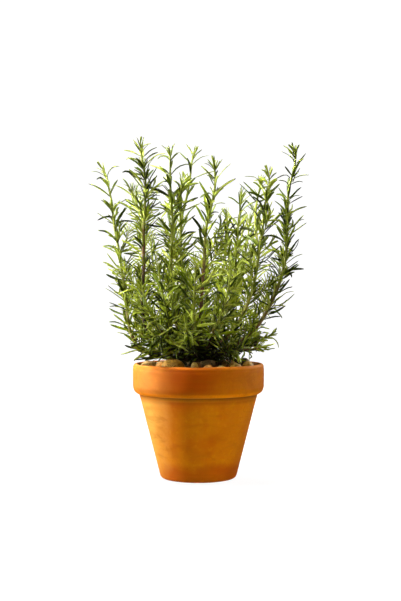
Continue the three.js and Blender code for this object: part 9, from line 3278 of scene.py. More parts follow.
        [24,2,-308,-645,1779,-330,-696,1803,-360,-749,1810],
        [24,2,-308,-642,1787,-315,-681,1830,-307,-701,1884],
        [26,4,-300,-625,1779,-291,-692,1818,-254,-739,1866],
        [26,4,-308,-624,1777,-356,-674,1801,-409,-711,1836],
        [24,8,-296,-586,1769,-340,-625,1818,-377,-644,1882],
        [24,8,-289,-590,1763,-283,-666,1764,-269,-741,1770],
        [26,13,-287,-539,1754,-349,-610,1779,-409,-675,1819],
        [26,13,-277,-542,1751,-242,-623,1744,-196,-699,1734],
        [28,19,-273,-493,1738,-276,-593,1672,-266,-670,1580],
        [28,19,-273,-491,1749,-262,-562,1838,-223,-616,1931],
        [27,26,-260,-413,1729,-187,-515,1712,-123,-618,1677],
        [27,26,-272,-412,1729,-349,-490,1717,-453,-524,1703],
        [26,68,-465,-554,1919,-507,-586,1854,-531,-630,1787],
        [28,80,-401,-483,1845,-440,-550,1834,-455,-616,1796],
        [23,70,-440,-544,1916,-383,-584,1927,-329,-624,1947],
        [31,98,-298,-375,1744,-332,-448,1747,-349,-526,1739],
        [23,90,-334,-422,1800,-344,-513,1869,-300,-594,1937],
        [24,112,-205,-283,1688,-134,-314,1752,-43,-344,1785],
        [24,88,-363,-428,1799,-432,-459,1747,-482,-492,1678],
        [25,84,-377,-459,1822,-415,-548,1829,-436,-637,1861],
        [27,70,-453,-544,1906,-512,-648,1872,-544,-746,1803],
        [31,92,-340,-406,1776,-396,-454,1745,-439,-520,1729],
        [28,72,-448,-526,1895,-519,-532,1816,-601,-548,1750],
        [24,66,-478,-560,1935,-550,-552,1916,-620,-531,1902],
        [27,84,-369,-460,1831,-329,-512,1835,-275,-549,1828],
        [30,100,-288,-361,1732,-325,-420,1728,-351,-478,1699],
        [24,84,-373,-461,1825,-358,-549,1802,-353,-640,1785],
        [22,128,-111,-181,1607,-120,-232,1689,-111,-280,1772],
        [26,94,-325,-396,1764,-385,-484,1698,-435,-585,1646],
        [23,78,-419,-486,1860,-499,-523,1873,-570,-575,1883],
        [27,106,-253,-324,1700,-284,-385,1669,-317,-449,1651],
        [23,88,-360,-432,1798,-420,-507,1783,-463,-594,1776],
        [26,74,-420,-516,1895,-371,-548,1937,-322,-577,1980],
        [24,106,-246,-327,1704,-212,-427,1668,-183,-533,1654],
        [26,124,-136,-204,1629,-127,-229,1726,-116,-273,1816],
        [23,80,-391,-485,1852,-343,-575,1845,-290,-660,1822],
        [28,104,-252,-334,1727,-261,-382,1771,-270,-434,1812],
        [24,144,-25,-65,1541,-1,-89,1605,34,-123,1660],
        [29,88,-365,-424,1801,-465,-433,1759,-560,-475,1725],
        [25,80,-396,-485,1848,-421,-604,1856,-419,-726,1846],
        [23,106,-261,-315,1701,-359,-324,1646,-457,-347,1595],
        [24,82,-397,-463,1835,-457,-478,1811,-518,-493,1791],
        [23,104,-260,-339,1713,-277,-411,1697,-305,-476,1671],
        [23,82,-395,-466,1834,-455,-507,1794,-510,-565,1770],
        [28,76,-415,-510,1873,-412,-582,1878,-389,-650,1883],
        [28,94,-319,-400,1767,-350,-481,1775,-379,-561,1791],
        [31,74,-433,-519,1882,-465,-572,1799,-498,-597,1704],
    ],
    "sprig_back_left": [
        [17,0,-670,1027,3152,-683,1037,3198,-704,1044,3242],
        [17,1,-660,1024,3143,-649,1034,3196,-630,1045,3246],
        [17,2,-669,1021,3133,-691,1024,3187,-715,1022,3240],
        [17,3,-668,1019,3123,-693,1019,3171,-730,1014,3210],
        [21,4,-657,1019,3113,-625,1029,3171,-592,1035,3229],
        [21,5,-667,1019,3103,-704,1041,3151,-745,1063,3196],
        [21,6,-656,1018,3093,-618,1047,3145,-580,1080,3195],
        [27,12,-659,999,3036,-700,956,3109,-752,908,3170],
        [27,12,-654,1012,3034,-643,1079,3094,-619,1156,3134],
        [24,17,-643,997,2987,-594,1042,3063,-511,1081,3105],
        [24,17,-657,997,2985,-717,1038,3066,-801,1066,3130],
        [28,26,-632,976,2900,-595,1095,2964,-548,1224,2988],
        [28,26,-632,962,2905,-618,936,3021,-604,877,3124],
        [30,37,-626,930,2799,-781,949,2884,-955,952,2923],
        [30,37,-608,936,2800,-530,1008,2883,-426,1058,2951],
        [36,47,-601,886,2712,-686,794,2838,-774,683,2945],
        [36,47,-600,904,2705,-674,1048,2770,-772,1192,2756],
        [24,-47,-611,910,2728,-647,944,2760,-691,981,2775],
        [24,-47,-599,911,2719,-612,958,2761,-628,1017,2782],
        [24,-47,-594,910,2723,-568,969,2759,-544,1026,2799],
        [33,57,-563,858,2611,-559,954,2734,-517,1084,2811],
        [33,57,-581,845,2612,-684,828,2699,-792,819,2782],
        [24,-57,-587,858,2622,-665,893,2668,-754,927,2686],
        [24,-57,-588,858,2627,-625,889,2689,-670,928,2741],
        [24,-57,-587,854,2626,-649,861,2669,-722,863,2687],
        [24,-57,-585,866,2624,-648,930,2676,-721,993,2715],
        [34,66,-555,827,2537,-607,982,2572,-648,1138,2614],
        [34,66,-560,809,2544,-665,782,2641,-794,746,2700],
        [35,76,-534,778,2451,-626,880,2510,-713,994,2552],
        [35,76,-516,768,2463,-467,787,2615,-391,788,2756],
        [30,88,-497,704,2362,-590,634,2489,-655,502,2580],
        [30,88,-485,725,2354,-458,897,2389,-448,1072,2422],
        [34,97,-451,674,2287,-422,774,2391,-369,889,2464],
        [34,97,-474,670,2281,-591,730,2328,-720,783,2319],
        [24,-97,-481,674,2295,-518,698,2336,-569,710,2366],
        [24,-97,-475,688,2293,-511,751,2340,-540,830,2359],
        [24,-97,-479,670,2296,-536,673,2338,-594,659,2377],
        [32,110,-424,610,2176,-522,754,2188,-633,888,2172],
        [24,-110,-414,620,2195,-407,691,2248,-387,753,2310],
        [24,-110,-433,616,2187,-468,655,2220,-510,684,2256],
        [24,-110,-421,625,2195,-438,678,2241,-437,741,2276],
        [32,110,-425,591,2189,-534,530,2311,-622,430,2425],
        [29,122,-384,530,2093,-499,565,2153,-633,576,2160],
        [24,-122,-385,555,2099,-431,623,2130,-477,693,2158],
        [24,-122,-395,545,2108,-462,590,2157,-542,631,2183],
        [24,-122,-391,546,2099,-464,593,2130,-550,623,2139],
        [29,122,-359,538,2102,-315,614,2217,-221,674,2309],
        [29,134,-328,455,2017,-440,439,2138,-544,397,2260],
        [24,-134,-339,466,2027,-378,485,2073,-413,493,2125],
        [24,-134,-317,470,2034,-324,491,2090,-335,508,2146],
        [24,-134,-324,473,2042,-352,517,2128,-371,566,2214],
        [29,134,-324,476,2002,-419,611,2062,-526,750,2073],
        [38,147,-251,387,1935,-232,453,2084,-139,490,2214],
        [38,147,-272,395,1914,-385,495,1898,-492,593,1856],
        [37,159,-213,321,1826,-289,428,1814,-382,518,1784],
        [37,159,-203,302,1850,-226,320,1978,-240,279,2103],
        [31,170,-184,249,1762,-343,324,1766,-510,333,1710],
        [24,-170,-188,260,1768,-253,312,1776,-324,354,1762],
        [24,-170,-192,259,1775,-250,288,1787,-313,305,1799],
        [24,-170,-192,265,1776,-229,307,1813,-275,339,1850],
        [24,-170,-194,256,1781,-243,301,1826,-307,340,1852],
        [31,170,-154,251,1776,-93,336,1867,-35,440,1937],
        [38,179,-145,170,1711,-259,147,1813,-385,93,1884],
        [38,179,-139,192,1692,-220,335,1649,-330,456,1602],
        [21,2,-809,826,3091,-840,801,3126,-877,768,3149],
        [21,2,-805,832,3095,-813,837,3156,-808,849,3216],
        [27,5,-789,834,3069,-805,813,3140,-786,793,3211],
        [27,5,-797,838,3066,-852,836,3122,-918,845,3165],
        [26,9,-770,847,3036,-795,839,3119,-782,841,3205],
        [26,9,-776,842,3030,-839,812,3067,-909,789,3092],
        [28,14,-751,859,2990,-856,859,3019,-962,887,3020],
        [28,14,-743,853,2992,-736,781,3051,-709,718,3113],
        [28,21,-718,875,2941,-833,807,2932,-949,741,2926],
        [28,21,-712,882,2948,-738,922,3055,-735,1000,3143],
        [28,30,-652,917,2876,-607,876,3000,-539,861,3120],
        [28,30,-662,920,2869,-772,920,2871,-875,951,2852],
        [24,2,-746,1057,2833,-780,1071,2870,-822,1086,2899],
        [24,2,-741,1063,2831,-762,1098,2867,-785,1140,2893],
        [25,5,-731,1038,2815,-751,1044,2872,-762,1045,2931],
        [25,5,-733,1044,2809,-774,1097,2820,-822,1144,2829],
        [25,8,-714,1026,2794,-717,1080,2842,-703,1136,2885],
        [25,8,-722,1023,2791,-784,1052,2812,-853,1071,2811],
        [24,12,-701,1002,2764,-763,1071,2785,-827,1138,2762],
        [24,12,-695,999,2772,-683,1036,2864,-647,1074,2950],
        [25,17,-672,959,2734,-769,1005,2777,-878,1041,2796],
        [25,17,-663,966,2734,-711,1063,2793,-762,1162,2844],
        [27,24,-627,915,2706,-709,965,2803,-798,1013,2893],
        [27,24,-626,923,2696,-679,1017,2713,-697,1124,2700],
        [24,2,-822,1003,2666,-870,1026,2690,-927,1034,2691],
        [24,2,-815,1006,2670,-836,1047,2718,-848,1097,2759],
        [22,5,-800,986,2654,-829,994,2711,-844,999,2774],
        [22,5,-801,992,2647,-850,1054,2652,-889,1117,2623],
        [22,9,-772,969,2631,-802,1018,2684,-819,1072,2738],
        [22,9,-779,967,2625,-868,991,2623,-960,1000,2621],
        [28,14,-737,937,2593,-808,996,2600,-872,1063,2599],
        [28,14,-736,932,2601,-815,954,2682,-891,966,2768],
        [26,22,-689,897,2561,-801,939,2535,-907,949,2475],
        [26,22,-682,900,2569,-698,987,2663,-695,1068,2762],
        [27,29,-637,855,2541,-743,802,2602,-855,750,2653],
        [27,29,-634,864,2534,-686,948,2486,-742,1029,2438],
        [24,2,-718,804,2453,-774,834,2477,-837,853,2492],
        [24,2,-713,809,2458,-739,844,2493,-753,878,2535],
        [27,5,-692,789,2447,-728,790,2496,-757,779,2549],
        [27,5,-691,796,2441,-738,845,2450,-770,904,2434],
        [22,9,-649,777,2425,-685,860,2458,-715,940,2502],
        [22,9,-654,769,2422,-746,762,2404,-836,759,2378],
        [23,14,-619,758,2406,-725,791,2417,-832,799,2389],
        [23,14,-616,756,2417,-658,766,2491,-659,772,2576],
        [28,21,-546,733,2384,-673,719,2337,-772,698,2245],
        [28,21,-542,740,2394,-630,780,2444,-681,832,2524],
        [22,2,-535,965,2378,-554,1003,2416,-587,1018,2460],
        [22,2,-528,968,2375,-511,1020,2407,-481,1061,2445],
        [27,5,-527,940,2363,-541,968,2414,-553,993,2466],
        [27,5,-526,945,2355,-537,1004,2373,-543,1064,2389],
        [24,8,-517,921,2341,-515,987,2366,-504,1051,2393],
        [24,8,-524,916,2346,-559,958,2404,-584,997,2469],
        [24,13,-510,878,2315,-536,970,2289,-568,1057,2257],
        [24,13,-508,874,2324,-507,936,2402,-497,998,2479],
        [27,19,-501,823,2293,-614,879,2308,-731,915,2340],
        [27,19,-492,826,2291,-457,952,2275,-407,1059,2217],
        [28,28,-471,742,2270,-457,804,2378,-427,866,2484],
        [28,28,-478,743,2260,-547,837,2250,-634,914,2238],
        [20,2,-493,439,2349,-541,432,2393,-599,432,2424],
        [20,2,-486,442,2354,-505,439,2414,-500,427,2475],
        [23,4,-476,440,2337,-487,425,2400,-501,410,2463],
        [23,4,-480,446,2334,-520,473,2396,-545,510,2460],
        [28,8,-458,449,2302,-479,483,2367,-474,530,2427],
        [28,8,-460,440,2300,-504,404,2359,-532,337,2398],
        [23,12,-442,454,2266,-499,496,2315,-547,564,2340],
        [23,12,-435,448,2269,-421,422,2354,-376,390,2424],
        [25,19,-413,460,2203,-512,419,2271,-632,382,2291],
        [25,19,-404,465,2208,-404,475,2332,-351,500,2441],
        [28,27,-372,481,2137,-310,441,2212,-225,395,2254],
        [28,27,-384,484,2134,-493,493,2189,-605,535,2215],
        [24,2,-298,508,2195,-316,514,2251,-337,500,2304],
        [24,2,-295,515,2192,-293,568,2235,-272,629,2256],
        [23,5,-286,496,2170,-265,517,2225,-230,518,2276],
        [23,5,-295,496,2168,-341,523,2201,-402,537,2212],
        [22,9,-283,481,2133,-303,567,2161,-322,653,2191],
        [22,9,-286,473,2137,-335,469,2208,-381,454,2280],
        [26,13,-281,460,2100,-362,510,2144,-449,543,2193],
        [26,13,-271,459,2102,-222,490,2191,-157,497,2274],
        [24,20,-272,427,2040,-327,419,2160,-401,368,2256],
        [24,20,-267,436,2036,-276,510,2112,-298,606,2153],
        [22,2,-526,307,2043,-575,305,2087,-614,299,2139],
        [22,2,-525,315,2042,-568,325,2071,-610,345,2098],
        [23,5,-501,303,2027,-538,286,2081,-579,259,2127],
        [23,5,-505,308,2021,-571,341,2030,-630,384,2047],
        [28,9,-469,304,2003,-501,361,2066,-522,406,2142],
        [28,9,-472,296,2000,-549,254,2023,-605,185,2040],
        [22,13,-441,298,1975,-520,321,1991,-596,357,1994],
        [22,13,-435,297,1983,-481,310,2073,-495,328,2173],
        [28,18,-396,288,1953,-450,203,2026,-482,115,2109],
        [28,18,-395,298,1955,-421,374,2048,-451,448,2141],
        [27,25,-336,291,1919,-394,244,2017,-453,191,2112],
        [27,25,-341,298,1911,-450,334,1908,-555,379,1890],
        [26,11,-650,1008,3045,-567,1013,3060,-487,1020,3083],
        [26,2,-658,1021,3133,-636,1024,3199,-579,1025,3238],
        [26,190,-111,113,1632,-184,148,1674,-258,187,1712],
        [30,196,-56,80,1610,-13,74,1703,39,90,1790],
        [28,184,-132,145,1682,-221,114,1732,-315,95,1778],
        [30,186,-127,144,1656,-224,209,1683,-340,238,1689],
        [25,202,-50,49,1550,-153,82,1590,-244,125,1647],
    ],
    "sprig_back_mid_left": [
        [17,0,-302,1113,3101,-306,1125,3154,-319,1145,3204],
        [17,1,-294,1106,3092,-289,1106,3142,-278,1110,3190],
        [17,2,-301,1107,3082,-319,1110,3133,-342,1108,3183],
        [17,3,-291,1105,3072,-271,1112,3124,-237,1121,3168],
        [21,4,-300,1107,3061,-322,1132,3112,-341,1163,3160],
        [21,5,-301,1103,3052,-343,1118,3107,-394,1127,3155],
        [21,6,-290,1101,3042,-251,1116,3087,-202,1130,3122],
        [23,12,-300,1083,2984,-363,1077,3066,-456,1060,3107],
        [23,12,-288,1092,2983,-246,1155,3051,-174,1217,3090],
        [28,17,-284,1068,2938,-256,1073,3050,-211,1066,3156],
        [28,17,-293,1079,2933,-316,1139,3016,-356,1225,3058],
        [26,25,-275,1048,2860,-214,1116,2951,-104,1159,3002],
        [26,25,-286,1037,2864,-319,1034,2980,-371,1018,3088],
        [27,33,-278,1020,2784,-324,1142,2882,-376,1268,2973],
        [27,33,-266,1009,2791,-174,1004,2897,-61,965,2972],
        [24,-33,-272,1012,2808,-267,1020,2864,-251,1026,2918],
        [24,-33,-268,1014,2805,-237,1014,2858,-196,1015,2905],
        [24,-33,-278,1012,2810,-293,1000,2884,-320,979,2953],
        [24,-33,-269,1020,2814,-241,1047,2904,-200,1085,2985],
        [29,41,-272,972,2719,-379,939,2854,-504,860,2949],
        [29,41,-258,984,2715,-183,1084,2779,-64,1157,2790],
        [24,-41,-257,988,2732,-223,1034,2800,-187,1082,2865],
        [24,-41,-262,994,2730,-254,1065,2799,-238,1145,2856],
        [24,-41,-259,995,2738,-223,1040,2768,-189,1089,2794],
        [30,53,-243,916,2616,-200,928,2755,-123,938,2878],
        [24,-53,-253,923,2636,-262,940,2708,-273,949,2782],
        [24,-53,-243,930,2635,-235,958,2710,-232,979,2788],
        [30,53,-253,931,2606,-295,1072,2618,-316,1218,2635],
        [24,-53,-252,941,2623,-259,987,2665,-270,1042,2693],
        [24,-53,-264,937,2631,-298,967,2663,-339,999,2680],
        [24,-53,-262,930,2621,-299,981,2699,-348,1046,2758],
        [33,64,-224,870,2518,-98,924,2595,31,950,2680],
        [24,-64,-231,889,2534,-207,958,2571,-178,1028,2603],
        [24,-64,-226,877,2534,-171,912,2603,-102,923,2667],
        [33,64,-241,859,2521,-329,832,2667,-449,793,2783],
        [29,73,-231,826,2437,-318,931,2502,-426,1027,2547],
        [24,-73,-236,826,2450,-299,859,2496,-364,895,2537],
        [24,-73,-237,836,2458,-279,879,2506,-324,910,2561],
        [24,-73,-229,844,2456,-255,936,2495,-273,1038,2502],
        [29,73,-218,812,2448,-197,783,2608,-166,719,2755],
        [24,-73,-223,821,2464,-224,835,2557,-204,833,2648],
        [24,-73,-221,819,2462,-215,803,2536,-203,768,2603],
        [36,82,-220,767,2368,-337,796,2463,-463,801,2551],
        [24,-82,-223,776,2379,-265,815,2437,-312,863,2483],
        [24,-82,-219,773,2391,-239,792,2440,-272,804,2485],
        [24,-82,-223,779,2376,-293,816,2405,-370,845,2424],
        [24,-82,-222,776,2389,-279,787,2458,-350,793,2512],
        [36,82,-196,773,2369,-129,848,2458,-23,903,2520],
        [24,-82,-204,791,2381,-202,866,2450,-199,941,2519],
        [24,-82,-206,793,2381,-189,856,2399,-162,915,2416],
        [32,91,-192,708,2304,-204,749,2437,-209,754,2576],
        [32,91,-204,722,2291,-283,831,2359,-373,951,2361],
        [24,-91,-209,726,2306,-247,776,2374,-310,812,2431],
        [24,-91,-200,741,2305,-219,805,2328,-246,868,2345],
        [24,-91,-196,744,2309,-206,831,2355,-221,922,2389],
        [29,102,-167,660,2206,-136,789,2265,-102,930,2275],
        [29,102,-188,648,2210,-276,726,2316,-395,805,2384],
        [38,113,-160,593,2117,-207,721,2139,-268,843,2156],
        [38,113,-156,573,2135,-177,585,2289,-210,577,2441],
        [24,-113,-153,584,2148,-137,591,2233,-97,584,2310],
        [24,-113,-148,591,2148,-139,631,2216,-116,665,2284],
        [35,126,-146,496,2029,-289,535,2107,-441,553,2176],
        [35,126,-125,510,2022,-123,662,2097,-102,820,2152],
        [24,-126,-120,513,2042,-89,550,2077,-48,586,2102],
        [24,-126,-122,516,2052,-80,550,2102,-37,593,2146],
        [24,-126,-122,520,2046,-92,591,2101,-61,671,2141],
        [30,136,-103,426,1967,-50,409,2106,22,342,2220],
        [24,-136,-110,441,1985,-105,471,2075,-75,491,2162],
        [24,-136,-103,444,1980,-86,487,2052,-57,532,2118],
        [24,-136,-120,439,1986,-140,433,2055,-165,427,2123],
        [24,-136,-99,445,1970,-99,485,2011,-90,527,2047],
        [30,136,-120,441,1948,-207,584,1972,-279,724,1911],
        [24,-136,-124,460,1964,-155,525,1991,-198,588,1996],
        [24,-136,-131,445,1970,-194,477,2001,-255,518,2023],
        [24,-136,-129,442,1962,-158,482,1998,-190,524,2027],
        [31,149,-71,354,1862,30,491,1902,148,617,1931],
        [31,149,-99,345,1862,-238,416,1924,-403,444,1940],
        [24,-149,-104,356,1884,-154,380,1933,-213,385,1978],
        [24,-149,-104,363,1875,-162,426,1911,-217,497,1935],
        [24,-149,-93,349,1891,-128,367,1978,-179,357,2058],
        [24,-149,-98,350,1887,-157,358,1962,-228,368,2024],
        [32,160,-60,283,1777,-73,427,1749,-61,549,1668],
        [24,-160,-67,291,1785,-91,346,1789,-121,397,1792],
        [24,-160,-78,285,1792,-119,319,1811,-168,342,1827],
        [24,-160,-67,300,1793,-85,386,1805,-92,473,1821],
        [32,160,-59,260,1799,-77,242,1936,-93,162,2048],
        [24,-160,-72,276,1815,-96,277,1865,-118,264,1914],
        [24,-160,-62,272,1813,-68,266,1893,-88,260,1971],
        [38,169,-48,198,1734,-108,216,1860,-166,183,1983],
        [38,169,-28,219,1719,38,374,1771,166,494,1790],
        [24,-169,-31,234,1736,-27,292,1781,-8,346,1829],
        [24,-169,-38,239,1734,-38,294,1757,-37,347,1783],
        [24,-169,-34,230,1725,-14,317,1745,30,397,1750],
        [22,2,-355,967,2953,-395,948,2991,-438,935,3028],
        [22,2,-350,974,2955,-359,998,3018,-365,1028,3079],
        [22,6,-336,969,2928,-337,957,3000,-316,937,3067],
        [22,6,-345,972,2924,-396,986,2964,-454,1001,2993],
        [28,9,-324,979,2890,-347,1011,2958,-375,1063,3011],
        [28,9,-330,972,2886,-386,949,2934,-451,927,2969],
        [24,14,-308,988,2842,-358,1004,2912,-397,1023,2988],
        [24,14,-300,980,2844,-315,948,2935,-325,911,3024],
        [26,2,-421,1166,2770,-457,1209,2795,-505,1245,2804],
        [26,2,-413,1168,2773,-423,1219,2815,-409,1260,2866],
        [24,5,-405,1142,2760,-429,1157,2824,-454,1175,2887],
        [24,5,-403,1147,2753,-427,1208,2773,-456,1270,2778],
        [26,9,-383,1115,2740,-409,1182,2799,-439,1244,2862],
        [26,9,-391,1112,2736,-461,1152,2761,-542,1174,2756],
        [28,14,-360,1081,2712,-406,1177,2743,-447,1278,2761],
        [28,14,-363,1075,2720,-408,1108,2785,-443,1123,2862],
        [28,21,-327,1027,2684,-404,1113,2674,-461,1191,2609],
        [28,21,-319,1028,2692,-314,1141,2772,-312,1255,2851],
        [25,2,-151,933,2689,-143,956,2740,-159,964,2794],
        [25,2,-143,936,2687,-114,964,2723,-76,988,2754],
        [21,6,-150,917,2663,-139,915,2741,-122,907,2818],
        [21,6,-154,925,2660,-159,962,2711,-164,1002,2761],
        [23,10,-152,903,2624,-118,928,2690,-63,939,2743],
        [23,10,-161,902,2627,-179,902,2711,-197,891,2794],
        [23,14,-172,889,2578,-178,977,2625,-193,1075,2634],
        [23,14,-169,879,2582,-144,855,2666,-118,817,2744],
        [28,19,-191,865,2538,-258,902,2648,-344,955,2735],
        [28,19,-180,865,2534,-80,890,2565,24,910,2580],
        [26,2,-34,814,2578,-36,837,2629,-55,865,2673],
        [26,2,-27,815,2574,-11,844,2633,0,883,2687],
        [27,5,-39,799,2552,-12,798,2606,26,784,2652],
        [27,5,-42,807,2550,-26,851,2600,-13,908,2636],
        [28,9,-50,789,2515,5,827,2539,55,871,2564],
        [28,9,-58,789,2519,-72,820,2587,-109,845,2649],
        [23,15,-77,772,2464,-32,855,2492,0,943,2523],
        [23,15,-75,763,2467,-3,724,2532,65,668,2587],
        [28,22,-120,746,2404,-113,795,2532,-146,828,2661],
        [28,22,-111,747,2398,-13,806,2404,94,848,2406],
        [25,2,-64,819,2274,-57,857,2321,-59,894,2368],
        [25,2,-63,825,2268,-52,873,2298,-37,926,2317],
        [24,5,-65,799,2251,-29,849,2302,21,882,2354],
        [24,5,-73,800,2253,-103,840,2315,-136,883,2373],
        [21,9,-77,774,2222,-58,847,2239,-39,921,2255],
        [21,9,-77,768,2230,-61,809,2298,-60,840,2374],
        [25,14,-95,731,2200,-117,806,2279,-187,862,2345],
        [25,14,-86,733,2194,-27,802,2208,34,870,2221],
        [28,20,-104,680,2170,-49,748,2254,14,809,2338],
        [28,20,-109,687,2161,-85,794,2190,-75,906,2208],
        [28,28,-124,623,2132,-24,662,2116,73,687,2075],
        [28,28,-136,627,2134,-168,758,2164,-247,869,2185],
        [20,2,-131,764,2107,-158,797,2142,-184,821,2184],
        [20,2,-123,767,2104,-103,819,2116,-76,870,2112],
        [22,5,-125,737,2095,-137,772,2154,-154,784,2220],
        [22,5,-123,741,2087,-120,810,2085,-104,872,2059],
        [26,8,-116,713,2078,-78,776,2101,-40,843,2111],
        [26,8,-126,713,2077,-169,768,2096,-216,812,2127],
        [28,12,-119,678,2057,-122,765,2031,-136,850,2003],
        [28,12,-116,674,2066,-114,755,2113,-124,831,2165],
        [28,19,-123,609,2041,-203,666,2106,-308,691,2155],
        [28,19,-112,610,2038,-81,701,2068,-39,789,2093],
        [28,25,-117,551,2027,-61,611,2125,8,613,2232],
        [28,25,-123,553,2017,-170,638,1956,-230,699,1881],
        [20,2,3,569,2096,13,586,2149,20,578,2204],
        [20,2,1,575,2091,13,616,2137,31,656,2181],
        [26,5,1,551,2072,35,583,2125,84,601,2173],
        [26,5,-7,552,2073,-17,583,2134,-21,607,2198],
        [27,9,-14,532,2039,0,602,2090,4,677,2135],
        [27,9,-9,524,2044,29,533,2109,59,539,2179],
        [28,14,-31,498,2006,-62,568,2046,-113,629,2079],
        [28,14,-22,496,2004,52,557,2047,153,582,2062],
        [28,22,-53,438,1957,39,465,2060,118,426,2169],
        [28,22,-56,446,1950,8,557,1936,77,649,1880],
        [30,190,13,76,1572,56,132,1615,81,195,1662],
        [23,190,-15,62,1577,-114,26,1636,-223,-21,1662],
        [31,178,-19,137,1673,-32,141,1776,-60,131,1875],
    ],
    "sprig_back_mid": [
        [17,0,121,1171,3048,124,1184,3093,131,1195,3138],
        [17,1,121,1161,3040,128,1168,3096,146,1166,3149],
        [17,2,123,1162,3029,144,1173,3085,174,1186,3136],
        [17,3,123,1162,3019,148,1185,3070,181,1211,3113],
        [21,4,123,1159,3010,152,1177,3064,195,1195,3108],
        [21,5,124,1155,3000,154,1169,3054,200,1186,3095],
        [21,6,123,1154,2990,165,1177,3033,215,1199,3067],
        [26,12,121,1131,2934,140,1106,3006,180,1066,3060],
        [26,12,115,1145,2930,87,1214,2996,29,1291,3021],
        [26,18,125,1124,2874,151,1172,2971,197,1231,3053],
        [26,18,110,1119,2875,39,1143,2971,-56,1150,3046],
        [28,25,113,1101,2807,72,1197,2864,7,1284,2914],
        [28,25,115,1087,2813,79,1028,2927,36,973,3041],
        [30,35,106,1051,2720,50,1120,2853,-16,1198,2977],
        [24,-35,109,1053,2739,76,1051,2800,39,1048,2859],
        [24,-35,108,1067,2740,45,1132,2782,-22,1193,2825],
        [24,-35,107,1055,2737,93,1080,2793,76,1113,2844],
        [24,-35,106,1061,2733,84,1098,2789,64,1134,2846],
        [30,35,124,1054,2718,212,1141,2798,333,1221,2815],
        [24,-35,125,1059,2731,158,1096,2789,190,1126,2851],
        [24,-35,124,1055,2740,175,1051,2797,233,1051,2847],
        [33,46,115,989,2629,130,1006,2795,122,1000,2963],
        [33,46,115,1006,2619,148,1128,2710,227,1258,2744],
        [24,-46,120,1015,2638,159,1080,2663,189,1152,2681],
        [24,-46,108,1015,2635,94,1084,2699,61,1158,2749],
        [36,56,118,949,2536,188,1049,2614,260,1159,2674],
        [24,-56,117,959,2547,136,1011,2595,153,1068,2638],
        [24,-56,120,955,2551,184,1000,2609,252,1032,2669],
        [36,56,98,943,2540,16,985,2644,-79,1010,2744],
        [35,64,100,908,2467,77,1034,2542,60,1181,2559],
        [24,-64,115,914,2478,140,965,2516,163,1015,2557],
        [24,-64,105,922,2483,101,1023,2509,104,1122,2541],
        [24,-64,107,920,2480,115,992,2535,127,1069,2582],
        [24,-64,97,919,2487,80,986,2560,64,1049,2637],
        [35,64,103,892,2478,92,863,2651,113,819,2819],
        [32,75,90,841,2380,-40,957,2407,-162,1084,2420],
        [24,-75,91,856,2400,38,925,2439,-25,996,2448],
        [24,-75,90,848,2405,48,870,2471,15,883,2545],
        [24,-75,94,857,2394,73,932,2446,28,1007,2479],
        [24,-75,94,837,2401,68,843,2476,36,824,2546],
        [32,75,111,839,2380,175,925,2464,255,994,2549],
        [24,-75,112,854,2395,147,925,2452,193,1001,2492],
        [24,-75,113,840,2396,168,863,2460,241,871,2510],
        [24,-75,112,850,2390,150,896,2411,190,942,2432],
        [30,87,99,753,2296,147,754,2445,209,711,2581],
        [24,-87,99,768,2317,115,769,2397,123,741,2473],
        [24,-87,104,763,2306,136,766,2356,180,760,2397],
        [30,87,96,771,2281,111,911,2261,123,1031,2185],
        [24,-87,93,785,2298,87,872,2304,81,957,2282],
        [24,-87,104,780,2297,137,829,2313,182,869,2319],
        [31,96,102,703,2220,190,773,2301,317,806,2345],
        [31,96,77,701,2224,-36,765,2346,-193,782,2427],
        [24,-96,80,707,2240,66,742,2308,54,768,2380],
        [24,-96,79,716,2245,32,731,2306,-14,741,2369],
        [24,-96,82,728,2234,48,802,2256,8,874,2270],
        [24,-96,78,724,2238,69,773,2288,46,820,2336],
        [36,107,89,639,2130,143,762,2130,210,879,2136],
        [36,107,86,621,2147,114,618,2296,111,614,2447],
        [24,-107,72,642,2163,52,671,2222,34,700,2282],
        [24,-107,87,631,2161,102,656,2247,123,680,2333],
        [24,-107,80,636,2165,78,661,2250,82,654,2338],
        [34,117,64,561,2067,5,642,2176,-71,726,2271],
        [34,117,91,563,2064,201,653,2166,305,742,2274],
        [24,-117,88,568,2086,119,575,2146,143,582,2210],
        [24,-117,93,582,2079,147,641,2123,202,698,2170],
        [24,-117,93,578,2084,143,599,2124,202,600,2156],
        [24,-117,89,580,2068,112,652,2123,145,728,2164],
        [28,130,78,467,1976,125,503,2120,218,485,2244],
        [24,-130,72,480,1994,74,504,2046,78,515,2103],
        [24,-130,62,478,1986,49,506,2040,29,522,2096],
        [28,130,68,487,1958,42,640,1974,-2,784,1934],
        [37,143,83,392,1869,182,492,1922,304,580,1911],
        [24,-143,80,389,1889,103,440,1968,139,494,2041],
        [24,-143,77,396,1900,102,415,1974,134,442,2043],
        [37,143,55,395,1867,4,536,1955,-68,692,1987],
        [24,-143,58,408,1874,40,482,1916,22,559,1951],
        [24,-143,52,401,1888,18,439,1934,-30,470,1972],
        [37,154,72,324,1782,131,456,1758,207,563,1691],
        [24,-154,61,340,1796,54,429,1847,42,518,1898],
        [24,-154,77,338,1801,101,402,1834,125,468,1863],
        [37,154,66,302,1803,72,320,1975,63,291,2146],
        [24,-154,54,322,1819,47,354,1867,31,370,1921],
        [24,-154,60,315,1817,53,334,1875,41,334,1935],
        [37,163,48,248,1731,-85,268,1819,-237,265,1868],
        [37,163,78,255,1722,209,366,1765,370,440,1756],
        [24,-163,78,258,1747,100,284,1791,134,298,1832],
        [24,-163,81,265,1741,102,300,1780,139,327,1815],
        [24,-163,75,250,1744,114,278,1824,168,306,1895],
        [25,2,263,1181,2992,259,1208,3040,246,1236,3086],
        [25,2,270,1182,2989,302,1215,3015,331,1256,3028],
        [22,5,259,1162,2968,299,1156,3025,350,1137,3069],
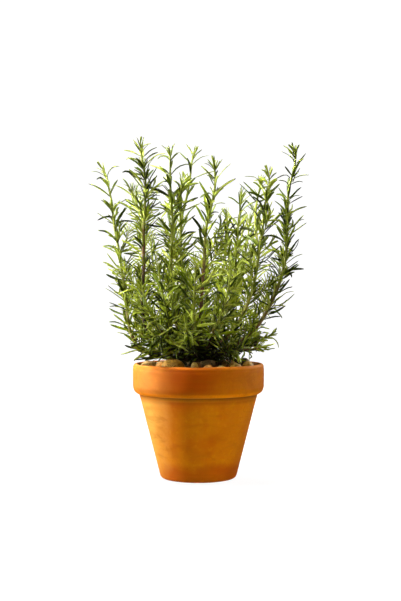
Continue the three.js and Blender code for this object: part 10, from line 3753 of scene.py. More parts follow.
        [22,5,254,1169,2966,252,1222,3012,248,1277,3054],
        [26,9,248,1147,2932,320,1168,2979,392,1185,3027],
        [26,9,239,1149,2936,229,1189,3011,208,1225,3086],
        [26,15,216,1127,2885,208,1211,2934,191,1293,2984],
        [26,15,222,1119,2885,307,1105,2946,398,1084,2995],
        [28,21,185,1101,2841,147,1134,2966,112,1148,3096],
        [28,21,195,1101,2835,328,1131,2843,461,1128,2815],
        [24,2,241,1042,2727,270,1068,2765,288,1089,2811],
        [24,2,249,1043,2722,285,1071,2760,327,1093,2796],
        [22,5,233,1024,2703,278,1032,2767,334,1025,2822],
        [22,5,229,1032,2701,239,1093,2742,232,1166,2754],
        [25,10,208,1009,2660,268,1054,2692,338,1089,2712],
        [25,10,202,1005,2667,195,1024,2755,184,1030,2844],
        [25,15,174,992,2627,180,1089,2689,179,1183,2756],
        [25,15,178,981,2629,235,942,2695,277,892,2766],
        [24,2,213,944,2605,232,971,2655,225,1000,2707],
        [24,2,221,942,2602,266,966,2646,319,986,2682],
        [22,5,208,926,2580,244,941,2631,281,959,2679],
        [22,5,204,934,2578,227,997,2610,254,1066,2624],
        [27,9,190,917,2545,259,961,2585,335,993,2623],
        [27,9,183,911,2552,185,906,2629,179,897,2705],
        [25,13,164,907,2516,187,980,2565,190,1063,2602],
        [25,13,165,896,2519,213,859,2596,259,794,2654],
        [26,2,97,774,2571,87,785,2625,59,787,2674],
        [26,2,105,776,2570,137,793,2627,177,793,2682],
        [27,5,101,762,2543,126,751,2603,160,745,2658],
        [27,5,95,769,2541,80,803,2599,55,835,2655],
        [22,9,100,753,2504,145,773,2566,189,781,2631],
        [22,9,91,751,2506,60,752,2571,6,750,2618],
        [23,14,93,745,2455,102,816,2541,129,901,2607],
        [23,14,92,735,2458,85,688,2550,84,629,2635],
        [24,19,86,729,2408,65,741,2515,27,732,2618],
        [24,19,94,735,2407,120,792,2513,135,860,2614],
        [28,26,90,714,2339,92,652,2457,90,546,2538],
        [28,26,87,726,2338,38,821,2427,-23,941,2460],
        [20,2,78,988,2164,86,1046,2178,96,1096,2211],
        [20,2,82,989,2157,100,1048,2155,119,1104,2137],
        [21,5,80,958,2155,109,1021,2194,132,1081,2239],
        [21,5,73,960,2150,62,1033,2160,51,1106,2169],
        [22,9,77,921,2139,102,1014,2130,116,1108,2110],
        [22,9,69,920,2145,41,997,2183,-5,1049,2242],
        [24,14,67,881,2135,28,965,2149,-8,1046,2179],
        [24,14,77,880,2137,139,938,2171,214,955,2221],
        [27,21,70,810,2132,66,911,2178,71,988,2259],
        [27,21,76,811,2124,114,945,2118,155,1073,2078],
        [27,27,78,741,2125,148,798,2183,215,844,2255],
        [27,27,68,740,2117,-3,805,2051,-90,839,1980],
        [24,2,268,819,2165,289,855,2198,311,887,2235],
        [24,2,270,823,2158,296,883,2164,307,944,2142],
        [22,5,261,797,2144,302,832,2170,342,867,2198],
        [22,5,252,801,2146,257,854,2174,240,911,2186],
        [25,9,238,772,2121,263,844,2135,270,920,2118],
        [25,9,241,766,2128,287,795,2182,338,792,2240],
        [26,13,216,740,2109,232,818,2169,248,889,2236],
        [26,13,225,737,2104,303,768,2116,381,791,2140],
        [26,20,186,682,2082,234,744,2177,267,781,2289],
        [26,20,184,688,2073,182,795,2032,189,900,1988],
        [28,26,160,635,2054,260,664,2063,361,639,2066],
        [28,26,150,641,2056,178,753,2093,168,866,2136],
        [25,2,-30,343,1970,-47,370,2024,-68,393,2079],
        [25,2,-22,346,1971,-30,371,2019,-37,395,2067],
        [22,5,-14,329,1947,-25,341,2007,-10,336,2067],
        [22,5,-17,337,1942,-45,392,1976,-62,453,2007],
        [22,9,0,324,1919,-5,353,1993,23,371,2065],
        [22,9,-10,320,1917,-70,320,1957,-135,309,1989],
        [25,14,17,311,1862,-36,350,1942,-102,383,2014],
        [25,14,17,300,1865,-39,302,1966,-107,267,2052],
        [26,186,51,79,1574,93,105,1618,149,113,1652],
        [27,186,36,78,1581,37,66,1671,40,23,1751],
        [29,188,29,64,1568,13,18,1616,5,-23,1669],
        [26,186,53,88,1562,117,136,1587,173,188,1624],
        [26,186,52,91,1559,118,109,1520,181,147,1492],
    ],
    "sprig_back_low_left": [
        [17,0,-931,775,2681,-939,787,2728,-947,806,2773],
        [17,1,-927,770,2672,-922,780,2717,-920,796,2761],
        [17,2,-934,769,2660,-959,783,2715,-983,804,2767],
        [17,3,-923,764,2653,-912,764,2712,-893,762,2769],
        [21,4,-930,764,2641,-969,765,2682,-1016,761,2714],
        [21,5,-918,764,2634,-892,778,2688,-854,795,2733],
        [21,6,-925,763,2622,-981,786,2663,-1038,816,2697],
        [27,12,-907,745,2567,-930,718,2647,-953,690,2726],
        [27,12,-905,760,2565,-903,819,2616,-878,884,2651],
        [28,19,-880,739,2502,-884,760,2612,-854,757,2720],
        [28,19,-896,738,2497,-972,752,2574,-1053,760,2648],
        [28,26,-868,728,2433,-911,826,2468,-957,921,2504],
        [28,26,-867,712,2438,-908,702,2534,-962,645,2604],
        [34,36,-842,688,2344,-916,714,2414,-988,749,2482],
        [24,-36,-847,691,2359,-897,695,2405,-956,695,2438],
        [24,-36,-846,702,2359,-893,743,2390,-948,779,2413],
        [34,36,-824,693,2349,-793,742,2449,-717,775,2529],
        [32,46,-792,648,2266,-789,600,2372,-794,530,2464],
        [24,-46,-802,655,2285,-819,644,2369,-833,630,2453],
        [24,-46,-805,653,2279,-840,635,2352,-865,594,2420],
        [32,46,-796,665,2256,-837,759,2318,-873,863,2366],
        [28,56,-745,624,2180,-693,691,2249,-620,744,2309],
        [24,-56,-756,635,2197,-762,695,2267,-749,767,2324],
        [24,-56,-757,620,2202,-760,617,2288,-759,611,2374],
        [28,56,-763,616,2174,-868,635,2229,-972,647,2287],
        [32,65,-708,592,2104,-717,696,2138,-700,804,2131],
        [24,-65,-718,603,2125,-741,673,2192,-757,745,2259],
        [24,-65,-717,601,2119,-731,678,2153,-740,762,2164],
        [24,-65,-728,597,2115,-783,643,2126,-841,687,2133],
        [32,65,-717,572,2110,-797,535,2199,-867,456,2268],
        [24,-65,-727,581,2126,-779,588,2195,-828,586,2267],
        [24,-65,-718,578,2124,-749,585,2182,-784,568,2235],
        [35,76,-665,534,2019,-760,569,2051,-856,611,2071],
        [24,-76,-676,543,2032,-734,577,2080,-808,603,2105],
        [24,-76,-670,546,2026,-748,602,2069,-827,651,2116],
        [35,76,-647,534,2033,-628,558,2158,-595,561,2282],
        [24,-76,-658,552,2045,-642,611,2107,-602,658,2168],
        [24,-76,-659,554,2046,-682,612,2114,-690,671,2185],
        [24,-76,-654,543,2044,-672,569,2100,-679,584,2162],
        [37,88,-580,468,1945,-609,458,2069,-616,442,2195],
        [24,-88,-599,476,1958,-636,485,2004,-678,481,2046],
        [24,-88,-594,475,1958,-614,464,2015,-627,456,2074],
        [24,-88,-597,471,1947,-636,483,1989,-673,488,2034],
        [37,88,-576,486,1935,-616,584,2014,-628,687,2096],
        [24,-88,-602,492,1940,-672,555,1951,-736,625,1947],
        [24,-88,-587,495,1943,-620,537,1983,-638,594,2014],
        [24,-88,-593,495,1939,-644,582,1968,-689,671,2000],
        [33,100,-506,424,1877,-511,482,1984,-461,512,2091],
        [24,-100,-519,440,1887,-510,511,1951,-474,587,1997],
        [24,-100,-522,423,1889,-564,443,1961,-608,456,2034],
        [24,-100,-519,442,1880,-539,499,1915,-546,564,1936],
        [33,100,-522,425,1858,-628,494,1834,-717,567,1777],
        [24,-100,-537,421,1879,-593,408,1902,-645,379,1918],
        [24,-100,-539,427,1872,-636,439,1870,-730,457,1848],
        [31,111,-440,377,1801,-455,480,1772,-462,582,1736],
        [24,-111,-457,383,1807,-506,425,1826,-562,462,1834],
        [24,-111,-443,384,1813,-482,464,1847,-503,557,1852],
        [24,-111,-455,391,1815,-500,439,1842,-551,487,1860],
        [24,-111,-446,387,1823,-453,469,1880,-445,544,1946],
        [31,111,-450,355,1809,-553,360,1867,-645,319,1930],
        [33,121,-377,302,1747,-507,307,1751,-633,277,1752],
        [24,-121,-393,310,1762,-452,318,1780,-513,328,1788],
        [24,-121,-386,322,1750,-455,368,1751,-528,404,1736],
        [24,-121,-388,312,1752,-486,344,1763,-585,374,1765],
        [33,121,-356,316,1760,-364,414,1839,-332,517,1904],
        [24,-121,-377,309,1775,-416,333,1821,-443,343,1878],
        [24,-121,-373,324,1777,-401,358,1821,-413,384,1877],
        [24,-121,-375,321,1778,-377,344,1835,-380,369,1891],
        [38,134,-287,233,1703,-340,220,1800,-367,187,1903],
        [24,-134,-302,238,1705,-371,273,1761,-445,294,1818],
        [24,-134,-295,249,1718,-316,266,1809,-312,279,1902],
        [24,-134,-310,245,1698,-378,259,1727,-443,261,1764],
        [38,134,-281,256,1686,-291,378,1670,-289,494,1626],
        [24,-134,-294,262,1689,-335,316,1710,-371,370,1737],
        [24,-134,-308,264,1693,-359,313,1713,-402,369,1734],
        [37,144,-206,190,1638,-166,274,1695,-106,358,1732],
        [37,144,-228,182,1621,-347,238,1594,-460,288,1540],
        [24,-144,-244,185,1644,-307,199,1670,-374,209,1681],
        [24,-144,-238,188,1629,-296,222,1644,-351,261,1654],
        [24,-144,-242,198,1633,-299,246,1663,-359,298,1669],
        [24,-144,-246,190,1639,-312,209,1652,-376,236,1660],
        [26,2,-806,647,2702,-807,644,2758,-823,623,2808],
        [26,2,-804,655,2703,-814,675,2762,-836,717,2803],
        [20,4,-797,654,2673,-786,654,2731,-767,665,2786],
        [20,4,-806,655,2673,-840,657,2732,-890,659,2779],
        [22,8,-798,660,2644,-786,676,2724,-778,700,2802],
        [22,8,-801,651,2643,-807,604,2709,-830,544,2760],
        [25,13,-806,665,2595,-826,668,2683,-872,676,2760],
        [25,13,-797,659,2594,-763,634,2687,-694,611,2759],
        [28,20,-811,667,2526,-819,615,2639,-847,546,2738],
        [28,20,-806,677,2527,-747,742,2623,-669,797,2712],
        [28,29,-820,690,2439,-690,706,2488,-552,723,2471],
        [28,29,-832,685,2442,-836,645,2575,-898,604,2693],
        [24,2,-732,647,2526,-745,654,2574,-768,665,2618],
        [24,2,-724,648,2526,-725,651,2580,-720,649,2634],
        [22,5,-726,639,2496,-720,625,2560,-709,610,2624],
        [22,5,-729,648,2496,-739,678,2550,-745,709,2604],
        [22,9,-723,642,2456,-705,653,2525,-672,673,2587],
        [22,9,-733,642,2456,-745,651,2534,-779,664,2604],
        [24,15,-737,643,2396,-753,686,2477,-770,755,2536],
        [24,15,-734,633,2396,-722,596,2480,-712,534,2548],
        [26,22,-752,638,2328,-821,656,2426,-896,665,2520],
        [26,22,-741,640,2326,-659,669,2395,-571,696,2456],
        [22,2,-807,543,2309,-844,535,2361,-873,503,2409],
        [22,2,-806,551,2308,-834,576,2353,-845,612,2397],
        [22,5,-786,542,2287,-798,546,2353,-799,544,2421],
        [22,5,-792,546,2282,-852,575,2324,-923,607,2339],
        [24,10,-761,541,2243,-800,575,2303,-838,611,2362],
        [24,10,-762,531,2243,-807,479,2306,-849,428,2371],
        [28,15,-740,532,2198,-838,521,2244,-940,498,2276],
        [28,15,-730,533,2203,-701,542,2291,-652,543,2371],
        [28,21,-709,526,2146,-768,489,2258,-806,410,2356],
        [28,21,-704,536,2148,-686,595,2244,-648,652,2336],
        [20,2,-742,477,2034,-788,484,2078,-834,480,2121],
        [20,2,-737,481,2039,-758,512,2088,-772,548,2136],
        [25,6,-714,471,2021,-759,476,2084,-793,487,2153],
        [25,6,-718,477,2015,-768,522,2037,-809,579,2042],
        [21,9,-684,474,1993,-752,512,2045,-819,561,2088],
        [21,9,-688,467,1989,-780,447,1999,-860,404,1973],
        [28,14,-645,469,1959,-742,496,1945,-832,542,1932],
        [28,14,-639,466,1969,-673,447,2064,-681,404,2157],
        [24,2,-583,473,2110,-625,499,2151,-680,522,2176],
        [24,2,-578,478,2110,-599,526,2152,-621,580,2184],
        [21,5,-565,457,2092,-587,455,2164,-591,446,2238],
        [21,5,-566,464,2087,-596,514,2112,-614,571,2134],
        [26,8,-548,451,2067,-554,522,2114,-544,601,2142],
        [26,8,-554,443,2067,-618,437,2114,-683,426,2158],
        [27,13,-528,431,2027,-569,503,2071,-614,582,2095],
        [27,13,-527,422,2031,-565,418,2110,-602,381,2180],
        [25,19,-506,401,1980,-593,420,2068,-685,447,2150],
        [25,19,-496,406,1983,-513,458,2074,-488,534,2145],
        [28,27,-464,371,1907,-499,353,2010,-541,340,2111],
        [28,27,-465,382,1903,-501,464,1958,-535,550,2008],
        [23,2,-410,358,1932,-450,373,1962,-492,393,1986],
        [23,2,-403,362,1934,-434,396,1981,-457,444,2019],
        [23,6,-392,336,1904,-424,353,1968,-452,341,2034],
        [23,6,-390,344,1900,-417,390,1941,-446,449,1954],
        [25,9,-374,327,1881,-357,351,1954,-318,374,2019],
        [25,9,-384,325,1877,-450,341,1933,-529,326,1971],
        [27,14,-360,313,1835,-388,381,1919,-402,483,1963],
        [27,14,-363,303,1838,-405,293,1924,-452,241,1990],
        [28,19,-349,291,1781,-454,332,1851,-559,392,1905],
        [28,19,-337,289,1785,-303,314,1908,-257,349,2025],
        [27,166,-65,70,1549,-16,102,1622,37,139,1689],
        [31,168,-51,55,1543,-83,99,1630,-110,118,1727],
        [30,152,-177,131,1605,-196,89,1659,-210,59,1722],
        [29,150,-195,141,1611,-237,59,1644,-254,-35,1664],
    ],
    "sprig_back_low_right": [
        [17,0,939,828,2412,949,839,2453,959,854,2493],
        [17,1,943,821,2401,968,821,2453,1003,814,2498],
        [17,2,942,823,2391,978,833,2430,1016,848,2466],
        [17,3,929,821,2385,924,828,2445,904,828,2503],
        [21,4,926,819,2376,912,823,2432,895,829,2487],
        [21,5,932,816,2363,974,812,2399,1019,810,2431],
        [21,6,919,819,2356,899,848,2409,862,875,2453],
        [28,12,895,803,2304,854,820,2397,796,847,2478],
        [28,12,910,804,2298,954,832,2387,1013,875,2461],
        [30,18,877,776,2241,933,784,2337,1008,778,2420],
        [30,18,872,792,2238,897,858,2304,917,937,2356],
        [26,27,847,752,2171,980,743,2193,1106,721,2149],
        [26,27,831,756,2178,831,800,2301,803,826,2426],
        [37,36,797,728,2098,843,823,2131,877,929,2141],
        [24,-36,801,736,2114,807,786,2141,804,837,2165],
        [24,-36,802,738,2121,817,806,2180,833,873,2240],
        [37,36,798,711,2107,834,650,2190,842,575,2269],
        [30,47,735,666,2029,774,707,2151,809,749,2274],
        [30,47,749,670,2016,839,718,2072,951,747,2080],
        [38,58,687,608,1949,807,605,2018,931,592,2077],
        [24,-58,700,620,1957,782,641,1997,868,656,2031],
        [24,-58,689,617,1968,726,633,2022,768,639,2073],
        [38,58,680,625,1941,722,730,1916,765,818,1852],
        [24,-58,688,635,1952,716,700,1965,736,769,1975],
        [24,-58,685,636,1958,697,690,1979,707,748,1985],
        [24,-58,691,639,1958,730,689,1992,773,739,2019],
        [32,69,622,558,1874,722,604,1892,827,636,1916],
        [32,69,605,559,1891,607,602,1996,603,619,2108],
        [24,-69,620,557,1899,662,576,1960,698,571,2028],
        [24,-69,621,561,1903,642,564,1966,668,562,2027],
        [35,80,542,507,1815,578,608,1798,611,706,1764],
        [24,-80,546,514,1840,576,573,1897,597,632,1957],
        [24,-80,549,515,1823,586,604,1829,619,694,1813],
        [35,80,550,487,1827,664,471,1907,773,460,1995],
        [33,91,463,439,1775,444,530,1870,398,603,1970],
        [33,91,480,435,1757,567,486,1723,652,541,1689],
        [24,-91,489,447,1764,534,481,1752,581,501,1725],
        [24,-91,496,437,1775,550,434,1788,600,412,1797],
        [24,-91,490,440,1764,567,469,1742,642,496,1712],
        [24,-91,494,437,1770,587,454,1777,680,447,1764],
        [29,101,413,363,1730,515,405,1817,603,416,1927],
        [29,101,404,384,1714,448,500,1716,456,624,1703],
        [24,-101,419,397,1722,452,441,1733,483,487,1742],
        [24,-101,418,392,1718,459,453,1708,501,508,1681],
        [24,-101,413,398,1729,420,471,1741,426,544,1750],
        [24,-101,412,394,1722,439,445,1730,471,493,1734],
        [35,110,353,321,1672,430,387,1614,488,446,1532],
        [24,-110,364,331,1677,415,373,1681,473,406,1676],
        [24,-110,368,317,1686,445,330,1698,522,348,1709],
        [24,-110,374,323,1688,439,355,1712,513,363,1730],
        [24,-110,361,334,1678,407,389,1654,452,439,1620],
        [35,110,338,322,1694,332,387,1783,285,423,1875],
        [24,-110,351,335,1703,376,373,1736,397,408,1774],
        [24,-110,346,331,1700,348,384,1753,351,443,1798],
        [24,-110,349,325,1703,359,363,1791,378,395,1879],
        [24,-110,352,322,1704,384,356,1779,394,380,1863],
        [30,119,285,272,1638,295,395,1585,268,517,1536],
        [24,-119,304,284,1644,364,367,1624,420,445,1582],
        [24,-119,292,283,1647,321,370,1655,345,456,1675],
        [24,-119,293,287,1659,295,362,1687,292,439,1710],
        [30,119,296,250,1652,399,210,1709,485,135,1759],
        [24,-119,310,266,1668,352,288,1700,391,293,1741],
        [24,-119,311,264,1649,383,302,1674,461,320,1701],
        [24,2,945,956,2259,958,978,2321,974,989,2386],
        [24,2,949,959,2253,972,1004,2294,1002,1058,2317],
        [20,5,937,935,2238,973,967,2284,1015,1001,2324],
        [20,5,932,941,2234,947,1002,2265,940,1069,2283],
        [26,9,921,911,2209,980,977,2227,1053,1026,2207],
        [26,9,915,909,2216,910,937,2284,893,938,2355],
        [28,15,887,868,2182,872,946,2241,828,1013,2299],
        [28,15,895,862,2183,970,871,2242,1056,874,2285],
        [28,21,860,820,2158,847,866,2258,816,870,2364],
        [28,21,866,822,2148,940,924,2117,990,1028,2058],
        [21,2,705,817,2093,720,859,2136,747,897,2178],
        [21,2,707,821,2086,724,875,2105,756,926,2102],
        [22,5,705,793,2074,742,846,2114,802,884,2138],
        [22,5,696,795,2073,669,853,2104,625,896,2140],
        [26,9,702,762,2048,716,838,2062,743,910,2045],
        [26,9,696,757,2056,674,804,2120,639,843,2183],
        [28,13,695,724,2033,632,785,2077,559,834,2121],
        [28,13,707,724,2034,761,783,2087,816,851,2126],
        [25,2,744,848,1810,769,897,1827,783,949,1850],
        [25,2,740,850,1804,742,906,1796,736,962,1792],
        [21,5,733,819,1805,791,859,1807,855,884,1818],
        [21,5,725,824,1806,719,885,1814,696,941,1823],
        [28,9,708,787,1802,725,856,1767,743,917,1720],
        [28,9,711,786,1810,759,847,1859,800,900,1922],
        [28,14,683,744,1812,658,840,1831,626,935,1845],
        [28,14,690,740,1805,747,790,1763,813,802,1708],
        [24,21,660,678,1824,754,746,1863,852,766,1934],
        [24,21,653,679,1815,693,777,1762,736,851,1681],
        [28,29,629,614,1830,691,657,1721,723,663,1592],
        [28,29,622,620,1839,634,757,1838,644,892,1859],
        [23,2,510,752,1854,531,787,1890,544,807,1940],
        [23,2,508,756,1846,527,814,1853,542,872,1838],
        [23,6,502,729,1836,547,783,1839,593,836,1831],
        [23,6,495,729,1842,492,776,1887,485,810,1941],
        [28,9,480,696,1823,466,772,1839,435,845,1835],
        [28,9,487,692,1827,543,738,1890,601,786,1948],
        [24,14,466,651,1809,418,728,1879,372,788,1965],
        [24,14,472,651,1802,514,729,1788,563,802,1769],
        [24,20,460,593,1790,530,691,1841,628,766,1887],
        [24,20,452,597,1784,437,710,1786,382,809,1774],
        [26,29,442,512,1758,496,596,1688,567,677,1630],
        [26,29,435,510,1768,388,566,1845,335,581,1936],
        [23,2,299,452,1765,295,481,1813,288,488,1868],
        [23,2,305,454,1759,346,505,1767,379,562,1768],
        [24,5,298,427,1748,329,456,1798,367,483,1846],
        [24,5,291,432,1743,289,497,1782,280,556,1829],
        [22,9,291,399,1719,320,467,1719,367,522,1703],
        [22,9,285,394,1727,263,447,1797,217,488,1862],
        [25,14,279,355,1695,232,430,1701,174,498,1710],
        [25,14,288,351,1701,331,401,1776,399,420,1847],
        [26,134,197,165,1577,223,155,1535,252,145,1495],
        [29,137,176,148,1564,230,167,1524,264,182,1465],
        [27,146,120,81,1539,238,77,1546,353,97,1570],
        [31,138,171,131,1574,218,79,1578,264,28,1565],
        [22,140,159,121,1559,255,142,1560,348,138,1529],
    ],
    "sprig_low_left": [
        [26,3,-700,-404,1887,-748,-388,1906,-816,-371,1888,-879,-354,1853],
        [22,9,-668,-395,1835,-735,-419,1806,-807,-444,1775,-854,-462,1746],
        [17,0,-722,-407,1907,-753,-412,1951,-777,-415,1999],
        [17,1,-717,-413,1896,-753,-434,1934,-791,-456,1971],
        [17,2,-707,-406,1893,-730,-408,1946,-746,-402,2002],
        [17,3,-701,-406,1886,-714,-416,1942,-722,-421,1999],
        [21,4,-702,-404,1872,-760,-417,1893,-819,-429,1914],
        [21,5,-688,-405,1871,-695,-439,1931,-683,-482,1984],
        [21,6,-689,-399,1857,-755,-397,1862,-820,-391,1871],
        [28,12,-643,-393,1817,-713,-454,1853,-772,-534,1868],
        [28,12,-639,-381,1827,-688,-377,1909,-724,-345,1992],
        [24,18,-586,-371,1782,-619,-454,1836,-637,-549,1876],
        [24,18,-594,-356,1780,-683,-327,1829,-766,-285,1879],
        [30,26,-532,-338,1752,-576,-363,1850,-595,-365,1958],
        [30,26,-540,-341,1736,-642,-392,1748,-740,-451,1748],
        [34,36,-460,-290,1700,-577,-305,1730,-698,-298,1733],
        [24,-36,-471,-299,1715,-529,-312,1754,-584,-328,1796],
        [24,-36,-472,-301,1698,-542,-325,1708,-613,-347,1701],
        [24,-36,-471,-297,1714,-512,-282,1755,-545,-261,1799],
        [34,36,-451,-308,1702,-528,-388,1744,-553,-494,1790],
        [24,-36,-468,-315,1715,-493,-361,1759,-516,-403,1809],
        [24,-36,-462,-315,1706,-499,-370,1726,-526,-431,1748],
        [28,46,-372,-262,1661,-450,-358,1612,-521,-437,1531],
        [28,46,-367,-257,1679,-392,-306,1772,-397,-359,1866],
        [24,-46,-385,-255,1684,-424,-249,1742,-445,-241,1808],
        [24,-46,-389,-259,1687,-431,-266,1729,-469,-264,1775],
        [24,-46,-381,-263,1686,-405,-286,1755,-433,-300,1825],
        [30,56,-287,-215,1633,-334,-314,1683,-370,-404,1755],
        [24,-56,-300,-221,1648,-308,-266,1690,-304,-315,1729],
        [24,-56,-300,-222,1632,-321,-300,1624,-330,-378,1606],
        [24,-56,-306,-228,1646,-341,-275,1678,-375,-319,1714],
        [30,56,-300,-195,1636,-400,-207,1692,-501,-194,1746],
        [24,-56,-319,-215,1632,-378,-232,1623,-437,-241,1606],
        [24,-56,-320,-210,1636,-371,-230,1647,-424,-244,1643],
        [21,2,-555,-385,1885,-599,-410,1917,-648,-438,1938],
        [21,2,-549,-383,1890,-566,-389,1943,-581,-383,1997],
        [27,5,-534,-376,1864,-550,-433,1903,-551,-496,1936],
        [27,5,-538,-367,1867,-574,-357,1915,-599,-340,1968],
        [26,9,-513,-355,1837,-520,-392,1911,-515,-425,1986],
        [26,9,-521,-357,1832,-571,-410,1863,-622,-470,1873],
        [26,13,-504,-333,1804,-548,-332,1874,-602,-296,1927],
        [26,13,-498,-343,1803,-514,-396,1887,-506,-446,1975],
        [28,18,-486,-322,1748,-559,-384,1820,-653,-453,1844],
        [28,18,-476,-316,1753,-433,-299,1852,-363,-262,1927],
        [25,44,-392,-264,1667,-483,-290,1587,-593,-314,1534],
        [30,40,-418,-291,1688,-438,-376,1701,-443,-462,1719],
        [23,36,-450,-306,1706,-455,-362,1747,-445,-417,1787],
        [25,42,-400,-280,1688,-408,-332,1726,-391,-385,1758],
        [31,20,-588,-359,1769,-663,-368,1748,-736,-393,1739],
        [24,38,-437,-298,1689,-517,-394,1682,-596,-490,1689],
        [24,50,-337,-245,1651,-395,-323,1661,-446,-403,1639],
        [24,48,-351,-255,1661,-332,-330,1651,-298,-400,1645],
        [25,76,-142,-96,1566,-145,-107,1659,-110,-122,1745],
        [24,14,-623,-385,1813,-616,-437,1869,-616,-492,1924],
        [28,8,-670,-403,1846,-691,-472,1867,-691,-547,1872],
        [28,80,-107,-89,1544,-125,-162,1569,-155,-235,1582],
        [25,8,-666,-400,1851,-632,-444,1896,-583,-481,1933],
        [28,54,-316,-213,1632,-410,-211,1590,-511,-202,1567],
        [28,86,-58,-54,1533,-62,-91,1591,-71,-127,1649],
        [30,16,-616,-378,1791,-673,-423,1772,-736,-464,1769],
        [26,28,-521,-338,1729,-577,-434,1696,-592,-529,1630],
        [22,20,-584,-366,1769,-615,-431,1713,-645,-507,1672],
        [26,82,-95,-65,1548,-157,-86,1613,-236,-106,1658],
        [27,16,-614,-380,1792,-667,-453,1794,-720,-522,1817],
        [27,42,-407,-277,1673,-419,-309,1612,-405,-341,1551],
        [27,32,-491,-320,1709,-544,-358,1706,-591,-404,1701],
        [23,46,-366,-260,1677,-407,-334,1747,-413,-409,1828],
        [25,24,-547,-350,1760,-488,-384,1815,-431,-411,1875],
        [30,18,-603,-366,1780,-671,-378,1789,-737,-385,1811],
        [24,24,-550,-354,1751,-538,-427,1726,-508,-489,1689],
        [29,64,-229,-164,1609,-189,-197,1693,-175,-237,1781],
        [25,18,-603,-367,1779,-656,-364,1700,-717,-355,1626],
        [30,60,-261,-182,1627,-313,-229,1725,-357,-279,1825],
        [30,24,-556,-347,1747,-606,-357,1675,-676,-356,1622],
        [22,22,-573,-351,1758,-644,-352,1748,-714,-343,1739],
        [27,80,-107,-86,1549,-83,-179,1629,-52,-275,1701],
        [28,6,-682,-407,1861,-676,-519,1885,-668,-634,1882],
        [26,84,-75,-71,1529,-78,-170,1543,-83,-270,1553],
        [26,70,-187,-139,1572,-213,-231,1577,-249,-316,1601],
        [27,20,-580,-368,1774,-597,-468,1799,-616,-554,1855],
        [24,22,-568,-360,1759,-608,-423,1740,-653,-476,1708],
        [22,4,-701,-408,1871,-766,-466,1843,-828,-530,1825],
        [28,30,-509,-322,1718,-618,-331,1671,-733,-331,1642],
        [25,40,-425,-283,1679,-505,-314,1661,-591,-323,1644],
        [30,56,-288,-214,1634,-258,-309,1659,-261,-411,1676],
        [28,46,-370,-253,1680,-376,-258,1763,-377,-283,1843],
        [26,28,-515,-337,1739,-564,-404,1806,-582,-485,1875],
        [26,54,-308,-224,1633,-320,-284,1604,-328,-351,1592],
        [29,6,-680,-403,1865,-632,-444,1919,-583,-482,1975],
        [26,30,-505,-330,1719,-546,-384,1707,-570,-441,1676],
        [28,36,-458,-301,1693,-549,-353,1662,-629,-426,1660],
        [24,22,-569,-359,1758,-597,-425,1699,-612,-501,1648],
        [22,82,-93,-80,1531,-116,-177,1525,-95,-273,1513],
    ],
    "sprig_low_back": [
        [17,0,-168,1087,2221,-183,1111,2257,-209,1130,2288],
        [17,1,-161,1077,2216,-165,1094,2259,-167,1110,2302],
        [17,2,-155,1075,2207,-145,1098,2255,-137,1115,2306],
        [17,3,-162,1073,2194,-188,1118,2224,-213,1165,2251],
        [21,4,-152,1067,2188,-133,1109,2235,-95,1145,2273],
        [21,5,-160,1060,2179,-207,1094,2217,-261,1131,2241],
        [21,6,-148,1057,2172,-115,1108,2217,-69,1159,2247],
        [28,12,-146,1016,2126,-177,1049,2215,-218,1035,2305],
        [28,12,-144,1028,2119,-164,1103,2151,-173,1187,2158],
        [30,17,-126,990,2088,-98,1037,2162,-56,1080,2233],
        [30,17,-141,991,2083,-202,1041,2132,-266,1086,2182],
        [28,25,-115,940,2025,-93,1052,2038,-35,1148,2018],
        [28,25,-118,929,2037,-133,966,2169,-171,992,2299],
        [28,33,-114,870,1983,-204,937,2033,-313,979,2071],
        [28,33,-97,870,1988,-57,948,2086,-7,1021,2184],
        [24,-33,-100,892,2001,-63,936,2051,-19,961,2109],
        [24,-33,-101,895,1993,-48,980,2005,8,1063,2011],
        [30,42,-92,791,1943,-143,846,2054,-212,904,2153],
        [30,42,-92,801,1928,-132,895,1895,-183,976,1845],
        [24,-42,-98,820,1940,-133,894,1930,-161,961,1893],
        [24,-42,-91,824,1940,-89,926,1926,-71,1024,1899],
        [24,-42,-90,815,1935,-101,886,1959,-113,960,1964],
        [24,-42,-83,811,1937,-64,902,1959,-39,995,1958],
        [31,50,-65,730,1897,21,827,1944,107,934,1963],
        [31,50,-84,729,1892,-162,823,1930,-254,896,1982],
        [24,-50,-87,745,1913,-121,812,1976,-146,870,2052],
        [24,-50,-88,747,1902,-125,810,1927,-179,862,1945],
        [24,-50,-83,744,1894,-109,819,1920,-147,892,1932],
        [35,60,-57,648,1839,-58,768,1793,-60,881,1733],
        [24,-60,-67,662,1847,-92,735,1867,-124,804,1890],
        [24,-60,-50,659,1852,-41,752,1890,-23,848,1915],
        [24,-60,-55,669,1852,-52,727,1871,-34,784,1884],
        [35,60,-56,638,1857,-60,716,1941,-30,761,2042],
        [24,-60,-72,655,1859,-121,680,1885,-170,711,1902],
        [24,-60,-59,650,1865,-66,689,1951,-78,724,2038],
        [24,-60,-69,658,1866,-110,717,1935,-159,776,1999],
        [36,71,-51,549,1790,-151,611,1781,-267,617,1758],
        [24,-71,-56,567,1807,-85,613,1834,-116,663,1853],
        [24,-71,-50,567,1794,-74,632,1800,-90,699,1792],
        [24,-71,-53,565,1797,-115,634,1790,-172,700,1758],
        [24,-71,-55,564,1811,-110,590,1854,-175,599,1890],
        [36,71,-31,547,1800,12,638,1879,103,704,1940],
        [24,-71,-32,570,1807,-27,655,1856,-3,735,1907],
        [24,-71,-34,566,1796,2,650,1804,61,719,1806],
        [24,-71,-32,560,1808,0,610,1857,46,658,1895],
        [24,-71,-31,564,1803,6,602,1823,45,641,1839],
        [29,83,-28,439,1745,-60,488,1861,-116,495,1977],
        [24,-83,-27,458,1757,-32,492,1803,-42,511,1856],
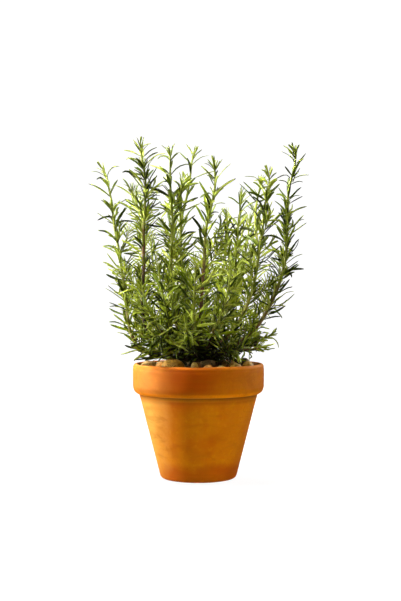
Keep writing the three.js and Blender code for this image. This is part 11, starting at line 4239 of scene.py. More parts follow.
        [24,-83,-39,462,1752,-61,516,1795,-85,565,1843],
        [29,83,-19,451,1727,25,574,1723,90,687,1713],
        [24,-83,-16,465,1741,11,524,1762,52,574,1781],
        [24,-83,-25,474,1737,-24,543,1751,-18,611,1766],
        [24,-83,-19,464,1735,-2,531,1746,34,591,1743],
        [34,92,-5,369,1690,99,430,1715,209,484,1719],
        [24,-92,-6,385,1697,25,442,1718,53,502,1734],
        [24,-92,-8,376,1704,32,415,1763,89,444,1814],
        [24,-92,-9,389,1692,10,451,1706,45,507,1714],
        [24,-92,-14,378,1710,2,411,1791,11,415,1879],
        [34,92,-27,371,1682,-113,455,1649,-212,522,1613],
        [21,2,-251,1063,1980,-282,1101,1994,-322,1132,1997],
        [21,2,-249,1063,1988,-276,1115,2022,-299,1171,2051],
        [25,5,-237,1036,1979,-303,1067,1984,-376,1065,1994],
        [25,5,-230,1041,1977,-251,1118,1973,-244,1197,1968],
        [26,9,-207,1007,1981,-240,1070,2033,-264,1110,2109],
        [26,9,-210,1005,1972,-273,1063,1953,-345,1111,1942],
        [22,14,-172,970,1974,-205,1058,1955,-229,1145,1924],
        [22,14,-180,964,1980,-261,982,2011,-336,967,2056],
        [22,2,-263,780,2038,-322,797,2063,-388,796,2074],
        [22,2,-256,785,2041,-277,822,2078,-296,861,2115],
        [23,6,-231,763,2018,-264,782,2068,-287,785,2127],
        [23,6,-234,769,2012,-274,816,2039,-309,871,2057],
        [23,10,-205,754,1989,-234,812,2035,-237,881,2074],
        [23,10,-211,748,1986,-305,757,2005,-401,772,2006],
        [27,15,-174,737,1953,-262,781,1972,-352,821,1994],
        [27,15,-170,730,1961,-235,721,2044,-307,696,2116],
        [26,21,-127,714,1921,-221,660,1967,-298,584,2013],
        [26,21,-123,725,1924,-166,818,2003,-189,920,2079],
        [20,2,-5,631,2008,-2,669,2051,-8,710,2089],
        [20,2,3,634,2005,20,675,2054,66,707,2090],
        [22,4,2,612,1984,26,618,2052,55,602,2116],
        [22,4,-5,617,1981,-37,660,2016,-78,703,2040],
        [25,8,-1,602,1955,9,683,1994,23,772,2005],
        [25,8,-3,594,1960,-17,589,2051,-33,544,2130],
        [27,14,-9,572,1904,-18,638,1956,-44,709,1994],
        [27,14,-3,563,1908,24,595,1995,77,608,2075],
        [26,19,-18,542,1864,-31,573,1964,-69,605,2057],
        [26,19,-10,549,1860,51,644,1897,122,733,1932],
        [21,2,151,665,1857,168,706,1887,183,735,1929],
        [21,2,148,670,1851,156,729,1853,172,786,1843],
        [20,5,142,645,1835,183,705,1849,226,764,1844],
        [20,5,135,645,1840,124,692,1877,110,735,1916],
        [26,8,125,624,1821,133,689,1844,136,758,1856],
        [26,8,131,618,1825,173,635,1877,208,618,1933],
        [28,13,104,585,1800,83,651,1844,59,715,1889],
        [28,13,112,583,1795,182,640,1783,249,698,1764],
        [28,20,80,526,1771,184,538,1841,299,540,1890],
        [28,20,74,533,1765,86,639,1754,72,745,1741],
        [28,28,38,468,1735,154,485,1686,260,505,1620],
        [28,28,29,472,1743,6,545,1820,-30,624,1884],
        [29,120,-6,118,1563,-48,125,1619,-90,104,1670],
        [22,118,-12,138,1566,-54,185,1603,-113,211,1638],
        [29,118,12,144,1560,95,193,1547,181,237,1546],
    ],
    "sprig_low_front": [
        [17,0,-171,-802,2053,-189,-827,2097,-212,-846,2141],
        [17,1,-161,-801,2043,-156,-833,2077,-151,-867,2110],
        [17,2,-169,-793,2035,-195,-827,2077,-223,-862,2116],
        [17,3,-163,-783,2031,-171,-794,2096,-179,-796,2162],
        [21,4,-166,-783,2018,-198,-819,2043,-242,-848,2060],
        [21,5,-156,-779,2010,-144,-824,2040,-136,-872,2068],
        [21,6,-163,-772,2002,-204,-818,2022,-251,-858,2041],
        [29,12,-149,-737,1954,-158,-806,1999,-153,-877,2040],
        [29,12,-148,-726,1965,-147,-747,2063,-133,-728,2161],
        [25,17,-133,-696,1927,-94,-759,1991,-29,-795,2054],
        [25,17,-150,-693,1926,-204,-745,1983,-259,-789,2046],
        [25,24,-131,-635,1892,-153,-658,1997,-191,-660,2099],
        [25,24,-133,-644,1877,-154,-745,1906,-162,-852,1902],
        [34,34,-124,-555,1832,-213,-636,1888,-327,-673,1947],
        [34,34,-105,-559,1832,-43,-669,1876,17,-775,1930],
        [28,45,-100,-467,1769,-136,-585,1763,-148,-707,1753],
        [28,45,-90,-459,1786,-36,-500,1907,55,-518,2010],
        [38,56,-67,-377,1717,2,-482,1727,106,-550,1703],
        [24,-56,-70,-392,1728,-53,-485,1766,-22,-579,1789],
        [24,-56,-69,-389,1738,-19,-450,1805,45,-508,1861],
        [38,56,-88,-371,1718,-166,-456,1773,-283,-491,1814],
        [24,-56,-88,-378,1736,-119,-398,1781,-150,-411,1829],
        [24,-56,-93,-389,1737,-138,-425,1775,-192,-447,1812],
        [24,-56,-91,-382,1726,-146,-445,1760,-213,-504,1774],
        [24,-56,-92,-392,1727,-129,-468,1765,-177,-543,1792],
        [33,64,-62,-293,1678,-107,-361,1789,-173,-421,1895],
        [24,-64,-54,-315,1690,-56,-361,1742,-63,-405,1794],
        [24,-64,-72,-310,1688,-126,-326,1757,-191,-322,1819],
        [33,64,-64,-307,1659,-118,-407,1629,-165,-504,1582],
        [20,2,-197,-785,1831,-216,-847,1833,-233,-909,1825],
        [20,2,-192,-786,1836,-197,-842,1869,-206,-897,1903],
        [26,6,-179,-750,1826,-165,-820,1802,-143,-883,1768],
        [26,6,-187,-747,1829,-236,-793,1832,-296,-822,1837],
        [28,9,-169,-722,1832,-167,-803,1853,-145,-869,1901],
        [28,9,-177,-719,1827,-227,-779,1808,-293,-814,1777],
        [23,14,-161,-672,1836,-223,-737,1869,-282,-797,1916],
        [23,14,-153,-674,1828,-150,-756,1781,-137,-834,1730],
        [25,19,-142,-625,1835,-195,-716,1791,-243,-784,1712],
        [25,19,-138,-630,1846,-162,-720,1885,-181,-805,1936],
        [23,2,-228,-447,1751,-274,-489,1771,-325,-531,1766],
        [23,2,-223,-447,1759,-246,-480,1805,-248,-493,1865],
        [22,6,-202,-430,1744,-222,-491,1776,-211,-557,1801],
        [22,6,-207,-423,1745,-259,-446,1783,-309,-437,1829],
        [23,9,-176,-400,1732,-233,-432,1780,-286,-463,1832],
        [23,9,-176,-405,1723,-230,-475,1695,-269,-545,1649],
        [25,14,-148,-376,1713,-252,-368,1703,-352,-364,1673],
        [25,14,-142,-385,1713,-197,-453,1726,-227,-534,1712],
        [24,86,-28,-130,1552,-80,-176,1561,-136,-219,1569],
        [26,34,-121,-559,1827,-171,-623,1821,-234,-667,1793],
        [28,24,-124,-644,1881,-80,-705,1873,-34,-763,1883],
        [29,70,-37,-266,1639,52,-308,1651,137,-355,1669],
        [23,70,-51,-269,1629,-71,-314,1564,-105,-370,1516],
        [24,42,-93,-492,1789,-39,-531,1766,0,-586,1746],
        [23,18,-133,-690,1918,-57,-756,1927,22,-818,1929],
        [25,24,-128,-645,1878,-124,-724,1877,-103,-797,1856],
        [27,22,-140,-658,1891,-217,-682,1836,-304,-713,1806],
        [29,38,-106,-527,1805,-103,-593,1762,-95,-662,1724],
        [29,50,-82,-427,1746,-67,-497,1733,-45,-555,1694],
        [26,62,-65,-331,1677,-85,-443,1673,-110,-553,1666],
        [30,38,-115,-524,1807,-182,-599,1802,-259,-664,1800],
        [31,84,-7,-150,1568,88,-201,1616,181,-229,1685],
        [22,32,-110,-577,1839,-73,-688,1867,-6,-784,1893],
        [23,34,-123,-556,1831,-180,-603,1846,-225,-659,1868],
        [27,44,-88,-473,1785,18,-520,1812,130,-561,1802],
        [24,58,-62,-358,1710,17,-378,1709,95,-386,1687],
        [25,12,-155,-734,1955,-241,-784,1909,-339,-830,1893],
        [30,36,-106,-544,1817,-94,-649,1837,-46,-746,1834],
        [27,12,-156,-733,1956,-234,-752,1923,-309,-760,1882],
        [29,46,-102,-456,1767,-175,-542,1767,-234,-636,1784],
        [27,12,-149,-737,1954,-158,-822,1964,-175,-904,1980],
        [29,82,-21,-172,1564,-32,-246,1564,-54,-313,1540],
        [24,12,-145,-736,1955,-91,-826,1898,-64,-925,1836],
        [27,62,-74,-326,1680,-129,-409,1702,-153,-505,1725],
        [24,88,0,-113,1553,53,-195,1618,100,-289,1670],
        [25,22,-125,-657,1897,-46,-699,1926,46,-715,1938],
        [22,42,-98,-494,1785,-64,-582,1711,-17,-654,1627],
        [24,46,-95,-460,1765,-102,-495,1709,-120,-515,1648],
        [24,84,-32,-144,1567,-119,-143,1585,-206,-125,1582],
        [30,22,-135,-661,1889,-152,-719,1820,-178,-789,1769],
        [26,30,-126,-593,1847,-201,-657,1808,-292,-703,1779],
        [24,82,-12,-165,1580,44,-199,1625,89,-254,1660],
        [23,54,-70,-391,1731,-29,-488,1777,-13,-594,1817],
        [27,42,-91,-489,1796,-38,-521,1829,19,-550,1858],
        [23,36,-104,-543,1818,-48,-613,1795,5,-675,1753],
        [29,34,-109,-561,1827,-75,-647,1789,-67,-741,1757],
        [27,82,-13,-170,1570,36,-280,1592,81,-385,1633],
        [30,90,3,-94,1547,73,-96,1596,146,-102,1640],
        [30,24,-127,-644,1879,-94,-711,1836,-68,-789,1812],
        [29,36,-111,-544,1815,-123,-620,1759,-148,-700,1715],
        [22,74,-52,-229,1614,-163,-210,1608,-267,-173,1586],
        [25,74,-50,-234,1608,-112,-316,1630,-194,-383,1629],
        [24,52,-89,-409,1734,-130,-471,1692,-161,-538,1650],
        [29,70,-39,-268,1634,17,-331,1616,67,-384,1568],
        [27,48,-83,-442,1758,-55,-505,1759,-45,-573,1767],
        [30,32,-126,-570,1845,-194,-588,1891,-255,-607,1947],
        [28,60,-60,-345,1694,8,-387,1674,76,-432,1667],
        [31,48,-82,-437,1768,-41,-489,1836,-18,-533,1917],
        [29,90,5,-99,1539,86,-169,1568,168,-224,1618],
    ],
    "sprig_left_small": [
        [25,9,-837,-108,3641,-906,-100,3700,-988,-91,3757,-1081,-82,3796],
        [30,33,-761,-197,3432,-847,-192,3478,-933,-188,3530,-1025,-185,3570],
        [26,20,-801,-143,3543,-820,-137,3549,-887,-115,3596,-944,-100,3608],
        [25,4,-852,-97,3688,-910,-71,3795,-944,-57,3846,-981,-53,3887],
        [25,0,-861,-94,3727,-916,-127,3778,-967,-155,3801],
        [17,0,-852,-89,3728,-857,-73,3785,-858,-52,3841],
        [17,1,-854,-96,3719,-869,-99,3773,-885,-100,3827],
        [17,2,-847,-95,3710,-845,-89,3773,-840,-85,3835],
        [17,3,-843,-94,3700,-831,-77,3759,-817,-54,3815],
        [21,4,-841,-94,3690,-832,-65,3751,-805,-31,3804],
        [21,5,-845,-95,3679,-884,-43,3727,-922,25,3751],
        [21,6,-834,-99,3672,-812,-66,3739,-788,-42,3809],
        [21,7,-831,-106,3664,-794,-107,3746,-759,-106,3829],
        [21,9,-825,-106,3644,-787,-52,3704,-744,4,3759],
        [21,10,-825,-107,3634,-811,-13,3669,-784,84,3683],
        [25,12,-825,-125,3617,-858,-105,3688,-911,-98,3749],
        [25,12,-813,-117,3619,-781,-89,3688,-723,-53,3730],
        [30,21,-788,-155,3542,-795,-197,3646,-787,-246,3747],
        [30,21,-793,-140,3533,-842,-51,3543,-879,45,3541],
        [33,30,-750,-184,3465,-653,-155,3590,-525,-122,3683],
        [24,-30,-758,-176,3485,-739,-162,3557,-703,-165,3623],
        [24,-30,-755,-172,3478,-713,-125,3541,-661,-77,3597],
        [24,-30,-755,-181,3477,-730,-173,3554,-686,-162,3622],
        [33,30,-769,-180,3456,-864,-103,3545,-946,-3,3623],
        [30,44,-732,-247,3340,-801,-237,3345,-869,-230,3356],
        [26,41,-719,-234,3372,-603,-270,3398,-499,-306,3455],
        [31,44,-731,-244,3339,-815,-189,3375,-889,-135,3430],
        [28,41,-738,-238,3368,-836,-259,3422,-899,-284,3514],
    ],
    "sprig_centre_small": [
        [26,14,-221,250,3751,-204,260,3799,-137,287,3852,-79,311,3896],
        [25,9,-225,237,3801,-234,242,3798,-271,267,3850,-340,299,3895],
        [28,61,-249,366,3297,-258,375,3309,-173,429,3353,-97,473,3382],
        [17,0,-210,229,3890,-207,233,3946,-209,244,4001],
        [17,1,-209,221,3878,-201,202,3936,-193,174,3990],
        [17,2,-206,226,3869,-177,219,3928,-139,215,3983],
        [17,3,-216,231,3860,-232,241,3929,-252,259,3996],
        [21,4,-208,228,3849,-163,218,3908,-102,215,3949],
        [21,5,-209,228,3839,-165,200,3889,-118,167,3932],
        [21,6,-210,232,3829,-149,229,3883,-91,230,3940],
        [21,7,-211,234,3819,-148,243,3873,-80,254,3919],
        [21,9,-219,230,3799,-226,153,3859,-244,71,3909],
        [21,10,-214,237,3789,-140,231,3841,-61,238,3885],
        [27,12,-228,235,3770,-260,202,3834,-318,162,3869],
        [27,12,-214,238,3769,-145,213,3841,-61,198,3899],
        [26,18,-228,241,3710,-215,149,3775,-215,46,3823],
        [26,18,-231,257,3713,-249,313,3784,-262,377,3851],
        [38,29,-246,269,3603,-308,227,3702,-404,172,3757],
        [41,42,-245,313,3480,-270,340,3633,-279,404,3777],
        [24,-42,-238,307,3504,-228,324,3567,-211,357,3622],
        [24,-42,-237,310,3492,-232,310,3556,-228,325,3619],
        [24,-42,-244,310,3494,-267,360,3582,-283,421,3663],
        [41,42,-240,293,3474,-238,211,3596,-236,83,3667],
        [24,-42,-231,295,3489,-195,267,3530,-148,247,3565],
        [24,-42,-248,289,3496,-275,236,3548,-303,169,3578],
        [24,-42,-248,292,3487,-279,245,3520,-324,201,3539],
        [30,41,-231,302,3487,-165,304,3505,-99,307,3520],
    ],
    "sprig_right_small": [
        [24,3,807,252,3831,772,271,3915,701,287,3938,604,303,3943],
        [28,8,813,243,3780,821,238,3774,769,210,3835,713,189,3858],
        [30,26,763,204,3610,740,204,3620,652,204,3725,537,203,3842],
        [24,17,782,223,3697,713,201,3746,583,155,3863],
        [28,26,779,202,3608,746,180,3598,660,156,3560,590,133,3500],
        [27,27,763,197,3602,716,163,3648,668,128,3694,627,94,3746],
        [17,0,816,259,3859,823,280,3916,834,306,3969],
        [17,1,819,252,3850,836,254,3906,861,246,3958],
        [17,2,819,250,3840,844,253,3896,885,254,3941],
        [17,3,812,255,3830,808,282,3888,797,312,3943],
        [21,4,817,247,3820,852,238,3882,886,222,3944],
        [21,5,816,248,3810,867,258,3869,934,263,3908],
        [21,6,808,241,3802,804,215,3879,784,171,3945],
        [21,7,813,247,3790,869,279,3829,922,314,3871],
        [21,9,810,243,3770,880,270,3801,958,293,3811],
        [21,10,808,238,3761,901,224,3794,994,202,3823],
        [23,12,798,228,3744,814,202,3817,840,168,3883],
        [30,20,791,218,3665,906,216,3725,1025,209,3778],
        [30,20,777,225,3666,728,300,3723,680,375,3780],
        [33,32,761,179,3555,781,129,3683,821,57,3794],
        [36,46,737,148,3419,696,227,3544,616,319,3639],
        [24,-46,737,149,3446,729,172,3512,702,195,3573],
        [24,-46,744,158,3433,735,208,3472,718,264,3499],
        [36,46,756,140,3420,840,157,3527,926,147,3632],
        [40,59,744,84,3304,742,51,3469,764,-26,3617],
        [40,59,753,100,3297,799,190,3427,854,278,3554],
        [38,70,762,46,3202,828,90,3332,932,110,3442],
        [24,-70,757,52,3227,785,50,3312,805,40,3399],
        [24,-70,759,48,3218,797,47,3293,844,45,3364],
        [24,-70,753,45,3220,761,30,3285,765,4,3346],
        [24,-70,751,45,3221,750,55,3276,753,60,3332],
        [38,70,740,53,3196,643,139,3243,537,227,3250],
        [28,38,762,167,3495,797,177,3540,829,184,3588],
        [25,26,779,200,3609,825,176,3608,865,152,3631],
        [26,17,781,224,3697,754,222,3734,731,217,3773],
        [28,71,745,35,3194,723,21,3235,693,2,3268],
    ],
}
TWIGS = {
    "sprig_far_left": [
        [-1165,157,3592,-1122,207,3402,-1101,293,3222],
        [-1029,231,3292,-1041,246,3176,-1064,282,3067],
        [-918,350,3242,-958,319,3063,-1033,275,2899],
        [-1024,88,2865,-1020,155,2765,-1008,242,2683],
        [-973,113,2890,-966,157,2718,-981,229,2556],
        [-703,376,2583,-807,299,2421,-940,211,2290],
        [-870,47,2426,-899,95,2267,-929,177,2123],
        [-794,73,2216,-819,104,2043,-876,149,1882],
        [-836,334,2013,-785,245,1846,-767,131,1688],
        [-727,139,1842,-630,110,1731,-557,90,1602],
        [-654,-15,1666,-552,18,1631,-462,65,1581],
    ],
    "sprig_left_tall": [
        [-556,-472,3787,-599,-437,3693,-663,-405,3612],
        [-841,-389,3586,-776,-381,3483,-690,-378,3395],
        [-661,-513,3390,-682,-450,3295,-693,-367,3215],
        [-733,-211,3275,-716,-262,3175,-700,-332,3088],
        [-669,-75,3213,-681,-170,3030,-694,-302,2871],
        [-502,-251,2853,-585,-263,2737,-691,-276,2642],
        [-936,-315,2701,-842,-288,2551,-721,-246,2425],
        [-747,-389,2491,-725,-322,2370,-714,-230,2266],
        [-801,-74,2297,-748,-110,2180,-698,-173,2073],
        [-806,-334,1956,-722,-251,1901,-635,-157,1871],
        [-702,-1,1988,-615,-39,1873,-537,-108,1766],
        [-633,72,1764,-518,9,1719,-417,-79,1683],
    ],
    "sprig_centre_left": [
        [-206,-236,3766,-258,-209,3612,-332,-158,3474],
        [-390,49,3573,-357,-32,3449,-333,-139,3345],
        [-466,-43,3296,-411,-74,3178,-344,-126,3076],
        [-330,32,3199,-345,-26,3051,-346,-112,2916],
        [-258,-218,2887,-295,-172,2805,-345,-116,2736],
        [-526,-130,2750,-457,-113,2620,-364,-93,2507],
        [-439,164,2712,-393,62,2552,-353,-74,2418],
        [-240,-130,2407,-268,-105,2294,-316,-71,2191],
        [-348,-292,2245,-319,-190,2122,-287,-64,2024],
        [-307,-230,2133,-253,-154,1985,-212,-48,1852],
    ],
    "sprig_centre_tall": [
        [-282,465,3815,-248,460,3694,-190,450,3583],
        [-326,480,3628,-288,460,3507,-228,425,3398],
        [-170,638,3437,-194,528,3295,-235,395,3179],
        [-345,286,3230,-301,310,3116,-243,351,3015],
        [-352,237,3001,-298,257,2869,-226,298,2751],
        [-227,507,2781,-213,403,2660,-201,276,2563],
        [-105,186,2631,-128,199,2518,-171,224,2414],
        [-388,197,2555,-288,185,2380,-154,182,2228],
        [-43,278,2332,-51,209,2189,-95,145,2051],
        [-36,288,2068,-47,209,2000,-77,124,1944],
    ],
    "sprig_centre_right": [
        [200,-759,3634,159,-659,3483,127,-528,3354],
        [134,-696,3363,123,-607,3295,105,-507,3248],
        [321,-580,3306,223,-514,3148,93,-447,3016],
        [239,-361,3105,175,-376,2970,85,-399,2852],
        [301,-455,2994,204,-402,2840,76,-365,2706],
        [82,-236,2761,73,-260,2645,54,-306,2537],
        [-57,-244,2808,-27,-253,2618,39,-281,2440],
        [-140,-319,2594,-70,-277,2442,30,-247,2304],
        [257,-265,2360,161,-226,2235,40,-193,2131],
        [-183,-158,2285,-99,-148,2143,10,-154,2019],
    ],
    "sprig_right_inner": [
        [627,450,3296,562,361,3119,503,233,2965],
        [287,291,3221,368,262,3037,484,218,2877],
        [340,-27,3020,402,63,2841,473,188,2689],
        [570,38,2677,509,84,2563,454,157,2462],
        [501,345,2567,456,264,2426,423,153,2304],
        [453,40,2369,422,62,2251,384,109,2143],
        [519,172,2048,428,130,1999,327,93,1971],
        [357,254,2002,298,176,1926,257,80,1861],
    ],
    "sprig_right_mid": [
        [967,-215,3491,913,-168,3388,842,-109,3302],
        [878,-321,3362,848,-226,3211,805,-104,3085],
        [949,-236,3069,868,-177,2977,785,-95,2907],
        [661,-61,2988,682,-69,2826,737,-77,2672],
        [693,-167,2704,684,-126,2588,698,-76,2476],
        [980,8,2572,834,-15,2424,665,-56,2310],
        [646,51,2529,608,19,2351,593,-44,2178],
        [700,-184,2120,600,-130,2050,507,-51,1996],
        [588,-282,1962,471,-174,1889,375,-39,1833],
    ],
    "sprig_far_right": [
        [1130,-28,3535,1140,36,3357,1158,136,3196],
        [1133,-109,3226,1136,-7,3074,1149,123,2947],
        [1136,306,2964,1123,231,2828,1111,129,2710],
        [1083,297,2887,1065,221,2730,1071,121,2587],
        [1035,274,2528,1006,198,2449,997,109,2380],
        [892,201,2563,889,149,2399,923,93,2240],
        [860,158,2290,847,131,2192,847,85,2100],
        [762,130,2223,757,98,2113,777,72,2004],
        [721,-81,2021,658,-29,1920,615,41,1820],
        [855,122,1705,677,96,1701,506,47,1729],
    ],
    "sprig_back_centre": [
        [311,934,3007,316,818,2886,345,686,2786],
        [625,622,2822,486,599,2696,326,601,2595],
        [276,454,2661,274,459,2515,274,495,2374],
        [282,358,2576,255,386,2420,251,442,2270],
        [486,560,2261,368,460,2187,225,380,2135],
        [276,593,2112,220,442,2014,158,275,1953],
    ],
    "sprig_back_right": [
        [738,728,3013,685,765,2898,616,821,2799],
        [710,667,2830,640,679,2693,558,718,2568],
        [599,633,2676,563,635,2564,522,660,2457],
        [411,763,2581,412,664,2430,450,571,2281],
        [259,700,2404,310,597,2269,395,493,2153],
        [567,317,2186,433,299,2040,281,312,1914],
    ],
    "sprig_low_right": [
        [811,314,1686,733,252,1699,670,176,1721],
        [761,400,1803,619,284,1749,506,143,1687],
        [547,302,1747,433,218,1675,331,107,1625],
    ],
    "sprig_low_right_front": [
        [717,-314,1891,579,-306,1791,455,-326,1674],
        [424,-571,1827,378,-430,1740,367,-282,1653],
    ],
    "sprig_front_centre": [
        [193,-1193,2656,94,-1072,2530,-41,-971,2421],
        [-174,-935,2687,-125,-895,2509,-55,-889,2334],
        [-56,-926,2191,-48,-824,2154,-51,-717,2138],
        [109,-720,2121,44,-652,2072,-38,-595,2035],
        [-168,-531,2048,-112,-483,1977,-41,-449,1912],
        [2,-459,2034,0,-404,1943,-18,-364,1845],
    ],
    "sprig_front_right": [
        [499,-977,2491,433,-906,2449,364,-827,2430],
        [462,-681,2591,395,-682,2438,331,-719,2289],
        [486,-665,2291,398,-638,2227,302,-631,2171],
        [450,-669,2131,359,-588,2069,251,-512,2031],
        [224,-364,2175,196,-340,2025,175,-347,1873],
    ],
    "sprig_front_left_pale": [
        [-341,-768,2588,-379,-701,2488,-441,-634,2400],
        [-295,-491,2609,-332,-505,2411,-405,-542,2226],
        [-327,-715,2328,-333,-600,2199,-370,-475,2085],
        [-632,-686,2030,-503,-532,1971,-348,-393,1948],
        [-237,-391,1933,-223,-319,1852,-232,-245,1771],
    ],
    "sprig_front_low_left": [
        [-964,-814,2280,-789,-767,2191,-597,-726,2143],
        [-547,-877,2109,-524,-764,2061,-525,-645,2024],
        [-587,-911,1885,-497,-727,1876,-439,-531,1898],
        [-456,-518,2076,-399,-469,1958,-363,-435,1827],
        [-315,-662,1789,-276,-506,1746,-265,-342,1723],
    ],
    "sprig_back_left": [
        [-818,826,3110,-727,868,2964,-627,941,2838],
        [-751,1071,2846,-684,981,2751,-595,887,2680],
        [-831,1016,2679,-700,909,2574,-548,802,2505],
        [-731,815,2464,-626,761,2415,-507,728,2381],
        [-536,983,2386,-496,823,2295,-446,650,2242],
        [-501,440,2368,-417,457,2223,-356,505,2073],
        [-302,522,2209,-273,450,2084,-265,399,1946],
        [-542,314,2052,-384,293,1944,-219,311,1846],
    ],
    "sprig_back_mid_left": [
        [-360,970,2973,-319,976,2875,-276,1004,2781],
        [-425,1181,2782,-354,1067,2709,-262,954,2661],
        [-145,943,2706,-168,886,2584,-219,836,2468],
        [-24,823,2593,-91,758,2442,-187,716,2299],
        [-59,837,2285,-96,716,2186,-148,582,2116],
        [-130,783,2115,-118,643,2049,-125,493,2010],
        [6,584,2109,-28,492,2003,-90,396,1915],
    ],
    "sprig_back_mid": [
        [273,1190,3008,212,1117,2874,122,1064,2747],
        [254,1052,2740,194,998,2649,116,960,2565],
        [225,951,2620,176,908,2533,111,881,2449],
        [102,783,2589,92,733,2422,90,717,2249],
        [81,1008,2165,71,821,2127,81,630,2126],
        [278,836,2172,189,689,2079,82,534,2023],
        [-33,353,1987,9,312,1887,58,294,1783],
    ],
    "sprig_back_low_left": [
        [-805,648,2722,-805,668,2550,-843,699,2385],
        [-728,648,2546,-735,638,2386,-775,639,2230],
        [-819,550,2324,-730,532,2191,-665,538,2044],
        [-754,481,2051,-676,468,1986,-588,470,1935],
        [-590,484,2126,-499,402,1977,-425,352,1806],
        [-415,370,1948,-367,313,1849,-329,279,1737],
    ],
    "sprig_back_low_right": [
        [954,972,2268,887,859,2176,808,732,2115],
        [707,836,2100,700,747,2045,715,656,1995],
        [753,866,1806,669,706,1815,595,547,1860],
        [516,771,1858,455,595,1788,429,405,1739],
        [307,470,1773,286,375,1710,288,274,1655],
    ],
    "sprig_low_left": [
        [-561,-395,1901,-508,-344,1815,-469,-307,1715],
    ],
    "sprig_low_back": [
        [-263,1079,1987,-189,982,1976,-112,889,1991],
        [-272,790,2053,-182,738,1967,-77,709,1889],
        [-1,644,2022,-7,567,1906,-32,511,1781],
        [156,683,1865,86,545,1777,-14,412,1714],
    ],
    "sprig_low_front": [
        [-199,-805,1834,-165,-697,1830,-123,-593,1848],
        [-239,-459,1764,-164,-394,1723,-76,-339,1696],
    ],
}
PEBBLES = [
    ("pebble_tan_left", -63.8, -3, 12.0, 9.5, 152.5, 4),
    ("pebble_golden_long", -31.6, -46, 16.6, 11.5, 157.3, -16),
    ("pebble_round_small", -4.6, -60, 5.2, 5.6, 154.2, 0),
    ("pebble_orange", 12.0, -59, 7.2, 7.0, 150.6, 10),
    ("pebble_flat", 29.0, -57, 8.6, 7.2, 149.2, 12),
    ("pebble_beige", 47.4, -44.5, 8.6, 8.2, 151.3, 40),
    ("pebble_yellow", 64.0, -17, 9.0, 8.6, 152.6, 60),
    ("pebble_brown", 45.5, -9, 9.0, 10.0, 156.2, 20),
    ("pebble_dark_right", 61.5, 9, 9.6, 11.0, 151.9, 0),
    ("pebble_01", -44.5, -17.5, 14.0, 11.3, 152.5, 106),
    ("pebble_02", 11.1, -28.2, 12.7, 9.0, 155.4, 174),
    ("pebble_03", -8.5, 47.3, 14.5, 13.3, 154.5, 127),
    ("pebble_04", -46.5, 40.2, 14.2, 12.6, 149.5, 38),
    ("pebble_05", -49.1, 16.8, 9.6, 8.3, 150.3, 116),
    ("pebble_06", -28.0, 15.2, 9.8, 7.4, 155.3, 145),
    ("pebble_07", 36.9, 18.3, 9.0, 7.5, 151.0, 108),
    ("pebble_08", 18.1, 60.9, 8.6, 6.5, 152.2, 11),
    ("pebble_09", -21.1, -15.6, 11.4, 8.5, 153.7, 90),
    ("pebble_10", 17.7, 32.1, 13.9, 11.8, 152.2, 161),
    ("pebble_11", 41.9, 42.5, 10.9, 9.3, 149.6, 36),
    ("pebble_12", -8.4, 23.7, 8.7, 6.6, 153.2, 66),
    ("pebble_13", 30.3, -2.3, 8.6, 6.1, 154.4, 50),
    ("pebble_14", 59.4, 28.6, 9.8, 7.3, 154.4, 166),
    ("pebble_15", 32.7, -21.7, 8.9, 7.1, 155.0, 103),
    ("pebble_16", -2.3, -43.0, 9.0, 7.0, 153.5, 70),
    ("pebble_17", -30.2, 57.8, 9.1, 7.1, 153.9, 124),
    ("pebble_18", -25.4, 31.4, 8.5, 7.6, 152.8, 2),
    ("pebble_19", -14.0, -33.9, 7.5, 5.9, 148.6, 86),
]

POT_TOP = 149.0
SOIL_TOP = 137.0
CROWN = np.array((1.5, 0.0, 149.0))
CROWN_RADIUS = 15.0


# ---------------------------------------------------------------- curves

def through(points, per=8):
    """A smooth line through the points."""
    pts = np.asarray(points, float)
    ext = np.vstack([2 * pts[0] - pts[1], pts, 2 * pts[-1] - pts[-2]])
    out = []
    t = (np.arange(per) / per)[:, None]
    for i in range(1, len(ext) - 2):
        p0, p1, p2, p3 = ext[i - 1:i + 3]
        out.append(0.5 * (2 * p1 + (p2 - p0) * t + (2 * p0 - 5 * p1 + 4 * p2 - p3) * t * t
                          + (3 * p1 - p0 - 3 * p2 + p3) * t ** 3))
    out.append(pts[-1:])
    return np.vstack(out)


def along(line):
    return np.concatenate([[0.0], np.cumsum(np.linalg.norm(np.diff(line, axis=0), axis=1))])


def at_lengths(line, where):
    length = along(line)
    return np.stack([np.interp(where, length, line[:, k]) for k in range(3)], 1)


def unit(v):
    return v / (np.linalg.norm(v, axis=-1, keepdims=True) + 1e-12)


def hill(x, y, z, scale, seed=0.0):
    """Smooth noise from -1 to 1."""
    return noise.noise(Vector((x * scale + seed, y * scale - seed * 0.7, z * scale + seed * 1.3)))


# ---------------------------------------------------------------- meshes

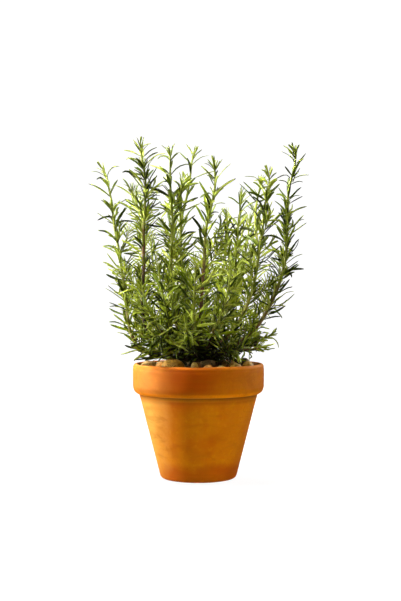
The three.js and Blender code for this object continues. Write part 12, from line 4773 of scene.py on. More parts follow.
class Build:
    """Collects rings and caps of many small closed bodies into one mesh."""

    def __init__(self):
        self.co, self.faces, self.n = [], [], 0
        self.a, self.b, self.uv = [], [], []
        self.mat = []

    def body(self, rings, tag, shade, uvbox=None, material=0, close=True):
        """rings: (r, k, 3). tag, shade: (r, k, 4) and (r, k, 4) point values. Both ends are closed with a fan."""
        r, k, _ = rings.shape
        base = self.n
        first, last = rings[0].mean(0), rings[-1].mean(0)
        self.co.append(rings.reshape(-1, 3))
        self.co.append(np.stack([first, last]))
        self.a.append(tag.reshape(-1, 4))
        self.a.append(np.stack([tag[0].mean(0), tag[-1].mean(0)]))
        self.b.append(shade.reshape(-1, 4))
        self.b.append(np.stack([shade[0].mean(0), shade[-1].mean(0)]))
        self.n += r * k + 2
        i = np.arange(r - 1)[:, None] * k
        j = np.arange(k)[None, :]
        j2 = (j + 1) % k
        quads = np.stack([i + j, i + j2, i + k + j2, i + k + j], -1).reshape(-1, 4) + base
        self.faces.append(quads)
        a, b = base + r * k, base + r * k + 1
        jj = np.arange(k)
        tri1 = np.stack([np.full(k, a), base + (jj + 1) % k, base + jj], -1)
        tri2 = np.stack([np.full(k, b), base + (r - 1) * k + jj, base + (r - 1) * k + (jj + 1) % k], -1)
        self.faces.append(tri1)
        self.faces.append(tri2)
        if uvbox is not None:
            u0, v0, u1, v1 = uvbox
            uu = u0 + (u1 - u0) * (0.06 + 0.88 * np.arange(r) / (r - 1))
            vv = v0 + (v1 - v0) * (0.06 + 0.88 * np.arange(k + 1) / k)
            q = np.zeros((r - 1, k, 4, 2))
            q[..., 0, 0] = uu[:-1, None]; q[..., 1, 0] = uu[:-1, None]
            q[..., 2, 0] = uu[1:, None]; q[..., 3, 0] = uu[1:, None]
            q[..., 0, 1] = vv[None, :-1]; q[..., 1, 1] = vv[None, 1:]
            q[..., 2, 1] = vv[None, 1:]; q[..., 3, 1] = vv[None, :-1]
            self.uv.append(q.reshape(-1, 2))
            e0 = u0 + (u1 - u0) * 0.015
            e1 = u1 - (u1 - u0) * 0.015
            c = np.zeros((k, 3, 2))
            c[:, 0, 0] = e0; c[:, 1, 0] = uu[0]; c[:, 2, 0] = uu[0]
            c[:, 0, 1] = (vv[:-1] + vv[1:]) / 2; c[:, 1, 1] = vv[1:]; c[:, 2, 1] = vv[:-1]
            self.uv.append(c.reshape(-1, 2))
            c = np.zeros((k, 3, 2))
            c[:, 0, 0] = e1; c[:, 1, 0] = uu[-1]; c[:, 2, 0] = uu[-1]
            c[:, 0, 1] = (vv[:-1] + vv[1:]) / 2; c[:, 1, 1] = vv[:-1]; c[:, 2, 1] = vv[1:]
            self.uv.append(c.reshape(-1, 2))
        self.mat.append(np.full(len(quads) + 2 * k, material, np.int32))

    def make(self, name, materials, smooth=True):
        co = np.vstack(self.co) * MM
        me = bpy.data.meshes.new(name)
        loops, starts, totals = [], [], []
        at = 0
        for f in self.faces:
            loops.append(f.ravel())
            n, k = f.shape
            starts.append(at + np.arange(n) * k)
            totals.append(np.full(n, k))
            at += n * k
        loops = np.concatenate(loops); starts = np.concatenate(starts); totals = np.concatenate(totals)
        me.vertices.add(len(co)); me.vertices.foreach_set("co", co.astype(np.float32).ravel())
        me.loops.add(len(loops)); me.loops.foreach_set("vertex_index", loops.astype(np.int32))
        me.polygons.add(len(starts))
        me.polygons.foreach_set("loop_start", starts.astype(np.int32))
        me.polygons.foreach_set("loop_total", totals.astype(np.int32))
        me.update(calc_edges=True)
        me.polygons.foreach_set("use_smooth", np.full(len(starts), smooth))
        for m in materials:
            me.materials.append(m)
        if len(materials) > 1:
            me.polygons.foreach_set("material_index", np.concatenate(self.mat))
        for key, rows in (("tag", self.a), ("shade", self.b)):
            v = np.vstack(rows).astype(np.float32)
            at_ = me.color_attributes.new(name=key, type="FLOAT_COLOR", domain="POINT")
            at_.data.foreach_set("color", v.ravel())
        if self.uv:
            layer = me.uv_layers.new(name="OFBake")
            layer.data.foreach_set("uv", np.vstack(self.uv).astype(np.float32).ravel())
        me.validate()
        ob = bpy.data.objects.new(name, me)
        bpy.context.scene.collection.objects.link(ob)
        return ob


def finish_piece(ob, nodes, slot):
    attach(ob, "root")
    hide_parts(*nodes)
    return ob


# ---------------------------------------------------------------- materials

def new_material(name):
    m = bpy.data.materials.new(name)
    m.use_nodes = True
    nt = m.node_tree
    for n in list(nt.nodes):
        nt.nodes.remove(n)
    return m, nt


class Nodes:
    def __init__(self, nt):
        self.nt = nt

    def add(self, kind, **sockets):
        n = self.nt.nodes.new(kind)
        for k, v in sockets.items():
            setattr(n, k, v)
        return n

    def link(self, a, b):
        self.nt.links.new(a, b)

    def math(self, op, a, b=None, c=None, clamp=False):
        n = self.add("ShaderNodeMath", operation=op, use_clamp=clamp)
        for i, v in enumerate((a, b, c)):
            if v is None:
                continue
            if isinstance(v, (int, float)):
                n.inputs[i].default_value = v
            else:
                self.link(v, n.inputs[i])
        return n.outputs[0]

    def ramp(self, fac, stops, mode="LINEAR"):
        n = self.add("ShaderNodeValToRGB")
        n.color_ramp.interpolation = mode
        el = n.color_ramp.elements
        while len(el) < len(stops):
            el.new(0.5)
        for e, (p, c) in zip(el, stops):
            e.position = p
            e.color = (*c, 1) if len(c) == 3 else c
        self.link(fac, n.inputs[0])
        return n.outputs[0]

    def mix(self, fac, a, b, blend="MIX"):
        n = self.add("ShaderNodeMix", data_type="RGBA", blend_type=blend)
        for sock, v in ((n.inputs[0], fac), (n.inputs[6], a), (n.inputs[7], b)):
            if isinstance(v, (int, float)):
                sock.default_value = v
            elif isinstance(v, tuple):
                sock.default_value = (*v, 1)
            else:
                self.link(v, sock)
        return n.outputs[2]

    def noise(self, vec, scale, detail=4, rough=0.55, distort=0.0):
        n = self.add("ShaderNodeTexNoise")
        n.inputs["Scale"].default_value = scale
        n.inputs["Detail"].default_value = detail
        n.inputs["Roughness"].default_value = rough
        n.inputs["Distortion"].default_value = distort
        self.link(vec, n.inputs["Vector"])
        return n.outputs["Fac"]

    def voronoi(self, vec, scale, feature="F1", out="Distance"):
        n = self.add("ShaderNodeTexVoronoi", feature=feature)
        n.inputs["Scale"].default_value = scale
        self.link(vec, n.inputs["Vector"])
        return n.outputs[out]

    def coords(self, which="Object"):
        return self.add("ShaderNodeTexCoord").outputs[which]

    def stretch(self, vec, scale):
        n = self.add("ShaderNodeMapping")
        n.inputs["Scale"].default_value = scale
        self.link(vec, n.inputs["Vector"])
        return n.outputs[0]

    def bump(self, height, strength, distance):
        n = self.add("ShaderNodeBump")
        n.inputs["Strength"].default_value = strength
        n.inputs["Distance"].default_value = distance
        self.link(height, n.inputs["Height"])
        return n.outputs[0]

    def split(self, name):
        a = self.add("ShaderNodeAttribute", attribute_type="GEOMETRY", attribute_name=name)
        s = self.add("ShaderNodeSeparateColor")
        self.link(a.outputs["Color"], s.inputs[0])
        return s.outputs


def leaf_material():
    m, nt = new_material("rosemary_leaf")
    N = Nodes(nt)
    obj = N.coords()
    tag = N.split("tag")        # along the leaf, underside, this leaf's tone: random, with painted shade deeper inside the bush
    sh = N.split("shade")       # youth, midrib, margin
    mottle = N.noise(obj, 210, 3, 0.6)
    fine = N.noise(obj, 1400, 2, 0.6)
    # painted shade: the tone ramp's dark end goes to leaves deep inside the bush as well as to old ones
    old_and_shaded = N.ramp(tag[2], [(0.0, (0.004, 0.009, 0.0003)), (0.30, (0.012, 0.027, 0.0005)), (0.58, (0.062, 0.108, 0.0014)),
                          (0.82, (0.235, 0.322, 0.0060)), (1.0, (0.420, 0.500, 0.070))])
    young = N.ramp(tag[2], [(0.0, (0.09, 0.130, 0.005)), (0.5, (0.20, 0.260, 0.012)), (1.0, (0.34, 0.400, 0.040))])
    top = N.mix(sh[0], old_and_shaded, young)
    top = N.mix(1.0, top, N.ramp(mottle, [(0.30, (0.62, 0.62, 0.62)), (0.70, (1.15, 1.12, 1.0))]), "MULTIPLY")
    # paler line in the groove and paler rolled margin, as much as the leaf's own colour allows
    pale = N.mix(1.0, top, (2.3, 2.1, 1.8), "MULTIPLY")
    top = N.mix(N.math("MULTIPLY", sh[1], 0.34), top, pale)
    top = N.mix(N.math("MULTIPLY", sh[2], 0.24), top, pale)
    # tip a little yellow, foot a little pale
    endy = N.ramp(tag[0], [(0.0, (1, 1, 1)), (0.10, (0.8, 0.8, 0.8)), (0.36, (0, 0, 0)), (0.92, (0, 0, 0)), (1.0, (0.5, 0.5, 0.5))])
    top = N.mix(N.math("MULTIPLY", endy, 0.45), top, N.mix(0.22, pale, (0.42, 0.46, 0.035)))
    felt = N.mix(N.math("MULTIPLY", fine, 0.5), (0.44, 0.52, 0.115), (0.20, 0.27, 0.020))
    # painted shade: the felted underside is darkened by the same tone, deepest inside the bush
    felt = N.mix(1.0, felt, N.ramp(tag[2], [(0.0, (0.04, 0.05, 0.03)), (0.50, (0.24, 0.27, 0.16)), (0.88, (1.0, 1.0, 1.0))]), "MULTIPLY")
    felt = N.mix(N.math("MULTIPLY", sh[1], 0.4), felt, N.mix(1.0, felt, (2.2, 2.0, 1.9), "MULTIPLY"))
    col = N.mix(tag[1], top, felt)
    p = N.add("ShaderNodeBsdfPrincipled")
    N.link(col, p.inputs["Base Color"])
    N.link(N.math("ADD", N.math("MULTIPLY", tag[1], 0.42), 0.31), p.inputs["Roughness"])
    p.inputs["Specular IOR Level"].default_value = 0.34
    p.inputs["Specular Tint"].default_value = (0.90, 1.0, 0.46, 1)
    height = N.math("ADD", N.math("MULTIPLY", mottle, 0.7), N.math("MULTIPLY", fine, 0.35))
    N.link(N.bump(height, 0.35, 0.0004), p.inputs["Normal"])
    tr = N.add("ShaderNodeBsdfTranslucent")
    # painted shade: the translucent colour follows the same tone, so leaves deep in the bush pass on less light
    glow = N.mix(sh[0], N.ramp(tag[2], [(0.0, (0.012, 0.024, 0.0004)), (0.5, (0.19, 0.29, 0.003)), (1.0, (0.50, 0.60, 0.020))]), (0.54, 0.66, 0.030))
    glow = N.mix(1.0, glow, N.ramp(mottle, [(0.30, (0.60, 0.64, 0.5)), (0.70, (1.1, 1.08, 1.0))]), "MULTIPLY")
    N.link(glow, tr.inputs["Color"])
    mx = N.add("ShaderNodeMixShader")
    mx.inputs[0].default_value = 0.20
    N.link(p.outputs[0], mx.inputs[1])
    N.link(tr.outputs[0], mx.inputs[2])
    out = N.add("ShaderNodeOutputMaterial")
    N.link(mx.outputs[0], out.inputs["Surface"])
    return m


def stem_material():
    m, nt = new_material("rosemary_stem")
    N = Nodes(nt)
    obj = N.coords()
    tag = N.split("tag")        # age along the stem, ridge, this stem's number
    long_ = N.noise(N.stretch(obj, (1.0, 1.0, 0.16)), 900, 4, 0.65)
    patch = N.noise(obj, 90, 4, 0.6)
    age = N.math("ADD", tag[0], N.math("MULTIPLY", N.math("SUBTRACT", patch, 0.5), 0.55), clamp=True)
    col = N.ramp(age, [(0.0, (0.33, 0.41, 0.036)), (0.36, (0.24, 0.28, 0.024)), (0.52, (0.17, 0.120, 0.020)),
                       (0.66, (0.150, 0.066, 0.020)), (0.84, (0.060, 0.032, 0.014)), (1.0, (0.034, 0.020, 0.011))])
    dark = N.mix(1.0, col, (0.42, 0.38, 0.34), "MULTIPLY")
    streak = N.ramp(long_, [(0.38, (0, 0, 0)), (0.62, (1, 1, 1))])
    col = N.mix(N.math("MULTIPLY", streak, 0.55), col, dark)
    col = N.mix(N.math("MULTIPLY", tag[1], 0.45), col, (0.20, 0.16, 0.06))
    p = N.add("ShaderNodeBsdfPrincipled")
    N.link(col, p.inputs["Base Color"])
    N.link(N.math("ADD", N.math("MULTIPLY", age, 0.25), 0.52, clamp=True), p.inputs["Roughness"])
    p.inputs["Specular IOR Level"].default_value = 0.35
    h = N.math("ADD", long_, N.math("MULTIPLY", patch, 0.5))
    N.link(N.bump(h, 0.7, 0.0006), p.inputs["Normal"])
    out = N.add("ShaderNodeOutputMaterial")
    N.link(p.outputs[0], out.inputs["Surface"])
    return m


def clay_material():
    m, nt = new_material("fired_clay")
    N = Nodes(nt)
    obj = N.coords()
    big = N.noise(obj, 9, 4, 0.55, 0.6)
    mid = N.noise(obj, 30, 5, 0.6, 0.3)
    small = N.noise(obj, 160, 5, 0.65)
    grain = N.noise(obj, 1500, 3, 0.7)
    rings = N.noise(N.stretch(obj, (0.02, 0.02, 1.0)), 380, 3, 0.6)
    # fired colour: ochre orange with deeper and paler clouds
    col = N.ramp(big, [(0.28, (0.48, 0.108, 0.0008)), (0.46, (0.58, 0.160, 0.0010)), (0.60, (0.64, 0.206, 0.0014)),
                       (0.76, (0.71, 0.280, 0.0030))])
    col = N.mix(N.ramp(mid, [(0.50, (0, 0, 0)), (0.74, (0.50, 0.50, 0.50))]), col, (0.54, 0.096, 0.0008))
    col = N.mix(N.ramp(small, [(0.52, (0, 0, 0)), (0.80, (0.26, 0.26, 0.26))]), col, (0.86, 0.36, 0.010))
    # the foot and a patch on the front of the band are darker red-brown; the lip is worn paler; the inner wall above
    # the mix is darkened, partly a soil stain and partly painted shade
    sep = N.add("ShaderNodeSeparateXYZ")
    N.link(obj, sep.inputs[0])
    x, y, z = sep.outputs[0], sep.outputs[1], sep.outputs[2]
    edge = N.math("ADD", 0.026, N.math("MULTIPLY", N.math("SUBTRACT", N.noise(N.stretch(obj, (1.0, 1.0, 1.6)), 26, 4, 0.6), 0.5), 0.034))
    foot = N.math("DIVIDE", N.math("SUBTRACT", edge, z), 0.012, clamp=True)
    col = N.mix(N.math("MULTIPLY", foot, 0.80), col, (0.42, 0.066, 0.0008))
    spot = N.add("ShaderNodeVectorMath", operation="DISTANCE")
    N.link(obj, spot.inputs[0])
    spot.inputs[1].default_value = (-0.012, -0.085, 0.139)
    patch = N.ramp(N.math("DIVIDE", N.math("ADD", spot.outputs["Value"], N.math("MULTIPLY", N.math("SUBTRACT", mid, 0.5), 0.04)), 0.060, clamp=True), [(0.20, (1, 1, 1)), (1.0, (0, 0, 0))], "EASE")
    col = N.mix(N.math("MULTIPLY", patch, 0.95), col, (0.42, 0.046, 0.0008))
    band = N.math("DIVIDE", N.math("SUBTRACT", z, 0.1065), 0.003, clamp=True)
    # painted highlight: the left-front side is made paler and yellower, standing in for the key light's sheen, with
    # less of it on the band
    side = N.math("ADD", N.math("SUBTRACT", -0.033, x), N.math("MULTIPLY", N.math("SUBTRACT", mid, 0.5), 0.030))
    painted_left_sheen = N.math("MULTIPLY", N.math("DIVIDE", side, 0.028, clamp=True), N.math("SUBTRACT", 1.0, N.math("MULTIPLY", band, 0.70)))
    painted_left_sheen = N.math("MULTIPLY", painted_left_sheen, N.math("DIVIDE", N.math("SUBTRACT", 0.024, y), 0.024, clamp=True))
    col = N.mix(N.math("MULTIPLY", painted_left_sheen, 0.85), col, (0.78, 0.40, 0.070))
    # painted shade: the band is darker than the body, as it takes less of the light from below
    col = N.mix(N.math("MULTIPLY", band, 0.34), col, (0.44, 0.090, 0.0008))
    # painted light: the clay under the lip is made paler, lifting the shade the lip casts there and giving a bright
    # line at its edge
    painted_light_under_lip = N.ramp(N.math("DIVIDE", N.math("SUBTRACT", z, 0.1035), 0.0125, clamp=True), [(0.0, (0, 0, 0)), (0.18, (1, 1, 1)), (0.72, (1, 1, 1)), (1.0, (0, 0, 0))], "EASE")
    col = N.mix(N.math("MULTIPLY", painted_light_under_lip, 0.62), col, (0.96, 0.30, 0.0040))
    lip = N.math("DIVIDE", N.math("SUBTRACT", z, 0.1445), 0.004, clamp=True)
    col = N.mix(N.math("MULTIPLY", lip, N.math("MULTIPLY", small, 0.75)), col, (0.88, 0.27, 0.020))
    # inner wall above the mix darkened: a soil stain and painted shade inside the pot
    out_r = N.math("SQRT", N.math("ADD", N.math("MULTIPLY", x, x), N.math("MULTIPLY", y, y)))
    inside = N.math("MULTIPLY", N.math("DIVIDE", N.math("SUBTRACT", 0.0788, out_r), 0.0012, clamp=True), N.math("DIVIDE", N.math("SUBTRACT", z, 0.100), 0.01, clamp=True))
    stain_and_shade = N.mix(small, (0.050, 0.018, 0.004), (0.20, 0.060, 0.006))
    col = N.mix(N.math("MULTIPLY", inside, 0.9), col, stain_and_shade)
    col = N.mix(N.math("MULTIPLY", N.ramp(rings, [(0.40, (0, 0, 0)), (0.68, (1, 1, 1))]), 0.14), col, (0.64, 0.115, 0.0015))
    smudge = N.ramp(N.noise(N.stretch(obj, (1.0, 1.0, 2.2)), 22, 5, 0.62, 1.2), [(0.50, (0, 0, 0)), (0.66, (1, 1, 1))])
    col = N.mix(N.math("MULTIPLY", smudge, 0.38), col, (0.40, 0.092, 0.0010))
    craze = N.ramp(N.math("ABSOLUTE", N.math("SUBTRACT", N.noise(obj, 42, 4, 0.55, 1.8), 0.5)), [(0.0, (1, 1, 1)), (0.014, (0, 0, 0))])
    craze = N.math("MULTIPLY", craze, N.ramp(big, [(0.46, (0, 0, 0)), (0.60, (1, 1, 1))]))
    col = N.mix(N.math("MULTIPLY", craze, 0.46), col, (0.34, 0.070, 0.0010))
    specks = N.ramp(N.voronoi(obj, 520), [(0.0, (1, 1, 1)), (0.16, (0, 0, 0))])
    col = N.mix(N.math("MULTIPLY", specks, 0.30), col, (0.46, 0.080, 0.002))
    p = N.add("ShaderNodeBsdfPrincipled")
    N.link(col, p.inputs["Base Color"])
    N.link(N.math("ADD", N.math("MULTIPLY", small, 0.25), 0.50), p.inputs["Roughness"])
    p.inputs["Specular IOR Level"].default_value = 0.32
    p.inputs["Specular Tint"].default_value = (1.0, 0.70, 0.06, 1)
    h = N.math("ADD", N.math("ADD", N.math("MULTIPLY", grain, 0.25), N.math("MULTIPLY", rings, 0.55)), N.math("MULTIPLY", small, 0.45))
    N.link(N.bump(h, 0.45, 0.0006), p.inputs["Normal"])
    out = N.add("ShaderNodeOutputMaterial")
    N.link(p.outputs[0], out.inputs["Surface"])
    return m


def soil_material():
    m, nt = new_material("potting_mix")
    N = Nodes(nt)
    obj = N.coords()
    a = N.noise(obj, 260, 6, 0.7)
    b = N.voronoi(obj, 420)
    c = N.noise(obj, 60, 3, 0.5)
    col = N.ramp(a, [(0.30, (0.006, 0.004, 0.003)), (0.52, (0.016, 0.010, 0.006)), (0.68, (0.036, 0.022, 0.011)), (0.82, (0.085, 0.053, 0.026))])
    col = N.mix(N.math("MULTIPLY", c, 0.6), col, (0.012, 0.009, 0.007))
    p = N.add("ShaderNodeBsdfPrincipled")
    N.link(col, p.inputs["Base Color"])
    N.link(N.math("ADD", N.math("MULTIPLY", a, 0.25), 0.68), p.inputs["Roughness"])
    p.inputs["Specular IOR Level"].default_value = 0.25
    N.link(N.bump(N.math("ADD", a, N.math("MULTIPLY", b, 0.7)), 0.9, 0.0016), p.inputs["Normal"])
    out = N.add("ShaderNodeOutputMaterial")
    N.link(p.outputs[0], out.inputs["Surface"])
    return m


STONES = {
    "stone_tan": ((0.56, 0.345, 0.110), (0.180, 0.085, 0.022), (0.82, 0.62, 0.30)),
    "stone_gold": ((0.54, 0.285, 0.034), (0.150, 0.062, 0.008), (0.80, 0.54, 0.130)),
    "stone_beige": ((0.58, 0.38, 0.090), (0.200, 0.105, 0.020), (0.82, 0.66, 0.30)),
    "stone_rose": ((0.74, 0.34, 0.070), (0.30, 0.090, 0.015), (0.86, 0.56, 0.22)),
    "stone_grey": ((0.110, 0.082, 0.032), (0.034, 0.023, 0.010), (0.26, 0.20, 0.080)),
}


def stone_material(slot, shaded=False):
    base, dark, light = STONES[slot]
    m, nt = new_material("river_" + slot + ("_shaded" if shaded else ""))
    N = Nodes(nt)
    obj = N.coords()
    big = N.noise(obj, 75, 4, 0.6, 0.8)
    mid = N.noise(obj, 260, 5, 0.65, 0.4)
    fine = N.noise(obj, 1300, 3, 0.6)
    col = N.ramp(big, [(0.30, dark), (0.48, base), (0.66, base), (0.80, light)])
    col = N.mix(N.ramp(mid, [(0.47, (0, 0, 0)), (0.62, (0.85, 0.85, 0.85))]), col, dark)
    vein = N.ramp(N.math("ABSOLUTE", N.math("SUBTRACT", N.noise(obj, 120, 3, 0.5, 1.4), 0.5)), [(0.0, (1, 1, 1)), (0.022, (0, 0, 0))])
    col = N.mix(N.math("MULTIPLY", vein, 0.65), col, light)
    specks = N.ramp(N.voronoi(obj, 900), [(0.0, (1, 1, 1)), (0.20, (0, 0, 0))])
    col = N.mix(N.math("MULTIPLY", specks, 0.45), col, dark)
    if shaded:      # painted shade on the stones under the leaves, with a little soil splash: darkened toward the mix's colour
        col = N.mix(N.math("ADD", 0.30, N.math("MULTIPLY", mid, 0.75), clamp=True), col, (0.026, 0.016, 0.008))
    p = N.add("ShaderNodeBsdfPrincipled")
    N.link(col, p.inputs["Base Color"])
    N.link(N.math("ADD", N.math("MULTIPLY", mid, 0.30), 0.38), p.inputs["Roughness"])
    p.inputs["Specular IOR Level"].default_value = 0.34
    p.inputs["Specular Tint"].default_value = (1.0, 0.86, 0.50, 1)
    N.link(N.bump(N.math("ADD", mid, N.math("MULTIPLY", fine, 0.3)), 0.35, 0.0006), p.inputs["Normal"])
    out = N.add("ShaderNodeOutputMaterial")
    N.link(p.outputs[0], out.inputs["Surface"])
    return m


def stage_material(name, near, far, diffuse):
    m, nt = new_material(name)
    N = Nodes(nt)
    length = N.add("ShaderNodeVectorMath", operation="LENGTH")
    N.link(N.coords(), length.inputs[0])
    e = N.add("ShaderNodeEmission")
    N.link(N.ramp(N.math("DIVIDE", length.outputs["Value"], 2.0, clamp=True), [(0.10, (near,) * 3), (0.42, (far,) * 3)], "EASE"), e.inputs["Color"])
    e.inputs["Strength"].default_value = 1.0
    d = N.add("ShaderNodeBsdfDiffuse")
    d.inputs["Color"].default_value = (diffuse, diffuse, diffuse, 1)
    s = N.add("ShaderNodeAddShader")
    N.link(e.outputs[0], s.inputs[0])
    N.link(d.outputs[0], s.inputs[1])
    out = N.add("ShaderNodeOutputMaterial")
    N.link(s.outputs[0], out.inputs["Surface"])
    return m


LEAF, STEM, CLAY, SOIL = leaf_material(), stem_material(), clay_material(), soil_material()


# ---------------------------------------------------------------- stems

class Stem:
    def __init__(self, name):
        rb, rt, parent, flat = SPRIGS[name]
        self.rb, self.rt, self.parent = rb, rt, parent
        line = through(np.array(flat, float).reshape(-1, 3) / 10.0, 8)
        total = along(line)[-1]
        cut = 8.5 if line[0][2] > 300 else 5.5
        self.line = at_lengths(line, np.linspace(cut, total, max(8, int(total / 1.6))))
        self.length = along(self.line)
        self.up = unit(-np.gradient(self.line, axis=0))

    def radius(self, d):
        t = np.clip(d / self.length[-1], 0, 1)
        return self.rt + (self.rb - self.rt) * t ** 0.8

    def near(self, p):
        i = int(((self.line - p) ** 2).sum(1).argmin())
        return i, self.line[i], self.up[i]


def frames(line):
    """Tangents and two side directions that don't spin along the line."""
    t = unit(np.gradient(line, axis=0))
    n = np.cross(t[0], (0.0, 1.0, 0.1))
    n /= np.linalg.norm(n)
    side = [n]
    for k in range(1, len(line)):
        v = side[-1] - np.dot(side[-1], t[k]) * t[k]
        side.append(v / np.linalg.norm(v))
    side = np.array(side)
    return t, side, np.cross(t, side)


def tube(build, line, radius, age, number, uvbox, sides=12, ridges=0.0, knots=()):
    t, a, b = frames(line)
    k = np.arange(sides)
    th = 2 * np.pi * k / sides
    rad = np.repeat(np.asarray(radius, float)[:, None], sides, 1)
    # young stems are bluntly four sided, old ones furrowed
    young = np.clip(1.3 - np.asarray(age) * 2.2, 0, 1)[:, None]
    rad = rad * (1 + 0.055 * young * np.cos(4 * th)[None, :])
    L = along(line)
    for i in range(len(line)):
        p = line[i]
        for j in range(sides):
            c, s = math.cos(th[j]), math.sin(th[j])
            f = hill(c * 2.2 + number * 7, s * 2.2, L[i] * 0.055, 1.0, number)
            g = hill(c * 3.5, s * 3.5 + number, L[i] * 0.30, 1.0, number * 3.1)
            rad[i, j] *= 1 + ridges * age[i] * (0.85 * f + 0.35 * g)
    for where, size in knots:
        rad *= (1 + size * np.exp(-((L - where) / 1.25) ** 2))[:, None]
    ring = line[:, None, :] + rad[..., None] * (np.cos(th)[None, :, None] * a[:, None, :] + np.sin(th)[None, :, None] * b[:, None, :])
    tag = np.zeros((len(line), sides, 4))
    tag[..., 0] = np.asarray(age)[:, None]
    for where, size in knots:
        tag[..., 1] = np.maximum(tag[..., 1], (np.exp(-((L - where) / 0.9) ** 2) * min(1.0, size * 4))[:, None])
    tag[..., 2] = (number * 0.37) % 1.0
    tag[..., 3] = 1
    build.body(ring[:, ::-1], tag[:, ::-1], tag[:, ::-1] * 0 + np.array([0, 0, 0, 1.0]), uvbox)


# ---------------------------------------------------------------- leaves

# one cross section, seen from the tip: x across, z up; margins rolled under, a groove above the midrib and a rib below it
SECTION = np.array([
    (-1.00, 0.02), (-0.72, 0.30), (-0.28, 0.33), (0.00, 0.17), (0.28, 0.33), (0.72, 0.30), (1.00, 0.02),
    (0.66, -0.26), (0.00, -0.20), (-0.66, -0.26)])
UNDER = np.array([0.08, 0, 0, 0, 0, 0, 0.08, 0.34, 0.92, 0.34])
RIB = np.array([0, 0, 0.25, 1, 0.25, 0, 0, 0, 1, 0.0])
EDGE = np.array([1, 0.35, 0, 0, 0, 0.35, 1, 0.2, 0, 0.2])
STATIONS = np.array([0.0, 0.05, 0.14, 0.30, 0.50, 0.70, 0.86, 0.95, 0.99])
WIDTHS = np.array([0.36, 0.46, 0.72, 0.97, 1.00, 0.93, 0.72, 0.44, 0.20])
THICK = np.array([0.85, 0.80, 0.82, 0.95, 1.00, 0.95, 0.80, 0.58, 0.36])


def leaf(build, row, stem, rng, uvbox):
    width = row[0] / 10.0
    from_tip, tuft = abs(row[1]), row[1] < 0
    mid = through(np.array(row[2:], float).reshape(-1, 3) / 10.0, 6)
    length = along(mid)
    size = length[-1]
    line = at_lengths(mid, STATIONS * size)
    t = unit(np.gradient(line, axis=0))
    i, axis, up = stem.near(mid[0])
    out = mid[0] - axis
    out = out - np.dot(out, up) * up
    out /= np.linalg.norm(out) + 1e-9
    face = up * 0.9 - out * 0.45
    normal = face[None, :] - (t @ face)[:, None] * t
    normal = unit(normal)
    side = np.cross(t, normal)
    roll = math.radians(max(-80.0, min(80.0, rng.gauss(0, 42)))) + math.radians(rng.uniform(-34, 34)) * STATIONS
    c, s = np.cos(roll)[:, None], np.sin(roll)[:, None]
    normal, side = normal * c + side * s, side * c - normal * s
    young = max(0.0, 1.0 - from_tip / 26.0, rng.uniform(0.15, 0.55) if tuft else 0.0)
    # painted shade: leaves low and deep inside the bush get the darkest tones, outer and upper ones vary at random from
    # deep to pale
    centre = line[len(line) // 2]
    inner = math.hypot(centre[0] / 78.0, centre[1] / 50.0, (centre[2] - 150.0) / 85.0)
    tone_with_painted_shade = 0.5 - 0.5 * math.cos(math.pi * rng.random() ** (0.84 + 2.2 * max(0.0, 1.0 - inner)))
    w = 0.5 * width * WIDTHS * (1 - 0.10 * young)
    h = 0.5 * width * (1.22 if size > 18 else 1.15) * THICK
    x = SECTION[None, :, 0] * w[:, None]
    z = SECTION[None, :, 1] * h[:, None]
    ring = line[:, None, :] + side[:, None, :] * x[..., None] + normal[:, None, :] * z[..., None]
    r, k = x.shape
    tag = np.zeros((r, k, 4)); shade = np.zeros((r, k, 4))
    tag[..., 0] = STATIONS[:, None]
    tag[..., 1] = UNDER[None, :]
    tag[..., 2] = tone_with_painted_shade
    tag[..., 3] = 1
    shade[..., 0] = min(1.0, young + rng.uniform(0, 0.10))
    shade[..., 1] = RIB[None, :]
    shade[..., 2] = EDGE[None, :]
    shade[..., 3] = 1
    build.body(ring, tag, shade, uvbox)


def cells(n, shape=1.6):
    """A grid of n cells, as (u0, v0, u1, v1)."""
    cols = max(1, int(math.ceil(math.sqrt(n / shape))))
    rows = int(math.ceil(n / cols))
    return [((i % cols) / cols, (i // cols) / rows, (i % cols + 1) / cols, (i // cols + 1) / rows) for i in range(n)]


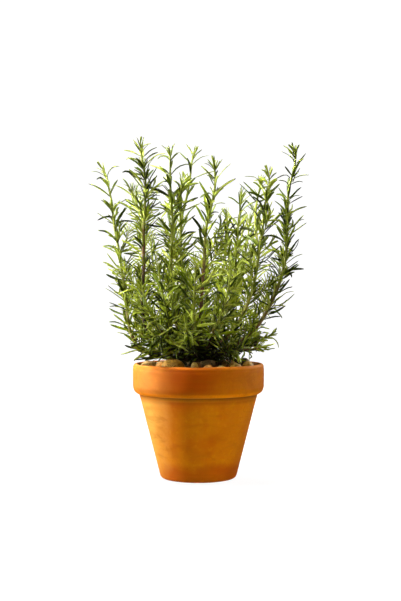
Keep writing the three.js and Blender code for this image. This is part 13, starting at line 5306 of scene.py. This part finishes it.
stems = {name: Stem(name) for name in SPRIGS}
for order, name in enumerate(SPRIGS):
    stem = stems[name]
    rng = random.Random(500 + order)
    rows = LEAVES.get(name, [])
    tw = TWIGS.get(name, [])
    # stem with its side twigs
    b = Build()
    feet = sorted(set(round(r[1]) for r in rows))
    knots = []
    for f in feet:
        if not knots or f - knots[-1][0] > 4.5:
            knots.append((float(f), rng.uniform(0.08, 0.20)))
    L = stem.length
    total = L[-1]
    rad = stem.radius(L)
    rad[0] *= 0.55
    rad[1] *= 0.85
    # colour runs from soft green at the tip to woody at the foot
    reach = 225.0 if total > 200 else (150.0 if total > 100 else 110.0)
    if name == "sprig_left_tall":
        reach = 102.0
    if name in ("sprig_centre_right",):
        reach = 132.0
    if name in ("sprig_front_left_pale",):
        reach = 260.0
    age = np.clip(L / (reach * 1.9), 0, 1)
    foot = np.clip(1 - (stem.line[:, 2] - 150) / 62.0, 0, 1)
    age = np.clip(np.maximum(age, 0.98 * foot ** 0.7), 0, 1)
    boxes = [(0.0, 0.0, 1.0, 0.5)] + [(u0, 0.5 + v0 / 2, u1, 0.5 + v1 / 2) for u0, v0, u1, v1 in cells(max(1, len(tw)), 1.0)]
    tube(b, stem.line, rad, age, order + 1.0, boxes[0], 12, 0.16, knots)
    for k, row in enumerate(tw):
        line = through(np.array(row, float).reshape(-1, 3) / 10.0, 6)
        line = at_lengths(line, np.linspace(0, along(line)[-1], 14))
        n = len(line)
        r = np.linspace(0.45, 0.95, n)
        tube(b, line, r, np.linspace(0.05, 0.45, n) + 0.25 * float(foot[stem.near(line[-1])[0]]), order + 30.0 + k, boxes[1 + k], 8, 0.08)
    finish_piece(b.make(name + "_stem", [STEM]), [name], "bark")
    # leaves
    b = Build()
    grid = cells(max(1, len(rows)))
    for k, row in enumerate(rows):
        leaf(b, row, stem, rng, grid[k])
    if rows:
        finish_piece(b.make(name + "_leaves", [LEAF]), [name], "leaf")


# ---------------------------------------------------------------- woody crown

def sphere_grid(nu, nv):
    th = np.linspace(0.0, math.pi, nv)
    ph = 2 * math.pi * np.arange(nu) / nu
    return th, ph


def crown():
    b = Build()
    th, ph = sphere_grid(56, 44)
    th = np.linspace(0.12, math.pi - 0.02, 44)
    rings = np.zeros((len(th), len(ph), 3))
    for i, t in enumerate(th):
        for j, p in enumerate(ph):
            d = np.array((math.sin(t) * math.cos(p), math.sin(t) * math.sin(p), math.cos(t)))
            r = CROWN_RADIUS - 0.9
            # fluted old wood that runs on into the stems, with burls
            r += 1.1 * math.cos(7 * p + 2.0 * hill(d[0], d[1], d[2], 1.6, 3.0)) * math.sin(t) ** 1.2
            r += 1.5 * hill(d[0], d[1], d[2], 2.1, 11.0) + 0.7 * hill(d[0], d[1], d[2], 5.5, 5.0)
            r = min(r, CROWN_RADIUS + 0.6)
            q = CROWN + d * r
            if d[2] < -0.2:      # the collar runs down into the main root
                q[2] = CROWN[2] + d[2] * r * 1.15
            rings[i, j] = q
    tag = np.zeros((*rings.shape[:2], 4)); tag[..., 0] = 0.92; tag[..., 3] = 1
    tag[..., 1] = 0.35
    b.body(rings, tag, tag * 0 + np.array([0, 0, 0, 1.0]), (0, 0, 1, 0.6))
    # main root
    line = through(np.array([(1.5, 0, 138), (2.2, 0.6, 128), (1.0, -0.8, 117), (1.8, 0.2, 106)]), 8)
    n = len(line)
    tube(b, line, np.linspace(9.0, 2.2, n), np.full(n, 0.95), 77.0, (0, 0.6, 1, 0.8), 14, 0.22)
    # stubs of old cut wood
    for k, (az, el, ln) in enumerate(((40, 32, 8), (155, 24, 6), (250, 30, 9), (318, 22, 7))):
        d = np.array((math.cos(math.radians(az)) * math.cos(math.radians(el)), math.sin(math.radians(az)) * math.cos(math.radians(el)), math.sin(math.radians(el))))
        line = CROWN[None, :] + d[None, :] * np.linspace(CROWN_RADIUS + ln * 0.45, 8, 9)[:, None]
        tube(b, line, np.linspace(2.0, 3.2, 9), np.full(9, 0.97), 90.0 + k, (k * 0.25, 0.8, k * 0.25 + 0.25, 1.0), 12, 0.2)
    finish_piece(b.make("woody_crown_bark", [STEM]), ["woody_crown"], "bark")


crown()


# ---------------------------------------------------------------- pot

BODY_R0, BODY_SLOPE = 48.6, 0.2563


def arc(cx, cz, r, a0, a1, n):
    return [(cx + r * math.cos(math.radians(a0 + (a1 - a0) * i / n)), cz + r * math.sin(math.radians(a0 + (a1 - a0) * i / n))) for i in range(n + 1)]


def smooth_profile(points, rounds):
    """Rounds the corners of an open outline. rounds gives the radius at each corner."""
    out = [points[0]]
    for i in range(1, len(points) - 1):
        p0, p, p1 = map(np.array, (points[i - 1], points[i], points[i + 1]))
        r = rounds[i]
        if r <= 0:
            out.append(tuple(p)); continue
        a, c = unit(p0 - p), unit(p1 - p)
        cut = min(r, 0.48 * np.linalg.norm(p0 - p), 0.48 * np.linalg.norm(p1 - p))
        s, e = p + a * cut, p + c * cut
        for k in range(6):
            u = k / 5
            out.append(tuple((1 - u) ** 2 * s + 2 * u * (1 - u) * p + u * u * e))
    out.append(points[-1])
    return out


def clay_pot():
    body = lambda z: BODY_R0 + BODY_SLOPE * z
    inner = lambda z: 41.3 + 0.2615 * z
    pts = [(12.5, 0.0), (43.0, 0.0), (46.6, 0.7), (49.1, 2.9), (body(6.2), 6.2), (body(106.5), 106.5), (77.0, 109.6), (79.6, 110.6),
           (82.9, 113.2), (84.8, 118.5), (85.0, 122.0), (85.0, 143.6), (84.4, 146.7), (82.9, 148.6), (80.6, 149.0), (78.6, 148.1), (77.7, 146.0),
           (inner(132), 132.0), (inner(108), 108.0), (inner(14), 14.0), (42.2, 9.0), (12.5, 9.0)]
    rounds = [0, 0.6, 2.0, 2.2, 2.4, 2.6, 1.2, 1.2, 2.5, 2.5, 1.5, 2.2, 1.6, 1.3, 1.3, 1.3, 1.3, 3, 3, 4, 3, 0]
    prof = smooth_profile(pts, rounds)
    # more steps on the long runs, for the wall's soft unevenness
    fine = [prof[0]]
    for a, c in zip(prof, prof[1:]):
        n = max(1, int(math.hypot(c[0] - a[0], c[1] - a[1]) / 3.2))
        for k in range(1, n + 1):
            fine.append((a[0] + (c[0] - a[0]) * k / n, a[1] + (c[1] - a[1]) * k / n))
    fine = np.array(fine)
    seg = 144
    th = 2 * math.pi * np.arange(seg) / seg
    rings = np.zeros((len(fine), seg, 3))
    for i, (r, z) in enumerate(fine):
        for j, a in enumerate(th):
            c, s = math.cos(a), math.sin(a)
            wob = 0.0
            if r > 50 and z > 4:
                wob = 0.22 * hill(c * 1.1, s * 1.1, z * 0.012, 1.0, 4.0) + 0.10 * hill(c * 4, s * 4, z * 0.05, 1.0, 9.0)
                wob += 0.07 * math.sin(z * 0.9 + 1.5 * hill(c, s, z * 0.05, 1.0, 2.0))
                # two shallow turned lines on the band, as the tool leaves
                if r > 83:
                    wob -= 0.30 * math.exp(-((z - 143.2) / 0.9) ** 2) + 0.16 * math.exp(-((z - 139.6) / 0.8) ** 2)
            up = 0.0
            if z > 147.5:
                up = 0.16 * hill(c * 2.5, s * 2.5, 0.3, 1.0, 6.0)
            rings[i, j] = ((r + wob) * c, (r + wob) * s, z + up)
    b = Build()
    # closed all round: the outline's two ends meet at the drainage hole's wall
    k = rings.shape[0]
    co = rings.reshape(-1, 3)
    i = np.arange(k)[:, None]
    j = np.arange(seg)[None, :]
    j2 = (j + 1) % seg
    i2 = (i + 1) % k
    quads = np.stack([i * seg + j + 0 * i2, i * seg + j2 + 0 * i2, i2 * seg + j2, i2 * seg + j + 0 * j2], -1).reshape(-1, 4)
    me = bpy.data.meshes.new("pot_clay")
    me.from_pydata((co * MM).tolist(), [], quads.tolist())
    me.materials.append(CLAY)
    me.polygons.foreach_set("use_smooth", [True] * len(me.polygons))
    me.validate(); me.update()
    ob = bpy.data.objects.new("pot_clay", me)
    bpy.context.scene.collection.objects.link(ob)
    finish_piece(ob, ["pot"], "terracotta")


clay_pot()


# ---------------------------------------------------------------- pebbles and potting mix

PEBBLE_SLOTS = {p["node"]: p["material_slot"] for p in frame["record"]["subparts"] if p["node"].startswith("pebble_")}
STONE = {(s, d): stone_material(s, d) for s in STONES for d in (False, True)}
# stones that lie under the leaves take the finish with painted shade
SHADED_PEBBLES = {"pebble_02", "pebble_03", "pebble_06", "pebble_09", "pebble_10", "pebble_12", "pebble_13", "pebble_15", "pebble_16", "pebble_18"}


def pebble(index, name, x, y, a, c, top, turn):
    rng = random.Random(9000 + index)
    lo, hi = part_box(name)
    z0, z1 = lo[2] / MM, hi[2] / MM
    x0, x1, y0, y1 = lo[0] / MM, hi[0] / MM, lo[1] / MM, hi[1] / MM
    half = (z1 - z0) / 2
    me = bpy.data.meshes.new(name + "_stone")
    import bmesh
    bm = bmesh.new()
    bmesh.ops.create_icosphere(bm, subdivisions=5, radius=1.0)
    seed = rng.uniform(0, 60)
    ang = math.radians(turn)
    ca, sa = math.cos(ang), math.sin(ang)
    skew = rng.uniform(-0.12, 0.12)
    for v in bm.verts:
        d = v.co.normalized()
        r = 1.0 + 0.10 * hill(d.x, d.y, d.z, 0.9, seed) + 0.045 * hill(d.x, d.y, d.z, 2.3, seed + 9) + 0.008 * hill(d.x, d.y, d.z, 9.0, seed + 20)
        # blunt, water-worn body
        q = Vector((math.copysign(abs(d.x) ** 0.90, d.x), math.copysign(abs(d.y) ** 0.90, d.y), math.copysign(abs(d.z) ** 0.94, d.z))) * r
        q.z *= 1 + skew * q.x
        v.co = Vector((q.x * a, q.y * c, q.z * half))
        v.co = Vector((ca * v.co.x - sa * v.co.y, sa * v.co.x + ca * v.co.y, v.co.z))
    xs = [v.co.x for v in bm.verts]; ys = [v.co.y for v in bm.verts]; zs = [v.co.z for v in bm.verts]
    # fitted to the stone's own place
    sx = (x1 - x0) / (max(xs) - min(xs)); sy = (y1 - y0) / (max(ys) - min(ys)); sz = (z1 - z0 + 0.6) / (max(zs) - min(zs))
    mx, my, mz = (max(xs) + min(xs)) / 2, (max(ys) + min(ys)) / 2, min(zs)
    for v in bm.verts:
        v.co = Vector(((v.co.x - mx) * sx + (x0 + x1) / 2, (v.co.y - my) * sy + (y0 + y1) / 2, (v.co.z - mz) * sz + z0 - 0.6)) * MM
    bm.to_mesh(me); bm.free()
    me.polygons.foreach_set("use_smooth", [True] * len(me.polygons))
    slot = PEBBLE_SLOTS[name]
    me.materials.append(STONE[(slot, name in SHADED_PEBBLES)])
    ob = bpy.data.objects.new(name + "_stone", me)
    bpy.context.scene.collection.objects.link(ob)
    finish_piece(ob, [name], slot)


for index, row in enumerate(PEBBLES):
    pebble(index, *row)


def potting_mix():
    """The filled body of mix: a rough top with crumbs and bark bits, smooth where the clay holds it."""
    inner = lambda z: 41.3 + 0.2615 * z - 0.35
    seg = 120
    th = 2 * math.pi * np.arange(seg) / seg
    outline = [(12.0, 9.35), (30.0, 9.35), (41.6, 9.35), (inner(14.3), 14.3), (inner(40), 40.0), (inner(75), 75.0), (inner(110), 110.0), (inner(131), 131.0), (inner(135.2), 135.2)]
    rings = []
    rings.append([(0.6 * math.cos(a), 0.6 * math.sin(a), 9.35) for a in th])
    for r, z in outline:
        rings.append([(r * math.cos(a), r * math.sin(a), z) for a in th])
    steps = 42
    for k in range(steps + 1):
        r = inner(136.0) * (1 - k / steps * 0.985) - 0.2
        row = []
        for a in th:
            x, y = r * math.cos(a), r * math.sin(a)
            z = 136.1 + 0.85 * hill(x, y, 0, 0.055, 2.0) + 0.75 * hill(x, y, 0, 0.22, 7.0) + 0.45 * hill(x, y, 0, 0.75, 3.0)
            z += 1.5 * math.exp(-(((x - 1.5) ** 2 + y ** 2) / 20.0 ** 2))
            row.append((x, y, z))
        rings.append(row)
    rings = np.array(rings)
    b = Build()
    tag = np.zeros((*rings.shape[:2], 4)); tag[..., 3] = 1
    b.body(rings[:, ::1], tag, tag, None)
    ob = b.make("potting_mix", [SOIL])
    me = ob.data
    # crumbs
    import bmesh
    bm = bmesh.new()
    bm.from_mesh(me)
    rng = random.Random(4242)
    for n in range(620):
        rr = math.sqrt(rng.random()) * (inner(137) - 3.0)
        a = rng.uniform(0, 2 * math.pi)
        x, y = rr * math.cos(a), rr * math.sin(a)
        z = 136.1 + 0.85 * hill(x, y, 0, 0.055, 2.0) + 0.75 * hill(x, y, 0, 0.22, 7.0)
        z += 1.5 * math.exp(-(((x - 1.5) ** 2 + y ** 2) / 20.0 ** 2))
        size = rng.uniform(0.6, 1.9) if rng.random() < 0.85 else rng.uniform(1.8, 3.0)
        long_ = 1.0 if rng.random() < 0.7 else rng.uniform(1.6, 2.6)
        res = bmesh.ops.create_icosphere(bm, subdivisions=1, radius=1.0)
        turn = rng.uniform(0, math.pi)
        seed = rng.uniform(0, 90)
        c_, s_ = math.cos(turn), math.sin(turn)
        for v in res["verts"]:
            d = v.co.normalized()
            r = size * (1 + 0.45 * hill(d.x, d.y, d.z, 1.7, seed))
            px, py, pz = d.x * r * long_, d.y * r, d.z * r * 0.75
            v.co = Vector((x + c_ * px - s_ * py, y + s_ * px + c_ * py, z + size * 0.30 + pz)) * MM
    bm.to_mesh(me); bm.free()
    finish_piece(ob, ["potting_soil"], "soil")


potting_mix()


# ---------------------------------------------------------------- stage, light and camera

def dome():
    """A round white cove: floor, sweep and wall in one sheet."""
    prof = [(0.0, 0.0), (1.0, 0.0), (3.0, 0.0), (5.0, 0.0)] + [(5.0 + 2.0 * math.sin(u), 2.0 - 2.0 * math.cos(u)) for u in np.linspace(0.1, math.pi / 2, 10)] + [(7.0, 6.0), (6.0, 8.0), (3.0, 9.0), (0.0, 9.3)]
    seg = 96
    verts = [(r * math.cos(2 * math.pi * j / seg), r * math.sin(2 * math.pi * j / seg), z - 0.0004) for r, z in prof for j in range(seg)]
    faces = [(i * seg + j, i * seg + (j + 1) % seg, (i + 1) * seg + (j + 1) % seg, (i + 1) * seg + j) for i in range(len(prof) - 1) for j in range(seg)]
    me = bpy.data.meshes.new("cove")
    me.from_pydata(verts, [], faces)
    me.validate()
    me.polygons.foreach_set("use_smooth", [True] * len(me.polygons))
    me.materials.append(stage_material("cove_white", 0.95, 1.05, 0.12))
    ob = bpy.data.objects.new("cove", me)
    bpy.context.scene.collection.objects.link(ob)
    ob.visible_diffuse = False
    ob.visible_glossy = False
    ob.visible_transmission = False
    ob.visible_shadow = False


dome()


def softbox(name, place, target, size, power, colour=(1, 1, 1), spread=180.0):
    light = bpy.data.lights.new(name, "AREA")
    light.shape = "SQUARE"
    light.size = size
    light.energy = power
    light.color = colour
    light.spread = math.radians(spread)
    ob = bpy.data.objects.new(name, light)
    bpy.context.scene.collection.objects.link(ob)
    ob.location = place
    ob.rotation_euler = (Vector(target) - Vector(place)).to_track_quat("-Z", "Y").to_euler()
    return ob


softbox("key_left", (-1.31, 0.20, 0.18), (0, 0, 0.15), 0.32, 28, (1.0, 0.95, 0.82))
softbox("back_left", (-0.80, 1.20, 1.00), (0, 0, 0.26), 0.35, 15, (1.0, 0.97, 0.86))
softbox("back_right", (1.10, 0.85, 0.80), (0, 0, 0.27), 0.35, 12, (1.0, 0.97, 0.88))
softbox("side_right", (1.40, -0.40, 0.02), (0, 0, 0.10), 0.4, 8, (1.0, 0.95, 0.84))
softbox("front", (0.35, -1.75, 0.92), (0, 0, 0.14), 0.5, 1.0, (1.0, 0.96, 0.86))
# gridded boxes: two for the leaves, and one from below in place of the light a pale floor throws up on the pot
softbox("leaves_left", (-1.25, 0.02, 0.95), (0, 0, 0.31), 0.24, 0.95, (1.0, 0.97, 0.86), 12.0)
softbox("leaves_front", (-1.10, -0.85, 1.25), (0, -0.02, 0.335), 0.22, 0.25, (1.0, 0.98, 0.86), 9.6)
softbox("floor_glow", (-0.12, -1.25, -1.00), (0, 0, 0.090), 0.25, 0.142, (1.0, 0.96, 0.86), 14.0)
softbox("top", (-0.34, -0.04, 1.66), (0, 0, 0.3), 0.42, 74, (1.0, 0.99, 0.90))

world = bpy.data.worlds.new("room")
world.use_nodes = True
bg = world.node_tree.nodes["Background"]
bg.inputs[0].default_value = (1.0, 0.98, 0.90, 1)
bg.inputs[1].default_value = 0.007
bpy.context.scene.world = world

scene = bpy.context.scene
scene.view_settings.view_transform = "Standard"
scene.view_settings.look = "None"
scene.view_settings.exposure = 0.0
scene.view_settings.gamma = 1.0
scene.cycles.use_denoising = True

cam = bpy.data.cameras.new("camera")
cam.sensor_fit = "AUTO"
cam.sensor_width = 36.0
cam.lens = 1200.0 / 601.0 * 36.0
cam.clip_start = 0.05
cam.clip_end = 50.0
camera = bpy.data.objects.new("camera", cam)
scene.collection.objects.link(camera)
camera.location = (0.0027, -1.558, 0.2486)
camera.rotation_euler = (math.radians(90.0 - 0.668), 0.0, 0.0)
scene.camera = camera
